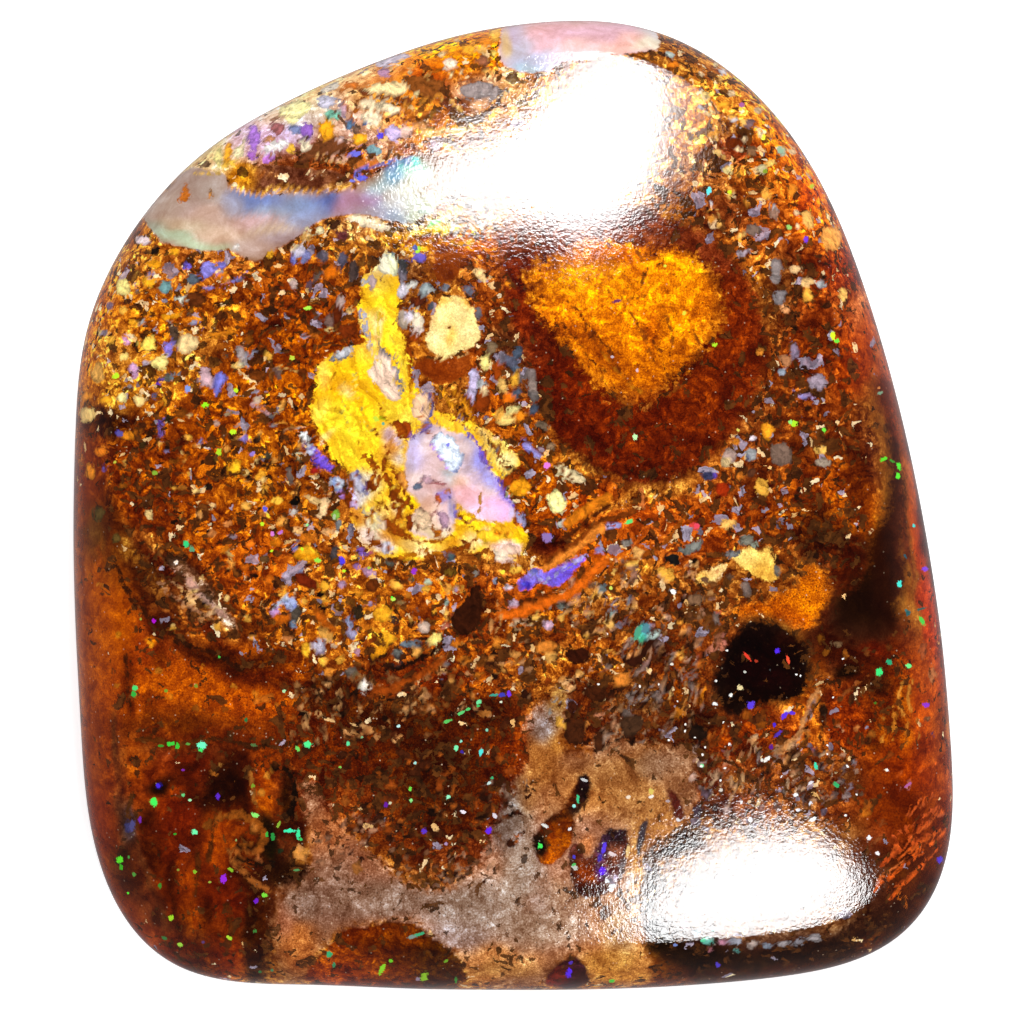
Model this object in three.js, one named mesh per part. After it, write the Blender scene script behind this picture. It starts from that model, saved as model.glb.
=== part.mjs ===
// Boulder opal, a polished free-form cabochon: one natural stone, cut as a rounded trapezoid
// with a domed face, a rounded shoulder and girdle, a tucked-in bevel under the girdle and a
// flat polished back that it rests on.
// Millimetres, +Z up out of the domed face, +Y to the narrow end, +X to the long straight side.
// Origin: the middle of the outline's box, on the plane of the flat back.
import * as THREE from "three";

// ---- driving dimensions (mm) ----
// The outline is a closed cubic B-spline of radii about the origin, one control radius every 6
// degrees, counter-clockwise from +X.
const OUTLINE_STEP_DEG = 6;
const OUTLINE_R = [
  8.384, 8.256, 8.199, 8.211, 8.292, 8.442, 8.665, 8.953, 9.269, 9.587,
  9.867, 10.089, 10.205, 10.182, 10.04, 9.889, 9.761, 9.634, 9.543, 9.515,
  9.539, 9.621, 9.688, 9.698, 9.682, 9.638, 9.558, 9.396, 9.206, 9.087,
  9.059, 9.11, 9.239, 9.461, 9.78, 10.244, 10.836, 11.404, 11.805, 11.836,
  11.374, 10.791, 10.414, 10.183, 10.03, 9.983, 10.036, 10.181, 10.422, 10.758,
  11.203, 11.712, 12.004, 11.812, 11.197, 10.411, 9.77, 9.283, 8.887, 8.592,
];
const GIRDLE_Z = 2.3; // height of the widest outline above the back
const BACK_INSET = 1.15; // how far the back's edge lies inside the girdle
const BACK_TURN_DEG = 72; // how far the underside's round turns before it meets the back
// width of the rounded shoulder inside the girdle, every 45 degrees from +X
const SHOULDER_W = [1.25, 0.85, 0.55, 0.7, 1.0, 1.15, 0.98, 0.9];
const SHOULDER_P = 2.0; // the shoulder's superellipse exponent
const FACE_H = 3.0; // height of the face's middle above the girdle
const EDGE_H = 1.3; // height it has fallen to at the outline
const DOME_R = 10.2; // radius of the round half of the dome; the other half follows the outline

const SEGMENTS = 72;
const UNDER_RINGS = 4;
const SHOULDER_RINGS = 7;
const FACE_RINGS = 7;

// ---- outline ----
function spline(control, t) {
  const n = control.length, i = Math.floor(t), f = t - i;
  const [a, b, c, d] = [-1, 0, 1, 2].map((k) => control[(((i + k) % n) + n) % n]);
  return ((1 - f) ** 3 * a + (3 * f ** 3 - 6 * f * f + 4) * b + (-3 * f ** 3 + 3 * f * f + 3 * f + 1) * c + f ** 3 * d) / 6;
}
const radiusAt = (angle) => spline(OUTLINE_R, THREE.MathUtils.radToDeg(angle) / OUTLINE_STEP_DEG);
const shoulderAt = (angle) => spline(SHOULDER_W, THREE.MathUtils.radToDeg(angle) / 45);
// the share of the way to the middle that lies d inside the outline, measured square to it
function share(angle, d) {
  const e = 0.01, r = radiusAt(angle);
  const slope = (radiusAt(angle + e) - radiusAt(angle - e)) / (2 * e);
  return d / (r * (r / Math.hypot(r, slope)));
}
function pointAt(angle, inside) {
  const r = radiusAt(angle) * (1 - inside);
  return [r * Math.cos(angle), r * Math.sin(angle)];
}

// ---- height of the face ----
function faceHeight(x, y, t) {
  const out = Math.hypot(x, y) / radiusAt(Math.atan2(y, x));
  const fall = 0.5 * out ** 2 + (0.5 * (x * x + y * y)) / DOME_R ** 2;
  const h = EDGE_H + (FACE_H - EDGE_H) * (1 - fall);
  const edge = Math.pow(1 - Math.pow(1 - Math.min(Math.max(t, 0), 1), SHOULDER_P), 1 / SHOULDER_P);
  return GIRDLE_Z + h * edge;
}

// ---- rings from the back's edge up to the middle of the face ----
const rings = [];
const turn = THREE.MathUtils.degToRad(BACK_TURN_DEG);
for (let k = 0; k <= UNDER_RINGS; k++) {
  const phi = turn * (1 - k / UNDER_RINGS);
  const inset = (BACK_INSET * (1 - Math.cos(phi))) / (1 - Math.cos(turn));
  const z = k === 0 ? 0 : GIRDLE_Z * (1 - Math.sin(phi) / Math.sin(turn));
  rings.push((a) => [...pointAt(a, share(a, inset)), z]);
}
for (let k = 1; k <= SHOULDER_RINGS; k++) {
  const t = 1 - Math.cos((Math.PI / 2) * (k / SHOULDER_RINGS));
  rings.push((a) => {
    const [x, y] = pointAt(a, share(a, t * shoulderAt(a)));
    return [x, y, faceHeight(x, y, t)];
  });
}
for (let k = 1; k < FACE_RINGS; k++) {
  const s = 1 - k / FACE_RINGS;
  rings.push((a) => {
    const [x, y] = pointAt(a, share(a, shoulderAt(a)));
    return [x * s, y * s, faceHeight(x * s, y * s, 1)];
  });
}

const positions = [], index = [];
for (const ring of rings)
  for (let i = 0; i < SEGMENTS; i++) positions.push(...ring((2 * Math.PI * i) / SEGMENTS));
const at = (r, i) => r * SEGMENTS + ((i + SEGMENTS) % SEGMENTS);
for (let r = 0; r + 1 < rings.length; r++)
  for (let i = 0; i < SEGMENTS; i++)
    index.push(at(r, i), at(r, i + 1), at(r + 1, i + 1), at(r, i), at(r + 1, i + 1), at(r + 1, i));
const top = positions.length / 3;
positions.push(0, 0, faceHeight(0, 0, 1));
for (let i = 0; i < SEGMENTS; i++) index.push(at(rings.length - 1, i), at(rings.length - 1, i + 1), top);
// the flat back
const backEdge = Array.from({ length: SEGMENTS }, (_, i) => new THREE.Vector2(positions[3 * i], positions[3 * i + 1]));
for (const [a, b, c] of THREE.ShapeUtils.triangulateShape(backEdge, [])) index.push(c, b, a);

const geometry = new THREE.BufferGeometry();
geometry.setAttribute("position", new THREE.Float32BufferAttribute(positions, 3));
geometry.setIndex(index);
geometry.computeVertexNormals();

const stone = new THREE.Mesh(
  geometry,
  new THREE.MeshStandardMaterial({ color: 0x8a4413, roughness: 0.14, metalness: 0.0 }),
);
stone.name = "opal_stone";

const group = new THREE.Group();
group.add(stone);

export default group;
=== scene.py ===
"""Boulder opal: a polished free-form stone, seen from straight above on a white table."""
import math

import bpy
import numpy as np
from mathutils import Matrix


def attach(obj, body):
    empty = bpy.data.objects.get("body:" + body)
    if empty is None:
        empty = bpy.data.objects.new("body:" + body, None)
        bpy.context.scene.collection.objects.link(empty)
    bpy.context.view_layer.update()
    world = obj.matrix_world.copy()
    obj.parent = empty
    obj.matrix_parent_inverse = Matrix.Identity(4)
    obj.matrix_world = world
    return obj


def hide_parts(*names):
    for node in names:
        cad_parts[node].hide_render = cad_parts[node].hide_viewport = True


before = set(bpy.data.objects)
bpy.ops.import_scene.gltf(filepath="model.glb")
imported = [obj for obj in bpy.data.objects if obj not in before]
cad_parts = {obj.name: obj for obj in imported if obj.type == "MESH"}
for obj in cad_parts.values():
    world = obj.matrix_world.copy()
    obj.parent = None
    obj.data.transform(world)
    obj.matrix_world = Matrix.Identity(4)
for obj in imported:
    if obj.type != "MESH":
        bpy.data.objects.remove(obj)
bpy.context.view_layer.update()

MM = 0.001
# ------------------------------------------------------------------ camera and drawing frame
# The drawing below is laid out in units of 1/1010 of the picture, x right and y down.
UNIT = 20.0 / 970.0  # mm per unit at the girdle
MID_X, MID_Y = 513.5, 505.0  # the origin of the stone in those units
GIRDLE_Z = 2.3
CAM_X = (505.0 - MID_X) * UNIT
CAM_D = 350.0


def to_page(x, y, z):
    """Where a point of the stone (mm) falls on the page."""
    s = (CAM_D - GIRDLE_Z) / (CAM_D - z)
    return 505.0 + (x - CAM_X) * s / UNIT, 505.0 - y * s / UNIT


# ------------------------------------------------------------------ form
OUTLINE_R = np.array([
    8.384, 8.256, 8.199, 8.211, 8.292, 8.442, 8.665, 8.953, 9.269, 9.587,
    9.867, 10.089, 10.205, 10.182, 10.04, 9.889, 9.761, 9.634, 9.543, 9.515,
    9.539, 9.621, 9.688, 9.698, 9.682, 9.638, 9.558, 9.396, 9.206, 9.087,
    9.059, 9.11, 9.239, 9.461, 9.78, 10.244, 10.836, 11.404, 11.805, 11.836,
    11.374, 10.791, 10.414, 10.183, 10.03, 9.983, 10.036, 10.181, 10.422, 10.758,
    11.203, 11.712, 12.004, 11.812, 11.197, 10.411, 9.77, 9.283, 8.887, 8.592,
])
SHOULDER_W = np.array([1.25, 0.85, 0.55, 0.7, 1.0, 1.15, 0.98, 0.9])
SHOULDER_P = 2.0
BACK_INSET, BACK_TURN = 1.15, math.radians(72)
EDGE_H, FACE_H = 1.3, 3.0  # above the girdle, at the outline and in the middle
DOME_R = 10.2


def spline(control, t):
    n = len(control)
    i = np.floor(t).astype(int)
    f = t - i
    a, b, c, d = (control[(i + k) % n] for k in (-1, 0, 1, 2))
    return ((1 - f) ** 3 * a + (3 * f**3 - 6 * f**2 + 4) * b + (-3 * f**3 + 3 * f**2 + 3 * f + 1) * c + f**3 * d) / 6


def radius_at(a):
    return spline(OUTLINE_R, np.degrees(a) / 6.0)


def shoulder_at(a):
    return spline(SHOULDER_W, np.degrees(a) / 45.0)


def share(a, d):
    e = 0.01
    r = radius_at(a)
    slope = (radius_at(a + e) - radius_at(a - e)) / (2 * e)
    return d / (r * (r / np.hypot(r, slope)))


def face_height(x, y, t):
    out = np.hypot(x, y) / radius_at(np.arctan2(y, x))
    fall = 0.5 * out**2 + 0.5 * (x**2 + y**2) / DOME_R**2
    h = EDGE_H + (FACE_H - EDGE_H) * (1 - fall)
    t = np.clip(t, 0, 1)
    return GIRDLE_Z + h * (1 - (1 - t) ** SHOULDER_P) ** (1 / SHOULDER_P)


def square_rings(m):
    """A grid of (2m+1) x (2m+1) points bent into m rings: ring number and angle of each point."""
    k = np.arange(-m, m + 1)
    u, v = np.meshgrid(k, k, indexing="xy")
    u, v = u.ravel().astype(float), v.ravel().astype(float)
    wide = np.abs(u) >= np.abs(v)
    with np.errstate(divide="ignore", invalid="ignore"):
        r = np.where(wide, u, v)
        a = np.where(wide, math.pi / 4 * v / u, math.pi / 2 - math.pi / 4 * u / v)
    a = np.where(r == 0, 0, a)
    a = np.where(r < 0, a + math.pi, a)
    ring = np.maximum(np.abs(u), np.abs(v)).astype(int)
    return ring, np.mod(a, 2 * math.pi), u, v


def grid_faces(m):
    n = 2 * m + 1
    i, j = np.meshgrid(np.arange(n - 1), np.arange(n - 1), indexing="xy")
    p = (j * n + i).ravel()
    return np.stack([p, p + 1, p + n + 1, p + n], 1)


def grid_rim(m):
    """The outer points of such a grid, counter-clockwise from angle 0."""
    n = 2 * m + 1
    at = lambda u, v: (v + m) * n + (u + m)
    rim = [at(m, v) for v in range(0, m)] + [at(u, m) for u in range(m, -m, -1)]
    rim += [at(-m, v) for v in range(m, -m, -1)] + [at(u, -m) for u in range(-m, m)]
    rim += [at(m, v) for v in range(-m, 0)]
    return np.array(rim)


M, K = 144, 38  # rings of the face and shoulder, of which the shoulder has K
M2 = M // 4  # rings of the back
UNDER = 9  # rows of the underside

ring, ang, gu, gv = square_rings(M)
w_share = share(ang, shoulder_at(ang))
inner = ring <= M - K
t_sh = np.where(inner, 1.0, 1 - np.cos(math.pi / 2 * (M - ring) / K))
inside = np.where(inner, 0, share(ang, t_sh * shoulder_at(ang)))
s_in = ring / (M - K) * (1 - w_share)
s_top = np.where(inner, s_in, 1 - inside)
rad = s_top * radius_at(ang)
top = np.stack([rad * np.cos(ang), rad * np.sin(ang)], 1)
top_z = face_height(top[:, 0], top[:, 1], t_sh)
verts = [np.column_stack([top, top_z])]
rim = grid_rim(M)
rim_ang = ang[rim]
quads = [grid_faces(M)]
tris = []
count = len(top)
# UV: the face fills a square, the shoulder and underside a band around it, the back a square of its own
BAND = 0.86
uv_s = np.where(inner, ring / (M - K) * 0.80, 0.80 + (ring - (M - K)) / K * (BAND - 0.80))


def square_uv(s, a):
    """A point of the unit square's ring s at the grid angle a."""
    a = np.mod(a + math.pi / 4, 2 * math.pi)
    side = np.floor(a / (math.pi / 2)).astype(int)
    f = (a - side * math.pi / 2) / (math.pi / 4) - 1
    u = np.choose(side, [np.ones_like(f), -f, -np.ones_like(f), f])
    v = np.choose(side, [f, np.ones_like(f), -f, -np.ones_like(f)])
    return np.stack([u * s, v * s], 1)


uv = [square_uv(uv_s, ang)]


def ring_row(a, inset, z):
    s = 1 - share(a, inset)
    r = s * radius_at(a)
    return np.column_stack([r * np.cos(a), r * np.sin(a), np.full_like(r, z)])


def halve(upper, lower):
    """Joins a ring to one below it that has half its points."""
    n = len(lower)
    out = []
    for i in range(n):
        a, b, c = upper[2 * i], upper[2 * i + 1], upper[(2 * i + 2) % (2 * n)]
        p, q = lower[i], lower[(i + 1) % n]
        out += [(a, p, b), (b, p, q), (b, q, c)]
    return np.array(out)


half_ang = rim_ang[::2]
rows = []
for k in range(1, UNDER + 1):
    phi = BACK_TURN * k / UNDER
    inset = BACK_INSET * (1 - math.cos(phi)) / (1 - math.cos(BACK_TURN))
    z = GIRDLE_Z * (1 - math.sin(phi) / math.sin(BACK_TURN))
    verts.append(ring_row(half_ang, inset, 0.0 if k == UNDER else z))
    uv.append(square_uv(np.full(len(half_ang), BAND + (1.0 - BAND) * k / UNDER), half_ang))
    rows.append(count + np.arange(len(half_ang)))
    count += len(half_ang)
tris.append(halve(rim, rows[0]))
for lo, hi in zip(rows[1:], rows[:-1]):
    quads.append(np.stack([hi, lo, np.roll(lo, -1), np.roll(hi, -1)], 1))
UNDER_END = count
# the back: a halving row, then a grid of its own
b_ring, b_ang, _, _ = square_rings(M2)
b_s = (1 - share(b_ang, BACK_INSET)) * (b_ring / M2) * 0.992
b_r = b_s * radius_at(b_ang)
verts.append(np.column_stack([b_r * np.cos(b_ang), b_r * np.sin(b_ang), np.zeros(len(b_r))]))
uv.append(square_uv(b_ring / M2 * 0.98, b_ang))
b_rim = grid_rim(M2) + count
quads.append(grid_faces(M2)[:, ::-1] + count)
tris.append(halve(rows[-1], b_rim))
count += len(b_r)

V = np.concatenate(verts)
UV = np.concatenate(uv)
loops = np.concatenate([np.concatenate(quads).ravel(), np.concatenate(tris).ravel()])
n_quads, n_tris = sum(len(q) for q in quads), sum(len(t) for t in tris)
starts = np.concatenate([np.arange(n_quads) * 4, n_quads * 4 + np.arange(n_tris) * 3])
N_TOP = len(top)

# ------------------------------------------------------------------ mesh
mesh = bpy.data.meshes.new("boulder_opal")
mesh.vertices.add(len(V))
mesh.vertices.foreach_set("co", (V * MM).astype(np.float32).ravel())
mesh.loops.add(len(loops))
mesh.loops.foreach_set("vertex_index", loops.astype(np.int32))
mesh.polygons.add(len(starts))
mesh.polygons.foreach_set("loop_start", starts.astype(np.int32))
mesh.update(calc_edges=True)
mesh.polygons.foreach_set("use_smooth", np.ones(len(starts), bool))
back_loop = np.zeros(len(loops), bool)
face_of = np.repeat(np.arange(len(starts)), np.concatenate([np.full(n_quads, 4), np.full(n_tris, 3)]))
on_back = np.zeros(len(starts), bool)
q0 = n_quads - len(quads[-1])
on_back[q0:n_quads] = True
on_back[len(starts) - len(tris[-1]):] = True
back_loop = on_back[face_of]
xy = UV[loops]
# the halving row's own upper points belong to the back's chart there
edge_row = (loops >= UNDER_END - len(half_ang)) & (loops < UNDER_END) & back_loop
xy[edge_row] = xy[edge_row] / np.abs(xy[edge_row]).max(1, keepdims=True)
chart = np.where(back_loop[:, None], 0.5 + xy * 0.5, 0.5 + xy * 0.5)
final_uv = np.where(
    back_loop[:, None],
    np.array([0.004, 0.806]) + chart * np.array([0.23, 0.19]),
    np.array([0.002, 0.002]) + chart * np.array([0.996, 0.796]),
)
layer = mesh.uv_layers.new(name="OFBake")
layer.data.foreach_set("uv", final_uv.astype(np.float32).ravel())
mesh.validate()
stone = bpy.data.objects.new("boulder_opal", mesh)
bpy.context.scene.collection.objects.link(stone)
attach(stone, "root")
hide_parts("opal_stone")

# ------------------------------------------------------------------ drawing, in page units
# the outlines of the larger patches
REGIONS = {
    'vein': [(143, 214), (155, 202), (173, 182), (194, 164), (212, 170), (227, 173), (228, 182), (233, 189), (255, 193), (279, 194), (309, 192), (338, 192), (357, 189), (359, 180), (374, 173), (392, 162), (407, 154), (420, 152), (437, 153), (461, 156), (472, 169), (461, 186), (450, 197), (437, 206), (426, 217), (416, 223), (405, 223), (390, 225), (381, 219), (364, 217), (351, 216), (340, 214), (331, 216), (320, 219), (307, 232), (294, 241), (281, 248), (268, 253), (256, 262), (246, 258), (231, 247), (220, 249), (199, 251), (181, 249), (164, 245), (153, 236), (147, 225)],
    'cap': [(503, 25), (501, 37), (495, 51), (502, 65), (515, 72), (526, 74), (543, 72), (565, 63), (587, 59), (613, 52), (643, 54), (660, 50), (658, 33), (643, 26), (617, 21), (584, 17), (541, 20)],
    'brown': [(491, 225), (497, 260), (505, 300), (512, 325), (519, 342), (530, 372), (541, 405), (546, 420), (552, 433), (570, 450), (591, 467), (607, 478), (623, 485), (642, 487), (660, 486), (676, 482), (692, 476), (706, 464), (718, 450), (730, 439), (740, 428), (749, 410), (757, 391), (762, 377), (766, 361), (768, 333), (764, 310), (755, 288), (744, 268), (730, 252), (716, 240), (700, 232), (680, 222), (640, 205), (600, 205), (540, 210)],
    'shell': [(335, 942), (345, 930), (352, 928), (366, 928), (378, 926), (384, 921), (398, 919), (412, 922), (426, 930), (440, 939), (452, 948), (460, 957), (464, 968), (467, 990), (300, 990), (308, 966), (320, 955)],
    'gem': [(543, 986), (548, 975), (560, 964), (570, 957), (580, 962), (587, 968), (592, 986)],
    'band': [(868, 395), (880, 410), (884, 450), (886, 490), (880, 520), (868, 532), (862, 555), (864, 569), (850, 580), (838, 592), (833, 607), (835, 628), (848, 638), (862, 640), (892, 640), (905, 610), (910, 570), (911, 530), (908, 490), (902, 450), (894, 410), (884, 378), (872, 378)],
    'ochre': [(731, 611), (745, 606), (758, 606), (770, 603), (782, 597), (794, 587), (800, 574), (808, 565), (820, 572), (830, 580), (829, 596), (822, 612), (808, 628), (796, 626), (783, 620), (766, 617), (748, 619)],
    'yellow': [(388, 251), (379, 263), (366, 272), (361, 284), (364, 290), (359, 301), (358, 314), (360, 326), (365, 337), (369, 345), (362, 341), (352, 346), (340, 350), (329, 357), (317, 366), (314, 382), (309, 403), (310, 414), (315, 424), (319, 435), (326, 448), (333, 460), (342, 468), (349, 480), (354, 494), (354, 509), (349, 519), (356, 525), (358, 534), (366, 546), (381, 558), (402, 561), (427, 554), (443, 549), (456, 545), (466, 550), (476, 554), (488, 550), (497, 557), (513, 561), (526, 552), (531, 538), (524, 527), (513, 523), (515, 516), (502, 486), (501, 479), (515, 473), (524, 462), (513, 454), (495, 436), (478, 423), (469, 420), (452, 416), (436, 412), (433, 405), (420, 391), (411, 391), (410, 373), (411, 366), (406, 348), (402, 330), (399, 311), (401, 293), (399, 280), (397, 266), (395, 257)],
    'core': [(409, 441), (418, 432), (427, 427), (438, 424), (447, 430), (461, 435), (471, 440), (480, 451), (488, 461), (496, 475), (503, 487), (512, 501), (517, 511), (514, 518), (502, 522), (490, 522), (475, 517), (463, 508), (456, 503), (457, 518), (452, 532), (438, 539), (424, 538), (411, 532), (409, 519), (420, 509), (418, 498), (409, 494), (402, 487), (404, 475), (406, 460), (407, 450)],
    'cream': [(438, 301), (450, 295), (461, 296), (472, 305), (474, 319), (478, 330), (479, 338), (470, 348), (456, 353), (444, 356), (432, 352), (425, 346), (425, 337), (431, 329), (429, 318), (436, 309)],
    'cap_brown': [(436, 251), (443, 245), (454, 245), (461, 257), (461, 269), (454, 282), (443, 285), (436, 282), (435, 266)],
    'brown2': [(409, 373), (413, 362), (424, 356), (438, 357), (456, 356), (472, 354), (470, 366), (463, 379), (450, 382), (438, 384), (427, 379), (418, 371)],
    'incl': [(227, 185), (230, 172), (240, 164), (259, 163), (283, 164), (307, 169), (328, 170), (342, 175), (354, 179), (358, 187), (350, 190), (330, 192), (307, 192), (283, 191), (264, 193), (247, 192), (233, 190)],
    'vein2': [(519, 591), (520, 580), (531, 574), (531, 569), (541, 568), (547, 574), (562, 562), (578, 559), (591, 556), (579, 566), (569, 579), (554, 589), (544, 580), (532, 588)],
    'butter': [(730, 555), (747, 550), (750, 542), (759, 556), (769, 544), (772, 562), (779, 572), (775, 583), (762, 580), (750, 569), (738, 566)],
    'butter2': [(694, 578), (703, 572), (719, 566), (726, 562), (725, 575), (712, 583), (700, 584)],
    'hole_a': [(580, 775), (590, 774), (593, 787), (584, 805), (572, 816), (572, 846), (561, 861), (542, 867), (532, 852), (532, 840), (542, 822), (566, 808), (572, 790)],
    'hole_b': [(601, 828), (628, 827), (628, 846), (625, 869), (616, 890), (587, 901), (575, 888), (572, 869), (569, 858), (572, 843), (584, 846), (586, 861), (598, 852)],
    'hole_c': [(642, 823), (650, 816), (649, 831), (643, 852), (638, 858), (638, 840)],
    'slot': [(665, 789), (675, 789), (684, 811), (682, 826), (672, 814)],
    'oval': [(528, 272), (534, 294), (541, 312), (552, 330), (566, 344), (578, 358), (590, 372), (602, 386), (618, 396), (634, 404), (650, 400), (662, 390), (675, 377), (688, 364), (700, 350), (710, 336), (719, 320), (723, 303), (718, 284), (708, 268), (692, 255), (672, 249), (656, 260), (640, 248), (625, 237), (609, 244), (584, 240), (562, 252), (544, 260)],
    'stone': [(298, 780), (306, 797), (311, 815), (313, 840), (311, 858), (306, 874), (290, 884), (281, 893), (279, 908), (271, 925), (272, 940), (277, 955), (281, 984), (307, 984), (308, 966), (316, 955), (331, 941), (348, 927), (366, 927), (380, 923), (395, 920), (412, 923), (428, 931), (443, 941), (456, 951), (463, 962), (467, 986), (530, 990), (543, 985), (552, 971), (571, 958), (584, 964), (592, 985), (652, 985), (652, 968), (646, 945), (642, 925), (640, 900), (642, 873), (645, 858), (653, 849), (663, 841), (674, 832), (682, 824), (687, 815), (692, 804), (695, 793), (697, 775), (696, 762), (691, 749), (673, 748), (655, 747), (642, 744), (630, 741), (619, 735), (607, 732), (600, 736), (596, 744), (588, 752), (577, 754), (565, 750), (560, 735), (563, 722), (566, 705), (568, 690), (566, 677), (556, 690), (545, 700), (535, 712), (529, 725), (529, 741), (530, 752), (528, 763), (520, 772), (514, 782), (512, 797), (505, 810), (498, 822), (493, 838), (487, 852), (479, 866), (468, 878), (455, 884), (441, 888), (425, 890), (408, 884), (392, 872), (378, 860), (363, 848), (348, 832), (335, 819), (322, 803), (310, 786)],
    'eye': [(750, 618), (768, 616), (786, 624), (798, 634), (808, 646), (812, 662), (812, 680), (806, 694), (800, 703), (784, 704), (768, 704), (756, 708), (746, 716), (736, 722), (724, 716), (712, 700), (710, 684), (714, 668), (720, 652), (727, 640), (736, 630)],
}
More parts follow.
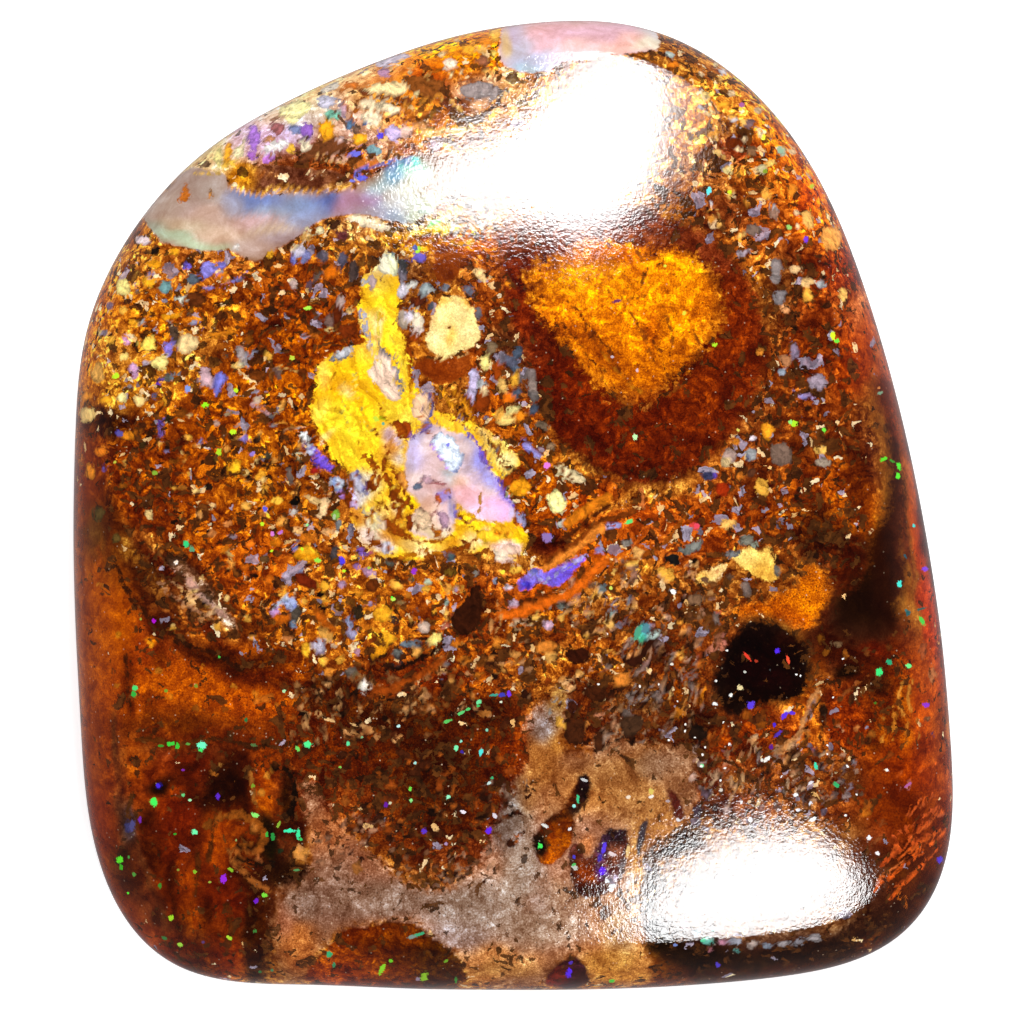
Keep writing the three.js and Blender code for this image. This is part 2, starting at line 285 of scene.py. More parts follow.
# soft paint: layer, x, y, radii, turn, colour, strength
PAINT = [
    ('M', 230, 360, 190.0, 130.0, 0, (172, 80, 0), 1.0),
    ('M', 120, 330, 60.0, 90.0, 10, (199, 107, 11), 0.8),
    ('M', 150, 372, 60.0, 46.0, 0, (216, 136, 35), 0.75),
    ('M', 110, 395, 36.0, 36.0, 0, (206, 137, 33), 0.7),
    ('M', 300, 330, 70.0, 70.0, 0, (132, 46, 0), 0.8),
    ('M', 255, 300, 70.0, 30.0, -10, (151, 61, 5), 0.7),
    ('M', 200, 262, 70.0, 26.0, -8, (193, 107, 37), 0.7),
    ('M', 118, 262, 34.0, 30.0, 0, (207, 126, 34), 0.7),
    ('M', 95, 340, 20.0, 60.0, 5, (205, 101, 0), 0.7),
    ('M', 190, 330, 60.0, 24.0, 0, (181, 85, 0), 0.8),
    ('M', 246, 415, 60.0, 60.0, 0, (180, 83, 0), 0.8),
    ('M', 205, 345, 30.0, 30.0, 0, (191, 127, 52), 0.5),
    ('M', 200, 500, 150.0, 110.0, 0, (150, 59, 0), 0.9),
    ('M', 270, 480, 60.0, 60.0, 0, (182, 94, 6), 0.8),
    ('M', 160, 520, 60.0, 60.0, 0, (114, 38, 0), 0.8),
    ('M', 110, 425, 30.0, 16.0, 0, (57, 17, 0), 0.85),
    ('M', 98, 445, 22.0, 14.0, 0, (80, 26, 0), 0.7),
    ('M', 140, 470, 50.0, 30.0, 0, (132, 48, 0), 0.7),
    ('M', 300, 610, 130.0, 60.0, 0, (171, 75, 3), 0.85),
    ('M', 350, 630, 90.0, 46.0, 0, (187, 101, 17), 0.7),
    ('M', 255, 560, 50.0, 40.0, 0, (162, 62, 1), 0.7),
    ('M', 395, 600, 60.0, 46.0, 0, (191, 104, 16), 0.7),
    ('M', 330, 560, 40.0, 30.0, 0, (193, 106, 31), 0.6),
    ('M', 190, 590, 60.0, 22.0, 38, (78, 26, 0), 0.85),
    ('M', 250, 640, 60.0, 20.0, 30, (65, 18, 0), 0.85),
    ('M', 165, 565, 50.0, 18.0, 40, (73, 26, 0), 0.7),
    ('M', 300, 670, 60.0, 18.0, 14, (85, 25, 0), 0.8),
    ('M', 360, 655, 50.0, 14.0, 10, (121, 45, 0), 0.6),
    ('M', 410, 690, 60.0, 14.0, -16, (122, 35, 0), 0.7),
    ('M', 395, 660, 60.0, 9.0, -30, (65, 16, 0), 0.8),
    ('M', 88, 560, 24.0, 110.0, 0, (113, 43, 0), 0.95),
    ('M', 98, 520, 12.0, 40.0, 8, (88, 53, 11), 0.75),
    ('M', 116, 560, 14.0, 26.0, 12, (75, 41, 5), 0.6),
    ('M', 92, 470, 18.0, 36.0, 0, (119, 38, 0), 0.8),
    ('M', 128, 545, 11.0, 26.0, -22, (162, 100, 23), 0.8),
    ('M', 150, 580, 14.0, 36.0, -38, (108, 58, 10), 0.8),
    ('M', 205, 618, 44.0, 13.0, 34, (189, 118, 47), 0.75),
    ('M', 180, 604, 34.0, 10.0, 36, (108, 62, 18), 0.75),
    ('M', 225, 640, 22.0, 9.0, 30, (108, 63, 19), 0.6),
    ('M', 100, 640, 30.0, 50.0, 0, (151, 63, 0), 0.95),
    ('M', 120, 620, 30.0, 30.0, 0, (139, 47, 0), 0.8),
    ('M', 100, 700, 30.0, 90.0, 0, (139, 52, 0), 0.95),
    ('M', 95, 800, 26.0, 90.0, 0, (120, 37, 0), 0.95),
    ('M', 190, 690, 110.0, 60.0, 0, (165, 66, 0), 0.95),
    ('M', 225, 700, 70.0, 36.0, 0, (181, 79, 0), 0.8),
    ('M', 180, 720, 40.0, 22.0, 0, (134, 58, 4), 0.6),
    ('M', 145, 660, 30.0, 50.0, -10, (122, 31, 0), 0.8),
    ('M', 250, 680, 60.0, 30.0, 0, (175, 72, 0), 0.7),
    ('M', 300, 710, 50.0, 26.0, 0, (181, 83, 0), 0.7),
    ('M', 262, 740, 60.0, 12.0, 0, (96, 27, 0), 0.8),
    ('M', 330, 700, 30.0, 40.0, 0, (96, 36, 0), 0.7),
    ('M', 150, 725, 40.0, 16.0, 0, (104, 37, 0), 0.6),
    ('M', 155, 690, 9.0, 44.0, 6, (48, 9, 0), 0.85),
    ('M', 212, 820, 90.0, 110.0, 0, (76, 16, 0), 0.95),
    ('M', 170, 780, 40.0, 30.0, 0, (94, 20, 0), 0.8),
    ('M', 165, 782, 14.0, 10.0, 0, (23, 4, 0), 0.9),
    ('M', 235, 780, 26.0, 34.0, 0, (45, 11, 0), 0.9),
    ('M', 216, 800, 14.0, 18.0, 0, (31, 6, 0), 0.85),
    ('M', 266, 770, 18.0, 36.0, 8, (140, 47, 0), 0.85),
    ('M', 252, 812, 36.0, 12.0, -12, (144, 52, 0), 0.8),
    ('M', 216, 838, 14.0, 34.0, 10, (145, 50, 0), 0.85),
    ('M', 248, 850, 30.0, 12.0, 10, (143, 47, 0), 0.7),
    ('M', 240, 832, 14.0, 10.0, 0, (119, 34, 0), 0.8),
    ('M', 262, 850, 28.0, 10.0, 0, (34, 8, 0), 0.8),
    ('M', 290, 820, 24.0, 24.0, 0, (63, 14, 0), 0.85),
    ('M', 284, 870, 26.0, 14.0, 0, (29, 11, 0), 0.9),
    ('M', 292, 800, 18.0, 12.0, 0, (121, 41, 0), 0.8),
    ('M', 165, 850, 30.0, 60.0, 20, (63, 12, 0), 0.85),
    ('M', 196, 900, 40.0, 40.0, 0, (99, 25, 0), 0.85),
    ('M', 190, 905, 8.0, 30.0, 4, (39, 9, 0), 0.85),
    ('M', 206, 915, 7.0, 26.0, 0, (129, 48, 0), 0.7),
    ('M', 180, 930, 12.0, 30.0, -30, (56, 12, 0), 0.8),
    ('M', 235, 890, 30.0, 30.0, 0, (89, 17, 0), 0.85),
    ('M', 262, 910, 18.0, 50.0, 0, (52, 12, 0), 0.85),
    ('M', 215, 950, 50.0, 26.0, 0, (66, 21, 0), 0.85),
    ('M', 228, 960, 22.0, 22.0, 0, (137, 44, 0), 0.85),
    ('M', 258, 955, 14.0, 40.0, 0, (39, 12, 0), 0.85),
    ('M', 190, 950, 30.0, 12.0, 30, (79, 20, 0), 0.7),
    ('M', 125, 860, 40.0, 60.0, 20, (119, 39, 0), 0.85),
    ('M', 130, 826, 10.0, 34.0, -14, (72, 43, 28), 0.85),
    ('M', 148, 900, 40.0, 13.0, 52, (76, 44, 30), 0.8),
    ('M', 140, 860, 14.0, 20.0, 0, (74, 28, 1), 0.7),
    ('M', 120, 900, 26.0, 30.0, 30, (103, 38, 7), 0.8),
    ('M', 165, 945, 50.0, 14.0, 38, (93, 36, 9), 0.75),
    ('M', 112, 870, 14.0, 44.0, -20, (102, 37, 0), 0.7),
    ('M', 150, 940, 60.0, 9.0, 44, (123, 41, 9), 0.6),
    ('M', 120, 905, 50.0, 8.0, 60, (118, 42, 7), 0.6),
    ('M', 420, 760, 120.0, 80.0, 0, (112, 36, 0), 0.95),
    ('M', 370, 740, 50.0, 50.0, 0, (87, 27, 0), 0.8),
    ('M', 330, 760, 30.0, 50.0, 0, (78, 24, 0), 0.8),
    ('M', 440, 690, 80.0, 40.0, 0, (141, 53, 3), 0.85),
    ('M', 400, 700, 40.0, 20.0, 0, (150, 69, 16), 0.6),
    ('M', 455, 660, 50.0, 40.0, 0, (151, 61, 2), 0.7),
    ('M', 490, 740, 30.0, 40.0, 0, (152, 48, 0), 0.8),
    ('M', 480, 710, 20.0, 14.0, 0, (55, 11, 0), 0.9),
    ('M', 505, 755, 20.0, 30.0, 0, (174, 65, 0), 0.7),
    ('M', 470, 790, 40.0, 30.0, 0, (106, 28, 0), 0.8),
    ('M', 430, 770, 40.0, 30.0, 0, (76, 19, 0), 0.8),
    ('M', 400, 800, 60.0, 40.0, 0, (141, 54, 5), 0.8),
    ('M', 450, 840, 50.0, 30.0, 0, (112, 33, 0), 0.8),
    ('M', 440, 870, 40.0, 16.0, 0, (129, 62, 20), 0.8),
    ('M', 486, 830, 20.0, 30.0, 0, (92, 25, 0), 0.8),
    ('M', 500, 790, 14.0, 30.0, 0, (67, 19, 0), 0.8),
    ('M', 350, 800, 40.0, 26.0, 0, (151, 58, 5), 0.8),
    ('M', 370, 720, 40.0, 16.0, 0, (112, 47, 8), 0.7),
    ('M', 470, 250, 50.0, 24.0, 0, (150, 69, 19), 0.8),
    ('M', 398, 262, 24.0, 36.0, 0, (108, 56, 22), 0.8),
    ('M', 486, 300, 26.0, 70.0, 0, (151, 64, 8), 0.9),
    ('M', 500, 360, 40.0, 50.0, 0, (132, 46, 0), 0.9),
    ('M', 516, 410, 36.0, 50.0, 20, (151, 59, 0), 0.9),
    ('M', 530, 440, 30.0, 26.0, 30, (174, 84, 6), 0.7),
    ('M', 492, 340, 14.0, 20.0, 0, (88, 47, 20), 0.6),
    ('M', 515, 360, 16.0, 40.0, -14, (71, 35, 16), 0.7),
    ('M', 545, 500, 44.0, 50.0, 0, (181, 83, 0), 0.9),
    ('M', 520, 480, 16.0, 20.0, 0, (112, 33, 0), 0.8),
    ('M', 555, 510, 30.0, 30.0, 0, (152, 55, 0), 0.7),
    ('M', 545, 540, 22.0, 16.0, 0, (72, 12, 0), 0.85),
    ('M', 570, 520, 14.0, 12.0, 0, (175, 72, 0), 0.7),
    ('M', 590, 500, 40.0, 16.0, -30, (187, 71, 0), 0.8),
    ('M', 560, 550, 16.0, 14.0, 0, (82, 17, 0), 0.8),
    ('M', 590, 560, 100.0, 20.0, -28, (206, 85, 0), 0.85),
    ('M', 640, 515, 50.0, 12.0, -14, (207, 76, 0), 0.8),
    ('M', 520, 600, 50.0, 20.0, -10, (203, 78, 0), 0.85),
    ('M', 500, 590, 30.0, 20.0, 0, (194, 96, 21), 0.7),
    ('M', 470, 610, 40.0, 40.0, 0, (141, 50, 1), 0.85),
    ('M', 480, 640, 40.0, 26.0, 0, (95, 19, 0), 0.8),
    ('M', 440, 600, 50.0, 40.0, 0, (171, 75, 6), 0.8),
    ('M', 550, 640, 70.0, 44.0, 0, (158, 71, 6), 0.85),
    ('M', 590, 620, 50.0, 40.0, 0, (145, 70, 13), 0.8),
    ('M', 620, 600, 50.0, 30.0, -10, (150, 70, 10), 0.8),
    ('M', 640, 650, 40.0, 26.0, 0, (119, 58, 15), 0.8),
    ('M', 600, 680, 40.0, 20.0, 0, (180, 85, 5), 0.7),
    ('M', 660, 680, 40.0, 20.0, 0, (92, 25, 0), 0.7),
    ('M', 680, 540, 60.0, 34.0, 0, (159, 64, 8), 0.9),
    ('M', 720, 520, 50.0, 30.0, 0, (160, 61, 1), 0.85),
    ('M', 760, 490, 60.0, 50.0, 0, (138, 49, 3), 0.9),
    ('M', 740, 470, 30.0, 40.0, 30, (150, 70, 12), 0.7),
    ('M', 705, 610, 60.0, 40.0, 0, (128, 55, 9), 0.85),
    ('M', 700, 650, 50.0, 40.0, 0, (104, 39, 5), 0.85),
    ('M', 740, 585, 40.0, 14.0, 30, (119, 56, 10), 0.8),
    ('M', 770, 570, 22.0, 40.0, 0, (110, 45, 4), 0.7),
    ('M', 720, 700, 50.0, 30.0, 0, (121, 44, 2), 0.8),
    ('M', 700, 690, 40.0, 30.0, 0, (140, 62, 9), 0.7),
    ('M', 655, 720, 34.0, 20.0, 0, (96, 34, 4), 0.8),
    ('M', 620, 700, 40.0, 14.0, 0, (139, 65, 16), 0.7),
    ('M', 590, 720, 30.0, 30.0, 0, (97, 29, 0), 0.85),
    ('M', 790, 380, 44.0, 60.0, 0, (109, 36, 0), 0.9),
    ('M', 780, 440, 50.0, 50.0, 0, (110, 44, 7), 0.85),
    ('M', 830, 420, 30.0, 40.0, 0, (111, 38, 2), 0.85),
    ('M', 810, 470, 60.0, 40.0, 0, (111, 42, 3), 0.85),
    ('M', 800, 520, 40.0, 40.0, 0, (117, 42, 1), 0.8),
    ('M', 850, 500, 26.0, 44.0, -8, (191, 79, 0), 0.85),
    ('M', 830, 540, 30.0, 40.0, 0, (89, 29, 0), 0.85),
    ('M', 845, 560, 20.0, 24.0, 0, (129, 33, 0), 0.8),
    ('M', 825, 600, 14.0, 20.0, 0, (68, 14, 0), 0.8),
    ('M', 770, 170, 90.0, 90.0, 40, (237, 124, 10), 0.95),
    ('M', 716, 110, 40.0, 50.0, 40, (267, 166, 50), 0.9),
    ('M', 790, 200, 50.0, 70.0, 20, (239, 111, 6), 0.85),
    ('M', 735, 150, 26.0, 14.0, 0, (135, 50, 13), 0.8),
    ('M', 728, 132, 22.0, 16.0, 20, (153, 95, 40), 0.8),
    ('M', 735, 152, 30.0, 14.0, 0, (119, 29, 0), 0.85),
    ('M', 700, 170, 40.0, 24.0, 0, (205, 144, 98), 0.8),
    ('M', 735, 185, 50.0, 24.0, 0, (179, 95, 27), 0.8),
    ('M', 770, 230, 44.0, 40.0, 0, (150, 64, 13), 0.85),
    ('M', 716, 214, 40.0, 26.0, 0, (104, 40, 12), 0.85),
    ('M', 700, 250, 40.0, 14.0, 20, (91, 29, 4), 0.8),
    ('M', 815, 195, 14.0, 40.0, 25, (240, 91, 0), 0.8),
    ('M', 838, 240, 26.0, 60.0, 22, (212, 91, 6), 0.9),
    ('M', 800, 260, 24.0, 20.0, 0, (78, 17, 0), 0.85),
    ('M', 860, 330, 24.0, 70.0, 10, (180, 66, 1), 0.9),
    ('M', 820, 290, 40.0, 40.0, 0, (129, 42, 2), 0.85),
    ('M', 845, 270, 20.0, 26.0, 10, (122, 29, 1), 0.8),
    ('M', 782, 290, 20.0, 40.0, 0, (94, 42, 10), 0.8),
    ('M', 815, 340, 30.0, 36.0, 0, (103, 29, 0), 0.85),
    ('M', 852, 360, 26.0, 40.0, 0, (139, 42, 0), 0.85),
    ('M', 865, 290, 10.0, 40.0, 15, (237, 132, 71), 0.7),
    ('M', 884, 370, 10.0, 30.0, 12, (178, 71, 30), 0.8),
    ('M', 905, 420, 16.0, 60.0, -10, (112, 26, 0), 0.95),
    ('M', 920, 500, 14.0, 60.0, -8, (85, 25, 6), 0.95),
    ('M', 930, 580, 14.0, 60.0, -6, (76, 18, 2), 0.9),
    ('M', 895, 410, 12.0, 30.0, -14, (140, 34, 0), 0.8),
    ('M', 888, 390, 16.0, 16.0, 0, (121, 37, 3), 0.8),
    ('M', 940, 640, 12.0, 50.0, -4, (133, 34, 3), 0.85),
    ('M', 880, 660, 60.0, 40.0, 0, (101, 28, 0), 0.95),
    ('M', 845, 675, 18.0, 9.0, 0, (26, 4, 0), 0.95),
    ('M', 858, 650, 26.0, 12.0, 0, (78, 11, 0), 0.8),
    ('M', 840, 690, 40.0, 12.0, -40, (175, 73, 7), 0.7),
    ('M', 910, 710, 36.0, 50.0, 0, (168, 67, 1), 0.95),
    ('M', 890, 690, 16.0, 20.0, 0, (71, 21, 0), 0.8),
    ('M', 912, 730, 20.0, 30.0, 0, (185, 79, 6), 0.8),
    ('M', 850, 730, 40.0, 50.0, 0, (112, 34, 0), 0.9),
    ('M', 880, 760, 40.0, 50.0, 0, (132, 40, 0), 0.85),
    ('M', 800, 700, 20.0, 50.0, -25, (200, 98, 11), 0.85),
    ('M', 796, 735, 12.0, 36.0, -25, (185, 83, 9), 0.8),
    ('M', 770, 740, 40.0, 30.0, 0, (132, 40, 0), 0.85),
    ('M', 735, 740, 40.0, 20.0, 0, (97, 29, 0), 0.85),
    ('M', 715, 760, 30.0, 24.0, 0, (80, 26, 0), 0.8),
    ('M', 740, 790, 50.0, 24.0, 0, (172, 92, 39), 0.85),
    ('M', 790, 790, 50.0, 30.0, 0, (139, 65, 19), 0.85),
    ('M', 750, 770, 30.0, 16.0, 0, (194, 96, 29), 0.7),
    ('M', 820, 800, 40.0, 24.0, 0, (117, 66, 28), 0.8),
    ('M', 850, 790, 50.0, 30.0, 0, (129, 62, 13), 0.8),
    ('M', 700, 800, 24.0, 20.0, 0, (83, 39, 9), 0.8),
    ('M', 660, 785, 14.0, 22.0, -10, (76, 26, 2), 0.7),
    ('M', 910, 800, 50.0, 60.0, 0, (134, 41, 0), 0.95),
    ('M', 935, 800, 20.0, 60.0, 0, (172, 65, 5), 0.85),
    ('M', 905, 850, 50.0, 60.0, 0, (106, 33, 0), 0.9),
    ('M', 880, 850, 30.0, 20.0, -38, (132, 43, 7), 0.7),
    ('M', 925, 880, 20.0, 50.0, 10, (86, 26, 0), 0.9),
    ('M', 890, 910, 40.0, 30.0, -30, (63, 25, 4), 0.9),
    ('M', 880, 890, 30.0, 20.0, 0, (84, 61, 59), 0.8),
    ('M', 900, 880, 10.0, 30.0, -20, (151, 59, 2), 0.8),
    ('M', 905, 915, 14.0, 24.0, -14, (133, 48, 0), 0.8),
    # dark band on the bottom shoulder below the lower highlight: dark stone, darkened further as a painted dark
    # reflection of the steep shoulder
    ('M', 870, 930, 60.0, 16.0, -24, (50, 21, 2), 0.9),
    ('M', 760, 955, 120.0, 26.0, -6, (44, 14, 2), 0.95),
    ('M', 860, 945, 60.0, 14.0, -30, (59, 24, 0), 0.85),
    ('M', 690, 950, 40.0, 34.0, 0, (50, 17, 4), 0.95),
    ('M', 660, 930, 20.0, 40.0, -20, (25, 9, 4), 0.95),
    ('M', 700, 970, 30.0, 14.0, 0, (112, 36, 0), 0.7),
    ('M', 675, 965, 14.0, 22.0, -24, (150, 69, 16), 0.6),
    ('M', 650, 970, 22.0, 22.0, 0, (194, 96, 0), 0.8),
    ('M', 640, 985, 40.0, 8.0, 0, (121, 45, 0), 0.7),
    # painted reflection: a pinkish grey laid exactly under the lower highlight, standing in for its haze
    ('M', 765, 882, 120.0, 56.0, 0, (121, 89, 78), 0.8),
    ('M', 672, 842, 22.0, 12.0, -20, (25, 9, 4), 0.95),
    ('M', 690, 838, 18.0, 10.0, -20, (39, 18, 7), 0.9),
    ('M', 450, 80, 110.0, 34.0, -16, (238, 122, 5), 0.95),
    ('M', 400, 92, 50.0, 18.0, -10, (266, 178, 62), 0.85),
    ('M', 470, 50, 50.0, 18.0, -20, (286, 165, 0), 0.85),
    ('M', 430, 100, 50.0, 16.0, -14, (219, 110, 16), 0.85),
    ('M', 428, 84, 22.0, 18.0, 0, (171, 55, 0), 0.8),
    ('M', 485, 92, 40.0, 22.0, -10, (192, 140, 113), 0.9),
    ('M', 480, 104, 16.0, 10.0, 0, (271, 177, 76), 0.8),
    ('M', 452, 112, 20.0, 14.0, 0, (102, 31, 1), 0.8),
    ('M', 470, 120, 20.0, 8.0, 0, (170, 136, 130), 0.7),
    ('M', 450, 128, 60.0, 10.0, -12, (279, 214, 98), 0.8),
    ('M', 400, 130, 50.0, 12.0, -6, (261, 153, 39), 0.7),
    ('M', 380, 140, 40.0, 14.0, 0, (235, 182, 163), 0.7),
    ('M', 520, 90, 30.0, 20.0, 0, (279, 214, 125), 0.7),
    ('M', 300, 110, 70.0, 26.0, -28, (262, 210, 126), 0.95),
    ('M', 250, 150, 60.0, 30.0, -34, (234, 193, 173), 0.9),
    ('M', 330, 90, 60.0, 14.0, -26, (275, 214, 112), 0.8),
    ('M', 370, 75, 50.0, 12.0, -22, (234, 143, 74), 0.8),
    ('M', 230, 160, 26.0, 16.0, -30, (284, 221, 111), 0.8),
    ('M', 350, 130, 40.0, 30.0, 0, (217, 135, 39), 0.7),
    ('M', 395, 150, 40.0, 14.0, -14, (217, 133, 58), 0.7),
    ('M', 316, 170, 70.0, 26.0, 0, (135, 55, 10), 0.95),
    ('M', 240, 180, 26.0, 16.0, 0, (285, 178, 0), 0.9),
    ('M', 310, 150, 50.0, 14.0, -10, (116, 48, 13), 0.85),
    ('M', 345, 160, 40.0, 12.0, 20, (169, 78, 16), 0.8),
    ('M', 300, 190, 80.0, 7.0, 2, (281, 203, 59), 0.8),
    ('M', 365, 228, 40.0, 14.0, 6, (244, 171, 90), 0.9),
    ('M', 400, 240, 30.0, 12.0, 0, (208, 126, 25), 0.8),
    ('M', 440, 236, 50.0, 14.0, -4, (255, 171, 17), 0.95),
    ('M', 430, 224, 30.0, 10.0, -10, (223, 199, 126), 0.8),
    ('M', 470, 244, 40.0, 12.0, 0, (234, 112, 0), 0.85),
    ('M', 475, 222, 30.0, 10.0, 0, (236, 198, 166), 0.7),
    ('vein', 200, 200, 200.0, 60.0, 0, (186, 152, 140), 1),
    ('vein', 190, 180, 40.0, 26.0, -40, (167, 138, 123), 0.9),
    ('vein', 160, 205, 26.0, 20.0, -40, (180, 152, 133), 0.8),
    ('vein', 212, 190, 20.0, 20.0, 0, (172, 152, 139), 0.8),
    ('vein', 184, 228, 34.0, 12.0, 4, (203, 176, 144), 0.9),
    ('vein', 150, 228, 14.0, 10.0, 0, (152, 161, 140), 0.7),
    ('vein', 172, 238, 24.0, 7.0, 10, (167, 180, 146), 0.85),
    ('vein', 205, 246, 34.0, 7.0, 0, (190, 201, 163), 0.9),
    ('vein', 222, 232, 26.0, 10.0, -6, (214, 176, 146), 0.8),
    ('vein', 210, 216, 24.0, 9.0, 0, (201, 165, 144), 0.7),
    ('vein', 262, 202, 34.0, 14.0, 4, (121, 131, 172), 0.95),
    ('vein', 252, 196, 24.0, 8.0, 0, (108, 123, 177), 0.8),
    ('vein', 232, 204, 14.0, 10.0, 0, (161, 152, 163), 0.8),
    ('vein', 276, 212, 26.0, 8.0, 0, (159, 163, 176), 0.8),
    ('vein', 258, 222, 24.0, 9.0, 0, (210, 167, 163), 0.85),
    ('vein', 282, 228, 26.0, 8.0, -10, (195, 167, 158), 0.85),
    ('vein', 268, 236, 30.0, 7.0, -6, (210, 180, 149), 0.8),
    ('vein', 300, 222, 18.0, 9.0, -12, (152, 152, 176), 0.85),
    ('vein', 318, 204, 26.0, 12.0, -6, (102, 112, 167), 0.95),
    ('vein', 330, 200, 12.0, 8.0, 0, (87, 102, 168), 0.85),
    ('vein', 298, 205, 18.0, 9.0, 0, (133, 148, 181), 0.8),
    ('vein', 305, 214, 26.0, 6.0, -20, (142, 148, 176), 0.6),
    ('vein', 312, 222, 20.0, 6.0, -28, (142, 142, 167), 0.7),
    ('vein', 252, 246, 20.0, 10.0, 0, (195, 163, 149), 0.85),
    ('vein', 285, 240, 22.0, 6.0, -8, (161, 142, 158), 0.6),
    ('vein', 352, 204, 20.0, 14.0, 0, (178, 129, 156), 0.95),
    ('vein', 370, 200, 14.0, 12.0, 0, (171, 133, 172), 0.85),
    ('vein', 390, 214, 20.0, 14.0, 0, (152, 155, 179), 0.9),
    ('vein', 366, 216, 30.0, 7.0, 0, (167, 157, 172), 0.8),
    ('vein', 345, 212, 14.0, 8.0, 0, (180, 142, 158), 0.7),
    ('vein', 384, 185, 20.0, 12.0, -20, (167, 186, 188), 0.9),
    ('vein', 400, 200, 18.0, 16.0, 0, (195, 190, 181), 0.85),
    ('vein', 396, 172, 16.0, 10.0, -30, (104, 152, 181), 0.9),
    ('vein', 390, 165, 10.0, 5.0, -30, (76, 104, 188), 0.7),
    ('vein', 402, 165, 10.0, 5.0, -30, (85, 180, 167), 0.9),
    ('vein', 414, 166, 14.0, 12.0, 0, (123, 210, 190), 0.95),
    ('vein', 408, 158, 8.0, 5.0, -20, (85, 85, 184), 0.8),
    ('vein', 418, 178, 14.0, 10.0, 0, (199, 224, 198), 0.9),
    ('vein', 408, 190, 14.0, 10.0, 0, (203, 205, 181), 0.7),
    ('vein', 426, 205, 18.0, 12.0, 0, (186, 201, 181), 0.85),
    ('vein', 440, 208, 20.0, 10.0, 0, (195, 203, 167), 0.8),
    ('vein', 402, 220, 16.0, 8.0, 0, (142, 152, 167), 0.85),
    ('vein', 425, 217, 20.0, 6.0, 0, (180, 190, 154), 0.8),
    ('cap', 580, 50, 120.0, 50.0, 0, (232, 186, 188), 1),
    ('cap', 560, 40, 60.0, 16.0, 0, (246, 182, 182), 0.95),
    ('cap', 540, 48, 30.0, 12.0, 0, (236, 190, 200), 0.8),
    ('cap', 600, 34, 60.0, 10.0, 0, (224, 176, 190), 0.85),
    ('cap', 655, 34, 20.0, 10.0, 0, (214, 210, 206), 0.8),
    ('cap', 516, 50, 18.0, 24.0, 0, (196, 190, 206), 0.95),
    ('cap', 510, 34, 12.0, 10.0, 0, (196, 170, 190), 0.8),
    ('cap', 540, 62, 30.0, 10.0, -10, (186, 194, 222), 0.9),
    ('cap', 560, 60, 30.0, 8.0, -14, (206, 200, 222), 0.8),
    ('cap', 528, 70, 18.0, 6.0, 0, (176, 200, 214), 0.85),
    ('cap', 575, 50, 30.0, 10.0, -14, (250, 206, 200), 0.8),
    ('cap', 620, 44, 26.0, 8.0, -14, (250, 190, 170), 0.7),
    ('cap', 650, 46, 20.0, 8.0, 0, (236, 226, 190), 0.7),
    ('cap', 505, 44, 7.0, 14.0, 10, (230, 190, 120), 0.8),
    ('brown', 640, 360, 200.0, 200.0, 0, (88, 19, 0), 1),
    ('brown', 560, 260, 50.0, 40.0, 0, (116, 30, 1), 0.8),
    ('brown', 520, 300, 26.0, 50.0, 0, (103, 23, 0), 0.8),
    ('brown', 560, 400, 40.0, 40.0, 20, (80, 13, 0), 0.85),
    ('brown', 610, 450, 60.0, 30.0, 20, (97, 22, 0), 0.8),
    ('brown', 680, 440, 50.0, 40.0, 0, (109, 30, 0), 0.8),
    ('brown', 730, 370, 40.0, 60.0, 0, (105, 28, 0), 0.8),
    ('brown', 735, 310, 30.0, 40.0, 0, (126, 37, 0), 0.7),
    ('brown', 600, 240, 100.0, 14.0, 0, (132, 57, 20), 0.8),
    ('brown', 700, 240, 30.0, 16.0, 20, (114, 40, 10), 0.8),
    ('brown', 520, 235, 30.0, 20.0, 0, (132, 63, 26), 0.8),
    ('brown', 500, 240, 14.0, 14.0, 0, (124, 47, 14), 0.8),
    ('brown', 525, 275, 20.0, 30.0, -20, (95, 21, 0), 0.7),
    ('brown', 590, 380, 40.0, 26.0, 30, (116, 30, 0), 0.7),
    ('brown', 640, 405, 40.0, 20.0, 0, (126, 35, 0), 0.6),
    ('brown', 700, 395, 26.0, 30.0, -30, (109, 31, 0), 0.6),
    ('brown', 640, 475, 50.0, 10.0, 0, (64, 11, 0), 0.7),
    ('brown', 590, 466, 20.0, 10.0, 30, (53, 8, 0), 0.7),
    ('oval', 620, 310, 120.0, 90.0, 0, (236, 124, 0), 1),
    ('oval', 600, 275, 60.0, 26.0, -8, (250, 141, 0), 0.9),
    ('oval', 570, 285, 34.0, 22.0, 10, (245, 147, 0), 0.8),
    ('oval', 545, 280, 16.0, 14.0, 0, (234, 117, 0), 0.7),
    ('oval', 620, 255, 50.0, 12.0, 0, (239, 105, 0), 0.8),
    ('oval', 660, 275, 40.0, 26.0, 10, (246, 137, 0), 0.85),
    ('oval', 690, 285, 18.0, 22.0, 0, (242, 147, 0), 0.8),
    ('oval', 600, 310, 50.0, 24.0, 20, (252, 141, 0), 0.85),
    ('oval', 650, 310, 40.0, 30.0, 0, (229, 120, 0), 0.7),
    ('oval', 680, 320, 26.0, 26.0, 0, (218, 118, 0), 0.8),
    ('oval', 640, 350, 50.0, 26.0, 0, (219, 116, 0), 0.85),
    ('oval', 600, 345, 26.0, 20.0, 30, (198, 97, 0), 0.85),
    ('oval', 660, 365, 26.0, 16.0, 0, (208, 108, 0), 0.85),
    ('oval', 630, 378, 30.0, 12.0, 0, (192, 93, 0), 0.8),
    ('oval', 560, 320, 16.0, 12.0, 40, (203, 92, 0), 0.8),
    ('oval', 652, 385, 12.0, 8.0, 0, (181, 82, 0), 0.8),
    ('oval', 613, 262, 10.0, 6.0, 0, (255, 172, 6), 0.5),
    ('stone', 480, 850, 260.0, 160.0, 0, (168, 110, 78), 1),
    ('stone', 335, 870, 34.0, 40.0, 0, (156, 90, 57), 0.9),
    ('stone', 330, 830, 20.0, 30.0, 20, (161, 84, 38), 0.8),
    ('stone', 345, 900, 50.0, 20.0, 0, (128, 92, 79), 0.9),
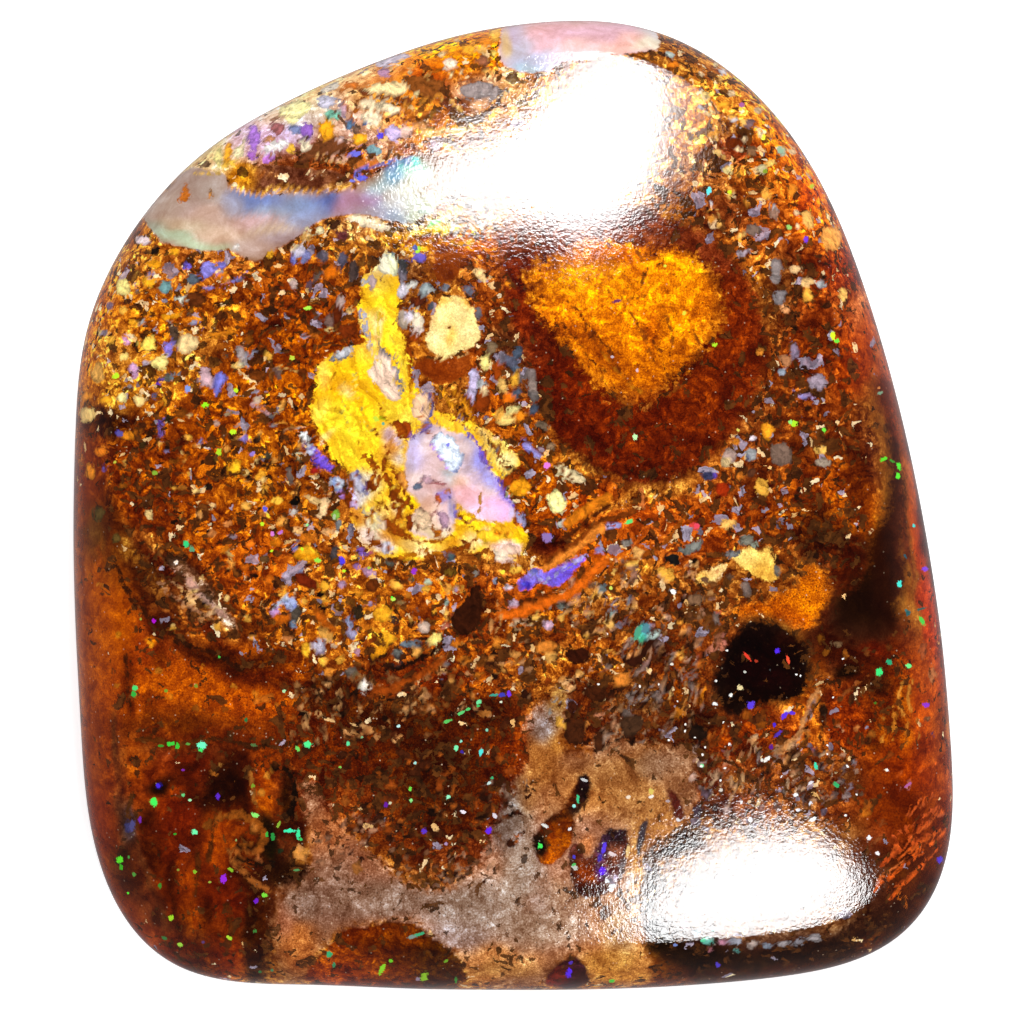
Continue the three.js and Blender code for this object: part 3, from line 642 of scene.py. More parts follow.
    ('stone', 318, 915, 30.0, 20.0, 0, (138, 94, 72), 0.8),
    ('stone', 300, 950, 20.0, 30.0, 0, (180, 97, 38), 0.95),
    ('stone', 288, 920, 10.0, 24.0, 0, (161, 92, 60), 0.8),
    ('stone', 380, 895, 50.0, 20.0, 10, (150, 94, 68), 0.9),
    ('stone', 400, 905, 40.0, 10.0, 0, (160, 120, 104), 0.8),
    ('stone', 440, 905, 50.0, 16.0, 10, (176, 126, 104), 0.9),
    ('stone', 480, 920, 50.0, 26.0, 0, (170, 134, 118), 0.9),
    ('stone', 470, 935, 40.0, 14.0, 10, (150, 120, 108), 0.8),
    ('stone', 505, 880, 26.0, 40.0, 10, (196, 140, 106), 0.95),
    ('stone', 530, 870, 14.0, 30.0, 0, (160, 124, 104), 0.85),
    ('stone', 510, 830, 16.0, 30.0, 10, (131, 106, 98), 0.9),
    ('stone', 520, 800, 18.0, 30.0, 0, (131, 95, 62), 0.85),
    ('stone', 540, 760, 20.0, 30.0, 0, (178, 106, 38), 0.85),
    ('stone', 530, 790, 14.0, 20.0, 0, (165, 101, 47), 0.7),
    ('stone', 548, 715, 18.0, 30.0, 0, (150, 119, 104), 0.85),
    ('stone', 555, 695, 12.0, 20.0, -20, (193, 138, 57), 0.8),
    ('stone', 560, 740, 12.0, 20.0, 0, (193, 119, 38), 0.8),
    ('stone', 545, 730, 14.0, 14.0, 0, (131, 110, 104), 0.7),
    ('stone', 560, 800, 20.0, 26.0, 20, (178, 110, 57), 0.8),
    ('stone', 600, 790, 40.0, 26.0, 0, (189, 116, 51), 0.95),
    ('stone', 640, 780, 40.0, 30.0, 0, (189, 120, 55), 0.95),
    ('stone', 670, 770, 24.0, 20.0, 0, (170, 111, 74), 0.85),
    ('stone', 655, 820, 26.0, 22.0, 0, (189, 116, 46), 0.95),
    ('stone', 640, 870, 14.0, 40.0, 0, (206, 140, 60), 0.9),
    ('stone', 620, 920, 30.0, 24.0, 0, (190, 126, 84), 0.95),
    ('stone', 600, 940, 40.0, 30.0, 0, (206, 130, 70), 0.9),
    ('stone', 560, 920, 40.0, 26.0, 0, (180, 124, 96), 0.9),
    ('stone', 555, 890, 20.0, 16.0, 0, (190, 130, 90), 0.85),
    ('stone', 540, 940, 40.0, 20.0, 0, (190, 130, 96), 0.9),
    ('stone', 500, 960, 50.0, 16.0, 0, (206, 130, 66), 0.95),
    ('stone', 480, 975, 30.0, 12.0, 0, (200, 120, 50), 0.9),
    ('stone', 620, 970, 40.0, 16.0, 0, (216, 136, 46), 0.95),
    ('stone', 640, 955, 20.0, 20.0, 0, (206, 130, 60), 0.8),
    ('stone', 560, 770, 20.0, 16.0, 0, (141, 77, 28), 0.7),
    ('stone', 580, 760, 20.0, 8.0, 0, (155, 95, 55), 0.6),
    ('stone', 630, 900, 14.0, 30.0, 0, (200, 150, 110), 0.6),
    ('stone', 545, 905, 14.0, 26.0, 0, (140, 116, 108), 0.6),
    ('stone', 515, 925, 30.0, 12.0, 0, (164, 134, 122), 0.7),
    ('stone', 605, 905, 24.0, 10.0, 0, (200, 140, 90), 0.7),
    ('stone', 470, 900, 26.0, 12.0, 0, (150, 112, 96), 0.6),
    ('hole_a', 560, 820, 60.0, 60.0, 0, (103, 32, 0), 1),
    ('hole_a', 585, 788, 12.0, 18.0, 0, (25, 6, 4), 0.95),
    ('hole_a', 572, 812, 12.0, 12.0, 20, (53, 17, 2), 0.9),
    ('hole_a', 555, 835, 14.0, 14.0, 0, (140, 49, 0), 0.9),
    ('hole_a', 545, 850, 14.0, 8.0, 0, (128, 48, 0), 0.8),
    ('hole_a', 538, 848, 8.0, 10.0, 0, (32, 12, 0), 0.8),
    ('hole_a', 560, 822, 12.0, 12.0, 30, (64, 20, 0), 0.7),
    ('hole_b', 605, 860, 60.0, 60.0, 0, (89, 40, 16), 1),
    ('hole_b', 615, 835, 16.0, 10.0, 0, (52, 23, 23), 0.9),
    ('hole_b', 605, 860, 12.0, 26.0, 10, (71, 38, 49), 0.8),
    ('hole_b', 618, 855, 10.0, 16.0, 0, (155, 106, 82), 0.9),
    ('hole_b', 590, 870, 14.0, 10.0, 0, (170, 77, 4), 0.85),
    ('hole_b', 586, 888, 14.0, 10.0, 0, (74, 30, 6), 0.9),
    ('hole_b', 604, 890, 14.0, 8.0, 0, (52, 28, 28), 0.9),
    ('hole_b', 622, 868, 6.0, 16.0, 0, (59, 70, 85), 0.8),
    ('hole_b', 612, 868, 8.0, 10.0, 20, (126, 65, 41), 0.8),
    ('hole_c', 641, 840, 20.0, 30.0, 0, (60, 43, 49), 1),
    ('shell', 390, 955, 120.0, 60.0, 0, (82, 30, 0), 1),
    ('shell', 350, 950, 40.0, 30.0, 0, (123, 41, 0), 0.9),
    ('shell', 345, 975, 60.0, 14.0, 4, (148, 52, 0), 0.95),
    ('shell', 400, 975, 50.0, 14.0, 0, (103, 37, 0), 0.85),
    ('shell', 440, 960, 26.0, 26.0, 0, (65, 26, 0), 0.9),
    ('shell', 400, 935, 30.0, 10.0, 10, (119, 44, 0), 0.9),
    ('shell', 380, 948, 26.0, 10.0, 0, (94, 32, 0), 0.8),
    ('shell', 360, 935, 30.0, 8.0, -10, (109, 35, 0), 0.8),
    ('shell', 345, 960, 40.0, 3.0, -6, (173, 71, 0), 0.6),
    ('shell', 350, 972, 50.0, 3.0, -4, (174, 66, 0), 0.6),
    ('gem', 568, 975, 40.0, 30.0, 0, (53, 14, 19), 1),
    ('gem', 556, 978, 12.0, 10.0, 0, (119, 29, 9), 0.8),
    ('gem', 585, 980, 10.0, 10.0, 0, (63, 27, 15), 0.7),
    ('eye', 762, 668, 80.0, 80.0, 0, (10, 0, 0), 1),
    ('eye', 790, 640, 20.0, 10.0, 30, (33, 4, 0), 0.7),
    ('eye', 770, 680, 40.0, 30.0, 0, (14, 1, 0), 0.8),
    ('eye', 730, 700, 14.0, 14.0, 0, (16, 3, 0), 0.8),
    ('eye', 765, 675, 26.0, 12.0, 20, (22, 1, 1), 0.6),
    ('band', 880, 520, 60.0, 160.0, 0, (47, 11, 0), 1),
    ('band', 890, 440, 14.0, 50.0, -8, (54, 15, 0), 0.9),
    ('band', 860, 600, 40.0, 40.0, 0, (23, 5, 0), 0.95),
    ('band', 890, 580, 16.0, 60.0, 0, (36, 9, 2), 0.9),
    ('band', 880, 490, 12.0, 40.0, 0, (43, 11, 0), 0.8),
    ('band', 905, 560, 10.0, 60.0, -4, (68, 24, 7), 0.8),
    ('band', 880, 400, 12.0, 20.0, 0, (86, 25, 1), 0.8),
    ('vein2', 560, 570, 60.0, 40.0, 0, (130, 98, 216), 1),
    ('vein2', 588, 556, 26.0, 10.0, -34, (150, 107, 232), 0.95),
    ('vein2', 570, 568, 20.0, 10.0, -30, (112, 81, 228), 0.9),
    ('vein2', 535, 575, 14.0, 10.0, 0, (140, 118, 205), 0.9),
    ('vein2', 548, 582, 14.0, 8.0, 0, (110, 88, 207), 0.8),
    ('vein2', 600, 550, 10.0, 6.0, -30, (171, 127, 229), 0.8),
    ('vein2', 528, 586, 8.0, 5.0, 0, (90, 57, 209), 0.9),
    ('butter', 755, 563, 40.0, 30.0, 0, (250, 202, 90), 1),
    ('butter', 765, 575, 14.0, 12.0, 0, (252, 190, 70), 0.8),
    ('butter', 745, 556, 16.0, 10.0, 0, (252, 214, 120), 0.7),
    ('butter2', 710, 573, 30.0, 16.0, 0, (246, 200, 120), 1),
    ('butter2', 700, 577, 12.0, 8.0, 0, (250, 190, 80), 0.8),
    ('ochre', 785, 600, 60.0, 50.0, 0, (196, 92, 0), 1),
    ('ochre', 800, 585, 24.0, 24.0, 0, (190, 91, 0), 0.8),
    ('ochre', 810, 610, 20.0, 20.0, 0, (203, 100, 0), 0.85),
    ('ochre', 760, 612, 30.0, 10.0, 0, (177, 76, 0), 0.85),
    ('ochre', 795, 620, 20.0, 10.0, 0, (190, 80, 0), 0.8),
    ('MS', 505, 505, 700.0, 700.0, 0, (26, 6, 5), 1),
    ('MS', 300, 470, 300.0, 200.0, 0, (24, 8, 9), 1),
    ('MS', 120, 350, 60.0, 80.0, 0, (18, 26, 10), 0.9),
    ('MS', 250, 280, 120.0, 60.0, 0, (26, 16, 16), 0.9),
    ('MS', 300, 300, 60.0, 60.0, 0, (40, 8, 14), 0.8),
    ('MS', 300, 430, 80.0, 60.0, 0, (26, 9, 14), 0.8),
    ('MS', 330, 560, 80.0, 50.0, 0, (26, 14, 22), 0.8),
    ('MS', 290, 600, 60.0, 50.0, 0, (34, 9, 16), 0.8),
    ('MS', 390, 600, 60.0, 40.0, 0, (22, 16, 12), 0.8),
    ('MS', 150, 470, 60.0, 50.0, 0, (38, 6, 8), 0.8),
    ('MS', 180, 560, 60.0, 60.0, 30, (44, 3, 4), 0.8),
    ('MS', 88, 640, 40.0, 300.0, 0, (4, 0, 0), 1),
    ('MS', 190, 700, 120.0, 60.0, 0, (10, 0, 1), 1),
    ('MS', 190, 860, 130.0, 140.0, 0, (16, 0, 1), 1),
    ('MS', 420, 760, 110.0, 80.0, 0, (44, 7, 5), 1),
    ('MS', 400, 700, 60.0, 30.0, 0, (50, 16, 3), 0.9),
    ('MS', 500, 350, 60.0, 110.0, 0, (34, 14, 22), 1),
    ('MS', 550, 480, 50.0, 60.0, 0, (26, 16, 10), 0.9),
    ('MS', 560, 640, 80.0, 50.0, 0, (34, 12, 10), 1),
    ('MS', 640, 590, 60.0, 60.0, 0, (36, 12, 18), 0.9),
    ('MS', 680, 540, 60.0, 40.0, 0, (26, 14, 20), 0.9),
    ('MS', 720, 640, 50.0, 50.0, 0, (40, 5, 12), 0.9),
    ('MS', 760, 480, 60.0, 60.0, 0, (26, 12, 20), 0.9),
    ('MS', 800, 420, 60.0, 80.0, 0, (34, 7, 16), 0.9),
    ('MS', 850, 500, 30.0, 60.0, 0, (24, 4, 2), 0.9),
    ('MS', 830, 550, 30.0, 40.0, 0, (50, 2, 2), 0.9),
    ('MS', 790, 200, 90.0, 110.0, 30, (18, 16, 10), 1),
    ('MS', 790, 290, 60.0, 60.0, 0, (36, 8, 16), 0.9),
    ('MS', 860, 320, 30.0, 90.0, 10, (14, 5, 4), 1),
    ('MS', 730, 200, 50.0, 60.0, 0, (34, 10, 20), 0.8),
    ('MS', 900, 470, 40.0, 130.0, -8, (4, 0, 0), 1),
    ('MS', 900, 740, 60.0, 120.0, 0, (22, 4, 0), 1),
    ('MS', 780, 780, 80.0, 50.0, 0, (36, 10, 16), 1),
    ('MS', 900, 880, 60.0, 80.0, 0, (16, 0, 2), 1),
    ('MS', 740, 960, 130.0, 30.0, 0, (20, 0, 4), 1),
    ('MS', 440, 90, 110.0, 50.0, 0, (24, 24, 4), 1),
    ('MS', 300, 120, 90.0, 40.0, -25, (10, 30, 20), 1),
    ('MS', 310, 170, 80.0, 26.0, 0, (46, 20, 2), 1),
    ('MS', 440, 240, 60.0, 20.0, 0, (16, 20, 8), 1),
    ('MT', 505, 505, 700.0, 700.0, 0, (90, 40, 30), 1),
    ('MT', 86, 700, 20.0, 320.0, 0, (8, 10, 30), 1),
    ('MT', 100, 560, 26.0, 60.0, 0, (14, 20, 60), 0.9),
    ('MT', 150, 690, 80.0, 60.0, 0, (26, 60, 60), 0.9),
    ('MT', 230, 700, 90.0, 50.0, 0, (34, 70, 60), 0.9),
    ('MT', 200, 860, 120.0, 130.0, 0, (22, 40, 100), 1),
    ('MT', 130, 900, 50.0, 80.0, 0, (10, 20, 50), 0.9),
    ('MT', 100, 640, 30.0, 60.0, 0, (12, 30, 60), 0.9),
    ('MT', 420, 760, 110.0, 90.0, 0, (80, 90, 60), 1),
    ('MT', 400, 690, 70.0, 40.0, 0, (90, 60, 40), 0.9),
    ('MT', 360, 735, 60.0, 40.0, 0, (95, 95, 40), 0.9),
    ('MT', 560, 650, 90.0, 60.0, 0, (90, 80, 40), 0.9),
    ('MT', 640, 700, 80.0, 50.0, 0, (85, 90, 50), 0.9),
    ('MT', 720, 650, 50.0, 60.0, 0, (80, 70, 50), 0.8),
    ('MT', 905, 470, 24.0, 140.0, -8, (6, 20, 30), 1),
    ('MT', 860, 500, 20.0, 60.0, 0, (50, 50, 60), 0.9),
    ('MT', 900, 740, 60.0, 130.0, 0, (46, 70, 80), 1),
    ('MT', 780, 780, 80.0, 60.0, 0, (80, 80, 50), 0.9),
    ('MT', 910, 870, 60.0, 80.0, 0, (16, 40, 80), 1),
    ('MT', 740, 960, 150.0, 30.0, 0, (20, 40, 60), 1),
    ('MT', 870, 320, 24.0, 100.0, 10, (34, 30, 50), 0.9),
    ('MT', 885, 380, 14.0, 60.0, 0, (20, 30, 50), 0.9),
    ('MT', 440, 90, 110.0, 50.0, 0, (60, 20, 60), 0.9),
    ('MT', 300, 120, 90.0, 40.0, -25, (36, 20, 40), 0.9),
    ('MT', 310, 170, 80.0, 26.0, 0, (80, 70, 40), 0.9),
    ('MT', 590, 560, 90.0, 18.0, -28, (40, 40, 60), 0.9),
    ('M', 130, 500, 40.0, 7.0, 62, (86, 20, 0), 0.9),
    ('M', 160, 570, 44.0, 8.0, 54, (66, 13, 0), 0.95),
    ('M', 200, 625, 44.0, 8.0, 44, (81, 18, 0), 0.95),
    ('M', 240, 664, 30.0, 8.0, 30, (98, 21, 0), 0.9),
    ('M', 178, 530, 50.0, 5.0, 56, (112, 36, 1), 0.7),
    ('M', 200, 590, 36.0, 8.0, 42, (189, 151, 119), 0.9),
    ('M', 180, 575, 22.0, 6.0, 44, (195, 146, 114), 0.8),
    ('M', 222, 612, 20.0, 6.0, 38, (204, 174, 142), 0.8),
    ('M', 150, 540, 16.0, 6.0, 60, (189, 107, 28), 0.7),
    ('M', 200, 668, 50.0, 6.0, -6, (114, 27, 0), 0.8),
    ('M', 280, 680, 60.0, 6.0, 4, (113, 25, 0), 0.8),
    ('M', 360, 694, 60.0, 7.0, 2, (114, 27, 0), 0.8),
    ('M', 430, 688, 40.0, 7.0, -14, (111, 24, 0), 0.8),
    ('M', 490, 664, 40.0, 7.0, -24, (106, 24, 0), 0.75),
    ('M', 540, 642, 30.0, 7.0, -18, (114, 31, 0), 0.7),
    ('M', 300, 712, 60.0, 5.0, 6, (113, 27, 0), 0.7),
    ('M', 892, 400, 5.0, 60.0, -6, (195, 73, 12), 0.9),
    ('M', 903, 450, 5.0, 60.0, -7, (243, 121, 36), 0.9),
    ('M', 912, 510, 5.0, 60.0, -6, (236, 102, 26), 0.9),
    ('M', 922, 570, 6.0, 60.0, -6, (193, 60, 11), 0.9),
    ('M', 930, 630, 7.0, 60.0, -6, (183, 51, 7), 0.9),
    ('M', 897, 480, 2.5, 60.0, -6, (121, 35, 8), 0.7),
    ('M', 907, 540, 2.5, 50.0, -6, (112, 30, 6), 0.7),
    ('M', 78, 560, 3.0, 70.0, 2, (170, 78, 3), 0.7),
    ('M', 80, 690, 3.5, 90.0, 1, (187, 91, 4), 0.8),
    ('M', 94, 600, 3.0, 60.0, 3, (195, 85, 0), 0.7),
    ('yellow', 384, 409, 285.7, 285.7, 0, (257, 195, 24), 1),
    ('yellow', 381, 301, 16.1, 19.6, 0, (258, 214, 28), 0.9),
    ('yellow', 379, 284, 10.7, 10.7, 0, (257, 218, 84), 0.7),
    ('yellow', 381, 266, 16.1, 12.5, 0, (244, 218, 156), 0.85),
    ('yellow', 388, 260, 10.7, 10.7, 0, (244, 235, 204), 0.7),
    ('yellow', 370, 319, 8.9, 21.4, 80, (244, 218, 156), 0.6),
    ('yellow', 379, 330, 7.1, 21.4, 10, (249, 207, 156), 0.7),
    ('yellow', 395, 330, 6.1, 21.4, 4, (259, 220, 40), 0.9),
    ('yellow', 402, 359, 7.1, 35.7, 0, (259, 216, 48), 0.9),
    ('yellow', 366, 351, 10.7, 16.1, -20, (257, 201, 72), 0.7),
    ('yellow', 354, 366, 17.9, 12.5, 0, (259, 201, 24), 0.8),
    ('yellow', 340, 373, 23.2, 16.1, 0, (259, 195, 16), 0.9),
    ('yellow', 338, 391, 23.2, 16.1, 0, (257, 182, 9), 0.9),
    ('yellow', 324, 373, 8.9, 16.1, 0, (249, 201, 120), 0.5),
    ('yellow', 349, 391, 4.3, 10.7, -20, (249, 218, 156), 0.7),
    ('yellow', 336, 418, 26.8, 16.1, 40, (260, 218, 36), 0.95),
    ('yellow', 318, 409, 8.9, 16.1, 30, (259, 212, 72), 0.7),
    ('yellow', 354, 435, 25.0, 19.6, 50, (260, 220, 36), 0.95),
    ('yellow', 349, 455, 19.6, 14.3, 50, (259, 216, 36), 0.95),
    ('yellow', 370, 409, 16.1, 19.6, 0, (255, 197, 16), 0.9),
    ('yellow', 395, 410, 19.6, 12.5, 0, (259, 218, 48), 0.9),
    ('yellow', 411, 419, 12.5, 10.7, 30, (260, 220, 72), 0.9),
    ('yellow', 381, 425, 10.7, 8.9, 0, (255, 201, 48), 0.7),
    ('yellow', 366, 451, 14.3, 10.7, 50, (250, 190, 24), 0.8),
    ('yellow', 375, 462, 10.7, 7.1, 50, (255, 201, 36), 0.8),
    ('yellow', 322, 439, 5.4, 12.5, 60, (255, 226, 168), 0.6),
    ('yellow', 388, 441, 10.7, 19.6, 20, (193, 116, 72), 0.75),
    ('yellow', 384, 434, 5.4, 10.7, 20, (204, 180, 228), 0.7),
    ('yellow', 397, 441, 6.1, 10.7, -30, (183, 169, 228), 0.75),
    ('yellow', 395, 460, 10.7, 8.9, 20, (210, 197, 228), 0.8),
    ('yellow', 390, 450, 5.4, 10.7, 20, (218, 137, 36), 0.6),
    ('yellow', 395, 480, 7.1, 16.1, -10, (249, 197, 96), 0.7),
    ('yellow', 384, 484, 21.4, 21.4, 40, (244, 169, 16), 0.7),
    ('yellow', 372, 480, 8.9, 21.4, -34, (257, 201, 36), 0.8),
    ('yellow', 382, 509, 10.7, 21.4, -30, (250, 190, 48), 0.8),
    ('yellow', 374, 523, 17.9, 16.1, 30, (255, 218, 144), 0.85),
    ('yellow', 366, 534, 12.5, 10.7, 40, (244, 212, 204), 0.8),
    ('yellow', 381, 542, 16.1, 8.9, 30, (240, 218, 216), 0.8),
    ('yellow', 388, 550, 10.7, 7.1, 20, (204, 190, 240), 0.7),
    ('yellow', 395, 534, 14.3, 16.1, 40, (210, 127, 24), 0.8),
    ('yellow', 402, 519, 16.1, 16.1, 0, (240, 169, 36), 0.7),
    ('yellow', 409, 503, 16.1, 10.7, -30, (260, 207, 16), 0.95),
    ('yellow', 395, 509, 7.1, 10.7, 0, (234, 201, 204), 0.6),
    ('yellow', 420, 546, 19.6, 7.1, 0, (250, 212, 132), 0.85),
    ('yellow', 438, 544, 12.5, 7.1, -10, (255, 201, 72), 0.8),
    ('yellow', 452, 541, 10.7, 5.4, -20, (240, 159, 24), 0.8),
    ('yellow', 424, 551, 10.7, 3.6, 0, (255, 226, 180), 0.7),
    ('yellow', 358, 489, 16.1, 21.4, 60, (199, 197, 235), 0.8),
    ('yellow', 349, 498, 10.7, 10.7, 60, (193, 169, 252), 0.7),
    ('yellow', 340, 487, 8.9, 8.9, 60, (193, 195, 244), 0.8),
    ('yellow', 354, 512, 12.5, 7.1, 40, (210, 116, 36), 0.7),
    ('yellow', 500, 532, 28.6, 16.1, 10, (257, 192, 16), 0.95),
    ('yellow', 474, 523, 16.1, 7.1, 30, (259, 201, 24), 0.9),
    ('yellow', 470, 541, 10.7, 10.7, 30, (255, 218, 156), 0.8),
    ('yellow', 484, 537, 7.1, 10.7, 10, (218, 201, 264), 0.6),
    ('yellow', 506, 550, 19.6, 8.9, -6, (250, 207, 216), 0.85),
    ('yellow', 518, 548, 8.9, 7.1, 0, (230, 186, 252), 0.7),
    ('yellow', 524, 534, 7.1, 8.9, 0, (260, 212, 16), 0.8),
    ('yellow', 508, 523, 10.7, 5.4, 0, (255, 190, 24), 0.8),
    ('yellow', 452, 423, 19.6, 8.9, 20, (257, 195, 48), 0.9),
    ('yellow', 466, 428, 10.7, 7.1, 30, (259, 207, 48), 0.9),
    ('yellow', 482, 432, 10.7, 7.1, 40, (250, 207, 144), 0.8),
    ('yellow', 500, 451, 19.6, 10.7, 48, (260, 228, 115), 0.9),
    ('yellow', 509, 464, 12.5, 8.9, 30, (259, 233, 156), 0.9),
    ('yellow', 495, 468, 7.1, 14.3, -30, (259, 207, 48), 0.8),
    ('yellow', 484, 450, 5.4, 10.7, -40, (255, 212, 96), 0.8),
    ('yellow', 495, 437, 5.4, 3.6, 0, (240, 190, 240), 0.6),
    ('core', 456, 480, 160.7, 160.7, 0, (228, 193, 190), 1),
    ('core', 418, 435, 10.7, 8.9, -20, (184, 166, 190), 0.95),
    ('core', 431, 428, 10.7, 5.4, 0, (190, 166, 190), 0.9),
    ('core', 409, 448, 5.4, 8.9, 0, (190, 170, 200), 0.9),
    ('core', 420, 453, 8.9, 16.1, 0, (206, 189, 236), 0.85),
    ('core', 427, 444, 5.4, 10.7, 10, (232, 203, 196), 0.7),
    ('core', 431, 466, 10.7, 14.3, 0, (236, 203, 206), 0.8),
    ('core', 418, 476, 8.9, 8.9, 0, (232, 203, 190), 0.8),
    ('core', 411, 462, 5.4, 8.9, 0, (190, 176, 206), 0.7),
    ('core', 466, 441, 10.7, 7.1, 30, (172, 166, 206), 0.9),
    ('core', 461, 451, 7.1, 8.9, 0, (220, 193, 190), 0.8),
    ('core', 472, 464, 8.9, 12.5, 20, (182, 160, 176), 0.8),
    ('core', 484, 460, 7.1, 16.1, -34, (150, 145, 226), 0.9),
    ('core', 491, 478, 7.1, 14.3, -30, (166, 156, 226), 0.9),
    ('core', 475, 480, 10.7, 10.7, 0, (196, 166, 190), 0.7),
    ('core', 461, 484, 12.5, 12.5, 20, (250, 201, 176), 0.9),
    ('core', 474, 498, 16.1, 10.7, 20, (250, 189, 200), 0.9),
    ('core', 463, 496, 10.7, 10.7, 10, (246, 183, 190), 0.8),
    ('core', 497, 510, 17.9, 12.5, 20, (255, 189, 236), 0.95),
    ('core', 482, 510, 14.3, 8.9, 20, (254, 197, 220), 0.9),
    ('core', 506, 494, 5.4, 14.3, -34, (120, 93, 220), 0.85),
    ('core', 512, 512, 4.3, 5.4, 0, (214, 203, 246), 0.9),
    ('core', 450, 480, 7.1, 10.7, 0, (206, 203, 206), 0.7),
    ('core', 450, 473, 8.9, 3.6, 0, (176, 187, 196), 0.7),
    ('core', 431, 484, 10.7, 7.1, 10, (206, 156, 150), 0.8),
    ('core', 445, 487, 8.9, 5.4, 20, (200, 145, 140), 0.7),
    ('core', 438, 516, 21.4, 19.6, 0, (240, 201, 170), 0.9),
    ('core', 424, 509, 8.9, 8.9, 0, (236, 183, 150), 0.8),
    ('core', 449, 512, 8.9, 12.5, 0, (236, 193, 200), 0.8),
    ('core', 445, 496, 8.9, 6.1, 0, (160, 139, 226), 0.9),
    ('core', 454, 509, 2.9, 12.5, -10, (150, 145, 190), 0.8),
    ('core', 431, 501, 8.9, 7.1, 0, (226, 176, 160), 0.7),
    ('core', 420, 526, 10.7, 7.1, 20, (246, 218, 160), 0.8),
    ('core', 438, 532, 10.7, 7.1, 0, (226, 203, 150), 0.8),
    ('cream', 452, 326, 53.6, 53.6, 0, (252, 221, 135), 1),
    ('cream', 447, 307, 12.5, 10.7, 0, (254, 227, 144), 0.9),
    ('cream', 459, 316, 10.7, 8.9, 0, (254, 231, 153), 0.8),
    ('cream', 436, 337, 10.7, 10.7, 0, (255, 235, 162), 0.9),
    ('cream', 466, 335, 12.5, 10.7, 0, (254, 229, 153), 0.9),
    ('cream', 450, 348, 19.6, 7.1, 0, (254, 229, 144), 0.9),
    ('cream', 452, 337, 3.6, 10.7, 0, (248, 192, 81), 0.8),
    ('cream', 441, 301, 10.7, 3.6, -20, (248, 176, 54), 0.8),
    ('cream', 466, 301, 7.1, 4.3, 30, (246, 166, 45), 0.8),
    ('cream', 431, 319, 3.6, 10.7, 0, (246, 196, 126), 0.7),
    ('cap_brown', 449, 266, 35.7, 35.7, 0, (128, 50, 4), 1),
    ('cap_brown', 447, 276, 10.7, 7.1, 0, (104, 38, 4), 0.7),
    ('cap_brown', 450, 253, 8.9, 7.1, 0, (136, 58, 10), 0.7),
    ('brown2', 441, 368, 53.6, 35.7, 0, (140, 54, 4), 1),
    ('brown2', 431, 376, 16.1, 7.1, 0, (110, 38, 3), 0.7),
    ('brown2', 456, 362, 10.7, 7.1, 0, (150, 64, 14), 0.6),
    ('brown2', 420, 366, 7.1, 5.4, 0, (120, 44, 4), 0.7),
    ('incl', 295, 180, 95.2, 23.8, 0, (110, 56, 32), 1),
    ('incl', 240, 177, 14.3, 14.3, 0, (240, 156, 20), 0.95),
    ('incl', 245, 168, 14.3, 4.8, -10, (236, 160, 40), 0.8),
    ('incl', 273, 190, 57.1, 2.9, 2, (244, 176, 70), 0.9),
    ('incl', 340, 188, 16.7, 3.3, 0, (240, 170, 60), 0.85),
    ('incl', 288, 172, 16.7, 6.2, 0, (96, 46, 26), 0.8),
    ('incl', 307, 182, 14.3, 6.2, 0, (120, 62, 36), 0.7),
    ('incl', 273, 175, 9.5, 2.4, 10, (206, 130, 60), 0.6),
    ('incl', 316, 175, 9.5, 2.9, 20, (206, 150, 90), 0.6),
    ('incl', 259, 172, 7.1, 2.9, 0, (180, 90, 20), 0.6),
    ('incl', 330, 180, 7.1, 3.3, 0, (180, 110, 60), 0.6),
    ('incl', 292, 187, 16.7, 1.9, 4, (60, 24, 8), 0.6),
    ('MT', 250, 130, 60.0, 34.0, -25, (30, 14, 20), 0.95),
    ('MS', 250, 130, 60.0, 34.0, -25, (6, 0, 0), 0.95),
    ('MT', 300, 105, 60.0, 26.0, -25, (30, 14, 20), 0.95),
    ('MS', 300, 105, 60.0, 26.0, -25, (6, 0, 0), 0.95),
    ('MT', 215, 150, 40.0, 24.0, -25, (30, 14, 20), 0.9),
    ('MS', 215, 150, 40.0, 24.0, -25, (6, 0, 0), 0.9),
    ('MT', 350, 100, 50.0, 40.0, -25, (30, 14, 20), 0.7),
    ('MS', 350, 100, 50.0, 40.0, -25, (6, 0, 0), 0.7),
    ('MT', 400, 85, 60.0, 20.0, -25, (30, 14, 20), 0.5),
    ('MS', 400, 85, 60.0, 20.0, -25, (6, 0, 0), 0.5),
    ('MT', 430, 60, 70.0, 20.0, -25, (30, 14, 20), 0.5),
    ('MS', 430, 60, 70.0, 20.0, -25, (6, 0, 0), 0.5),
    ('M', 230, 140, 60.0, 30.0, -35, (245, 218, 197), 0.8),
    ('M', 262, 128, 40.0, 24.0, -25, (216, 170, 212), 0.7),
    ('M', 300, 130, 30.0, 16.0, -20, (199, 170, 212), 0.7),
    ('M', 320, 110, 40.0, 16.0, -20, (233, 224, 209), 0.7),
    ('M', 350, 115, 24.0, 24.0, 0, (234, 193, 173), 0.7),
    ('M', 370, 130, 30.0, 20.0, 0, (216, 182, 200), 0.6),
    ('M', 205, 150, 30.0, 14.0, -40, (260, 223, 138), 0.8),
    ('M', 280, 112, 30.0, 12.0, -22, (256, 224, 172), 0.7),
    ('M', 340, 84, 40.0, 8.0, -22, (261, 216, 152), 0.7),
    ('M', 390, 125, 40.0, 14.0, 0, (263, 198, 127), 0.7),
    ('M', 420, 120, 40.0, 20.0, 0, (257, 141, 27), 0.6),
    ('M', 400, 105, 60.0, 14.0, 10, (235, 144, 37), 0.5),
    ('M', 440, 45, 50.0, 14.0, -12, (288, 172, 0), 0.9),
    ('M', 480, 45, 30.0, 20.0, 0, (271, 141, 0), 0.8),
    ('hole_a', 569, 828, 17.6, 23.5, 0, (139, 56, 0), 1),
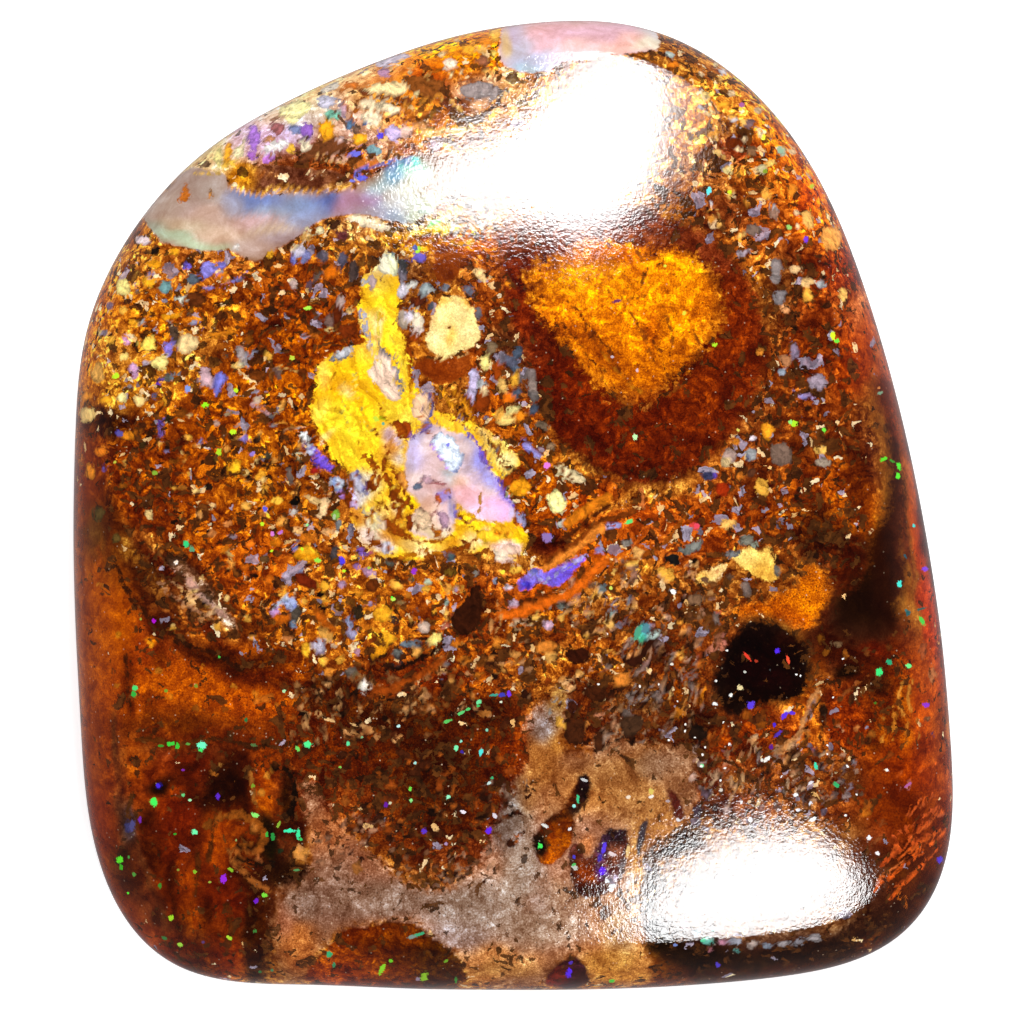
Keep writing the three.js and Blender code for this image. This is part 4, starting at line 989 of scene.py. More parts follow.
    ('hole_a', 584, 784, 7.1, 14.7, 0, (21, 6, 6), 0.95),
    ('hole_a', 576, 808, 8.8, 7.1, -30, (25, 10, 6), 0.9),
    ('hole_a', 538, 846, 7.6, 10.0, 0, (14, 7, 2), 0.95),
    ('hole_a', 554, 819, 17.6, 4.7, -30, (38, 11, 2), 0.8),
    ('hole_a', 551, 858, 11.8, 5.9, 0, (181, 77, 0), 0.9),
    ('hole_a', 560, 834, 8.8, 11.8, 0, (149, 66, 0), 0.8),
    ('hole_a', 569, 822, 2.9, 14.7, 0, (53, 17, 2), 0.7),
    ('hole_b', 598, 864, 58.8, 58.8, 0, (75, 26, 14), 1),
    ('hole_b', 613, 834, 14.7, 10.0, 0, (34, 15, 23), 0.95),
    ('hole_b', 604, 849, 5.9, 11.8, 0, (90, 58, 123), 0.8),
    ('hole_b', 616, 852, 7.6, 11.8, 0, (177, 104, 68), 0.85),
    ('hole_b', 610, 881, 5.9, 7.6, 0, (190, 169, 180), 0.8),
    ('hole_b', 622, 869, 4.1, 14.7, 10, (109, 109, 120), 0.7),
    ('hole_b', 589, 890, 17.6, 8.8, 0, (64, 22, 5), 0.9),
    ('hole_b', 586, 872, 11.8, 8.8, 0, (192, 82, 9), 0.85),
    ('hole_b', 575, 869, 4.1, 11.8, 0, (62, 38, 33), 0.8),
    ('hole_b', 601, 872, 5.9, 7.1, 0, (60, 28, 125), 0.7),
    ('hole_c', 644, 837, 8.8, 26.5, 0, (56, 43, 47), 1),
    ('slot', 675, 808, 17.6, 26.5, 0, (75, 21, 12), 1),
    ('stone', 651, 864, 4.1, 17.6, 8, (196, 176, 172), 0.85),
    ('stone', 628, 884, 3.5, 11.8, 20, (206, 200, 200), 0.7),
    ('stone', 586, 846, 8.8, 11.8, 0, (201, 113, 54), 0.8),
    ('M', 860, 515, 26.0, 32.0, 0, (195, 84, 0), 0.9),
    ('M', 850, 575, 22.0, 24.0, 0, (161, 51, 0), 0.85),
    ('M', 812, 531, 20.0, 26.0, 0, (53, 14, 0), 0.8),
    ('M', 780, 520, 30.0, 20.0, 0, (117, 42, 0), 0.6),
    ('M', 845, 640, 40.0, 30.0, 0, (34, 5, 0), 0.9),
    ('M', 870, 690, 40.0, 20.0, 0, (71, 15, 0), 0.8),
    ('M', 905, 690, 20.0, 40.0, 0, (157, 53, 0), 0.7),
    ('M', 925, 700, 14.0, 60.0, 0, (192, 69, 3), 0.7),
    ('M', 660, 680, 40.0, 50.0, 0, (97, 32, 0), 0.8),
    ('M', 700, 740, 30.0, 40.0, 0, (60, 16, 0), 0.85),
    ('M', 720, 790, 30.0, 30.0, 0, (81, 22, 0), 0.8),
    ('M', 690, 700, 20.0, 30.0, 0, (60, 14, 0), 0.7),
    ('M', 640, 700, 30.0, 30.0, 0, (128, 71, 25), 0.5),
    ('M', 600, 650, 50.0, 16.0, 0, (151, 64, 5), 0.6),
    ('M', 400, 730, 130.0, 60.0, 0, (105, 34, 0), 0.85),
    ('M', 340, 760, 50.0, 40.0, 0, (112, 33, 0), 0.8),
    ('M', 460, 770, 60.0, 50.0, 0, (101, 30, 0), 0.8),
    ('M', 420, 820, 60.0, 40.0, 0, (105, 33, 0), 0.8),
    ('M', 490, 730, 40.0, 30.0, 0, (152, 50, 0), 0.7),
    ('M', 340, 700, 60.0, 24.0, 0, (91, 29, 0), 0.7),
    ('M', 300, 740, 40.0, 30.0, 0, (117, 38, 0), 0.7),
    ('M', 480, 710, 24.0, 18.0, 0, (60, 14, 0), 0.8),
    ('M', 460, 840, 40.0, 24.0, 0, (111, 42, 8), 0.7),
    ('M', 500, 790, 16.0, 30.0, 0, (81, 22, 0), 0.7),
    ('MT', 410, 750, 120.0, 80.0, 0, (52, 80, 70), 0.9),
    ('MS', 410, 750, 120.0, 80.0, 0, (30, 2, 1), 0.9),
    ('MT', 690, 720, 60.0, 70.0, 0, (56, 70, 70), 0.8),
    ('MS', 690, 720, 60.0, 70.0, 0, (30, 3, 4), 0.8),
    ('MT', 830, 640, 60.0, 50.0, 0, (24, 40, 60), 0.8),
    ('MS', 830, 640, 60.0, 50.0, 0, (16, 0, 2), 0.8),
    ('oval', 600, 280, 50.0, 26.0, -8, (255, 150, 0), 0.8),
    ('oval', 660, 285, 36.0, 26.0, 10, (250, 141, 0), 0.8),
    ('oval', 700, 300, 16.0, 30.0, 0, (227, 117, 0), 0.8),
    ('oval', 560, 285, 22.0, 16.0, 0, (251, 151, 0), 0.8),
    ('oval', 640, 265, 14.0, 14.0, 0, (213, 100, 0), 0.6),
    ('oval', 590, 340, 26.0, 10.0, 34, (160, 68, 0), 0.8),
    ('oval', 610, 360, 30.0, 10.0, 30, (171, 76, 0), 0.8),
    ('oval', 640, 372, 24.0, 14.0, 0, (187, 89, 0), 0.8),
    ('oval', 640, 395, 20.0, 8.0, 0, (150, 61, 0), 0.8),
    ('oval', 680, 355, 20.0, 10.0, -40, (181, 85, 0), 0.8),
    ('oval', 625, 330, 30.0, 20.0, 20, (229, 120, 0), 0.8),
    ('oval', 600, 315, 30.0, 14.0, 20, (238, 129, 0), 0.8),
    ('oval', 650, 330, 8.0, 24.0, 10, (203, 92, 0), 0.7),
    ('oval', 560, 310, 14.0, 18.0, 30, (213, 108, 0), 0.8),
    ('M', 111, 424, 22.0, 14.0, 10, (46, 12, 0), 0.9),
    ('M', 98, 470, 12.0, 40.0, 0, (121, 43, 0), 0.7),
    ('M', 110, 520, 14.0, 40.0, -14, (65, 18, 0), 0.7),
    ('M', 135, 590, 14.0, 34.0, -36, (61, 16, 0), 0.8),
    ('M', 168, 628, 34.0, 12.0, 40, (65, 17, 0), 0.8),
    ('M', 220, 662, 44.0, 12.0, 18, (76, 19, 0), 0.85),
    ('M', 290, 690, 50.0, 12.0, 8, (65, 16, 0), 0.85),
    ('M', 352, 702, 40.0, 14.0, 0, (58, 14, 0), 0.8),
    ('M', 400, 722, 40.0, 22.0, 0, (53, 14, 0), 0.8),
    ('M', 420, 672, 40.0, 9.0, -20, (97, 26, 0), 0.8),
    ('M', 474, 616, 26.0, 10.0, -44, (55, 13, 0), 0.85),
    ('M', 452, 640, 20.0, 8.0, -38, (71, 19, 0), 0.8),
    ('M', 320, 740, 60.0, 26.0, 0, (89, 25, 0), 0.7),
    ('M', 430, 760, 60.0, 40.0, 0, (67, 16, 0), 0.8),
    ('M', 455, 800, 40.0, 40.0, 0, (85, 24, 0), 0.8),
    ('M', 380, 800, 50.0, 30.0, 0, (111, 40, 2), 0.7),
    ('M', 330, 690, 40.0, 12.0, 0, (85, 22, 0), 0.7),
    ('M', 500, 720, 20.0, 26.0, 0, (57, 13, 0), 0.8),
    ('M', 580, 690, 26.0, 20.0, 0, (77, 20, 0), 0.7),
    ('M', 640, 720, 40.0, 20.0, 0, (85, 27, 1), 0.7),
    ('M', 690, 730, 24.0, 50.0, 0, (55, 13, 0), 0.85),
    ('M', 740, 780, 60.0, 40.0, 0, (105, 37, 5), 0.7),
    ('M', 700, 640, 40.0, 26.0, 0, (113, 42, 4), 0.6),
    ('M', 640, 610, 50.0, 22.0, 0, (120, 47, 4), 0.6),
    ('M', 560, 610, 30.0, 14.0, 0, (185, 83, 0), 0.5),
    ('M', 860, 470, 20.0, 60.0, 0, (73, 19, 0), 0.8),
    ('M', 845, 560, 26.0, 36.0, 0, (48, 8, 0), 0.85),
    ('M', 850, 640, 46.0, 40.0, 0, (49, 7, 0), 0.85),
    ('M', 885, 700, 30.0, 44.0, 0, (94, 27, 0), 0.8),
    ('M', 900, 790, 36.0, 60.0, 0, (114, 34, 0), 0.75),
    ('M', 880, 880, 50.0, 30.0, -30, (60, 19, 0), 0.8),
    ('M', 915, 900, 30.0, 40.0, 0, (71, 22, 0), 0.8),
    ('M', 840, 800, 30.0, 30.0, 0, (105, 31, 0), 0.7),
    ('M', 910, 430, 14.0, 60.0, -12, (83, 22, 1), 0.8),
    ('M', 925, 520, 10.0, 50.0, -8, (85, 24, 4), 0.8),
    ('M', 800, 480, 30.0, 24.0, 0, (130, 44, 0), 0.6),
    ('M', 790, 420, 18.0, 30.0, 0, (138, 56, 4), 0.5),
    ('M', 765, 470, 30.0, 20.0, -30, (96, 35, 4), 0.6),
    ('M', 200, 700, 40.0, 16.0, 10, (202, 90, 0), 0.7),
    ('M', 110, 620, 26.0, 60.0, 0, (172, 74, 0), 0.7),
    ('M', 150, 690, 40.0, 26.0, 0, (180, 75, 0), 0.7),
    ('M', 150, 790, 30.0, 26.0, 0, (143, 48, 0), 0.5),
    ('M', 175, 735, 40.0, 16.0, 0, (104, 31, 0), 0.6),
    ('M', 180, 790, 26.0, 20.0, 0, (67, 16, 0), 0.7),
    ('M', 240, 790, 20.0, 40.0, 0, (72, 16, 0), 0.7),
    ('M', 240, 860, 20.0, 30.0, 0, (56, 12, 0), 0.7),
    ('M', 160, 880, 30.0, 40.0, 0, (129, 41, 0), 0.6),
    ('M', 150, 940, 40.0, 26.0, 20, (103, 28, 0), 0.6),
    ('M', 290, 470, 20.0, 16.0, 0, (108, 38, 0), 0.6),
    ('M', 320, 480, 12.0, 20.0, 0, (97, 31, 0), 0.6),
    ('M', 250, 520, 30.0, 16.0, 0, (114, 40, 0), 0.5),
    ('M', 180, 440, 24.0, 18.0, 0, (111, 39, 0), 0.5),
    ('M', 140, 430, 20.0, 18.0, 0, (97, 32, 0), 0.6),
    ('M', 150, 380, 30.0, 20.0, 0, (208, 126, 25), 0.5),
    ('M', 115, 350, 24.0, 26.0, 0, (235, 155, 57), 0.6),
    ('M', 215, 300, 40.0, 18.0, 0, (199, 107, 11), 0.5),
    ('M', 250, 400, 26.0, 20.0, 0, (218, 116, 11), 0.45),
    ('M', 270, 330, 26.0, 16.0, 0, (111, 42, 0), 0.5),
    ('M', 200, 540, 24.0, 16.0, 0, (215, 105, 3), 0.45),
    ('M', 320, 560, 30.0, 16.0, 0, (214, 112, 8), 0.5),
    ('M', 380, 640, 40.0, 16.0, -10, (209, 116, 18), 0.5),
    ('M', 300, 630, 30.0, 14.0, 0, (207, 105, 4), 0.5),
    ('M', 445, 590, 20.0, 12.0, 0, (208, 94, 0), 0.5),
    ('stone', 420, 900, 60.0, 20.0, 6, (150, 122, 104), 0.8),
    ('stone', 480, 905, 40.0, 26.0, 0, (160, 134, 116), 0.85),
    ('stone', 520, 870, 20.0, 50.0, 8, (158, 132, 112), 0.8),
    ('stone', 510, 815, 16.0, 30.0, 10, (129, 110, 100), 0.85),
    ('stone', 330, 880, 30.0, 30.0, 0, (128, 90, 68), 0.7),
    ('stone', 300, 900, 16.0, 20.0, 0, (128, 97, 79), 0.6),
    ('stone', 370, 900, 40.0, 18.0, 0, (134, 97, 74), 0.7),
    ('stone', 540, 930, 50.0, 20.0, 0, (164, 130, 104), 0.8),
    ('stone', 620, 930, 20.0, 30.0, 0, (176, 132, 84), 0.8),
    ('stone', 640, 800, 40.0, 40.0, 0, (161, 105, 55), 0.6),
    ('stone', 600, 770, 30.0, 20.0, 0, (147, 93, 48), 0.6),
    ('stone', 660, 765, 30.0, 14.0, 0, (128, 90, 64), 0.7),
    ('stone', 680, 790, 14.0, 24.0, 0, (138, 86, 49), 0.7),
    ('stone', 560, 830, 14.0, 26.0, 0, (165, 117, 79), 0.7),
    ('stone', 570, 900, 30.0, 24.0, 0, (170, 130, 100), 0.7),
    ('stone', 610, 960, 30.0, 12.0, 0, (196, 128, 50), 0.8),
    ('stone', 500, 970, 40.0, 10.0, 0, (176, 116, 56), 0.8),
    ('M', 650, 915, 10.0, 26.0, -14, (16, 5, 0), 0.95),
    # darker along the bottom edge below the lower highlight: dark stone plus a painted dark reflection of the shoulder
    ('M', 665, 945, 20.0, 16.0, 20, (19, 7, 1), 0.95),
    ('M', 700, 960, 44.0, 18.0, 6, (25, 9, 1), 0.95),
    ('M', 760, 962, 60.0, 14.0, 0, (34, 12, 1), 0.95),
    ('M', 830, 950, 50.0, 14.0, -12, (38, 13, 1), 0.95),
    ('M', 880, 925, 40.0, 16.0, -34, (44, 14, 1), 0.9),
    ('M', 700, 975, 50.0, 8.0, 0, (60, 20, 1), 0.8),
    ('M', 800, 972, 60.0, 8.0, -4, (70, 24, 1), 0.8),
    ('M', 870, 950, 30.0, 10.0, -30, (78, 26, 0), 0.8),
    ('M', 655, 880, 10.0, 20.0, 0, (30, 9, 2), 0.8),
    ('M', 670, 845, 26.0, 8.0, -26, (39, 14, 3), 0.8),
    ('M', 640, 865, 6.0, 14.0, 0, (59, 25, 6), 0.7),
    ('M', 560, 650, 14.0, 10.0, 0, (208, 125, 42), 0.5),
    ('M', 600, 600, 26.0, 14.0, 0, (187, 117, 44), 0.5),
    ('M', 640, 570, 16.0, 10.0, 0, (208, 126, 25), 0.4),
    ('M', 700, 600, 16.0, 30.0, 0, (95, 43, 8), 0.7),
    ('M', 655, 650, 12.0, 14.0, -40, (51, 12, 0), 0.8),
    ('M', 640, 700, 26.0, 14.0, 0, (101, 62, 23), 0.6),
    ('M', 600, 690, 18.0, 12.0, 0, (64, 18, 0), 0.8),
    ('M', 575, 725, 14.0, 16.0, 0, (62, 18, 0), 0.8),
    ('M', 680, 690, 20.0, 26.0, 0, (151, 61, 0), 0.6),
    ('M', 660, 740, 40.0, 9.0, 0, (84, 29, 1), 0.7),
    ('M', 705, 735, 12.0, 9.0, 0, (32, 11, 1), 0.9),
    ('M', 752, 712, 26.0, 14.0, 0, (128, 43, 0), 0.7),
    ('M', 725, 745, 16.0, 12.0, 0, (122, 35, 0), 0.7),
    ('M', 770, 755, 30.0, 14.0, 0, (120, 48, 2), 0.6),
    ('M', 555, 770, 14.0, 20.0, 0, (195, 146, 98), 0.5),
    ('M', 480, 690, 26.0, 10.0, 0, (151, 61, 2), 0.5),
    ('M', 470, 655, 26.0, 14.0, 0, (180, 88, 5), 0.5),
    ('M', 510, 640, 20.0, 20.0, 0, (130, 57, 6), 0.6),
    ('M', 540, 640, 16.0, 14.0, 0, (110, 45, 3), 0.5),
    ('M', 400, 690, 30.0, 9.0, -20, (134, 40, 0), 0.8),
    ('M', 330, 680, 24.0, 10.0, 0, (60, 19, 0), 0.8),
    ('M', 420, 705, 40.0, 9.0, 0, (90, 39, 6), 0.6),
    ('M', 390, 700, 24.0, 8.0, 0, (119, 59, 7), 0.6),
    ('M', 310, 700, 20.0, 10.0, 0, (95, 43, 5), 0.6),
    ('M', 430, 770, 50.0, 40.0, 0, (51, 12, 0), 0.8),
    ('M', 370, 760, 40.0, 30.0, 0, (77, 20, 0), 0.7),
    ('M', 440, 820, 40.0, 30.0, 0, (67, 18, 0), 0.7),
    ('M', 380, 720, 50.0, 12.0, 0, (71, 23, 0), 0.7),
    ('M', 470, 720, 30.0, 18.0, 0, (60, 14, 0), 0.7),
    ('M', 340, 800, 30.0, 26.0, 0, (111, 42, 6), 0.5),
    ('M', 88, 622, 12.5, 66.7, 0, (150, 63, 0), 0.7),
    ('M', 92, 735, 14.2, 66.7, 0, (141, 57, 0), 0.7),
    ('M', 100, 827, 12.5, 41.7, -10, (126, 38, 0), 0.7),
    ('M', 117, 902, 12.5, 37.5, -34, (129, 48, 4), 0.7),
    ('M', 142, 943, 25.0, 10.0, 40, (142, 52, 8), 0.7),
    ('M', 129, 685, 6.7, 29.2, -6, (82, 21, 0), 0.85),
    ('M', 175, 681, 37.5, 20.8, 0, (176, 73, 0), 0.75),
    ('M', 254, 702, 41.7, 18.3, 0, (182, 71, 0), 0.7),
    ('M', 183, 725, 29.2, 8.3, 0, (101, 39, 0), 0.75),
    ('M', 158, 627, 15.0, 20.8, 30, (63, 14, 0), 0.8),
    ('M', 212, 658, 33.3, 12.5, 14, (58, 14, 0), 0.85),
    ('M', 262, 664, 25.0, 10.0, 0, (60, 16, 0), 0.8),
    ('M', 179, 602, 25.0, 14.2, 30, (116, 54, 10), 0.7),
    ('M', 204, 618, 12.5, 8.3, 0, (184, 106, 40), 0.6),
    ('M', 117, 635, 6.7, 6.7, 0, (193, 88, 0), 0.8),
    ('M', 149, 643, 5.0, 5.0, 0, (230, 117, 0), 0.8),
    ('M', 175, 745, 37.5, 4.2, 0, (76, 20, 0), 0.7),
    ('M', 138, 762, 14.2, 10.0, 0, (153, 60, 0), 0.7),
    ('M', 158, 788, 13.3, 10.0, 0, (29, 4, 0), 0.9),
    ('M', 194, 763, 16.7, 10.0, 0, (95, 20, 0), 0.75),
    ('M', 228, 785, 14.2, 25.8, 0, (38, 7, 0), 0.9),
    ('M', 162, 806, 14.2, 12.5, 0, (137, 41, 0), 0.75),
    ('M', 190, 816, 10.8, 10.8, 0, (111, 24, 0), 0.7),
    ('M', 262, 787, 11.7, 23.3, 0, (146, 58, 0), 0.85),
    ('M', 287, 785, 7.5, 25.0, 0, (46, 12, 0), 0.85),
    ('M', 244, 802, 7.5, 10.0, 0, (46, 10, 0), 0.8),
    ('M', 269, 841, 5.8, 19.2, 0, (17, 16, 1), 0.85),
    ('M', 244, 833, 14.2, 12.5, 0, (119, 36, 0), 0.75),
    ('M', 279, 868, 20.8, 14.2, 0, (29, 5, 0), 0.85),
    ('M', 302, 831, 6.7, 18.3, 0, (57, 14, 0), 0.85),
    ('M', 300, 854, 8.3, 6.2, 0, (194, 109, 28), 0.9),
    ('M', 215, 852, 10.8, 23.3, 0, (133, 45, 0), 0.75),
    ('M', 190, 898, 9.2, 37.5, 0, (135, 48, 0), 0.75),
    ('M', 221, 931, 18.3, 25.0, 0, (119, 36, 0), 0.7),
    ('M', 215, 904, 5.8, 10.8, 0, (60, 12, 0), 0.8),
    ('M', 158, 852, 19.2, 22.5, 0, (70, 16, 0), 0.75),
    ('M', 169, 906, 10.0, 20.8, 0, (54, 12, 0), 0.8),
    ('M', 258, 927, 15.0, 33.3, 0, (59, 16, 0), 0.8),
    ('M', 200, 964, 20.8, 7.5, 0, (71, 20, 0), 0.7),
    ('M', 131, 877, 14.2, 26.7, -24, (56, 19, 1), 0.7),
    ('M', 132, 825, 6.2, 15.0, -10, (56, 40, 44), 0.75),
    ('M', 117, 752, 5.0, 37.5, -6, (85, 33, 6), 0.6),
    ('M', 150, 877, 5.0, 37.5, -22, (87, 36, 10), 0.55),
    ('M', 158, 918, 4.2, 20.8, -20, (92, 44, 13), 0.5),
    ('M', 250, 881, 16.7, 8.3, 20, (39, 8, 0), 0.8),
    ('M', 233, 893, 12.5, 8.3, 0, (72, 16, 0), 0.7),
    ('M', 846, 675, 16.1, 6.1, -18, (14, 3, 0), 0.95),
    ('M', 816, 669, 10.0, 19.4, 0, (109, 40, 0), 0.75),
    ('M', 864, 619, 25.0, 20.0, 0, (16, 2, 0), 0.92),
    ('M', 876, 650, 13.9, 7.8, 0, (103, 21, 0), 0.75),
    ('M', 875, 686, 14.4, 10.6, 0, (50, 17, 2), 0.85),
    ('M', 926, 667, 12.8, 25.0, 0, (171, 71, 12), 0.7),
    ('M', 944, 744, 7.2, 55.6, 0, (137, 48, 7), 0.75),
    ('M', 887, 729, 7.2, 18.3, 0, (205, 100, 1), 0.7),
    ('M', 905, 697, 11.1, 19.4, 0, (198, 97, 3), 0.75),
    ('M', 908, 733, 6.1, 13.9, 0, (183, 85, 1), 0.7),
    ('M', 846, 722, 22.2, 27.8, 0, (124, 34, 0), 0.75),
    ('M', 823, 717, 5.0, 16.7, 0, (50, 15, 0), 0.8),
    ('M', 876, 747, 8.9, 7.8, 0, (78, 24, 0), 0.8),
    ('M', 918, 775, 16.7, 18.3, 0, (143, 42, 0), 0.7),
    ('M', 929, 744, 11.1, 10.0, 0, (104, 24, 0), 0.75),
    ('M', 851, 778, 12.2, 20.6, 0, (103, 63, 27), 0.6),
    ('M', 737, 783, 10.0, 10.0, 0, (196, 133, 58), 0.6),
    ('M', 773, 786, 25.0, 9.4, 0, (158, 82, 23), 0.6),
    ('M', 714, 739, 12.8, 7.2, 0, (160, 58, 0), 0.75),
    ('M', 754, 728, 19.4, 15.6, 0, (150, 50, 0), 0.75),
    ('M', 701, 758, 11.1, 7.8, 0, (58, 20, 1), 0.8),
    ('M', 918, 822, 33.3, 25.0, 0, (92, 26, 0), 0.7),
    ('M', 884, 800, 13.9, 13.9, 0, (112, 36, 0), 0.7),
    ('M', 868, 767, 11.1, 11.1, 0, (131, 48, 1), 0.6),
    ('M', 896, 767, 11.1, 8.3, 0, (142, 45, 0), 0.6),
    ('M', 715, 811, 16.7, 13.9, 0, (69, 30, 14), 0.6),
    ('M', 807, 767, 11.1, 13.9, 0, (111, 42, 3), 0.6),
    ('MS', 108, 660, 44.0, 130.0, 0, (2, 0, 0), 0.9),
    ('MT', 108, 660, 44.0, 130.0, 0, (22, 36, 60), 0.9),
    ('MS', 190, 690, 80.0, 40.0, 0, (5, 0, 0), 0.9),
    ('MT', 190, 690, 80.0, 40.0, 0, (36, 56, 60), 0.9),
    ('MS', 200, 830, 80.0, 100.0, 0, (5, 0, 0), 0.9),
    ('MT', 200, 830, 80.0, 100.0, 0, (40, 36, 110), 0.9),
    ('MS', 100, 850, 40.0, 80.0, -20, (2, 0, 0), 0.9),
    ('MT', 100, 850, 40.0, 80.0, -20, (20, 30, 70), 0.9),
    ('MS', 930, 720, 26.0, 150.0, 0, (2, 0, 0), 0.9),
    ('MT', 930, 720, 26.0, 150.0, 0, (24, 34, 60), 0.9),
    ('MS', 890, 800, 50.0, 60.0, 0, (4, 0, 0), 0.9),
    ('MT', 890, 800, 50.0, 60.0, 0, (30, 40, 80), 0.9),
    ('MS', 920, 480, 20.0, 90.0, -8, (1, 0, 0), 0.9),
    ('MT', 920, 480, 20.0, 90.0, -8, (20, 30, 60), 0.9),
    ('MS', 880, 600, 50.0, 50.0, 0, (1, 0, 0), 0.9),
    ('MT', 880, 600, 50.0, 50.0, 0, (16, 20, 50), 0.9),
    ('M', 179, 815, 19.2, 26.9, 0, (100, 20, 0), 0.7),
    ('M', 171, 850, 15.4, 13.8, 0, (95, 20, 0), 0.7),
    ('M', 221, 900, 15.4, 17.7, 0, (101, 23, 0), 0.7),
    ('M', 158, 785, 9.2, 6.9, 0, (23, 4, 0), 0.95),
    ('M', 229, 785, 17.7, 17.7, 0, (29, 4, 0), 0.95),
    ('M', 287, 801, 6.2, 24.6, -8, (36, 9, 0), 0.95),
    ('M', 264, 835, 8.5, 23.1, 0, (19, 8, 0), 0.95),
    ('M', 290, 868, 16.9, 10.0, 0, (34, 9, 0), 0.95),
    ('M', 147, 817, 6.9, 13.1, 0, (49, 8, 0), 0.9),
    ('M', 152, 854, 10.8, 16.9, 0, (56, 12, 0), 0.85),
    ('M', 172, 878, 6.9, 11.5, 0, (46, 8, 0), 0.85),
    ('M', 210, 915, 6.2, 13.1, 0, (50, 10, 0), 0.85),
    ('M', 251, 931, 10.8, 25.4, 0, (46, 12, 0), 0.9),
    ('M', 154, 915, 6.9, 13.8, 0, (46, 10, 0), 0.85),
    ('M', 127, 855, 5.4, 9.2, 0, (40, 15, 0), 0.8),
    ('M', 190, 766, 13.1, 5.4, 0, (59, 12, 0), 0.85),
    ('M', 199, 801, 4.6, 7.7, 0, (46, 8, 0), 0.85),
    ('M', 244, 815, 4.6, 6.2, 0, (39, 8, 0), 0.8),
    ('M', 241, 839, 6.2, 3.8, 0, (34, 6, 0), 0.85),
    ('M', 183, 931, 5.4, 11.5, 0, (56, 12, 0), 0.8),
    ('M', 261, 779, 8.5, 17.7, 0, (154, 54, 0), 0.95),
    ('M', 269, 798, 5.4, 11.5, 0, (149, 55, 0), 0.9),
    ('M', 219, 827, 10.0, 6.2, -30, (154, 54, 0), 0.9),
    ('M', 210, 851, 5.8, 19.2, 8, (149, 52, 0), 0.9),
    ('M', 233, 831, 11.5, 3.1, -16, (158, 64, 3), 0.9),
    ('M', 230, 848, 3.8, 10.0, 14, (158, 64, 3), 0.9),
    ('M', 247, 853, 8.5, 2.3, -10, (146, 52, 0), 0.9),
    ('M', 244, 868, 9.2, 2.3, 26, (152, 60, 3), 0.9),
    ('M', 190, 885, 4.6, 19.2, 0, (145, 50, 0), 0.85),
    ('M', 197, 920, 3.8, 15.4, 0, (143, 50, 0), 0.85),
    ('M', 228, 950, 10.0, 13.8, 0, (143, 48, 0), 0.8),
    ('M', 176, 791, 9.2, 6.2, 0, (143, 45, 0), 0.85),
    ('M', 137, 775, 7.7, 7.7, 0, (153, 60, 0), 0.8),
    ('M', 133, 746, 10.0, 10.0, 0, (151, 56, 0), 0.7),
    ('M', 218, 869, 4.6, 9.2, 10, (143, 48, 0), 0.8),
    ('M', 179, 865, 4.6, 10.0, 0, (138, 44, 0), 0.7),
    ('M', 167, 908, 3.8, 15.4, 0, (129, 42, 0), 0.7),
    ('M', 237, 915, 4.6, 11.5, 0, (129, 41, 0), 0.7),
    ('M', 115, 738, 3.8, 26.9, 0, (93, 45, 12), 0.8),
    ('M', 134, 819, 4.6, 16.9, -8, (62, 43, 45), 0.85),
    ('M', 146, 869, 3.5, 26.9, -14, (90, 41, 12), 0.7),
    ('M', 163, 915, 3.5, 19.2, -24, (92, 44, 12), 0.6),
    ('MT', 200, 830, 80.0, 100.0, 0, (34, 26, 60), 0.8),
]
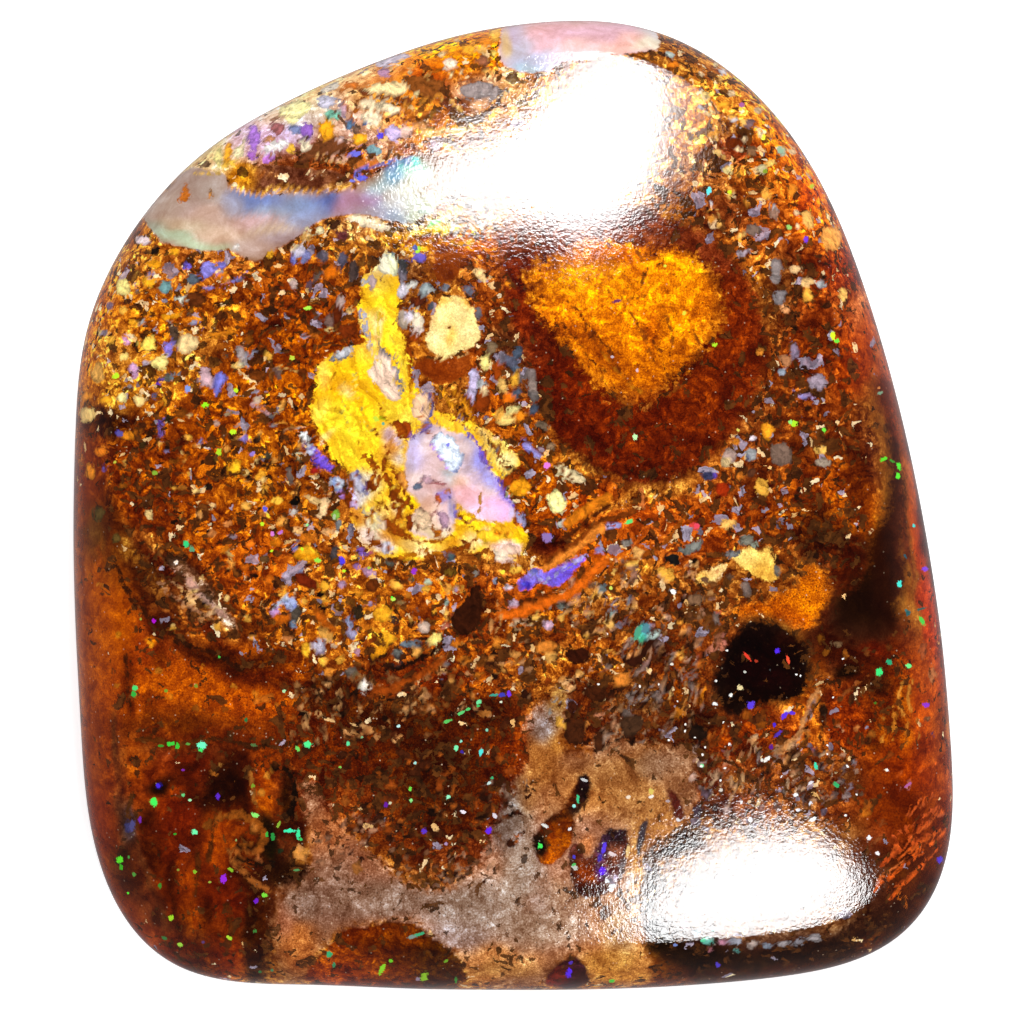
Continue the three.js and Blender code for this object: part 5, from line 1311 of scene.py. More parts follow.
# crisp grains: x, y, radii, turn, colour
GRAINS = [
    (142, 241, 7.4, 4.3, 0, (225, 200, 200)),
    (154, 250, 4.8, 4.3, 0, (16, 8, 6)),
    (225, 278, 2.2, 7.4, 20, (240, 150, 30)),
    (342, 236, 6.9, 5.6, 0, (110, 50, 50)),
    (329, 223, 3.9, 3.0, 0, (20, 8, 6)),
    (318, 232, 5.2, 3.0, 0, (245, 225, 170)),
    (309, 230, 3.9, 2.6, 0, (240, 220, 170)),
    (359, 221, 7.4, 3.0, 0, (255, 215, 160)),
    (377, 223, 8.7, 2.6, 0, (255, 215, 160)),
    (296, 249, 4.3, 3.0, 0, (230, 200, 150)),
    (417, 160, 4.8, 6.5, 20, (100, 230, 210)),
    # painted glint: a tiny white painted highlight
    (400, 203, 2.2, 1.7, 0, (240, 245, 250)),
    (430, 195, 7.4, 3.5, 0, (235, 200, 160)),
    (428, 211, 7.8, 3.5, 0, (190, 210, 186)),
    (448, 228, 15.2, 3.9, 0, (255, 200, 50)),
    (456, 208, 7.4, 3.5, 0, (250, 190, 60)),
    (453, 227, 3.5, 3.0, 0, (180, 180, 170)),
    (478, 206, 7.8, 3.9, 0, (245, 215, 200)),
    (482, 225, 5.2, 3.0, 0, (210, 225, 220)),
    (632, 168, 2.6, 2.2, 0, (20, 10, 8)),
    (609, 169, 4.3, 2.6, 0, (120, 120, 120)),
    (621, 167, 3.9, 2.6, 0, (110, 90, 80)),
    (660, 82, 4.8, 3.5, 0, (120, 110, 110)),
    (656, 102, 4.3, 3.5, 0, (120, 110, 110)),
    (646, 69, 4.3, 2.6, 0, (240, 150, 50)),
    (637, 72, 3.5, 2.6, 0, (240, 150, 50)),
    (521, 118, 6.5, 2.2, -30, (120, 70, 30)),
    (542, 168, 3.5, 1.7, 0, (120, 110, 100)),
    (454, 154, 3.5, 1.7, -20, (190, 150, 140)),
    (475, 179, 4.3, 1.7, -20, (180, 160, 160)),
    (669, 54, 4.3, 3.0, 0, (180, 190, 180)),
    (673, 65, 5.6, 3.9, 0, (226, 120, 20)),
    (749, 124, 5.4, 4.8, 0, (120, 90, 90)),
    (734, 143, 9.5, 6.5, 0, (100, 35, 5)),
    (751, 151, 5.6, 4.3, 0, (130, 90, 60)),
    (727, 171, 6.5, 4.3, 0, (225, 200, 130)),
    (781, 151, 4.3, 4.8, 0, (170, 180, 150)),
    (753, 191, 2.2, 1.7, 0, (40, 16, 8)),
    (679, 192, 3.3, 1.5, 0, (20, 8, 4)),
    (755, 230, 6.5, 5.6, 0, (120, 90, 70)),
    (705, 95, 5.6, 3.9, 0, (250, 210, 130)),
    (723, 104, 5.2, 3.9, 0, (245, 160, 40)),
    (701, 117, 5.2, 3.5, 0, (180, 100, 30)),
    (712, 134, 6.5, 3.9, 0, (230, 150, 50)),
    (697, 156, 5.6, 3.5, 0, (110, 50, 10)),
    (740, 173, 4.8, 3.5, 0, (236, 150, 40)),
    (762, 169, 4.3, 5.6, 20, (206, 190, 140)),
    (731, 191, 6.5, 3.5, 30, (230, 150, 60)),
    (744, 208, 5.6, 3.9, 20, (110, 46, 8)),
    (766, 193, 4.3, 6.5, 0, (240, 160, 60)),
    (792, 191, 5.2, 6.5, 0, (226, 130, 30)),
    (740, 236, 4.3, 3.5, 0, (240, 180, 90)),
    (749, 254, 5.2, 4.3, 0, (90, 34, 6)),
    (718, 152, 4.3, 3.0, 0, (240, 190, 110)),
    (742, 139, 3.5, 2.6, 0, (245, 210, 160)),
    (770, 134, 3.9, 3.0, 0, (216, 130, 40)),
    (710, 113, 3.5, 2.6, 0, (250, 220, 150)),
    (692, 130, 4.3, 2.6, 0, (250, 210, 140)),
    (731, 117, 3.9, 2.6, 0, (240, 170, 70)),
    (160, 424, 2.4, 4.8, 0, (140, 110, 200)),
    (294, 500, 5.2, 4.3, 0, (14, 8, 4)),
    (277, 500, 5.6, 4.8, 0, (250, 190, 60)),
    (149, 514, 4.8, 4.3, 0, (245, 205, 130)),
    (97, 513, 5.6, 7.8, 0, (80, 60, 25)),
    (116, 537, 5.6, 4.8, 0, (90, 66, 26)),
    (227, 522, 5.6, 3.5, 0, (230, 140, 70)),
    (233, 537, 4.8, 3.0, 0, (150, 130, 140)),
    (295, 512, 4.3, 3.9, 0, (200, 190, 180)),
    (251, 543, 4.8, 4.3, 0, (230, 110, 20)),
    (232, 563, 3.5, 5.6, 0, (235, 150, 60)),
    (285, 576, 3.9, 4.3, 0, (190, 170, 190)),
    (287, 602, 6.5, 4.8, 0, (170, 180, 225)),
    (281, 619, 7.8, 5.6, 0, (190, 90, 10)),
    (181, 590, 7.8, 1.5, 34, (245, 180, 100)),
    (190, 600, 7.8, 1.5, 34, (245, 190, 120)),
    (246, 506, 5.6, 3.9, 0, (240, 170, 70)),
    (264, 515, 4.8, 3.5, 0, (190, 110, 40)),
    (281, 522, 5.6, 3.9, 0, (230, 150, 60)),
    (299, 532, 5.6, 3.9, 0, (240, 180, 110)),
    (277, 543, 5.2, 3.9, 0, (206, 110, 10)),
    (264, 559, 4.8, 4.3, 0, (90, 60, 30)),
    (288, 639, 5.2, 3.5, 0, (200, 120, 60)),
    (268, 580, 4.8, 3.9, 0, (206, 100, 14)),
    (246, 565, 4.3, 4.3, 0, (190, 90, 10)),
    (225, 550, 4.3, 3.5, 0, (220, 120, 20)),
    (212, 532, 4.3, 4.3, 0, (200, 120, 60)),
    (199, 515, 4.3, 5.6, 20, (220, 150, 80)),
    (212, 506, 3.9, 3.0, 0, (240, 190, 120)),
    (508, 589, 5.6, 1.7, -10, (240, 214, 226)),
    (753, 439, 3.9, 2.2, 0, (240, 220, 226)),
    (723, 489, 5.2, 4.8, 0, (160, 40, 5)),
    (749, 457, 4.3, 3.5, 0, (110, 110, 130)),
    (727, 459, 6.1, 7.4, 0, (200, 170, 120)),
    (712, 475, 3.9, 3.0, 0, (110, 80, 190)),
    (644, 630, 5.2, 3.9, 0, (60, 160, 150)),
    (740, 476, 4.8, 5.2, 0, (200, 110, 30)),
    (751, 472, 4.3, 3.9, 0, (90, 50, 30)),
    (736, 444, 4.3, 4.3, 0, (206, 120, 30)),
    (760, 353, 4.3, 4.3, 0, (216, 130, 40)),
    (692, 600, 4.8, 3.9, 0, (180, 110, 60)),
    (632, 608, 5.2, 3.9, 0, (226, 160, 80)),
    (666, 617, 5.2, 3.9, 0, (190, 140, 110)),
    (623, 624, 5.2, 3.9, 0, (120, 90, 90)),
    (684, 632, 5.6, 3.9, 0, (216, 140, 70)),
    (710, 617, 5.2, 4.3, 0, (110, 60, 20)),
    (363, 686, 5.0, 5.0, 0, (225, 215, 190)),
    (300, 852, 9.0, 6.0, 0, (215, 140, 60)),
    (641, 634, 7.0, 6.0, 0, (70, 170, 160)),
    (648, 628, 5.0, 4.0, 0, (120, 190, 180)),
    (655, 636, 4.0, 5.0, 0, (190, 210, 200)),
    (290, 604, 7.0, 6.0, 0, (170, 180, 220)),
    (285, 598, 4.0, 5.0, 0, (206, 210, 230)),
    (275, 612, 5.0, 4.0, 0, (190, 140, 190)),
    (262, 700, 10.0, 3.0, -20, (190, 96, 20)),
    (205, 600, 14.0, 3.0, 36, (196, 150, 130)),
    (190, 584, 10.0, 3.0, 36, (190, 140, 120)),
    (222, 614, 10.0, 3.0, 36, (176, 130, 110)),
    (906, 788, 3.6, 2.7, 0, (226, 150, 150)),
    (447, 446, 1.8, 1.8, 0, (110, 120, 232)),
    (369, 338, 2.1, 4.6, -14, (252, 252, 250)),
    (381, 314, 3.9, 2.5, 0, (244, 180, 20)),
    (508, 284, 4.3, 3.6, 0, (226, 130, 20)),
    (322, 257, 6.4, 5.4, 0, (90, 80, 90)),
    (306, 239, 5.4, 4.3, 0, (200, 150, 80)),
    (332, 273, 7.1, 7.1, 0, (206, 100, 8)),
    (354, 271, 4.3, 10.7, 0, (70, 54, 50)),
    (343, 260, 5.4, 7.1, 0, (80, 74, 90)),
    (318, 276, 4.6, 4.3, 0, (96, 80, 70)),
    (315, 319, 3.6, 7.1, 0, (100, 70, 60)),
    (329, 321, 4.3, 7.1, 0, (120, 90, 80)),
    (350, 309, 5.4, 2.9, -40, (250, 200, 120)),
    (342, 301, 3.6, 7.1, 20, (190, 160, 150)),
    (329, 328, 3.2, 2.9, 0, (250, 214, 130)),
    (316, 337, 4.6, 3.6, 0, (190, 96, 20)),
    (336, 314, 5.4, 10.7, 0, (86, 30, 6)),
    (349, 330, 10.7, 7.1, 0, (110, 40, 6)),
    (518, 353, 4.6, 5.4, 0, (70, 80, 96)),
    (516, 366, 4.6, 4.3, 0, (80, 90, 106)),
    (502, 355, 4.6, 6.4, 0, (110, 100, 110)),
    (515, 392, 5.4, 3.9, 0, (70, 76, 90)),
    (502, 384, 4.3, 8.9, 0, (220, 170, 90)),
    (515, 378, 3.6, 7.1, 30, (240, 170, 50)),
    (532, 387, 5.4, 8.9, 0, (140, 120, 110)),
    (531, 373, 4.6, 5.4, 0, (120, 104, 100)),
    (497, 369, 5.4, 10.7, 0, (150, 60, 8)),
    (508, 398, 5.4, 5.4, 0, (230, 110, 14)),
    (482, 401, 8.9, 10.7, 0, (126, 48, 6)),
    (475, 398, 3.6, 7.1, -20, (60, 26, 8)),
    (534, 409, 4.6, 7.1, 30, (60, 66, 80)),
    (506, 419, 8.9, 7.1, 0, (245, 200, 110)),
    (520, 416, 5.4, 7.1, 0, (214, 120, 20)),
    (520, 487, 10.7, 8.9, 0, (236, 150, 20)),
    (509, 480, 5.4, 7.1, 0, (140, 54, 6)),
    (306, 555, 12.5, 5.4, 0, (206, 130, 10)),
    (334, 550, 4.3, 6.1, 0, (70, 60, 60)),
    (363, 551, 4.3, 3.6, 0, (130, 90, 180)),
    (324, 509, 4.3, 10.7, 20, (240, 196, 140)),
    (306, 519, 8.9, 2.1, 40, (240, 214, 180)),
    (315, 501, 10.7, 2.5, 30, (236, 190, 120)),
    (327, 532, 5.4, 2.9, 0, (250, 180, 110)),
    (336, 516, 3.6, 7.1, 0, (130, 180, 60)),
    (338, 525, 2.9, 5.4, 0, (110, 110, 110)),
    (306, 537, 7.1, 5.4, 0, (206, 110, 20)),
    (315, 469, 4.3, 3.6, 0, (150, 30, 20)),
    # painted glints: tiny white painted highlights below the upper highlight's tail
    (395, 204, 3.3, 2.1, 0, (236, 238, 246)),
    (379, 200, 1.7, 1.7, 0, (240, 240, 250)),
    (369, 190, 1.4, 1.4, 0, (240, 240, 250)),
    (402, 199, 1.4, 1.4, 0, (240, 240, 250)),
    (292, 116, 5.2, 2.1, -20, (240, 170, 40)),
    (330, 119, 3.3, 1.9, 0, (60, 36, 14)),
    (469, 51, 7.1, 5.7, 0, (250, 170, 40)),
    (485, 41, 7.1, 5.7, 0, (226, 130, 20)),
    (495, 34, 5.7, 5.7, 0, (250, 180, 60)),
    (483, 60, 5.7, 4.8, 0, (150, 90, 60)),
    (492, 53, 3.8, 3.3, 0, (240, 200, 90)),
    (421, 125, 7.1, 4.3, 0, (226, 150, 80)),
    (407, 132, 7.1, 7.1, 0, (240, 190, 170)),
    (419, 139, 5.7, 4.8, 0, (236, 140, 30)),
    (426, 149, 5.7, 3.8, 0, (206, 120, 30)),
    (435, 144, 5.7, 4.3, 0, (190, 160, 170)),
    (457, 130, 11.9, 3.3, -6, (250, 220, 150)),
    (433, 132, 9.5, 3.8, 0, (250, 200, 110)),
    (402, 149, 11.9, 2.9, 0, (180, 80, 20)),
    (392, 153, 6.2, 2.4, 0, (240, 150, 40)),
    (345, 110, 5.7, 5.7, 0, (190, 150, 160)),
    (380, 125, 3.3, 7.1, 0, (220, 170, 110)),
    (269, 139, 5.7, 3.3, -30, (190, 130, 90)),
    (340, 139, 4.8, 3.3, 0, (206, 170, 160)),
    (335, 146, 3.8, 2.9, 0, (90, 50, 30)),
    (317, 738, 2.7, 2.4, 81.5478330881972, (191, 136, 82)),
    (378, 709, 3.7, 2.6, -84.89677570479697, (158, 104, 57)),
    (317, 742, 3.0, 2.6, -30.33196808497005, (187, 123, 68)),
    (319, 689, 1.7, 1.6, -53.976246226567945, (209, 149, 89)),
    (365, 683, 3.0, 2.1, 37.331140288306386, (162, 97, 48)),
    (303, 706, 1.8, 1.7, 50.682287671817335, (226, 162, 97)),
    (378, 737, 3.1, 2.1, -26.74557753925393, (182, 122, 67)),
    (422, 711, 2.3, 2.1, -4.988001641065566, (168, 101, 50)),
    (428, 679, 3.0, 2.3, 44.25062212682741, (138, 82, 41)),
    (428, 736, 3.1, 2.3, -79.92790194513398, (142, 85, 42)),
    (364, 677, 2.5, 2.0, -26.469092769478465, (176, 118, 64)),
    (299, 708, 3.3, 2.4, 46.07514860388082, (161, 96, 48)),
    (383, 707, 2.2, 1.5, 85.4026930456028, (180, 121, 66)),
    (319, 731, 1.7, 1.6, -63.15169390650834, (162, 106, 59)),
    (398, 740, 2.0, 1.6, 41.801677109296975, (182, 119, 66)),
    (414, 707, 2.4, 2.0, 7.371818495737372, (213, 152, 91)),
    (358, 678, 2.5, 1.8, -88.41205838181565, (152, 100, 55)),
    (385, 727, 2.4, 2.2, 81.24227061528595, (194, 131, 71)),
    (365, 730, 2.3, 1.9, 67.91116497736232, (174, 104, 52)),
    (416, 682, 2.8, 2.2, -33.29764824734529, (196, 140, 84)),
    (396, 742, 2.1, 1.7, 44.8639285429455, (233, 166, 100)),
    (346, 733, 2.8, 2.4, 44.376716148616026, (158, 95, 47)),
    (328, 683, 2.3, 2.1, 77.31024221092403, (231, 165, 99)),
    (372, 713, 3.0, 2.3, -79.7469415144055, (193, 127, 70)),
    (405, 694, 1.6, 1.5, 84.40522493232811, (201, 135, 73)),
    (388, 681, 1.9, 1.6, 21.6319965767336, (141, 84, 42)),
    (408, 709, 3.4, 2.4, 5.960656800028502, (191, 128, 70)),
    (294, 728, 2.4, 2.4, 51.28787260220204, (137, 82, 41)),
    (405, 712, 3.2, 2.4, -77.4516109517819, (215, 153, 92)),
    (300, 725, 2.3, 2.1, 12.204990822817564, (158, 95, 47)),
    (317, 714, 3.4, 2.3, -20.402637625054794, (206, 147, 88)),
    (303, 728, 3.0, 2.2, 26.512345039908652, (169, 111, 61)),
    (380, 689, 2.8, 2.2, 51.287958440757166, (199, 142, 85)),
    (421, 699, 1.9, 1.7, -42.31768835467679, (224, 160, 96)),
    (324, 738, 3.2, 2.6, 32.7174274044814, (197, 140, 84)),
    (417, 714, 2.2, 1.8, 4.491822503590583, (195, 128, 71)),
    (402, 721, 2.8, 2.0, 7.529372900961647, (174, 104, 52)),
    (344, 733, 2.5, 2.0, 45.31267081947948, (174, 104, 52)),
    (351, 733, 2.0, 1.5, -86.32225883194144, (232, 165, 99)),
    (342, 694, 2.4, 1.6, -70.19320828439962, (230, 164, 98)),
    (417, 687, 2.4, 1.9, -37.07059843965316, (191, 128, 70)),
    (383, 727, 2.0, 1.9, -30.750605786177914, (213, 143, 78)),
    (361, 704, 2.5, 2.3, 24.88420296850539, (162, 97, 48)),
    (430, 736, 1.6, 1.5, -79.54222432810182, (142, 85, 42)),
    (365, 733, 2.4, 1.9, 3.2962018363688657, (149, 89, 44)),
    (401, 739, 2.9, 2.1, -57.77950980384604, (202, 136, 74)),
    (423, 679, 2.7, 2.1, -74.43136785959828, (164, 108, 59)),
    (357, 692, 2.2, 1.7, -9.277973236154736, (166, 100, 50)),
    (303, 687, 2.5, 1.9, -47.95397943928138, (162, 97, 48)),
    (336, 707, 3.3, 2.4, -48.76962361915365, (221, 158, 94)),
    (424, 692, 3.5, 2.4, 58.670743054427334, (169, 114, 62)),
    (392, 721, 1.9, 1.5, 18.32953309737158, (216, 146, 79)),
    (323, 726, 2.4, 2.3, -29.969813317282394, (165, 108, 60)),
    (346, 739, 2.3, 2.2, -84.63043908068364, (145, 87, 43)),
    (341, 729, 1.7, 1.5, -5.765734824943792, (152, 100, 55)),
    (416, 712, 2.1, 1.6, 72.97907907020618, (203, 145, 87)),
    (412, 683, 1.7, 1.5, 10.700885986899834, (205, 147, 88)),
    (306, 722, 2.7, 1.8, 3.8983296331931427, (231, 165, 99)),
    (321, 693, 1.8, 1.5, 26.896469154912324, (195, 139, 83)),
    (316, 729, 2.1, 2.1, 37.2002005981973, (173, 104, 52)),
    (320, 702, 2.5, 2.4, -34.30831815184023, (164, 98, 49)),
    (321, 715, 2.3, 1.6, 7.825502075076017, (230, 164, 98)),
    (399, 684, 2.9, 2.2, -65.25167811330674, (175, 117, 64)),
    (308, 721, 2.5, 2.0, 49.307991781708694, (149, 89, 44)),
    (363, 727, 2.9, 2.4, -21.53329604911309, (213, 152, 91)),
    (295, 690, 2.8, 1.9, -70.13692649301981, (178, 120, 65)),
    (361, 710, 3.1, 2.1, -60.20046478344641, (213, 152, 91)),
    (365, 681, 2.2, 1.8, 54.443564139279545, (192, 126, 69)),
    (418, 691, 3.6, 2.5, 58.236866465992904, (149, 89, 44)),
    (326, 733, 2.8, 2.0, -82.71432639042857, (154, 92, 46)),
    (364, 728, 3.6, 2.4, 57.64956766774449, (165, 109, 60)),
    (350, 681, 1.6, 1.6, -12.786975078015715, (146, 87, 43)),
    (333, 719, 2.9, 2.5, 85.99242997541577, (196, 140, 84)),
    (357, 722, 3.0, 2.5, -20.6600221375121, (193, 130, 71)),
    (370, 731, 3.3, 2.4, -47.34016611703413, (213, 143, 78)),
    (292, 734, 2.7, 2.2, -12.330684859567583, (177, 117, 64)),
    (397, 681, 3.3, 2.2, 5.643556501754929, (153, 91, 45)),
    (330, 677, 2.9, 2.5, -7.151686975992462, (158, 95, 47)),
    (346, 732, 3.2, 2.6, -85.8960359117315, (233, 166, 100)),
    (291, 734, 2.6, 2.5, -70.6145394090213, (155, 93, 46)),
    (338, 690, 3.0, 2.4, -57.98172623020682, (191, 136, 82)),
    (415, 680, 3.1, 2.6, -13.84647974043574, (199, 142, 85)),
    (372, 682, 3.3, 2.4, 76.58647053294857, (153, 100, 55)),
    (396, 690, 2.8, 2.2, -60.10467482137419, (143, 85, 42)),
    (312, 677, 3.0, 2.5, 24.905234419862936, (142, 85, 42)),
    (421, 719, 2.4, 1.8, -1.9301848333048781, (201, 135, 73)),
    (295, 697, 2.5, 2.0, -87.0163655982639, (157, 94, 47)),
    (425, 700, 2.4, 1.6, 39.29570770919534, (173, 114, 62)),
    (305, 699, 2.7, 2.5, -44.67851388753611, (157, 103, 57)),
    (306, 725, 3.6, 2.5, 89.90453943110168, (197, 141, 84)),
    (296, 683, 2.6, 2.6, -6.367955253119177, (175, 118, 64)),
    (428, 696, 2.0, 1.6, -12.052554063009566, (147, 88, 44)),
    (311, 688, 1.7, 1.6, -0.10972712198493184, (206, 139, 75)),
    (412, 689, 2.6, 2.2, 18.49504525717066, (217, 146, 79)),
    (342, 688, 2.1, 1.6, 60.13569687258564, (188, 126, 69)),
    (378, 738, 2.5, 2.1, 51.82747210905026, (186, 123, 67)),
    (335, 720, 2.4, 2.4, 47.237683663983404, (184, 131, 79)),
    (340, 680, 1.9, 1.5, 86.15796006367336, (176, 116, 64)),
    (391, 680, 2.5, 2.2, 87.91704965377605, (156, 102, 56)),
    (409, 701, 2.9, 2.1, -72.20144984117263, (182, 120, 66)),
    (355, 734, 2.5, 1.7, 7.214819419365099, (214, 144, 78)),
    (429, 705, 2.5, 1.9, 70.17465260918684, (154, 92, 46)),
    (376, 736, 2.7, 2.1, 13.479027637843146, (171, 112, 62)),
    (314, 714, 2.1, 1.9, 17.676619376096326, (229, 163, 98)),
    (323, 692, 1.9, 1.5, 24.471141355607244, (209, 149, 89)),
    (323, 733, 2.7, 2.7, 56.1677620581826, (68, 28, 9)),
    (355, 701, 3.0, 2.3, 72.20666607396439, (83, 35, 11)),
    (409, 680, 4.3, 2.9, -29.423343372459115, (78, 32, 10)),
    (396, 735, 3.6, 2.6, 1.6468566998574659, (83, 35, 11)),
    (307, 730, 2.6, 2.1, -52.4994393864622, (81, 34, 10)),
    (417, 689, 2.9, 1.9, -8.037516705767644, (82, 34, 10)),
    (324, 718, 2.2, 1.9, -27.301900967684176, (38, 15, 5)),
    (423, 704, 2.8, 2.3, 19.07485924344175, (32, 12, 5)),
    (357, 723, 4.0, 3.2, -42.56057128147977, (32, 13, 5)),
    (337, 711, 2.5, 2.4, 36.57133831436792, (33, 13, 5)),
    (316, 742, 4.6, 3.1, 43.13931362403727, (51, 20, 6)),
    (370, 698, 3.5, 2.9, -72.63811967604747, (76, 32, 10)),
    (329, 689, 3.4, 3.0, -67.94586074197815, (30, 12, 5)),
    (346, 741, 3.0, 2.0, -49.60201414932243, (67, 28, 8)),
    (408, 717, 2.5, 2.4, -30.15306921027579, (59, 23, 7)),
    (306, 715, 2.9, 2.7, 40.251454891932184, (26, 10, 4)),
    (384, 724, 2.2, 1.9, 63.947456312188564, (65, 26, 8)),
    (304, 695, 2.4, 2.3, -31.840487293440134, (65, 26, 8)),
    (302, 691, 2.3, 2.1, -79.87266506538914, (62, 24, 8)),
    (418, 724, 2.2, 2.0, -44.70408949397489, (81, 34, 10)),
    (360, 739, 4.0, 3.1, 46.67280637147107, (42, 17, 6)),
    (424, 696, 2.7, 1.9, -17.37199745619263, (84, 35, 11)),
    (409, 705, 4.2, 3.1, -84.87741805071302, (78, 32, 10)),
    (412, 709, 2.8, 2.7, 49.66626063032135, (42, 16, 6)),
    (415, 690, 3.3, 3.0, -84.63096297956976, (75, 31, 9)),
    (349, 707, 2.5, 1.9, 57.85770954486705, (55, 22, 7)),
    (344, 701, 2.0, 1.9, 1.2677509425287923, (63, 25, 8)),
    (328, 682, 2.4, 2.0, 81.28292029942511, (35, 14, 5)),
    (408, 717, 3.0, 2.2, 14.904247057178111, (32, 12, 5)),
    (399, 711, 2.7, 1.9, -47.407905663814184, (35, 14, 5)),
    (343, 714, 3.4, 2.8, -44.7121177351772, (32, 13, 5)),
    (336, 736, 2.5, 2.4, -54.276007579126464, (43, 17, 6)),
    (421, 716, 3.1, 2.2, 49.50553087387169, (38, 15, 5)),
    (381, 702, 2.6, 2.4, 17.20330723381116, (64, 25, 8)),
    (333, 682, 3.1, 2.4, 59.64697531207551, (38, 15, 5)),
    (316, 696, 4.0, 2.9, -42.48757100739477, (37, 14, 5)),
    (300, 714, 3.2, 3.0, 65.27380635028038, (27, 10, 4)),
    (414, 696, 2.8, 2.3, -68.32695973065071, (38, 15, 5)),
    (385, 719, 4.0, 2.8, 76.9192323901652, (28, 11, 4)),
    (300, 689, 3.4, 2.7, 59.00609528131244, (67, 28, 8)),
    (391, 698, 3.4, 2.8, 29.951431166724333, (32, 13, 5)),
    (358, 688, 3.1, 2.1, -7.679465218140535, (40, 16, 6)),
    (342, 697, 3.8, 2.9, 55.360333513160185, (39, 15, 5)),
    (396, 726, 4.2, 3.2, 3.4183635374722883, (40, 16, 6)),
    (320, 728, 3.3, 2.9, 71.78181974261238, (73, 31, 9)),
    (353, 694, 2.6, 2.4, -33.5856457884637, (36, 14, 5)),
    (393, 711, 3.4, 2.7, -36.58382959462325, (31, 12, 5)),
    (357, 693, 3.6, 2.4, 33.42256563947936, (28, 11, 4)),
    (414, 696, 3.2, 2.6, -61.59600464584132, (38, 15, 5)),
    (336, 735, 1.9, 1.8, -57.524274054981284, (56, 22, 7)),
    (441, 720, 2.4, 1.7, -11.189047819084635, (102, 51, 14)),
    (445, 706, 3.2, 2.4, 68.96214767309922, (132, 74, 26)),
    (476, 706, 3.3, 2.7, -19.447064684572695, (192, 131, 81)),
    (433, 714, 2.1, 1.8, 41.85131421860362, (161, 90, 32)),
    (450, 646, 3.6, 2.8, -70.42532669553796, (195, 133, 82)),
    (439, 658, 2.3, 1.6, -29.832723355983447, (178, 108, 44)),
    (430, 669, 2.9, 2.6, 76.38969760815607, (174, 106, 43)),
    (449, 654, 2.3, 2.2, 56.7752083803411, (156, 87, 31)),
    (527, 694, 2.2, 2.0, -76.9490070962553, (175, 120, 73)),
    (431, 708, 2.4, 2.1, 11.84697274475971, (215, 131, 53)),
    (457, 689, 4.0, 2.8, 88.5034624878345, (121, 61, 17)),
    (444, 673, 3.5, 2.6, -84.24344767729039, (170, 116, 71)),
    (441, 664, 3.5, 2.4, 63.26192490320608, (155, 86, 31)),
    (454, 670, 2.8, 2.2, -36.96263612228712, (155, 87, 31)),
    (463, 706, 3.3, 2.8, -68.5217092416762, (178, 121, 74)),
    (510, 643, 2.9, 2.0, 30.498705296914068, (189, 115, 47)),
    (519, 684, 2.4, 1.9, 39.592891251095864, (188, 115, 47)),
    (431, 710, 3.5, 2.8, 17.937354733043264, (194, 132, 81)),
    (463, 663, 3.4, 2.6, 63.63114430276261, (177, 108, 44)),
    (475, 714, 3.0, 2.4, -12.755144254111627, (156, 87, 31)),
    (499, 718, 2.4, 1.8, -53.075257016475604, (99, 50, 14)),
    (474, 694, 2.7, 1.8, 36.70540123539564, (216, 131, 54)),
    (469, 674, 3.1, 2.3, 31.689788802935936, (180, 123, 76)),
    (480, 715, 2.0, 1.6, -36.14834957611656, (154, 86, 30)),
    (426, 644, 2.5, 1.9, 0.5856211863167999, (178, 122, 75)),
    (516, 662, 3.1, 2.5, -77.26623940720151, (185, 113, 46)),
    (426, 713, 3.2, 2.4, 63.320590429725314, (150, 84, 30)),
    (450, 689, 2.9, 2.6, 76.20118560134401, (95, 48, 13)),
    (488, 714, 3.6, 2.8, -5.258168996283445, (181, 110, 45)),
    (520, 643, 2.2, 1.8, -31.857006259385102, (174, 119, 73)),
    (443, 698, 3.2, 2.6, 85.66204625322419, (209, 143, 88)),
    (492, 717, 1.9, 1.7, -54.146740649433966, (174, 119, 73)),
    (472, 697, 3.5, 2.6, 35.515248602457206, (129, 72, 25)),
    (427, 697, 3.4, 2.7, -4.7900529946993515, (173, 118, 73)),
    (450, 679, 3.0, 2.6, 77.86451455532597, (135, 75, 27)),
    (459, 711, 2.9, 2.5, 78.14992734204628, (210, 143, 88)),
    (513, 653, 3.0, 2.4, -83.18656048304324, (142, 79, 28)),
    (473, 668, 2.1, 1.6, 78.666534366435, (208, 142, 87)),
    (425, 646, 2.6, 2.4, 75.18732248349522, (176, 120, 74)),
    (515, 685, 2.3, 1.8, -2.092208650438778, (196, 134, 82)),
    (505, 678, 2.3, 2.0, -68.11639415992778, (104, 53, 15)),
    (478, 679, 2.4, 1.6, -23.454556693899917, (106, 54, 15)),
    (453, 677, 2.9, 2.3, -0.807902624242459, (121, 61, 17)),
    (461, 683, 2.6, 2.2, 60.69463914088081, (137, 76, 27)),
    (492, 658, 3.5, 2.7, -88.70630460151918, (219, 133, 54)),
    (527, 643, 2.1, 1.9, 41.140592426986245, (192, 131, 81)),
    (445, 681, 3.0, 2.5, -10.720888542439113, (39, 15, 5)),
    (524, 694, 3.0, 2.1, -70.62921520974528, (57, 22, 7)),
    (522, 671, 3.2, 2.8, 19.881219869930106, (77, 32, 10)),
    (503, 728, 4.6, 3.4, -53.301185126809244, (74, 31, 9)),
    (496, 677, 4.0, 3.6, 14.486550923835864, (31, 12, 5)),
    (451, 715, 3.4, 2.9, 43.53211183651149, (41, 16, 6)),
    (509, 727, 3.0, 2.8, 11.357717035460183, (69, 29, 9)),
    (508, 720, 3.2, 3.0, -68.4273683715052, (66, 26, 8)),
    (491, 661, 4.3, 3.5, -20.880497804695523, (60, 24, 8)),
    (517, 686, 2.4, 2.3, -47.48824127359945, (41, 16, 6)),
    (478, 650, 2.9, 2.6, -31.697571556318074, (67, 28, 8)),
    (504, 683, 3.8, 2.7, -32.2550206164562, (83, 35, 11)),
    (442, 682, 3.2, 3.0, -7.095975768995004, (65, 26, 8)),
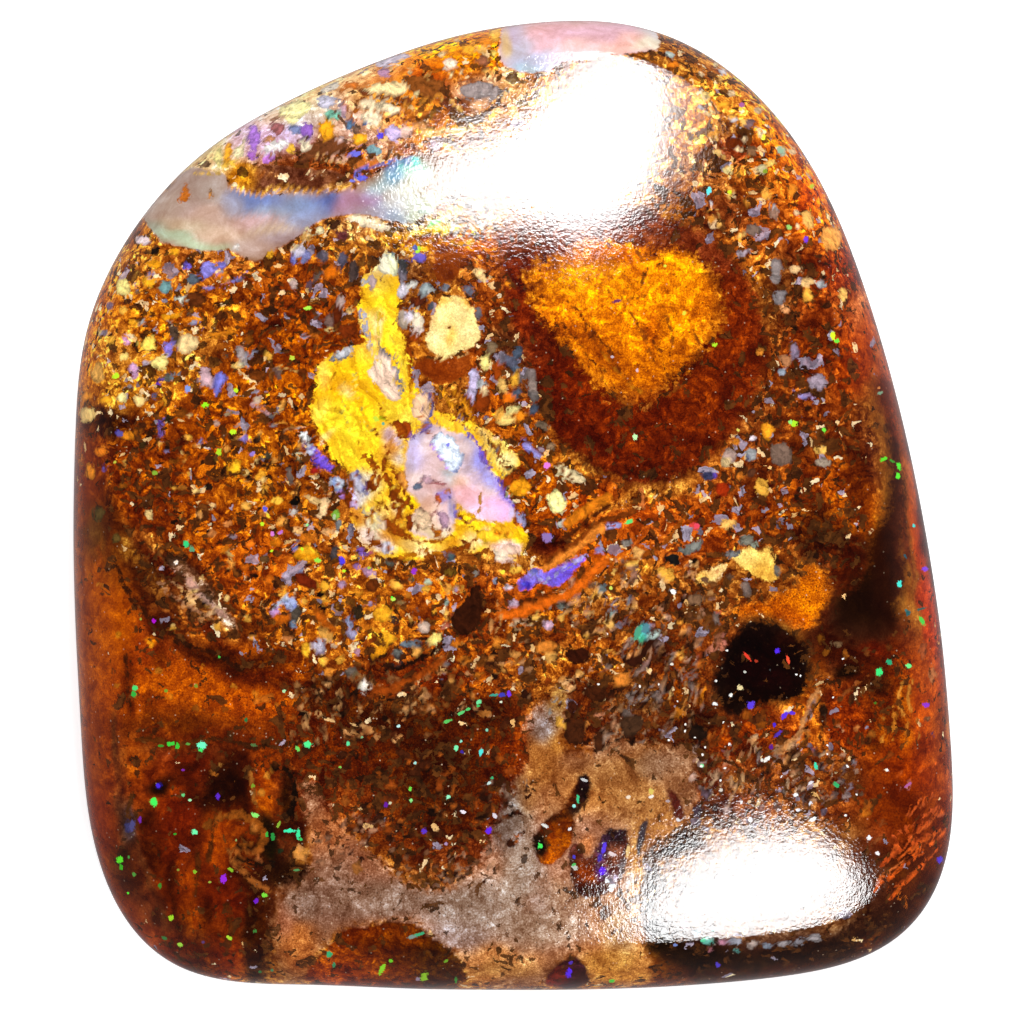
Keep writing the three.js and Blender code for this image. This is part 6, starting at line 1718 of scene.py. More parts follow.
    (451, 702, 3.7, 2.9, -28.055003373382377, (27, 10, 4)),
    (516, 722, 3.2, 2.2, 62.48134732662095, (56, 22, 7)),
    (527, 691, 2.9, 2.6, 72.56296265634558, (56, 22, 7)),
    (484, 666, 2.8, 2.2, -42.65411924708802, (33, 13, 5)),
    (475, 713, 3.1, 2.8, -22.120506577148475, (32, 13, 5)),
    (496, 653, 4.5, 3.4, -36.30745278941059, (33, 13, 5)),
    (474, 714, 2.8, 2.5, 52.02964985071435, (53, 21, 7)),
    (442, 683, 4.6, 3.2, 74.09072760655368, (25, 10, 4)),
    (470, 727, 3.6, 2.6, 31.842051210111677, (38, 15, 5)),
    (521, 694, 3.4, 3.2, 37.8772974811248, (43, 17, 6)),
    (524, 698, 3.3, 2.3, 20.6589129574068, (44, 17, 6)),
    (464, 661, 3.9, 3.5, -80.60454970808382, (55, 22, 7)),
    (470, 691, 3.1, 2.5, -2.258316761299511, (30, 12, 5)),
    (404, 754, 6.9, 4.2, 20.541840781778177, (71, 30, 9)),
    (484, 789, 4.1, 3.0, 33.73421629289079, (71, 29, 9)),
    (472, 784, 3.2, 3.2, 72.67172171951395, (68, 28, 8)),
    (402, 818, 3.6, 2.3, 77.2523191693484, (41, 16, 6)),
    (482, 818, 7.9, 3.8, -23.981174183788397, (34, 13, 5)),
    (442, 752, 3.5, 2.7, 20.842950331071606, (34, 13, 5)),
    (361, 830, 4.6, 3.2, -42.32259696057631, (58, 23, 7)),
    (417, 811, 2.8, 2.2, 82.98392873729918, (52, 21, 7)),
    (429, 768, 3.9, 2.9, -24.659353703634636, (26, 10, 4)),
    (491, 806, 5.4, 3.8, 72.49501903084308, (57, 23, 7)),
    (489, 811, 5.8, 3.2, -54.99427189103939, (68, 28, 8)),
    (377, 752, 3.8, 2.5, -28.400863709145966, (67, 28, 8)),
    (387, 837, 5.4, 4.2, -80.54068173968078, (40, 16, 6)),
    (407, 835, 4.8, 2.4, -3.4795496861884203, (36, 14, 5)),
    (433, 812, 6.8, 3.5, 35.00956854760142, (26, 10, 4)),
    (356, 753, 5.1, 3.1, 64.18896653631316, (40, 16, 6)),
    (442, 812, 5.2, 3.8, -36.791524261008284, (32, 13, 5)),
    (439, 792, 2.4, 2.2, -41.82216481722183, (37, 14, 5)),
    (495, 757, 4.3, 3.1, -70.0159963932687, (68, 28, 8)),
    (423, 755, 4.2, 2.0, 22.792005300153335, (60, 24, 8)),
    (436, 834, 8.2, 4.3, 8.205154696445831, (67, 28, 8)),
    (459, 814, 3.6, 2.0, 85.31918332783408, (77, 32, 10)),
    (348, 831, 4.7, 2.4, 23.655560827198755, (77, 32, 10)),
    (511, 844, 4.3, 4.3, -88.73747119349513, (52, 20, 6)),
    (441, 813, 5.2, 2.9, -86.89645541342422, (77, 32, 10)),
    (399, 823, 6.1, 3.7, -30.142444025657127, (37, 14, 5)),
    (484, 797, 6.5, 4.3, 12.433488612754957, (41, 16, 6)),
    (350, 759, 4.5, 2.7, -46.36022110354019, (66, 26, 8)),
    (392, 799, 5.9, 4.0, -13.86163701631206, (82, 34, 10)),
    (460, 766, 2.6, 2.1, 77.81206477501843, (60, 24, 8)),
    (458, 807, 4.6, 3.3, -41.78735222565823, (35, 14, 5)),
    (359, 777, 4.6, 2.8, -65.67076620165267, (39, 15, 5)),
    (460, 808, 5.5, 2.9, 85.74406487473223, (57, 22, 7)),
    (452, 799, 6.3, 2.9, 73.15705135462446, (40, 16, 6)),
    (518, 812, 6.0, 3.2, 48.701475241188376, (63, 25, 8)),
    (415, 773, 7.0, 4.2, 8.211436684257166, (65, 27, 8)),
    (422, 764, 8.5, 4.0, -16.35850962615413, (59, 23, 7)),
    (342, 754, 5.9, 4.1, -32.38200954279325, (57, 23, 7)),
    (429, 764, 3.7, 3.1, -68.53261701746945, (63, 25, 8)),
    (412, 833, 4.1, 4.0, -74.1357699664273, (71, 30, 9)),
    (363, 807, 4.0, 2.7, -15.122379819950098, (44, 17, 6)),
    (514, 813, 5.0, 3.0, -55.60952777738771, (28, 11, 4)),
    (348, 766, 4.6, 2.5, 12.232362143141259, (54, 21, 7)),
    (365, 808, 4.0, 2.3, -56.20003154796093, (36, 14, 5)),
    (370, 808, 2.6, 2.3, 14.28931322464635, (164, 76, 17)),
    (402, 818, 4.5, 2.6, -17.82588827743524, (179, 90, 27)),
    (453, 792, 2.6, 2.4, -45.23866768902729, (151, 76, 23)),
    (454, 788, 3.5, 2.8, 38.39636276226372, (136, 63, 14)),
    (490, 765, 3.7, 3.2, 75.63014992316778, (116, 50, 10)),
    (451, 770, 3.8, 3.0, -6.0199792676335875, (147, 68, 15)),
    (437, 808, 4.9, 2.7, 35.536201454396135, (151, 70, 16)),
    (454, 806, 3.1, 2.5, 6.058825166114033, (174, 88, 26)),
    (370, 814, 3.2, 2.2, -30.14211142424753, (126, 54, 11)),
    (345, 800, 5.5, 3.3, 74.86330701456873, (156, 79, 23)),
    (389, 786, 5.6, 2.9, -2.876776208284838, (153, 71, 16)),
    (449, 816, 3.0, 2.6, -1.0027772354391544, (143, 66, 15)),
    (442, 754, 3.1, 2.4, -7.837409253667275, (188, 95, 28)),
    (418, 766, 2.8, 2.0, 34.68750560242265, (166, 77, 17)),
    (378, 774, 4.1, 3.2, 81.5936105042397, (147, 68, 15)),
    (387, 829, 5.8, 3.1, -24.500428171813482, (126, 54, 11)),
    (493, 806, 3.6, 3.2, 82.90241932019933, (165, 77, 17)),
    (445, 815, 4.3, 3.3, -33.09434161601433, (153, 77, 23)),
    (349, 817, 3.5, 2.3, 86.40240485425636, (158, 80, 24)),
    (367, 838, 4.5, 3.3, -87.05513969140301, (116, 50, 10)),
    (444, 777, 4.5, 2.6, 47.57094919380668, (122, 52, 11)),
    (353, 827, 3.9, 2.4, -32.78567474152968, (132, 57, 12)),
    (510, 771, 5.9, 3.0, 8.718091215293612, (143, 61, 13)),
    (393, 804, 4.5, 3.0, -37.52118926775166, (124, 53, 11)),
    (428, 767, 3.6, 2.2, -10.708582059075908, (113, 48, 10)),
    (384, 801, 4.4, 3.0, 84.50181014928225, (124, 53, 11)),
    (476, 828, 2.6, 1.9, -75.07918097809424, (140, 60, 13)),
    (516, 839, 3.7, 2.6, 44.72749200610076, (186, 94, 28)),
    (410, 762, 3.9, 2.2, 61.67176088473326, (167, 78, 17)),
    (415, 818, 4.0, 3.2, 1.9166922978205747, (112, 48, 10)),
    (502, 760, 4.0, 3.1, 60.86648304431213, (146, 68, 15)),
    (514, 787, 4.4, 2.4, 31.929228154415725, (120, 51, 11)),
    (423, 826, 3.2, 2.2, 35.90929599424179, (180, 91, 27)),
    (415, 763, 4.3, 2.4, 6.863225013101186, (175, 88, 26)),
    (347, 832, 3.3, 2.0, 1.144158888076717, (127, 55, 11)),
    (349, 786, 4.1, 2.9, -28.65065034137467, (164, 76, 17)),
    (390, 782, 2.5, 2.0, 55.03484158157164, (132, 56, 12)),
    (494, 812, 3.5, 3.0, -78.06045348985847, (185, 93, 28)),
    (440, 783, 5.7, 3.3, 77.26627806049606, (141, 61, 13)),
    (477, 805, 4.7, 2.6, 77.08040378758076, (144, 62, 13)),
    (341, 857, 3.0, 2.8, 50.244608387747036, (159, 106, 74)),
    (338, 856, 2.4, 1.9, -20.110068183029128, (145, 96, 67)),
    (319, 841, 2.8, 2.6, -69.66193572179037, (132, 88, 61)),
    (370, 815, 3.3, 2.4, -34.76581689900621, (79, 38, 17)),
    (392, 820, 2.8, 2.0, -49.22722645513072, (57, 24, 11)),
    (342, 825, 3.7, 2.9, 87.75617895091838, (147, 98, 68)),
    (341, 825, 2.8, 2.2, -70.68078489920177, (91, 44, 20)),
    (363, 832, 2.4, 1.8, 9.78872802851049, (170, 116, 84)),
    (346, 846, 2.6, 1.7, 23.566016180985784, (57, 25, 11)),
    (336, 840, 2.0, 1.9, 57.43639979232347, (57, 24, 11)),
    (361, 842, 3.5, 3.0, 11.202487391506523, (174, 118, 86)),
    (336, 820, 2.2, 1.8, -47.686028524532446, (65, 28, 13)),
    (362, 822, 4.1, 2.8, -12.852880554172202, (153, 104, 75)),
    (371, 849, 2.8, 2.4, -74.561853156246, (151, 100, 70)),
    (329, 848, 3.1, 2.8, 76.03892907039494, (58, 25, 11)),
    (357, 828, 2.9, 2.4, -4.0804422204018636, (157, 107, 77)),
    (368, 826, 2.8, 2.5, 30.73183683731827, (158, 107, 78)),
    (394, 830, 2.7, 2.5, -61.1388843045407, (85, 41, 19)),
    (381, 823, 2.4, 2.2, -58.797986643661034, (157, 105, 73)),
    (352, 828, 2.4, 2.3, -85.70481175948636, (154, 102, 72)),
    (348, 820, 3.3, 2.9, -40.077631985873, (96, 47, 21)),
    (327, 838, 2.9, 2.8, -37.213151599153555, (141, 94, 66)),
    (377, 819, 3.6, 2.9, -55.31659295956944, (66, 28, 13)),
    (362, 820, 3.4, 2.6, 14.411457880740045, (83, 40, 18)),
    (368, 819, 2.3, 1.6, 43.669799761639894, (87, 42, 19)),
    (352, 851, 2.3, 2.2, -52.58059779820446, (65, 28, 13)),
    (375, 856, 2.1, 1.9, -47.487184585767096, (131, 87, 61)),
    (328, 832, 3.8, 3.0, -78.44045827007682, (93, 45, 20)),
    (386, 838, 2.6, 2.1, -71.2959237253173, (56, 24, 11)),
    (391, 838, 2.7, 1.8, 5.015407906355776, (90, 44, 20)),
    (369, 840, 2.9, 2.2, 87.85871195496435, (65, 28, 13)),
    (374, 855, 2.4, 1.7, -7.447358029587264, (56, 24, 11)),
    (372, 823, 2.4, 1.7, -28.75652899475292, (84, 41, 18)),
    (355, 812, 2.5, 1.7, 79.40318572030893, (138, 92, 64)),
    (337, 847, 3.7, 3.0, 2.1027530271750123, (161, 110, 79)),
    (320, 862, 4.1, 2.9, 40.00347004121352, (154, 103, 72)),
    (356, 816, 3.2, 2.4, -41.473728236951075, (160, 107, 75)),
    (345, 841, 2.4, 1.9, 57.22159211982091, (64, 28, 12)),
    (333, 812, 1.8, 1.6, 45.97352764356387, (149, 99, 69)),
    (347, 852, 3.0, 2.3, 80.5035516299971, (61, 26, 12)),
    (360, 860, 3.8, 2.6, 88.35705304215705, (53, 23, 10)),
    (362, 848, 2.5, 1.9, -87.64961812295657, (65, 28, 13)),
    (375, 822, 2.9, 2.5, 71.10686158399014, (59, 25, 11)),
    (393, 849, 2.9, 2.4, 89.61907337029905, (154, 103, 72)),
    (340, 836, 3.6, 2.6, 4.256878532414163, (58, 25, 11)),
    (374, 831, 4.3, 3.0, -18.504728997051487, (186, 127, 92)),
    (336, 862, 2.3, 1.6, 75.52241079537839, (61, 26, 12)),
    (331, 849, 2.4, 2.2, 21.243349020805113, (64, 28, 12)),
    (348, 817, 2.2, 1.9, 3.9561563881920705, (141, 94, 66)),
    (380, 818, 4.0, 2.8, -79.79751766234543, (54, 23, 10)),
    (487, 853, 2.6, 2.4, -11.349392979779864, (164, 120, 94)),
    (402, 861, 1.8, 1.8, -14.614808658710245, (130, 80, 49)),
    (456, 876, 2.1, 1.7, 45.61099152193384, (59, 25, 11)),
    (471, 862, 2.0, 1.6, 83.16402132450463, (62, 27, 12)),
    (472, 884, 3.4, 2.5, -54.035730797738545, (188, 136, 100)),
    (463, 883, 2.3, 2.0, -46.64048401620171, (129, 79, 49)),
    (451, 861, 2.2, 1.9, -6.169274673557268, (179, 129, 95)),
    (495, 881, 3.7, 2.7, -42.69737041943121, (151, 110, 86)),
    (400, 874, 3.2, 2.7, 20.182473307015826, (195, 141, 104)),
    (491, 878, 3.0, 2.6, -0.28996384396303654, (147, 108, 84)),
    (487, 869, 2.4, 2.1, -67.81495329476391, (157, 115, 90)),
    (469, 869, 3.3, 2.6, 33.9088557586484, (164, 120, 94)),
    (466, 854, 3.2, 2.9, 22.224987680731076, (193, 139, 103)),
    (454, 879, 3.3, 2.6, 31.08832725818644, (119, 73, 45)),
    (407, 853, 2.5, 2.3, 13.058727182266821, (58, 25, 11)),
    (410, 866, 4.1, 2.7, -35.7062647616069, (124, 76, 47)),
    (460, 875, 2.7, 2.1, -41.5719119137194, (167, 122, 95)),
    (459, 865, 3.6, 2.8, 33.98943211999509, (162, 117, 86)),
    (427, 884, 2.6, 2.4, 69.67031832233357, (112, 69, 43)),
    (496, 869, 3.3, 2.8, -64.80249503348583, (113, 70, 43)),
    (421, 856, 2.2, 2.0, -55.770955865252745, (55, 23, 11)),
    (431, 884, 1.9, 1.6, 41.380268615595526, (144, 105, 82)),
    (464, 856, 2.7, 2.2, -78.0540833402661, (52, 22, 10)),
    (447, 872, 2.6, 1.9, 70.45031021483658, (53, 23, 10)),
    (442, 874, 2.9, 2.3, -44.20949575868766, (179, 129, 95)),
    (410, 885, 2.4, 1.8, 77.5687801971412, (111, 68, 42)),
    (407, 857, 2.3, 1.6, 12.523695699201454, (123, 76, 47)),
    (475, 884, 1.8, 1.7, 10.017457024970682, (161, 116, 86)),
    (464, 878, 3.1, 2.1, 37.3604912241007, (63, 27, 12)),
    (455, 879, 2.7, 1.9, -87.91302341094077, (51, 22, 10)),
    (485, 884, 3.1, 2.2, -55.13156411492889, (57, 24, 11)),
    (476, 862, 3.8, 2.7, 29.443223812436145, (131, 81, 50)),
    (439, 885, 2.8, 2.6, -45.1236558012637, (131, 96, 75)),
    (437, 865, 3.0, 2.6, 9.771352651043856, (61, 26, 12)),
    (430, 868, 2.4, 1.6, 68.02436761430621, (61, 26, 12)),
    (402, 881, 3.1, 2.4, -0.08423417543347966, (61, 26, 12)),
    (463, 883, 3.0, 2.9, -72.07018075145984, (182, 131, 97)),
    (462, 880, 2.7, 2.3, 21.177144869644863, (118, 73, 45)),
    (494, 871, 3.1, 2.4, -31.913865996780622, (57, 24, 11)),
    (488, 880, 2.7, 2.0, 76.865672273581, (131, 96, 75)),
    (422, 878, 2.5, 2.3, 55.085513275367845, (111, 68, 42)),
    (492, 850, 2.7, 1.9, 23.67018932827824, (62, 27, 12)),
    (428, 850, 2.9, 2.4, -74.10381221805297, (113, 69, 43)),
    (447, 879, 3.2, 2.3, -45.426257210040916, (151, 110, 86)),
    (455, 854, 2.0, 1.9, -8.715802555148173, (192, 138, 102)),
    (464, 870, 3.9, 3.0, 71.93377144280325, (154, 113, 88)),
    (437, 866, 3.0, 2.1, -36.33984455909755, (127, 78, 48)),
    (457, 873, 2.9, 2.4, 43.26493064098878, (54, 23, 10)),
    (492, 863, 4.1, 2.7, -76.38992499870852, (194, 140, 103)),
    (448, 854, 2.6, 1.9, -56.68981191210237, (63, 27, 12)),
    (506, 816, 3.1, 2.5, 26.552059979789746, (78, 33, 13)),
    (496, 808, 2.7, 2.0, -88.36133535206038, (67, 28, 11)),
    (504, 845, 2.7, 2.0, 35.47040544220603, (154, 119, 98)),
    (501, 838, 3.5, 2.4, 73.00904980277798, (111, 68, 42)),
    (491, 796, 2.4, 2.3, -68.8611656795315, (104, 64, 40)),
    (490, 846, 3.1, 2.2, -49.4309367233881, (114, 70, 44)),
    (524, 818, 2.7, 2.3, -19.03970381069803, (105, 65, 40)),
    (509, 795, 2.7, 1.9, 34.989195187447166, (129, 100, 82)),
    (501, 791, 3.5, 2.5, 33.28558062906302, (159, 123, 101)),
    (506, 822, 2.5, 2.1, -32.23414131349127, (127, 78, 48)),
    (504, 781, 2.9, 2.8, -38.84483464457819, (70, 30, 12)),
    (499, 816, 2.8, 2.2, -65.3871828270701, (129, 79, 49)),
    (514, 795, 1.9, 1.7, 79.60378809512056, (114, 70, 43)),
    (497, 824, 3.9, 2.7, 76.58610723112355, (66, 28, 11)),
    (522, 792, 1.8, 1.8, 27.130648079367575, (68, 29, 11)),
    (518, 809, 2.5, 2.2, 60.68554093930854, (117, 72, 45)),
    (507, 789, 2.2, 1.8, 3.6060659737916296, (141, 109, 90)),
    (528, 786, 2.6, 1.8, 81.56032220813165, (65, 27, 11)),
    (507, 808, 3.6, 2.9, 62.645867792658436, (77, 33, 13)),
    (515, 805, 1.9, 1.8, 78.5772268540585, (146, 113, 93)),
    (506, 809, 2.7, 2.5, 55.09200027801887, (141, 109, 90)),
    (526, 780, 3.4, 2.6, 73.06235589625993, (137, 106, 88)),
    (516, 808, 2.1, 1.7, 86.59661205929217, (148, 114, 94)),
    (529, 793, 4.4, 2.9, -87.94205665277711, (68, 29, 11)),
    (495, 781, 2.5, 1.8, 53.16730196980848, (71, 30, 12)),
    (507, 802, 3.0, 2.7, 0.3284021931084453, (60, 26, 10)),
    (503, 794, 2.4, 1.9, 35.56172434775053, (120, 74, 46)),
    (506, 797, 3.4, 3.0, -47.12219124544054, (77, 33, 13)),
    (490, 782, 2.6, 2.0, -9.395136659505312, (143, 110, 91)),
    (522, 834, 3.1, 2.8, 52.89557276291535, (66, 28, 11)),
    (642, 671, 3.7, 2.9, 5.334547836223678, (139, 107, 94)),
    (692, 734, 2.5, 2.5, 63.05765097899055, (178, 122, 78)),
    (693, 659, 3.1, 3.0, 19.971408859408626, (141, 109, 96)),
    (670, 654, 3.1, 2.8, -49.426666366589444, (141, 108, 95)),
    (664, 692, 3.7, 2.8, 35.61416559960655, (137, 106, 93)),
    (640, 651, 3.7, 2.7, -78.88160251016592, (177, 122, 77)),
    (648, 669, 2.5, 1.6, -64.44199881174839, (126, 100, 86)),
    (664, 735, 3.3, 2.3, 39.2192178094042, (122, 94, 83)),
    (660, 646, 2.5, 2.5, -66.48757037166497, (133, 106, 91)),
    (641, 692, 2.3, 2.0, 68.92642484248631, (129, 99, 87)),
    (701, 647, 2.0, 1.7, 6.31681658078476, (128, 99, 87)),
    (695, 684, 3.0, 3.0, 54.47434663553173, (144, 99, 63)),
    (657, 682, 2.5, 2.5, -52.3258892252821, (148, 102, 65)),
    (611, 724, 2.4, 2.1, 13.859558640278863, (166, 114, 72)),
    (687, 660, 2.4, 1.8, 11.958740776100385, (197, 142, 105)),
    (694, 676, 3.5, 2.9, 71.27361442455418, (124, 95, 84)),
    (624, 654, 3.0, 2.3, -56.538167604888216, (141, 109, 95)),
    (652, 709, 3.8, 2.8, 88.2268549744773, (170, 117, 74)),
    (621, 682, 2.3, 1.6, -62.17612758630379, (142, 113, 97)),
    (620, 706, 3.8, 2.6, -43.011673497215114, (161, 111, 70)),
    (631, 641, 3.3, 2.3, 69.20432648696286, (150, 119, 103)),
    (692, 680, 3.0, 2.4, -0.301945573907048, (126, 97, 85)),
    (612, 703, 3.3, 2.2, -77.81661882083635, (160, 110, 70)),
    (644, 689, 2.7, 2.5, -26.453382712565954, (126, 97, 85)),
    (678, 670, 2.4, 1.8, 14.91473909731178, (119, 92, 81)),
    (661, 700, 3.0, 2.1, 78.24865564413744, (129, 99, 87)),
    (630, 715, 2.9, 2.5, -58.45486418675986, (132, 101, 89)),
    (666, 728, 3.6, 2.4, -34.491846519043165, (161, 116, 85)),
    (637, 673, 3.1, 2.4, -71.32721369498282, (141, 112, 96)),
    (600, 660, 2.9, 2.1, 81.02629396051597, (166, 119, 88)),
    (643, 689, 2.6, 2.1, -31.13309787972397, (159, 109, 69)),
    (659, 644, 3.8, 2.7, -62.736880774653336, (129, 99, 87)),
    (657, 693, 2.4, 2.3, 11.282591091257729, (120, 92, 81)),
    (605, 731, 3.3, 2.5, 68.00780677157448, (158, 114, 84)),
    (618, 739, 2.3, 1.8, -56.37322527919976, (138, 110, 94)),
    (622, 682, 2.5, 1.9, -13.242621991949193, (116, 89, 78)),
    (692, 702, 3.7, 2.8, 6.014214447032401, (160, 110, 70)),
    (631, 655, 2.5, 2.5, 19.388900216127738, (130, 100, 88)),
    (622, 653, 2.3, 1.7, -54.11745399595744, (145, 111, 98)),
    (688, 726, 2.4, 2.2, 22.9546927165226, (174, 125, 92)),
    (685, 680, 3.1, 2.4, -36.29383601088791, (155, 107, 68)),
    (659, 711, 3.1, 2.7, 26.963877324461265, (177, 128, 94)),
    (696, 692, 2.3, 2.1, -73.13718545683741, (139, 110, 95)),
    (649, 654, 2.3, 2.0, 73.32810915091599, (198, 143, 106)),
    (698, 647, 3.4, 2.5, -39.62027007039647, (161, 110, 70)),
    (694, 664, 2.8, 1.9, 14.902087563992737, (130, 103, 89)),
    (662, 686, 2.7, 2.2, -27.974500557116407, (173, 125, 92)),
    (689, 709, 3.7, 2.5, -39.61812863465536, (168, 115, 73)),
    (666, 665, 3.1, 2.9, 27.083616115364492, (144, 99, 63)),
    (679, 675, 3.6, 2.6, 68.50675478919615, (164, 118, 87)),
    (642, 742, 3.1, 2.2, -31.59005625238305, (136, 108, 93)),
    (682, 670, 2.8, 2.5, 52.70144263322703, (157, 108, 68)),
    (636, 678, 3.0, 2.2, -12.44336402999491, (144, 111, 97)),
    (702, 709, 2.3, 1.8, -87.82558975852487, (136, 104, 92)),
    (606, 667, 4.0, 2.8, 35.13899025977081, (147, 117, 101)),
    (646, 731, 2.1, 1.6, 62.195262166297624, (140, 111, 96)),
    (670, 721, 2.8, 2.8, -24.70769840981899, (170, 116, 74)),
    (629, 665, 2.5, 2.2, -59.320674328601385, (156, 124, 107)),
    (644, 732, 2.5, 1.8, -38.21649609518725, (181, 131, 96)),
    (609, 713, 2.6, 1.8, 77.42476142987749, (197, 142, 105)),
    (685, 701, 4.0, 2.7, 3.8086899994478784, (36, 14, 5)),
    (666, 672, 2.6, 2.1, -18.143222652925573, (71, 29, 9)),
    (689, 645, 3.6, 3.2, 4.736600487816077, (40, 16, 6)),
    (654, 675, 5.1, 3.5, 44.32013894537252, (62, 25, 8)),
    (660, 705, 4.7, 3.6, -2.2668416985802082, (52, 20, 6)),
    (640, 689, 3.5, 3.1, -28.389586780135033, (67, 28, 8)),
    (645, 704, 2.6, 2.2, -31.73335113672639, (42, 17, 6)),
    (669, 687, 5.1, 3.6, -58.80425617713345, (34, 13, 5)),
    (653, 737, 2.3, 1.9, -41.36884369313474, (35, 14, 5)),
    (600, 654, 3.6, 3.4, 74.69084700261703, (37, 14, 5)),
    (608, 726, 4.0, 3.4, -66.46631748216276, (65, 26, 8)),
    (611, 692, 2.2, 2.0, -61.61788472303246, (30, 12, 5)),
    (626, 654, 2.9, 2.6, -70.31208766735901, (28, 11, 4)),
    (667, 662, 3.3, 3.0, 18.83251526714146, (80, 33, 10)),
    (660, 680, 2.5, 2.3, 36.101590962533805, (79, 33, 10)),
    (607, 681, 2.8, 2.5, -66.54950684873968, (56, 22, 7)),
    (646, 686, 3.9, 3.4, -74.48055390440531, (41, 16, 6)),
    (643, 741, 2.2, 1.9, -19.40088292977299, (40, 16, 6)),
    (703, 655, 3.9, 3.4, 50.76236941409036, (32, 12, 5)),
    (647, 666, 3.4, 3.2, 58.390750389694915, (35, 14, 5)),
    (688, 741, 3.3, 3.3, 67.41320270308134, (58, 23, 7)),
    (679, 728, 3.1, 2.4, -68.40475175095702, (67, 28, 8)),
    (600, 704, 3.2, 2.8, 36.7459700365485, (30, 12, 5)),
    (616, 706, 2.8, 2.2, 2.471155655207326, (71, 30, 9)),
    (642, 705, 2.4, 1.9, -22.66163282827594, (55, 22, 7)),
    (692, 717, 4.5, 3.3, 76.57788755979092, (26, 10, 4)),
    (661, 734, 2.7, 2.6, 77.80001639746285, (83, 35, 11)),
    (656, 655, 4.2, 3.1, 47.98449058266789, (82, 34, 10)),
    (623, 644, 2.4, 1.8, 73.30817182540818, (35, 14, 5)),
    (635, 694, 2.9, 2.6, -58.39708906097817, (43, 17, 6)),
    (621, 688, 4.2, 3.2, 20.109672326065024, (66, 28, 8)),
    (670, 662, 3.2, 2.7, 35.16203905898287, (41, 16, 6)),
    (610, 667, 4.2, 2.8, -49.5679301695042, (66, 28, 8)),
    (670, 720, 3.7, 2.7, 56.46589760090089, (26, 10, 4)),
    (631, 650, 3.9, 3.5, 59.07439630209248, (82, 34, 10)),
    (668, 740, 2.4, 2.0, 72.57908048491683, (66, 26, 8)),
    (691, 690, 3.3, 2.7, -4.47473043948014, (39, 15, 5)),
    (608, 662, 3.8, 2.9, -64.4145667338898, (39, 15, 5)),
    (670, 686, 4.8, 3.4, -84.78275142879396, (56, 22, 7)),
    (630, 679, 3.2, 2.2, -28.09908082060486, (65, 26, 8)),
    (688, 679, 2.4, 1.9, -89.77806167435175, (53, 21, 7)),
    (685, 648, 3.5, 2.7, -74.81876534833971, (66, 26, 8)),
    (655, 688, 2.6, 1.9, 42.91198777744276, (29, 11, 4)),
    (631, 666, 3.1, 3.0, -22.320709886354166, (43, 17, 6)),
    (670, 679, 3.4, 2.3, 4.079475558482443, (54, 21, 7)),
    (654, 659, 3.7, 2.6, -17.718138590619645, (73, 30, 9)),
    (603, 733, 3.2, 2.7, 32.40150404880012, (35, 14, 5)),
    (634, 708, 3.3, 2.3, -46.540604707054825, (83, 35, 11)),
    (598, 705, 2.1, 2.1, 37.05511578292888, (52, 20, 6)),
    (633, 699, 3.7, 3.0, 73.89133198514023, (84, 35, 11)),
    (618, 739, 3.6, 3.4, -27.34255577229525, (42, 16, 6)),
    (621, 713, 3.3, 2.9, 35.14670144559166, (39, 15, 5)),
    (589, 709, 3.7, 2.9, 84.39370268604654, (61, 24, 8)),
    (560, 703, 4.2, 3.2, -36.95780094580561, (67, 28, 8)),
    (631, 738, 3.5, 2.5, 16.176623378331357, (65, 27, 8)),
    (609, 731, 3.9, 3.1, 12.794905809365403, (69, 29, 9)),
    (633, 741, 3.5, 3.3, 21.24694477084509, (34, 13, 5)),
    (611, 697, 4.0, 2.8, 36.1036957589244, (79, 33, 10)),
    (639, 702, 3.9, 2.7, 15.70042481219923, (58, 23, 7)),
    (582, 736, 2.9, 2.2, -53.076893090697745, (41, 16, 6)),
    (602, 706, 3.1, 2.3, -9.086802144613998, (84, 35, 11)),
    (597, 713, 2.5, 2.0, -51.21742233350671, (68, 28, 9)),
    (640, 706, 3.0, 2.1, 22.155399676089218, (40, 16, 6)),
    (628, 694, 2.9, 2.3, 24.474275171559995, (37, 15, 5)),
    (590, 692, 3.3, 3.0, -32.43357534081781, (56, 22, 7)),
    (615, 722, 3.9, 3.3, -38.57964887931178, (83, 35, 11)),
    (629, 693, 3.0, 2.8, 23.17462734705144, (32, 13, 5)),
    (609, 738, 2.1, 2.1, 63.48211133067966, (35, 14, 5)),
    (613, 692, 3.9, 2.8, -16.135862028893513, (43, 17, 6)),
    (609, 741, 3.5, 3.0, -87.59239969961564, (84, 35, 11)),
    (575, 721, 4.6, 3.4, 78.4496560800001, (75, 31, 9)),
    (589, 741, 2.6, 2.5, 22.197200776590847, (57, 22, 7)),
    (575, 619, 3.2, 2.5, -33.50596889929896, (120, 80, 56)),
    (659, 576, 2.9, 2.5, 87.7621212230259, (179, 122, 90)),
    (688, 629, 3.1, 2.5, -22.009846864289756, (163, 111, 82)),
    (612, 630, 4.1, 2.8, -33.74889844803947, (198, 135, 100)),
    (601, 570, 3.0, 2.8, -36.296910494269255, (138, 95, 74)),
    (573, 580, 4.2, 3.1, -73.19976363524455, (201, 137, 101)),
    (623, 576, 4.1, 3.0, 53.80842550588383, (104, 69, 48)),
    (660, 607, 2.8, 1.9, 41.86814455455462, (131, 87, 61)),
    (626, 560, 2.5, 2.3, -37.4082657525853, (140, 96, 75)),
    (630, 568, 3.3, 2.5, 47.67237631278181, (172, 118, 87)),
    (665, 632, 2.9, 2.6, -30.344240455023503, (193, 131, 75)),
    (562, 599, 2.2, 2.0, -27.502434732548195, (217, 147, 84)),
    (602, 595, 2.8, 2.1, -23.97196424223293, (108, 72, 50)),
    (629, 600, 3.8, 3.0, -75.74206496230279, (164, 112, 88)),
    (593, 585, 3.9, 2.9, -23.5451150544193, (125, 83, 58)),
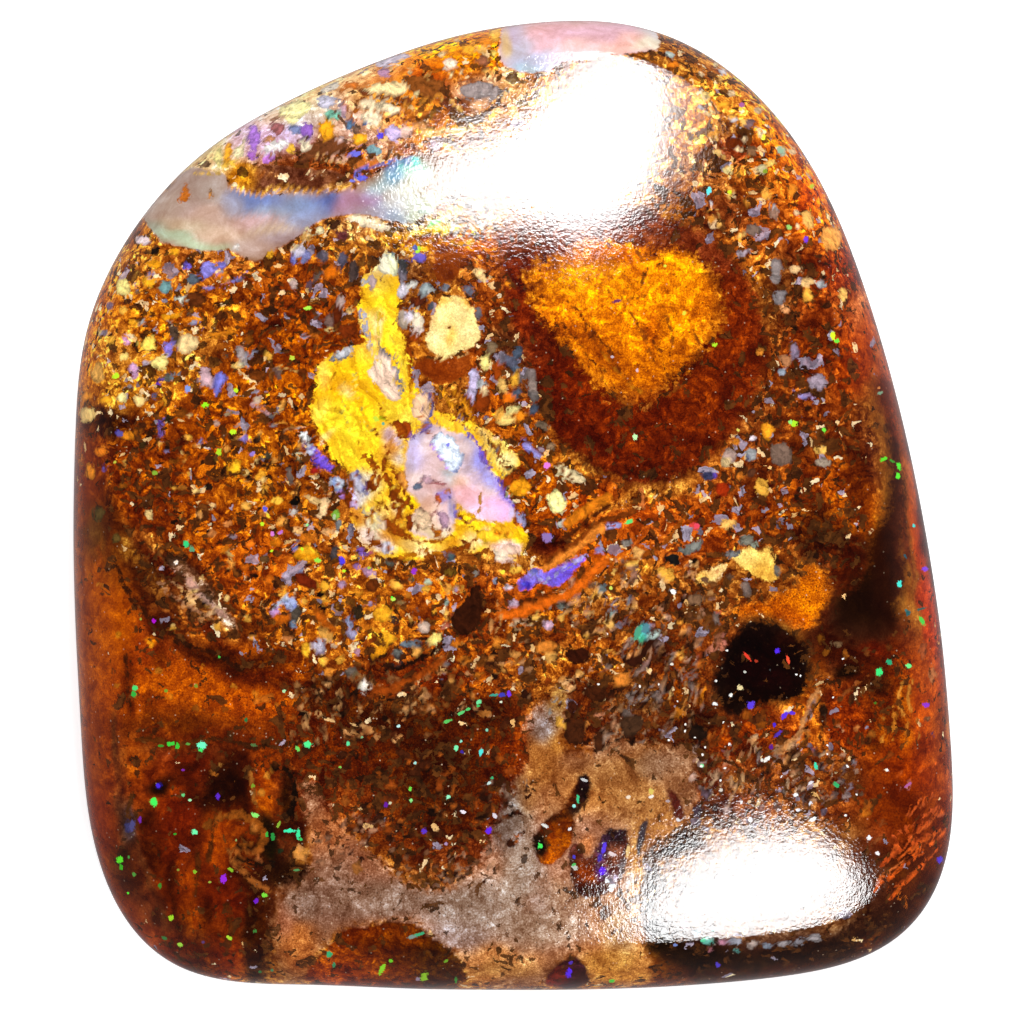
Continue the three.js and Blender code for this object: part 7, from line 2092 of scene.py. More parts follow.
    (572, 563, 3.7, 2.6, 56.32292913383384, (144, 99, 77)),
    (634, 602, 3.7, 2.5, -53.3551670488393, (188, 128, 73)),
    (570, 602, 3.1, 2.9, 68.92739812653102, (185, 127, 93)),
    (596, 588, 2.3, 1.8, -20.126922982382382, (215, 146, 83)),
    (635, 577, 4.3, 3.1, 10.877871388507032, (164, 113, 88)),
    (577, 617, 4.2, 3.0, 13.872088986786707, (222, 151, 86)),
    (587, 613, 3.1, 3.1, 37.89899909721815, (204, 138, 79)),
    (643, 625, 2.6, 2.3, -77.77591063814842, (153, 105, 82)),
    (589, 635, 3.2, 2.2, 72.57510004522055, (221, 156, 88)),
    (705, 580, 3.8, 2.9, -30.24070517830308, (112, 75, 52)),
    (618, 562, 3.3, 2.3, 69.22051516987736, (199, 136, 100)),
    (660, 626, 3.1, 2.3, -40.25112470477815, (115, 76, 53)),
    (696, 564, 4.1, 3.2, -67.59250948943779, (223, 157, 88)),
    (631, 582, 3.6, 2.9, -28.027526271854114, (113, 75, 52)),
    (612, 620, 2.0, 2.0, -64.12631743661497, (245, 174, 97)),
    (703, 611, 2.9, 2.4, 68.7663012752422, (181, 124, 91)),
    (575, 580, 3.5, 3.1, -24.828351229915995, (110, 73, 51)),
    (684, 574, 2.7, 1.9, 58.98963605726021, (229, 162, 91)),
    (711, 599, 2.1, 1.9, -2.7057571273355023, (149, 102, 80)),
    (598, 585, 2.4, 2.1, -38.33218668965644, (205, 145, 81)),
    (693, 575, 3.4, 2.7, -66.47874886119281, (227, 154, 88)),
    (661, 609, 3.1, 2.6, 20.66670565841686, (168, 115, 85)),
    (664, 581, 2.9, 2.3, 61.37280894787756, (246, 174, 98)),
    (686, 596, 2.4, 2.0, 67.99494809968499, (159, 109, 85)),
    (718, 573, 2.7, 2.2, 48.89571846648292, (226, 154, 88)),
    (565, 609, 2.8, 2.1, -50.574940243296645, (198, 135, 77)),
    (636, 570, 3.5, 2.6, 24.64062104891417, (139, 96, 75)),
    (687, 565, 2.0, 1.9, -36.85768238412402, (143, 98, 77)),
    (630, 610, 2.3, 2.2, -14.000412198850086, (175, 120, 94)),
    (589, 596, 2.6, 2.1, 69.76268410786525, (191, 129, 74)),
    (695, 578, 2.8, 2.1, -44.60679909108396, (179, 123, 90)),
    (605, 607, 2.3, 1.9, 76.9866783870157, (169, 116, 91)),
    (711, 593, 3.0, 2.2, 49.48373493794173, (198, 140, 79)),
    (604, 629, 3.7, 3.2, 3.475514387912213, (169, 115, 85)),
    (689, 572, 3.2, 2.1, -7.9634334019820585, (178, 122, 95)),
    (569, 612, 3.8, 3.0, -24.951263278780146, (194, 132, 75)),
    (644, 588, 3.6, 2.9, 31.778837810497023, (221, 150, 85)),
    (718, 564, 3.0, 2.3, 89.7203783317679, (206, 146, 82)),
    (577, 602, 3.4, 2.8, 27.295906696555832, (223, 151, 86)),
    (628, 601, 2.3, 2.2, -47.28845374102429, (250, 177, 99)),
    (598, 628, 2.5, 2.2, -87.09652786408053, (223, 151, 86)),
    (649, 625, 2.7, 1.9, 19.545663342863563, (193, 131, 75)),
    (622, 598, 2.0, 2.0, 6.071552375657774, (220, 156, 87)),
    (631, 619, 2.8, 2.4, 61.31837984492071, (197, 139, 78)),
    (601, 621, 2.4, 2.0, 53.35014156270415, (248, 175, 98)),
    (684, 634, 3.0, 2.6, -12.839023401902509, (43, 17, 6)),
    (684, 601, 3.2, 2.6, -0.021231502021208826, (37, 15, 5)),
    (587, 604, 3.7, 2.7, -1.9578762409259838, (59, 23, 7)),
    (569, 598, 2.5, 1.8, 30.607647053721294, (30, 12, 5)),
    (682, 595, 2.5, 2.1, 0.555876481695222, (82, 34, 10)),
    (711, 588, 2.9, 2.8, 2.1876372804542825, (85, 35, 11)),
    (565, 564, 2.5, 1.9, -81.50552177177991, (64, 25, 8)),
    (653, 628, 3.3, 2.9, 23.52481606260183, (56, 22, 7)),
    (575, 623, 2.0, 1.9, -7.482996401068789, (55, 22, 7)),
    (629, 616, 3.6, 2.5, -86.7128270268877, (84, 35, 11)),
    (695, 562, 3.2, 2.9, -19.45648931938308, (27, 11, 4)),
    (646, 627, 3.7, 2.6, -29.072325454275777, (62, 25, 8)),
    (673, 591, 3.5, 2.4, -85.103520900862, (83, 34, 10)),
    (574, 562, 2.6, 1.9, -57.224369681103916, (60, 24, 8)),
    (646, 591, 2.5, 2.3, 89.43335078682958, (36, 14, 5)),
    (647, 591, 2.8, 1.9, -45.02677512968351, (58, 23, 7)),
    (699, 589, 3.0, 2.3, 32.78105198634162, (65, 26, 8)),
    (570, 605, 4.3, 3.0, 41.644130647781765, (36, 14, 5)),
    (658, 587, 2.9, 2.1, 84.00960311786318, (61, 24, 8)),
    (566, 596, 3.8, 2.6, -51.044568263170305, (61, 24, 8)),
    (668, 603, 2.7, 2.4, 61.36237094339202, (29, 11, 4)),
    (705, 627, 3.1, 2.2, 54.45877733654069, (37, 15, 5)),
    (631, 603, 2.2, 2.0, 23.28049576467201, (67, 28, 8)),
    (640, 630, 2.3, 2.3, 50.311367051133146, (27, 10, 4)),
    (654, 612, 2.7, 2.1, 0.6712675532574508, (52, 21, 7)),
    (574, 617, 2.1, 2.1, -80.01148393169126, (30, 12, 5)),
    (682, 614, 4.1, 2.9, 33.72734267110066, (51, 20, 6)),
    (565, 605, 3.1, 2.3, 65.08073456366071, (43, 17, 6)),
    (677, 617, 2.3, 1.8, -6.354862767565052, (35, 14, 5)),
    (634, 589, 3.1, 2.7, 83.6533093864247, (36, 14, 5)),
    (783, 790, 2.2, 1.9, -36.902151378998624, (129, 106, 99)),
    (729, 779, 2.3, 2.0, 83.60411635875096, (128, 105, 98)),
    (742, 753, 3.7, 2.5, -29.173876426006338, (185, 120, 78)),
    (715, 757, 2.6, 1.8, -57.39125238139417, (164, 106, 69)),
    (777, 746, 1.8, 1.7, 73.0530998994137, (208, 153, 106)),
    (748, 751, 1.9, 1.6, 2.5883337271879157, (193, 142, 98)),
    (727, 749, 2.1, 1.6, -40.70394760835043, (185, 144, 108)),
    (762, 796, 2.6, 2.2, 52.17424749422878, (164, 106, 69)),
    (810, 778, 2.2, 1.9, -36.27316816205554, (187, 137, 95)),
    (751, 798, 2.4, 1.8, -49.01569017074602, (133, 109, 102)),
    (716, 779, 2.9, 2.5, -62.01015590944678, (202, 157, 118)),
    (801, 795, 2.7, 2.1, -41.12010021622484, (136, 111, 104)),
    (709, 778, 2.0, 1.7, -76.8062753808242, (184, 135, 94)),
    (793, 791, 2.4, 1.8, -61.59327115848526, (212, 165, 123)),
    (779, 753, 2.6, 1.8, 41.41122765731137, (194, 150, 113)),
    (811, 799, 3.2, 2.8, 68.29002217828534, (213, 157, 109)),
    (703, 783, 2.7, 2.1, -28.565288477518017, (186, 144, 108)),
    (794, 771, 3.3, 2.2, -27.053124198764003, (159, 103, 67)),
    (797, 756, 3.1, 2.8, -23.84581996930062, (169, 124, 86)),
    (777, 770, 2.2, 2.2, -73.84164529863324, (137, 113, 105)),
    (729, 760, 2.8, 1.9, 13.029137418771512, (205, 150, 104)),
    (730, 788, 2.2, 1.8, -40.76738143508149, (175, 113, 74)),
    (749, 759, 2.2, 1.9, 31.750423139334757, (187, 121, 79)),
    (793, 773, 2.8, 2.6, -8.79797459737972, (173, 127, 88)),
    (702, 765, 4.3, 2.9, -2.3703679578918155, (155, 127, 119)),
    (721, 787, 2.0, 1.7, 80.44649643703383, (209, 162, 121)),
    (819, 767, 3.5, 3.0, 17.318496188769643, (180, 117, 76)),
    (776, 761, 2.9, 2.4, 37.73638870002496, (141, 116, 108)),
    (718, 772, 3.2, 2.8, -0.2011428778882447, (199, 155, 116)),
    (796, 790, 3.0, 2.9, 53.082201166700514, (146, 120, 112)),
    (726, 752, 3.5, 2.5, 64.03893660037704, (169, 109, 71)),
    (702, 788, 3.2, 2.3, -1.481999129759572, (139, 114, 106)),
    (757, 759, 3.4, 2.8, -0.44666239896118043, (141, 116, 108)),
    (816, 798, 2.1, 1.7, -7.731252168462603, (159, 103, 67)),
    (773, 752, 2.3, 2.1, -52.95999753700416, (176, 129, 89)),
    (803, 772, 2.6, 1.9, 36.36921143033108, (146, 120, 112)),
    (754, 789, 3.0, 3.0, -19.887179448565135, (150, 97, 63)),
    (749, 754, 3.0, 2.7, -31.86744007766648, (177, 130, 90)),
    (826, 770, 1.9, 1.8, 82.81423899671975, (162, 133, 124)),
    (711, 783, 3.7, 2.5, -5.306658582279525, (197, 153, 114)),
    (804, 783, 2.6, 2.2, -24.87241515099967, (158, 102, 67)),
    (714, 778, 2.6, 1.8, 34.1772960699478, (200, 155, 116)),
    (724, 772, 2.9, 2.3, -56.12982105134354, (159, 103, 67)),
    (800, 787, 3.2, 2.6, 27.63445518946162, (211, 163, 122)),
    (712, 798, 3.3, 2.5, 44.84419974832298, (223, 173, 129)),
    (822, 755, 2.7, 2.5, -39.927098829023066, (223, 173, 130)),
    (769, 796, 2.7, 2.3, -57.06707080497915, (26, 10, 4)),
    (767, 751, 1.9, 1.9, 88.37504361026964, (75, 31, 9)),
    (813, 780, 2.5, 2.4, -57.90885500404356, (51, 20, 6)),
    (814, 763, 2.7, 2.2, -24.205050791849686, (31, 12, 5)),
    (805, 794, 3.1, 3.1, -41.96121028378906, (78, 33, 10)),
    (798, 755, 2.8, 2.2, 42.05234362589448, (37, 14, 5)),
    (796, 751, 3.5, 2.9, 52.388896998001286, (72, 30, 9)),
    (762, 768, 2.4, 2.1, 46.32324544121917, (37, 14, 5)),
    (701, 747, 2.4, 1.8, 62.412358216098795, (35, 14, 5)),
    (708, 792, 4.2, 2.9, -87.62054986843452, (56, 22, 7)),
    (821, 750, 2.2, 1.7, -12.801842308736255, (53, 21, 7)),
    (763, 764, 4.1, 3.0, 66.82250505970626, (68, 28, 8)),
    (741, 780, 3.2, 2.3, 39.259648568025256, (83, 35, 11)),
    (775, 794, 4.1, 3.0, -18.585100301797922, (82, 34, 10)),
    (757, 751, 3.1, 2.4, 57.68501088810237, (27, 10, 4)),
    (739, 784, 3.3, 3.1, 64.78114184427344, (31, 12, 5)),
    (818, 755, 2.2, 2.0, 89.4694773328745, (75, 31, 9)),
    (759, 777, 2.9, 2.3, 67.36850765701507, (80, 33, 10)),
    (797, 770, 2.1, 1.7, -46.21029647942902, (62, 24, 8)),
    (804, 778, 2.8, 1.9, 87.45899519358301, (31, 12, 5)),
    (794, 757, 3.3, 2.6, -46.78393640251814, (35, 14, 5)),
    (785, 788, 2.4, 2.1, 1.7236970545438197, (35, 14, 5)),
    (768, 769, 2.9, 2.1, -53.84245830970762, (40, 16, 6)),
    (796, 793, 2.3, 1.9, -48.86101637571088, (54, 21, 7)),
    (702, 785, 3.7, 2.5, 76.18350977392876, (59, 23, 7)),
    (828, 752, 2.5, 1.8, 56.56260716897373, (59, 23, 7)),
    (792, 763, 2.8, 2.3, -82.03399894415614, (61, 24, 8)),
    (826, 789, 2.2, 2.2, -89.50416524652623, (81, 34, 10)),
    (764, 776, 2.0, 1.8, 37.300075441735814, (44, 17, 6)),
    (805, 771, 2.1, 1.8, 85.17852617955808, (63, 25, 8)),
    (177, 306, 3.0, 2.1, -89.23986472630777, (81, 36, 10)),
    (247, 477, 3.4, 2.3, 63.61971040536909, (44, 20, 8)),
    (154, 330, 3.4, 2.8, -51.046938638660656, (71, 32, 8)),
    (213, 316, 1.9, 1.9, 7.200892706962421, (39, 18, 7)),
    (149, 433, 3.4, 3.0, -28.5293577099401, (52, 22, 6)),
    (267, 461, 3.1, 2.9, 11.527787569232629, (71, 32, 8)),
    (276, 289, 4.2, 3.0, -77.07504444092976, (70, 31, 8)),
    (162, 423, 2.3, 1.8, -10.901010168802046, (52, 22, 6)),
    (183, 264, 3.7, 2.6, 26.074891175444847, (72, 32, 9)),
    (266, 403, 4.0, 3.1, -61.18319795133876, (39, 18, 7)),
    (248, 372, 2.6, 2.6, -33.30206820264935, (56, 24, 7)),
    (135, 344, 3.0, 2.9, 85.1612510119335, (45, 20, 8)),
    (142, 426, 3.6, 3.1, -83.2595411103375, (63, 27, 8)),
    (247, 261, 3.6, 2.5, 65.2247028599609, (86, 39, 10)),
    (147, 461, 3.7, 2.5, -27.071813708859523, (82, 37, 10)),
    (230, 460, 2.7, 1.9, -59.417665486819, (72, 32, 9)),
    (268, 468, 3.6, 3.0, -58.911507200096594, (38, 17, 6)),
    (226, 475, 2.9, 2.2, -14.229972985073061, (42, 19, 7)),
    (157, 475, 2.6, 2.3, -74.10849313501242, (76, 34, 9)),
    (283, 431, 3.5, 2.6, 77.57207997424533, (37, 17, 6)),
    (298, 300, 2.4, 1.8, -24.075623518745005, (84, 38, 10)),
    (259, 350, 2.7, 2.3, 33.939135353183474, (59, 25, 7)),
    (227, 469, 2.4, 2.1, -23.65032994238024, (62, 27, 8)),
    (250, 297, 2.8, 2.2, 38.483428684858694, (45, 20, 8)),
    (241, 472, 2.8, 2.6, 75.5118781543338, (77, 34, 9)),
    (280, 403, 2.7, 2.4, 38.51248984519725, (46, 21, 8)),
    (290, 481, 2.3, 1.9, 53.163667078413255, (78, 35, 9)),
    (151, 469, 2.3, 2.2, 11.501916101499546, (57, 24, 7)),
    (265, 349, 4.1, 2.8, -42.519454076223155, (60, 26, 8)),
    (217, 308, 3.9, 2.9, 52.83142702355627, (85, 38, 10)),
    (200, 280, 3.4, 3.1, 10.989924522739187, (43, 19, 7)),
    (159, 362, 3.0, 2.9, -55.71244714773101, (64, 27, 8)),
    (142, 477, 2.3, 2.1, 52.09842299203359, (38, 17, 7)),
    (201, 461, 2.3, 2.0, -31.05816925030996, (45, 20, 8)),
    (262, 465, 3.7, 2.5, -2.261205605182184, (38, 17, 6)),
    (249, 303, 3.5, 2.4, 48.1573937382405, (54, 23, 7)),
    (166, 448, 2.4, 2.3, 70.05709046481405, (46, 20, 8)),
    (269, 465, 3.0, 2.3, -74.12581288652531, (56, 24, 7)),
    (216, 306, 3.6, 3.2, -28.01071270495342, (40, 18, 7)),
    (203, 295, 2.9, 2.7, -15.73336147452784, (54, 23, 7)),
    (139, 337, 2.4, 1.9, -44.89671408771804, (58, 25, 7)),
    (167, 259, 2.5, 2.3, 69.14623360292691, (70, 31, 8)),
    (256, 442, 4.3, 3.1, 6.42644067566124, (45, 20, 8)),
    (203, 289, 2.7, 2.4, -4.0059086174660195, (37, 17, 6)),
    (160, 405, 2.7, 2.3, 36.40570995060317, (57, 24, 7)),
    (284, 432, 3.1, 3.1, 53.489645675362226, (86, 39, 10)),
    (307, 335, 2.8, 2.4, 80.95359865932599, (31, 12, 5)),
    (304, 441, 3.3, 2.9, 36.891455531420675, (68, 28, 9)),
    (302, 315, 3.1, 2.5, 15.02244283547492, (79, 33, 10)),
    (302, 463, 2.4, 1.8, -13.301270800473233, (42, 17, 6)),
    (315, 377, 2.7, 1.9, -47.100911559633744, (35, 14, 5)),
    (306, 358, 2.7, 2.3, -12.36228050574259, (36, 14, 5)),
    (308, 441, 1.9, 1.9, 72.4706240710056, (74, 31, 9)),
    (309, 487, 2.5, 2.2, 6.22713368765092, (76, 32, 10)),
    (182, 514, 2.5, 2.0, -68.33875547019431, (221, 157, 55)),
    (281, 457, 2.5, 2.1, -40.02495232687657, (244, 162, 64)),
    (243, 614, 2.7, 2.4, 72.30966880370949, (255, 210, 122)),
    (264, 490, 3.1, 3.1, -76.7165436418471, (252, 178, 63)),
    (184, 460, 2.4, 2.0, -76.86196512515771, (206, 137, 54)),
    (182, 522, 2.5, 1.9, -83.04872309070086, (211, 170, 98)),
    (242, 433, 3.2, 2.3, -89.53926920812849, (251, 167, 66)),
    (227, 596, 4.0, 2.7, 45.72815128487207, (250, 201, 116)),
    (231, 554, 3.5, 2.4, 33.656526831542934, (210, 169, 98)),
    (298, 482, 3.8, 2.7, 79.73233300181795, (245, 163, 65)),
    (190, 437, 3.1, 2.1, 50.15628372519396, (255, 188, 66)),
    (207, 503, 2.3, 2.2, 42.636762320893524, (203, 135, 54)),
    (186, 437, 3.0, 2.6, -69.52325766582598, (222, 147, 59)),
    (176, 510, 2.8, 1.9, 14.29915118775375, (225, 149, 59)),
    (181, 452, 2.7, 2.5, -11.36035655031688, (218, 175, 101)),
    (262, 478, 4.1, 3.1, 89.78947271320897, (245, 197, 114)),
    (188, 473, 3.3, 2.4, 41.24845597755149, (255, 181, 64)),
    (247, 472, 3.2, 2.2, -45.07056813901675, (214, 172, 99)),
    (261, 433, 2.2, 2.1, 2.8718327159084964, (248, 165, 66)),
    (174, 487, 3.1, 2.8, 54.00683726932991, (211, 150, 52)),
    (282, 403, 4.2, 2.8, -57.65971825906402, (237, 157, 62)),
    (195, 491, 4.7, 3.2, -77.86776896496946, (253, 203, 118)),
    (301, 445, 2.8, 2.5, -17.47100194658968, (239, 159, 63)),
    (200, 578, 3.0, 2.3, -32.84134194047042, (250, 201, 116)),
    (284, 587, 2.5, 2.2, 50.220824813837424, (203, 134, 53)),
    (258, 568, 3.6, 2.7, -67.61912149262169, (233, 154, 61)),
    (236, 438, 3.4, 2.6, -61.67524780894525, (196, 130, 52)),
    (249, 617, 2.8, 2.8, -34.05526269089014, (216, 153, 54)),
    (206, 606, 2.0, 1.8, 15.859652471592398, (212, 141, 56)),
    (252, 638, 3.4, 2.9, 15.386345871374573, (231, 153, 61)),
    (226, 448, 4.3, 3.1, 61.92330912874786, (241, 160, 64)),
    (172, 628, 3.3, 2.9, 0.1642852864879103, (227, 161, 56)),
    (194, 591, 2.7, 2.5, -49.3211014782373, (223, 180, 104)),
    (291, 492, 1.9, 1.9, -9.610292687088887, (225, 159, 56)),
    (275, 537, 3.4, 2.7, 5.18453116876195, (255, 184, 65)),
    (264, 605, 2.3, 2.2, -32.68177286414373, (216, 174, 101)),
    (217, 627, 3.7, 3.1, -16.252152687984292, (227, 160, 56)),
    (303, 603, 3.7, 2.6, 73.32554828972937, (244, 173, 61)),
    (172, 627, 3.5, 2.7, -63.861058793241455, (214, 172, 100)),
    (328, 639, 4.2, 3.0, -75.1765932958404, (233, 187, 108)),
    (281, 594, 4.0, 3.1, -38.36759804510407, (255, 183, 64)),
    (272, 463, 2.2, 2.1, -31.657891979320183, (214, 142, 56)),
    (279, 408, 3.6, 2.5, 80.31549105288565, (255, 207, 120)),
    (293, 492, 2.7, 2.1, -8.947545502846282, (238, 158, 63)),
    (256, 461, 3.1, 2.2, -80.23927024989686, (218, 176, 102)),
    (200, 511, 2.2, 1.9, 50.09782776015072, (252, 167, 66)),
    (320, 595, 3.1, 3.0, -82.61953145352973, (26, 10, 4)),
    (312, 586, 2.6, 2.3, 64.18414358756559, (81, 34, 10)),
    (211, 565, 2.2, 2.1, 84.1015569776838, (72, 30, 9)),
    (246, 524, 2.5, 1.9, -56.35145611381256, (39, 15, 5)),
    (285, 403, 3.6, 3.0, -83.14426855757405, (26, 10, 4)),
    (255, 578, 2.4, 1.9, 9.268094094998716, (42, 17, 6)),
    (301, 546, 2.9, 2.9, 67.95956847105265, (55, 22, 7)),
    (233, 410, 2.0, 1.9, -9.686542216189167, (44, 17, 6)),
    (304, 539, 3.0, 2.3, 87.50300575406894, (63, 25, 8)),
    (210, 582, 3.1, 3.1, 54.57225451814219, (81, 34, 10)),
    (247, 414, 2.6, 1.8, 10.814388579963492, (37, 15, 5)),
    (209, 531, 3.1, 2.7, 3.4286826461998032, (33, 13, 5)),
    (174, 521, 3.6, 2.6, -18.487997714950268, (26, 10, 4)),
    (177, 472, 3.1, 2.1, -14.432400398765509, (79, 33, 10)),
    (282, 523, 3.2, 2.5, 13.713608829634637, (31, 12, 5)),
    (325, 492, 2.7, 1.9, 12.10156000140067, (74, 31, 9)),
    (228, 450, 3.3, 2.3, -11.913420462644908, (26, 10, 4)),
    (290, 469, 3.3, 2.3, -50.25888570149482, (39, 15, 5)),
    (181, 412, 3.5, 2.7, -79.48745393515098, (33, 13, 5)),
    (318, 476, 2.8, 2.0, -87.36966076265297, (43, 17, 6)),
    (283, 521, 2.9, 2.0, -8.426064483775221, (75, 31, 9)),
    (190, 611, 4.2, 2.9, 78.40792887317761, (44, 17, 6)),
    (257, 462, 3.0, 2.3, -76.65474742491313, (78, 33, 10)),
    (327, 558, 2.7, 1.9, -84.36678677675265, (34, 13, 5)),
    (297, 407, 2.5, 1.9, -2.3761340658135737, (28, 11, 4)),
    (322, 608, 3.8, 2.8, 8.097207735291477, (30, 12, 5)),
    (203, 602, 2.9, 2.9, 61.73801916023865, (27, 11, 4)),
    (329, 544, 2.6, 2.3, -70.346298884412, (69, 29, 9)),
    (249, 578, 3.4, 2.4, 3.82411464967403, (66, 26, 8)),
    (255, 633, 4.2, 2.9, -12.509578685226899, (58, 23, 7)),
    (228, 570, 3.1, 2.3, -36.8569619831546, (56, 22, 7)),
    (290, 625, 3.2, 2.8, 23.37909628381273, (31, 12, 5)),
    (315, 466, 3.2, 2.7, -52.70338562097044, (72, 30, 9)),
    (196, 494, 3.9, 3.0, -53.806780485716054, (79, 33, 10)),
    (300, 505, 2.7, 2.2, 37.52904470041379, (64, 25, 8)),
    (287, 454, 2.8, 2.2, 66.2868384015039, (56, 22, 7)),
    (720, 80, 3.1, 2.4, 55.78060685283833, (243, 178, 89)),
    (745, 160, 3.0, 2.8, 35.874861464730316, (246, 156, 52)),
    (759, 110, 3.5, 2.5, -1.454389750892318, (207, 172, 129)),
    (718, 215, 3.3, 2.2, 53.081392097412134, (214, 156, 78)),
    (797, 213, 3.4, 2.5, 27.619628280806708, (224, 187, 140)),
    (743, 122, 4.4, 3.4, 14.182730573462749, (255, 189, 94)),
    (718, 224, 2.8, 2.1, -73.57985184148407, (255, 188, 94)),
    (723, 158, 2.7, 2.0, -35.28689950534032, (232, 169, 84)),
    (743, 67, 3.0, 2.0, 8.770852390858636, (218, 138, 46)),
    (710, 212, 2.8, 2.2, -30.48376100392138, (255, 162, 54)),
    (724, 72, 4.0, 2.9, 29.962070865901836, (222, 211, 211)),
    (716, 65, 2.9, 2.1, -38.99130569967839, (255, 223, 167)),
    (713, 224, 4.7, 3.2, -44.988835360678195, (250, 208, 156)),
    (738, 127, 2.2, 1.9, -10.429011247110282, (214, 203, 203)),
    (782, 151, 2.9, 2.5, 82.36850803741109, (223, 186, 139)),
    (757, 169, 4.4, 3.3, 71.76372516384575, (215, 179, 134)),
    (798, 80, 3.7, 3.3, 12.711291715528418, (255, 216, 162)),
    (738, 149, 3.4, 2.5, 20.99150080762729, (255, 217, 162)),
    (731, 197, 3.1, 2.1, -32.841442595395996, (255, 201, 100)),
    (715, 139, 3.9, 3.2, -60.12343926979747, (251, 183, 91)),
    (790, 66, 2.9, 2.7, 14.065974171556078, (219, 208, 208)),
    (701, 73, 3.6, 3.2, -21.398359484575565, (242, 202, 151)),
    (759, 133, 4.3, 3.2, -83.66858608119428, (255, 222, 167)),
    (776, 89, 4.0, 3.1, -67.3528513885985, (207, 197, 197)),
    (734, 197, 2.0, 1.9, 72.88531820481694, (255, 215, 161)),
    (741, 149, 3.2, 3.0, -21.23717890040585, (216, 180, 135)),
    (781, 119, 2.8, 2.1, -42.57823315203814, (217, 159, 79)),
    (732, 119, 4.1, 2.9, 10.654109171025738, (203, 193, 193)),
    (700, 107, 3.8, 2.7, 67.96297193432642, (210, 199, 199)),
    (749, 201, 3.6, 3.0, 83.88834899891688, (230, 146, 48)),
    (792, 151, 3.5, 3.1, 18.206155310359776, (255, 213, 159)),
    (701, 105, 3.6, 2.4, 13.151019283713623, (255, 194, 97)),
    (783, 146, 2.7, 2.3, 52.56797961384342, (212, 155, 77)),
    (727, 165, 2.9, 1.9, 82.15367960384566, (239, 152, 50)),
    (772, 206, 2.8, 2.8, 23.29628456666569, (186, 177, 177)),
    (731, 94, 4.4, 3.0, -16.87978265955337, (223, 186, 139)),
    (711, 220, 3.4, 3.3, -58.62560935619691, (214, 136, 45)),
    (797, 225, 2.1, 2.1, -77.34762503524757, (254, 211, 158)),
    (770, 164, 4.9, 3.4, -6.236573089998288, (255, 199, 99)),
    (711, 204, 2.0, 1.9, -33.88659107563091, (214, 204, 204)),
    (444, 52, 3.5, 2.6, 17.59407454872867, (255, 162, 54)),
    (411, 73, 3.3, 2.9, 51.144241050815566, (226, 190, 136)),
    (474, 44, 4.6, 3.2, -34.65192925803661, (220, 140, 46)),
    (454, 103, 3.6, 3.0, 7.835984401452521, (252, 184, 92)),
    (488, 42, 2.8, 2.6, -14.15049820918226, (241, 202, 144)),
    (483, 49, 4.4, 3.1, -87.52112343979987, (254, 186, 93)),
    (466, 94, 2.7, 2.5, 14.26459203432367, (214, 156, 78)),
    (419, 105, 2.3, 2.0, 63.29253976835926, (216, 137, 45)),
    (426, 130, 2.6, 2.4, -28.95099566751179, (229, 167, 83)),
    (417, 92, 2.7, 1.9, 68.27270649855993, (233, 148, 49)),
    (412, 66, 3.6, 2.8, 30.127149466124976, (251, 159, 53)),
    (462, 72, 2.4, 2.0, 24.952615412800412, (247, 208, 148)),
    (443, 104, 2.9, 2.6, 89.61930927982777, (240, 176, 88)),
    (441, 55, 3.8, 3.0, -23.486138226574056, (250, 210, 150)),
    (452, 76, 2.1, 2.0, 7.2719802561271365, (255, 230, 164)),
    (428, 76, 2.7, 2.6, -7.698656936183397, (221, 162, 81)),
    (405, 106, 2.8, 2.3, -78.62001683411097, (209, 133, 44)),
    (426, 72, 2.1, 2.1, -34.48443487381803, (232, 147, 49)),
    (477, 51, 2.9, 2.3, -26.34237352861689, (231, 169, 84)),
    (483, 97, 2.6, 2.6, -27.64613693936233, (227, 166, 83)),
    (487, 72, 3.4, 3.3, -40.83098738802992, (245, 179, 89)),
    (476, 85, 3.9, 2.6, -36.48424870306793, (214, 136, 45)),
    (460, 109, 3.7, 2.6, 37.97113338741585, (255, 193, 96)),
    (415, 97, 4.0, 2.7, 72.157613878734, (255, 234, 167)),
    (418, 82, 4.6, 3.2, 33.53454065337317, (255, 187, 93)),
    (453, 117, 2.9, 2.4, 61.902199245487964, (255, 222, 159)),
    (456, 41, 3.5, 2.4, -10.376133762265255, (222, 187, 133)),
    (459, 133, 2.8, 2.7, -38.9843700224471, (247, 207, 148)),
    (428, 53, 2.2, 1.9, -46.52811776085399, (244, 179, 89)),
    (470, 50, 2.6, 1.9, 6.410686747166736, (242, 177, 88)),
    (796, 498, 3.2, 2.7, 75.95078519387715, (39, 18, 7)),
    (799, 413, 2.7, 2.6, -23.00194934609496, (98, 43, 10)),
    (820, 440, 2.1, 1.9, -32.52336106340035, (100, 44, 11)),
    (791, 461, 2.6, 2.0, -48.44882164160714, (63, 27, 8)),
    (784, 267, 2.8, 2.2, 72.34571934609218, (97, 43, 10)),
    (819, 540, 2.3, 2.1, 69.44890854533912, (63, 27, 8)),
    (800, 488, 2.8, 2.6, -68.99075523037261, (51, 22, 6)),
    (809, 301, 3.5, 2.8, -21.887239358821205, (92, 41, 10)),
    (779, 448, 3.3, 2.9, 85.94721355752682, (44, 20, 8)),
    (854, 287, 3.5, 2.7, 58.4509284223393, (89, 39, 9)),
    (812, 306, 2.9, 2.5, -46.30943207726759, (37, 17, 6)),
    (773, 525, 3.0, 2.5, 24.899762998005983, (40, 18, 7)),
    (779, 346, 3.4, 2.4, 77.48696699330682, (82, 36, 9)),
    (826, 306, 3.1, 2.8, -20.665408714771075, (62, 26, 8)),
    (797, 422, 2.5, 2.0, 55.801726058333, (41, 18, 7)),
    (795, 328, 3.1, 2.1, 67.94318377912731, (38, 17, 6)),
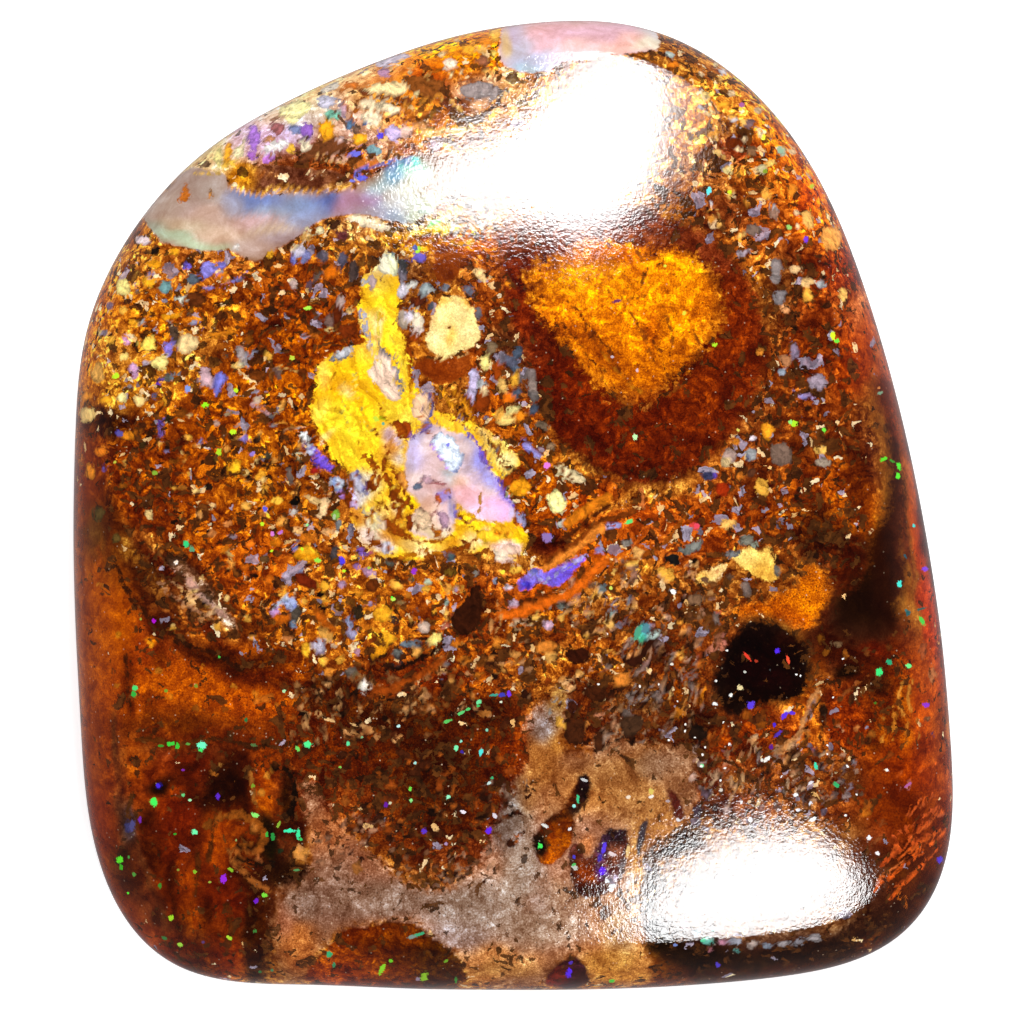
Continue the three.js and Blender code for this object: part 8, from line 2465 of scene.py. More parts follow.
    (841, 534, 3.5, 2.7, 38.63764721048162, (64, 27, 8)),
    (805, 276, 3.1, 2.2, -78.83247594283712, (99, 44, 11)),
    (840, 552, 3.4, 2.4, 36.01568269158757, (94, 42, 10)),
    (808, 409, 3.0, 2.5, -46.85911026213233, (52, 22, 6)),
    (825, 336, 2.4, 2.3, 52.719165723592425, (98, 43, 10)),
    (847, 299, 3.3, 2.4, 79.819220891139, (64, 28, 8)),
    (823, 278, 3.5, 2.6, -25.44541376534457, (46, 20, 8)),
    (816, 556, 2.8, 2.6, 65.22799089347623, (39, 17, 7)),
    (776, 264, 2.9, 2.5, -32.43953959645095, (100, 44, 11)),
    (786, 402, 3.9, 2.9, -67.8611738124847, (67, 29, 8)),
    (792, 322, 3.6, 2.4, -2.712533040197968, (98, 43, 10)),
    (858, 528, 2.6, 2.1, 76.66844313212695, (42, 19, 7)),
    (841, 316, 2.9, 2.8, -43.445093670619265, (81, 36, 9)),
    (779, 546, 2.6, 2.3, 80.64319169187837, (87, 38, 9)),
    (837, 483, 3.1, 2.7, 57.940642587569414, (90, 40, 10)),
    (780, 262, 2.3, 2.2, -9.38324548659017, (84, 37, 9)),
    (782, 514, 2.3, 1.8, 65.49334414797093, (41, 19, 7)),
    (807, 369, 3.4, 2.5, 48.69806333953113, (43, 19, 7)),
    (788, 297, 2.4, 2.2, 25.059166099565346, (45, 20, 8)),
    (820, 256, 2.0, 1.9, -14.344718039810772, (77, 34, 8)),
    (815, 537, 2.3, 2.3, -56.70615506914372, (45, 20, 8)),
    (839, 356, 3.1, 2.4, 15.794993149573955, (56, 24, 7)),
    (799, 316, 3.2, 3.0, 1.1827405042542978, (43, 19, 7)),
    (806, 366, 3.7, 2.7, -7.069065578214321, (41, 18, 7)),
]
# small chips: outline, colour
CHIPS = [
    ([(381, 345), (385, 353), (392, 362), (397, 369), (394, 382), (402, 399), (392, 402), (381, 392), (373, 382), (366, 371), (376, 361)], (244, 206, 178)),
    ([(332, 359), (340, 348), (352, 344), (355, 352), (344, 357)], (206, 204, 208)),
    ([(361, 309), (364, 310), (368, 326), (373, 344), (369, 339), (362, 330)], (188, 184, 198)),
    ([(384, 259), (392, 252), (400, 266), (397, 277), (388, 276), (384, 268)], (238, 236, 190)),
    ([(382, 257), (390, 251), (398, 257), (395, 259), (390, 255), (384, 260)], (126, 146, 146)),
    ([(398, 260), (408, 261), (409, 271), (402, 276), (397, 271)], (58, 56, 56)),
    ([(359, 277), (366, 276), (373, 280), (368, 284), (361, 286)], (186, 186, 190)),
    ([(296, 430), (306, 431), (313, 437), (312, 442), (304, 441)], (238, 238, 234)),
    ([(304, 441), (312, 441), (318, 448), (316, 460), (308, 452)], (176, 176, 196)),
    ([(311, 450), (319, 448), (327, 459), (335, 470), (329, 471), (318, 464)], (126, 84, 226)),
    ([(327, 476), (336, 475), (345, 482), (342, 491), (332, 487)], (186, 190, 204)),
    ([(337, 489), (347, 490), (345, 499), (339, 498)], (176, 130, 214)),
    ([(349, 471), (358, 476), (366, 487), (365, 498), (358, 489), (352, 484)], (190, 186, 204)),
    ([(361, 480), (369, 488), (367, 492), (362, 487)], (60, 60, 140)),
    ([(347, 499), (356, 502), (359, 509), (350, 506)], (212, 180, 226)),
    ([(372, 427), (376, 426), (379, 434), (375, 438)], (150, 70, 8)),
    ([(395, 421), (406, 421), (411, 428), (408, 435), (402, 440), (399, 432)], (108, 42, 5)),
    ([(432, 439), (441, 432), (451, 437), (456, 444), (464, 455), (461, 466), (454, 471), (446, 468), (439, 457), (434, 446)], (226, 236, 254)),
    ([(411, 406), (413, 397), (420, 392), (428, 395), (432, 402), (432, 416), (426, 423), (420, 422), (414, 416)], (240, 192, 150)),
    ([(411, 484), (418, 480), (424, 485), (420, 491), (413, 490)], (92, 100, 118)),
    ([(516, 441), (527, 442), (541, 451), (536, 455), (525, 451)], (150, 140, 216)),
    ([(408, 301), (418, 294), (428, 296), (422, 306), (413, 309)], (72, 28, 12)),
    ([(425, 310), (429, 301), (433, 302), (431, 311)], (84, 86, 96)),
    ([(402, 284), (413, 278), (418, 285), (406, 291)], (206, 200, 190)),
    ([(418, 285), (434, 287), (436, 292), (425, 296)], (190, 190, 184)),
    ([(400, 312), (409, 309), (418, 319), (408, 323)], (218, 204, 216)),
    ([(408, 325), (424, 326), (424, 335), (413, 332)], (226, 200, 190)),
    ([(406, 330), (420, 337), (424, 346), (413, 344)], (150, 60, 8)),
    ([(410, 250), (424, 251), (427, 260), (418, 264), (412, 259)], (112, 96, 190)),
    ([(470, 368), (476, 367), (479, 382), (475, 394), (474, 404), (463, 394), (468, 382)], (190, 174, 206)),
    ([(479, 382), (490, 387), (484, 396), (479, 391)], (240, 206, 150)),
    ([(477, 362), (484, 351), (489, 355), (490, 368), (482, 368)], (248, 222, 130)),
    ([(471, 268), (481, 268), (489, 280), (482, 284), (472, 275)], (244, 198, 130)),
    ([(441, 284), (452, 285), (450, 292), (441, 291)], (110, 110, 118)),
    ([(456, 282), (474, 285), (477, 298), (466, 296)], (96, 96, 110)),
    ([(474, 307), (481, 309), (481, 323), (475, 319)], (110, 106, 110)),
    ([(277, 108), (292, 101), (309, 100), (314, 109), (304, 116), (295, 125), (285, 122)], (245, 230, 160)),
    ([(316, 99), (330, 94), (340, 101), (330, 109), (320, 109)], (190, 184, 200)),
    ([(323, 112), (340, 110), (344, 118), (333, 120), (326, 116)], (130, 196, 168)),
    ([(319, 120), (336, 121), (337, 132), (330, 140), (320, 135)], (244, 160, 26)),
    ([(300, 125), (311, 122), (316, 130), (310, 137), (300, 135)], (150, 100, 190)),
    ([(288, 125), (299, 125), (304, 132), (292, 135)], (132, 142, 186)),
    ([(269, 122), (283, 121), (286, 132), (273, 136)], (164, 96, 96)),
    ([(248, 125), (259, 125), (261, 139), (258, 151), (249, 149)], (166, 112, 200)),
    ([(246, 150), (257, 151), (259, 159), (248, 160)], (180, 110, 200)),
    ([(260, 155), (273, 153), (278, 159), (266, 163)], (200, 124, 210)),
    ([(261, 149), (273, 140), (288, 139), (290, 144), (277, 151), (266, 153)], (246, 236, 230)),
    ([(225, 144), (232, 143), (233, 156), (229, 166), (224, 163)], (252, 170, 36)),
    ([(214, 149), (222, 146), (223, 163), (219, 170), (213, 163)], (226, 206, 130)),
    ([(234, 149), (245, 147), (246, 158), (236, 160)], (240, 222, 172)),
    ([(283, 144), (295, 143), (297, 151), (288, 153)], (250, 190, 60)),
    ([(297, 141), (311, 139), (310, 149), (300, 153)], (245, 226, 190)),
    ([(345, 120), (355, 121), (354, 130), (345, 129)], (88, 118, 150)),
    ([(360, 121), (371, 121), (369, 127), (361, 127)], (90, 110, 150)),
    ([(377, 132), (385, 133), (383, 140), (378, 139)], (80, 52, 222)),
    ([(386, 128), (402, 127), (403, 139), (392, 143), (386, 138)], (206, 182, 226)),
    ([(350, 134), (366, 133), (366, 144), (354, 146)], (248, 168, 36)),
    ([(364, 146), (378, 144), (383, 153), (366, 156)], (122, 160, 166)),
    ([(348, 151), (359, 151), (358, 157), (350, 157)], (112, 112, 226)),
    ([(311, 144), (321, 138), (342, 137), (351, 146), (347, 151), (335, 151), (321, 154), (307, 161), (297, 161), (304, 151)], (108, 58, 28)),
    ([(326, 153), (350, 158), (347, 163), (328, 158)], (232, 172, 140)),
    ([(350, 163), (378, 158), (380, 165), (352, 170)], (196, 106, 36)),
    ([(354, 175), (369, 176), (364, 181), (352, 180)], (130, 110, 220)),
    ([(361, 89), (378, 82), (397, 80), (408, 84), (407, 93), (397, 97), (380, 92), (369, 94)], (250, 218, 156)),
    ([(357, 101), (369, 99), (388, 102), (400, 108), (402, 114), (390, 115), (378, 108), (364, 109)], (250, 224, 180)),
    ([(359, 111), (371, 109), (380, 113), (385, 122), (378, 129), (364, 125)], (250, 224, 184)),
    ([(402, 77), (419, 75), (440, 80), (445, 89), (435, 101), (423, 99), (411, 92), (406, 82)], (128, 68, 22)),
    ([(457, 89), (469, 82), (483, 80), (497, 84), (500, 94), (492, 104), (483, 99), (464, 99)], (148, 132, 128)),
    ([(471, 99), (485, 97), (490, 108), (478, 114), (470, 108)], (226, 160, 108)),
    ([(438, 101), (454, 100), (457, 109), (442, 110)], (108, 48, 18)),
    ([(452, 116), (485, 115), (488, 122), (457, 123)], (112, 94, 84)),
    ([(440, 60), (457, 59), (457, 69), (445, 71)], (250, 222, 192)),
    ([(373, 63), (402, 53), (414, 56), (392, 64), (378, 68)], (206, 192, 206)),
    ([(376, 69), (390, 68), (390, 76), (378, 77)], (190, 140, 170)),
    ([(341, 83), (359, 81), (360, 89), (345, 91)], (198, 106, 28)),
    ([(319, 89), (340, 82), (342, 89), (323, 94)], (226, 212, 192)),
    ([(221, 163), (240, 158), (242, 163), (223, 169)], (245, 190, 70)),
    ([(176, 199), (182, 195), (183, 185), (188, 183), (191, 194), (189, 200), (180, 202)], (206, 110, 22)),
    ([(205, 196), (211, 194), (213, 200), (207, 201)], (200, 130, 60)),
    ([(209, 188), (212, 187), (212, 191), (209, 191)], (196, 140, 90)),
    ([(340, 218), (361, 215), (388, 225), (392, 232), (369, 230), (350, 222)], (246, 222, 184)),
    ([(414, 231), (438, 225), (457, 230), (454, 237), (426, 238)], (254, 202, 26)),
    ([(429, 221), (441, 220), (440, 225), (429, 226)], (150, 240, 140)),
    ([(445, 222), (457, 222), (460, 234), (452, 235)], (206, 204, 196)),
    ([(459, 234), (478, 238), (473, 246), (457, 244)], (246, 160, 16)),
    ([(328, 220), (340, 218), (342, 227), (330, 230)], (60, 30, 14)),
    ([(292, 249), (302, 244), (307, 253), (297, 258)], (206, 196, 210)),
    ([(233, 243), (240, 241), (241, 249), (234, 250)], (232, 220, 210)),
    ([(151, 247), (159, 246), (160, 255), (152, 256)], (16, 8, 4)),
    ([(169, 249), (178, 249), (179, 256), (170, 256)], (250, 170, 30)),
    ([(264, 251), (273, 250), (273, 258), (265, 258)], (250, 180, 40)),
    ([(552, 466), (559, 461), (585, 476), (583, 485), (572, 483)], (226, 202, 152)),
    ([(547, 494), (555, 488), (568, 500), (563, 513), (553, 513), (546, 503)], (250, 236, 152)),
    ([(556, 522), (567, 516), (564, 525), (558, 528)], (206, 206, 192)),
    ([(519, 442), (528, 441), (543, 455), (538, 460), (525, 450)], (156, 148, 214)),
    ([(762, 423), (774, 422), (776, 434), (769, 441), (761, 434)], (240, 150, 30)),
    ([(755, 478), (766, 477), (771, 489), (764, 498), (756, 491)], (240, 172, 62)),
    ([(716, 483), (728, 481), (732, 494), (722, 498), (716, 492)], (150, 40, 5)),
    ([(698, 472), (712, 470), (716, 478), (703, 481)], (56, 56, 86)),
    ([(719, 453), (734, 448), (739, 459), (725, 466)], (160, 132, 120)),
    ([(744, 448), (755, 447), (757, 459), (747, 462)], (150, 150, 150)),
    ([(770, 444), (788, 441), (795, 459), (781, 469), (771, 462)], (112, 88, 74)),
    ([(814, 447), (828, 447), (827, 454), (815, 454)], (240, 182, 84)),
    ([(812, 459), (830, 458), (831, 466), (819, 469)], (160, 140, 120)),
    ([(808, 375), (825, 373), (828, 388), (812, 391)], (150, 132, 144)),
    ([(777, 369), (786, 368), (788, 375), (780, 378)], (160, 170, 182)),
    ([(799, 394), (808, 395), (806, 401)], (150, 142, 206)),
    ([(789, 342), (798, 341), (799, 358), (791, 361)], (130, 112, 132)),
    ([(778, 353), (794, 356), (791, 367), (780, 366)], (170, 112, 72)),
    ([(789, 266), (802, 264), (802, 272), (791, 274)], (240, 190, 130)),
    ([(799, 279), (814, 278), (813, 286), (801, 288)], (240, 190, 122)),
    ([(802, 289), (813, 289), (814, 303), (803, 302)], (240, 170, 62)),
    ([(781, 306), (791, 305), (791, 313), (783, 314)], (236, 160, 100)),
    ([(816, 281), (826, 282), (824, 288), (816, 288)], (190, 190, 190)),
    ([(773, 289), (786, 289), (787, 303), (775, 305)], (130, 120, 120)),
    ([(769, 261), (780, 259), (781, 283), (771, 284)], (140, 126, 122)),
    ([(839, 289), (848, 288), (849, 302), (841, 302)], (240, 180, 90)),
    ([(822, 227), (841, 225), (842, 248), (828, 252), (821, 239)], (244, 160, 72)),
    ([(802, 211), (812, 209), (814, 228), (803, 228)], (244, 180, 92)),
    ([(744, 223), (761, 223), (762, 236), (747, 237)], (120, 96, 82)),
    ([(769, 206), (778, 207), (778, 222), (770, 220)], (150, 112, 92)),
    ([(734, 250), (753, 248), (752, 257), (738, 258)], (170, 152, 160)),
    ([(736, 538), (753, 534), (758, 545), (744, 548)], (120, 116, 102)),
    ([(722, 552), (741, 549), (739, 557), (723, 558)], (110, 110, 110)),
    ([(772, 562), (781, 566), (778, 577), (774, 573)], (110, 100, 90)),
    ([(719, 519), (738, 522), (731, 531), (719, 528)], (244, 180, 90)),
    ([(675, 550), (694, 544), (700, 534), (703, 547), (688, 556)], (120, 120, 112)),
    ([(662, 555), (678, 553), (681, 559), (669, 564)], (24, 20, 18)),
    ([(691, 522), (700, 523), (698, 531), (691, 530)], (226, 70, 60)),
    ([(603, 527), (620, 522), (619, 528), (605, 531)], (172, 166, 222)),
    ([(523, 581), (531, 581), (531, 588), (524, 588)], (70, 50, 190)),
    ([(594, 550), (603, 548), (605, 553), (595, 556)], (150, 130, 190)),
    ([(506, 600), (519, 598), (519, 608), (509, 610)], (190, 160, 180)),
    ([(509, 569), (525, 566), (528, 570), (512, 575)], (240, 180, 60)),
    ([(638, 625), (648, 622), (650, 633), (641, 641), (636, 634)], (64, 160, 140)),
    ([(648, 625), (653, 624), (653, 631), (649, 631)], (150, 160, 200)),
    ([(670, 589), (677, 589), (676, 593), (671, 593)], (240, 236, 230)),
    ([(594, 584), (606, 583), (608, 592), (597, 593)], (110, 120, 120)),
    ([(606, 606), (616, 605), (617, 614), (608, 616)], (120, 130, 140)),
    ([(559, 603), (567, 602), (567, 609), (560, 610)], (110, 120, 120)),
    ([(562, 589), (577, 588), (575, 598), (564, 597)], (236, 200, 140)),
    ([(634, 544), (647, 553), (641, 562), (631, 556)], (236, 170, 90)),
    ([(619, 541), (631, 538), (633, 547), (622, 549)], (130, 120, 110)),
    ([(591, 531), (600, 534), (594, 541)], (150, 140, 150)),
    ([(531, 641), (556, 638), (559, 650), (538, 653)], (206, 120, 40)),
    ([(348, 864), (360, 861), (363, 872), (354, 875)], (150, 90, 40)),
    ([(291, 849), (307, 846), (309, 859), (295, 860)], (214, 140, 64)),
    ([(359, 681), (369, 682), (369, 691), (360, 691)], (236, 220, 200)),
    ([(425, 640), (439, 640), (436, 646), (426, 644)], (255, 240, 150)),
    ([(392, 649), (403, 650), (401, 662), (394, 661)], (116, 116, 110)),
    ([(317, 658), (326, 656), (327, 665), (319, 666)], (250, 190, 60)),
    ([(303, 646), (310, 646), (311, 658), (304, 658)], (250, 180, 40)),
    ([(313, 641), (326, 642), (325, 655), (315, 653)], (190, 180, 196)),
    ([(345, 668), (356, 668), (356, 677), (347, 677)], (96, 84, 74)),
    ([(393, 421), (404, 419), (413, 424), (414, 437), (404, 441), (394, 434)], (140, 56, 6)),
    ([(365, 480), (373, 478), (375, 489), (367, 493)], (110, 42, 8)),
    ([(387, 493), (396, 493), (399, 508), (390, 512)], (120, 48, 6)),
    ([(406, 513), (414, 515), (414, 530), (407, 531)], (124, 50, 8)),
    ([(380, 457), (387, 459), (388, 469), (380, 468)], (150, 70, 10)),
    ([(342, 492), (351, 493), (355, 510), (347, 509)], (120, 46, 6)),
    ([(397, 473), (404, 472), (410, 487), (401, 489)], (230, 150, 60)),
    ([(377, 517), (384, 515), (387, 530), (380, 534)], (236, 206, 170)),
    ([(383, 542), (393, 544), (393, 555), (383, 555)], (206, 196, 206)),
    ([(367, 508), (375, 513), (373, 526)], (230, 160, 50)),
    ([(433, 495), (440, 493), (442, 502), (435, 505)], (190, 90, 40)),
    ([(444, 487), (452, 488), (451, 496), (445, 495)], (206, 120, 70)),
    ([(420, 473), (433, 476), (432, 484), (420, 482)], (190, 150, 160)),
    ([(440, 508), (452, 513), (449, 530), (439, 526)], (180, 140, 160)),
    ([(416, 508), (433, 513), (429, 530), (416, 530)], (226, 190, 150)),
    ([(473, 530), (494, 530), (507, 539), (481, 547)], (254, 196, 40)),
    ([(494, 517), (516, 530), (513, 541), (494, 534)], (252, 180, 30)),
    ([(499, 547), (520, 543), (527, 554), (503, 556)], (240, 196, 170)),
    ([(516, 508), (525, 513), (527, 530), (518, 526)], (170, 160, 200)),
    ([(381, 413), (385, 417), (383, 422), (378, 420)], (206, 220, 20)),
    ([(394, 286), (404, 282), (407, 293), (399, 300)], (206, 196, 206)),
    ([(377, 256), (393, 253), (397, 269), (381, 278)], (232, 222, 190)),
    ([(397, 265), (404, 267), (404, 287), (397, 282)], (120, 110, 120)),
    ([(368, 273), (375, 272), (377, 287), (370, 291)], (176, 150, 150)),
    ([(420, 282), (433, 283), (429, 295), (419, 295)], (150, 160, 160)),
    ([(407, 295), (420, 295), (425, 305), (412, 308)], (96, 36, 8)),
    ([(407, 313), (420, 310), (425, 330), (412, 330)], (230, 210, 180)),
    ([(399, 308), (406, 308), (407, 330), (400, 326)], (170, 150, 130)),
    ([(468, 369), (477, 367), (478, 387), (469, 391)], (190, 180, 210)),
    ([(477, 378), (486, 380), (484, 392), (477, 389)], (170, 170, 170)),
    ([(499, 352), (516, 356), (521, 369), (507, 367)], (80, 80, 96)),
    ([(516, 373), (525, 373), (523, 383), (516, 381)], (90, 80, 80)),
    ([(527, 387), (540, 391), (538, 404), (527, 400)], (100, 90, 86)),
    ([(486, 341), (499, 344), (494, 356), (485, 353)], (120, 96, 70)),
    ([(507, 404), (520, 404), (520, 413), (507, 413)], (206, 190, 120)),
    ([(494, 409), (505, 406), (507, 421), (498, 424)], (214, 150, 60)),
    ([(533, 421), (547, 421), (551, 430), (538, 430)], (110, 90, 70)),
    ([(547, 443), (555, 441), (556, 450), (547, 451)], (140, 110, 80)),
    # pastel speckles along the lower edge of the lower highlight: the stone's speckle, lightened and greyed as a
    # painted highlight fringe
    ([(700, 938), (712, 936), (716, 942), (704, 945)], (110, 190, 170)),
    ([(716, 940), (726, 939), (728, 945), (718, 947)], (190, 130, 150)),
    ([(728, 936), (742, 937), (740, 944), (730, 945)], (150, 150, 160)),
    ([(745, 940), (757, 939), (758, 946), (746, 947)], (170, 150, 140)),
    ([(760, 942), (772, 941), (772, 948), (762, 949)], (130, 136, 150)),
    ([(775, 939), (790, 939), (788, 946), (777, 947)], (160, 150, 150)),
    ([(792, 940), (806, 938), (806, 945), (794, 947)], (136, 130, 136)),
    ([(808, 936), (822, 934), (822, 941), (810, 943)], (150, 140, 140)),
    ([(690, 930), (699, 928), (700, 936), (692, 938)], (120, 150, 160)),
    ([(680, 921), (688, 920), (690, 928), (682, 930)], (160, 120, 140)),
    ([(733, 948), (739, 947), (741, 952), (735, 953)], (90, 150, 140)),
    ([(705, 948), (711, 947), (713, 951), (707, 952)], (180, 110, 120)),
    ([(115, 281), (122, 278), (129, 281), (130, 294), (122, 298), (116, 292)], (246, 220, 130)),
    ([(142, 275), (155, 276), (158, 285), (148, 288), (142, 282)], (240, 165, 30)),
    ([(144, 258), (158, 259), (161, 268), (150, 270)], (232, 150, 20)),
    ([(158, 315), (170, 314), (181, 312), (180, 318), (165, 320)], (232, 150, 20)),
    ([(122, 334), (128, 337), (129, 346), (124, 345)], (240, 170, 215)),
    ([(141, 340), (148, 335), (156, 338), (157, 348), (150, 352), (142, 349)], (252, 214, 90)),
    ([(164, 340), (173, 342), (174, 352), (168, 358), (163, 350)], (140, 120, 210)),
    ([(170, 325), (178, 326), (182, 340), (178, 346), (171, 338)], (84, 62, 46)),
    ([(180, 339), (188, 332), (198, 338), (201, 345), (193, 352), (182, 354), (177, 348)], (228, 192, 132)),
    ([(151, 360), (159, 354), (168, 356), (169, 366), (162, 370), (153, 368)], (250, 222, 130)),
    ([(128, 363), (135, 362), (140, 372), (135, 379), (130, 372)], (200, 150, 186)),
    ([(92, 368), (100, 362), (106, 369), (106, 380), (98, 384), (91, 379)], (208, 150, 70)),
    ([(132, 398), (140, 393), (148, 400), (142, 407), (135, 406)], (236, 196, 120)),
    ([(80, 410), (90, 407), (98, 412), (95, 422), (82, 425)], (226, 184, 110)),
    ([(201, 368), (206, 365), (215, 375), (213, 390), (205, 386), (201, 379)], (204, 164, 170)),
    ([(215, 375), (225, 372), (228, 379), (222, 386), (220, 395), (218, 400), (214, 390)], (116, 114, 200)),
    ([(228, 466), (235, 461), (242, 458), (242, 470), (235, 474), (230, 471)], (250, 180, 30)),
    ([(200, 265), (208, 260), (215, 262), (218, 272), (210, 278), (201, 275)], (140, 130, 215)),
    ([(216, 261), (226, 262), (228, 268), (220, 271)], (130, 120, 206)),
    ([(218, 272), (225, 270), (230, 275), (222, 281), (216, 280)], (210, 110, 20)),
    ([(159, 281), (170, 280), (175, 288), (168, 294), (160, 290)], (110, 150, 150)),
    ([(175, 296), (185, 295), (185, 304), (176, 304)], (206, 206, 186)),
    ([(182, 292), (205, 292), (206, 306), (190, 308)], (92, 42, 12)),
    ([(248, 370), (265, 369), (266, 380), (250, 382)], (108, 50, 10)),
    ([(211, 312), (226, 311), (228, 320), (214, 322)], (80, 36, 10)),
    ([(266, 306), (278, 307), (277, 316), (268, 315)], (44, 20, 8)),
    ([(279, 348), (290, 347), (290, 352), (280, 352)], (26, 12, 6)),
    ([(264, 350), (273, 350), (272, 360), (265, 359)], (236, 170, 60)),
    ([(295, 368), (308, 369), (308, 380), (298, 375)], (90, 36, 6)),
    ([(235, 348), (245, 347), (250, 362), (245, 368), (238, 358)], (150, 134, 130)),
    ([(236, 364), (248, 362), (242, 370), (235, 369)], (206, 196, 150)),
    ([(300, 251), (310, 250), (310, 262), (301, 265)], (130, 130, 180)),
    ([(290, 255), (296, 254), (298, 265), (292, 265)], (120, 120, 200)),
    ([(290, 278), (298, 280), (300, 291), (292, 290)], (190, 160, 150)),
    ([(306, 282), (314, 284), (314, 294), (306, 293)], (100, 70, 80)),
    ([(272, 365), (282, 366), (280, 380), (275, 382)], (110, 80, 70)),
    ([(300, 332), (309, 335), (306, 342), (299, 339)], (160, 150, 170)),
    ([(157, 255), (153, 255), (150, 252), (150, 248), (154, 245), (158, 247), (159, 251)], (52, 26, 10)),
    ([(185, 271), (183, 268), (183, 264), (187, 263), (190, 264), (192, 268), (189, 271)], (120, 100, 220)),
    ([(188, 281), (188, 276), (194, 273), (199, 277), (201, 282), (196, 286), (190, 286)], (88, 98, 108)),
    ([(121, 307), (125, 305), (128, 308), (130, 313), (126, 315), (122, 315), (119, 311)], (236, 170, 60)),
    ([(144, 307), (147, 309), (148, 312), (143, 315), (138, 313), (135, 310), (138, 308)], (90, 42, 8)),
    ([(157, 312), (157, 315), (153, 316), (149, 315), (147, 312), (150, 309), (154, 310)], (84, 38, 8)),
    ([(146, 325), (142, 326), (139, 325), (138, 321), (141, 318), (144, 319), (147, 321)], (150, 150, 150)),
    ([(109, 310), (107, 308), (107, 305), (109, 303), (112, 303), (113, 306), (113, 309)], (140, 110, 130)),
    ([(119, 359), (120, 355), (123, 352), (127, 353), (129, 357), (128, 361), (123, 362)], (246, 206, 112)),
    ([(142, 361), (145, 359), (149, 360), (149, 363), (148, 365), (144, 366), (142, 364)], (200, 180, 196)),
    ([(166, 374), (170, 374), (170, 378), (168, 382), (163, 381), (161, 379), (161, 375)], (92, 90, 80)),
    ([(179, 374), (178, 377), (176, 379), (173, 380), (172, 376), (172, 373), (175, 372)], (120, 140, 150)),
    ([(162, 384), (160, 385), (158, 385), (157, 383), (158, 380), (160, 380), (161, 381)], (130, 70, 220)),
    ([(123, 405), (117, 401), (116, 397), (119, 393), (124, 391), (127, 396), (127, 401)], (252, 232, 150)),
    ([(102, 402), (101, 398), (105, 395), (110, 396), (114, 398), (112, 402), (108, 404)], (240, 160, 30)),
    ([(83, 395), (86, 392), (90, 393), (92, 396), (90, 399), (87, 401), (84, 399)], (230, 140, 30)),
    ([(128, 384), (131, 383), (133, 387), (131, 390), (128, 390), (125, 389), (126, 386)], (150, 138, 140)),
    ([(156, 393), (159, 396), (156, 399), (153, 401), (150, 398), (151, 394), (153, 393)], (82, 92, 130)),
    ([(108, 452), (104, 456), (99, 457), (94, 453), (96, 448), (101, 445), (107, 447)], (226, 120, 20)),
    ([(132, 441), (126, 440), (122, 437), (124, 433), (129, 431), (135, 434), (134, 438)], (206, 120, 20)),
    ([(118, 435), (116, 433), (117, 430), (119, 430), (121, 431), (121, 433), (119, 435)], (80, 70, 160)),
    ([(102, 470), (103, 468), (105, 467), (106, 469), (106, 472), (105, 474), (103, 473)], (120, 100, 190)),
    ([(234, 363), (239, 361), (243, 365), (243, 369), (238, 370), (233, 370), (231, 366)], (220, 172, 90)),
    ([(257, 391), (260, 392), (260, 394), (255, 395), (251, 394), (249, 392), (253, 391)], (150, 150, 160)),
    ([(261, 438), (261, 442), (258, 443), (257, 441), (255, 438), (258, 435), (260, 436)], (70, 50, 30)),
    ([(269, 459), (265, 459), (263, 458), (262, 455), (265, 452), (268, 453), (271, 456)], (82, 72, 52)),
    ([(251, 457), (250, 455), (249, 452), (252, 452), (254, 451), (255, 454), (254, 457)], (130, 90, 210)),
    ([(241, 440), (241, 436), (245, 433), (248, 435), (250, 440), (248, 443), (243, 444)], (140, 120, 190)),
    ([(159, 430), (161, 428), (164, 430), (164, 434), (163, 436), (160, 437), (158, 433)], (120, 90, 170)),
    ([(158, 421), (159, 422), (159, 425), (158, 427), (156, 426), (155, 424), (156, 422)], (110, 80, 200)),
    ([(163, 441), (162, 444), (160, 446), (156, 445), (155, 442), (156, 439), (160, 439)], (240, 170, 70)),
    ([(168, 451), (167, 452), (164, 452), (164, 449), (165, 447), (167, 447), (169, 449)], (140, 120, 160)),
    ([(135, 288), (132, 286), (132, 283), (134, 281), (136, 280), (137, 283), (138, 287)], (160, 140, 170)),
    ([(134, 293), (134, 290), (136, 288), (139, 289), (140, 291), (139, 293), (137, 295)], (120, 90, 60)),
    ([(146, 272), (149, 270), (153, 271), (154, 274), (152, 277), (149, 278), (147, 275)], (150, 130, 170)),
    ([(103, 331), (108, 331), (109, 334), (106, 337), (102, 336), (99, 335), (100, 332)], (140, 120, 130)),
    ([(104, 331), (105, 333), (102, 335), (100, 336), (98, 333), (99, 330), (101, 330)], (200, 170, 110)),
    ([(116, 342), (113, 344), (109, 344), (107, 341), (109, 337), (112, 335), (115, 337)], (240, 170, 50)),
    ([(141, 323), (138, 322), (136, 320), (138, 318), (141, 317), (143, 319), (143, 321)], (200, 150, 80)),
    ([(129, 326), (126, 322), (129, 319), (134, 319), (138, 321), (137, 324), (133, 327)], (236, 160, 30)),
    ([(131, 432), (134, 429), (138, 429), (142, 431), (140, 435), (137, 436), (132, 435)], (140, 70, 10)),
    ([(106, 459), (109, 458), (111, 462), (110, 466), (107, 466), (104, 466), (104, 461)], (26, 12, 6)),
    ([(144, 440), (146, 443), (145, 447), (142, 449), (139, 446), (139, 442), (142, 440)], (60, 40, 14)),
    ([(83, 460), (82, 466), (79, 467), (77, 463), (77, 457), (79, 452), (82, 454)], (170, 90, 10)),
    ([(93, 481), (88, 479), (85, 476), (85, 468), (89, 463), (94, 467), (96, 474)], (206, 120, 20)),
    ([(124, 468), (123, 463), (123, 459), (125, 458), (127, 459), (128, 463), (126, 468)], (190, 140, 60)),
    ([(184, 315), (184, 313), (188, 312), (190, 313), (192, 316), (189, 318), (186, 318)], (110, 80, 60)),
    ([(168, 320), (171, 319), (172, 321), (173, 324), (171, 325), (168, 325), (167, 323)], (170, 150, 140)),
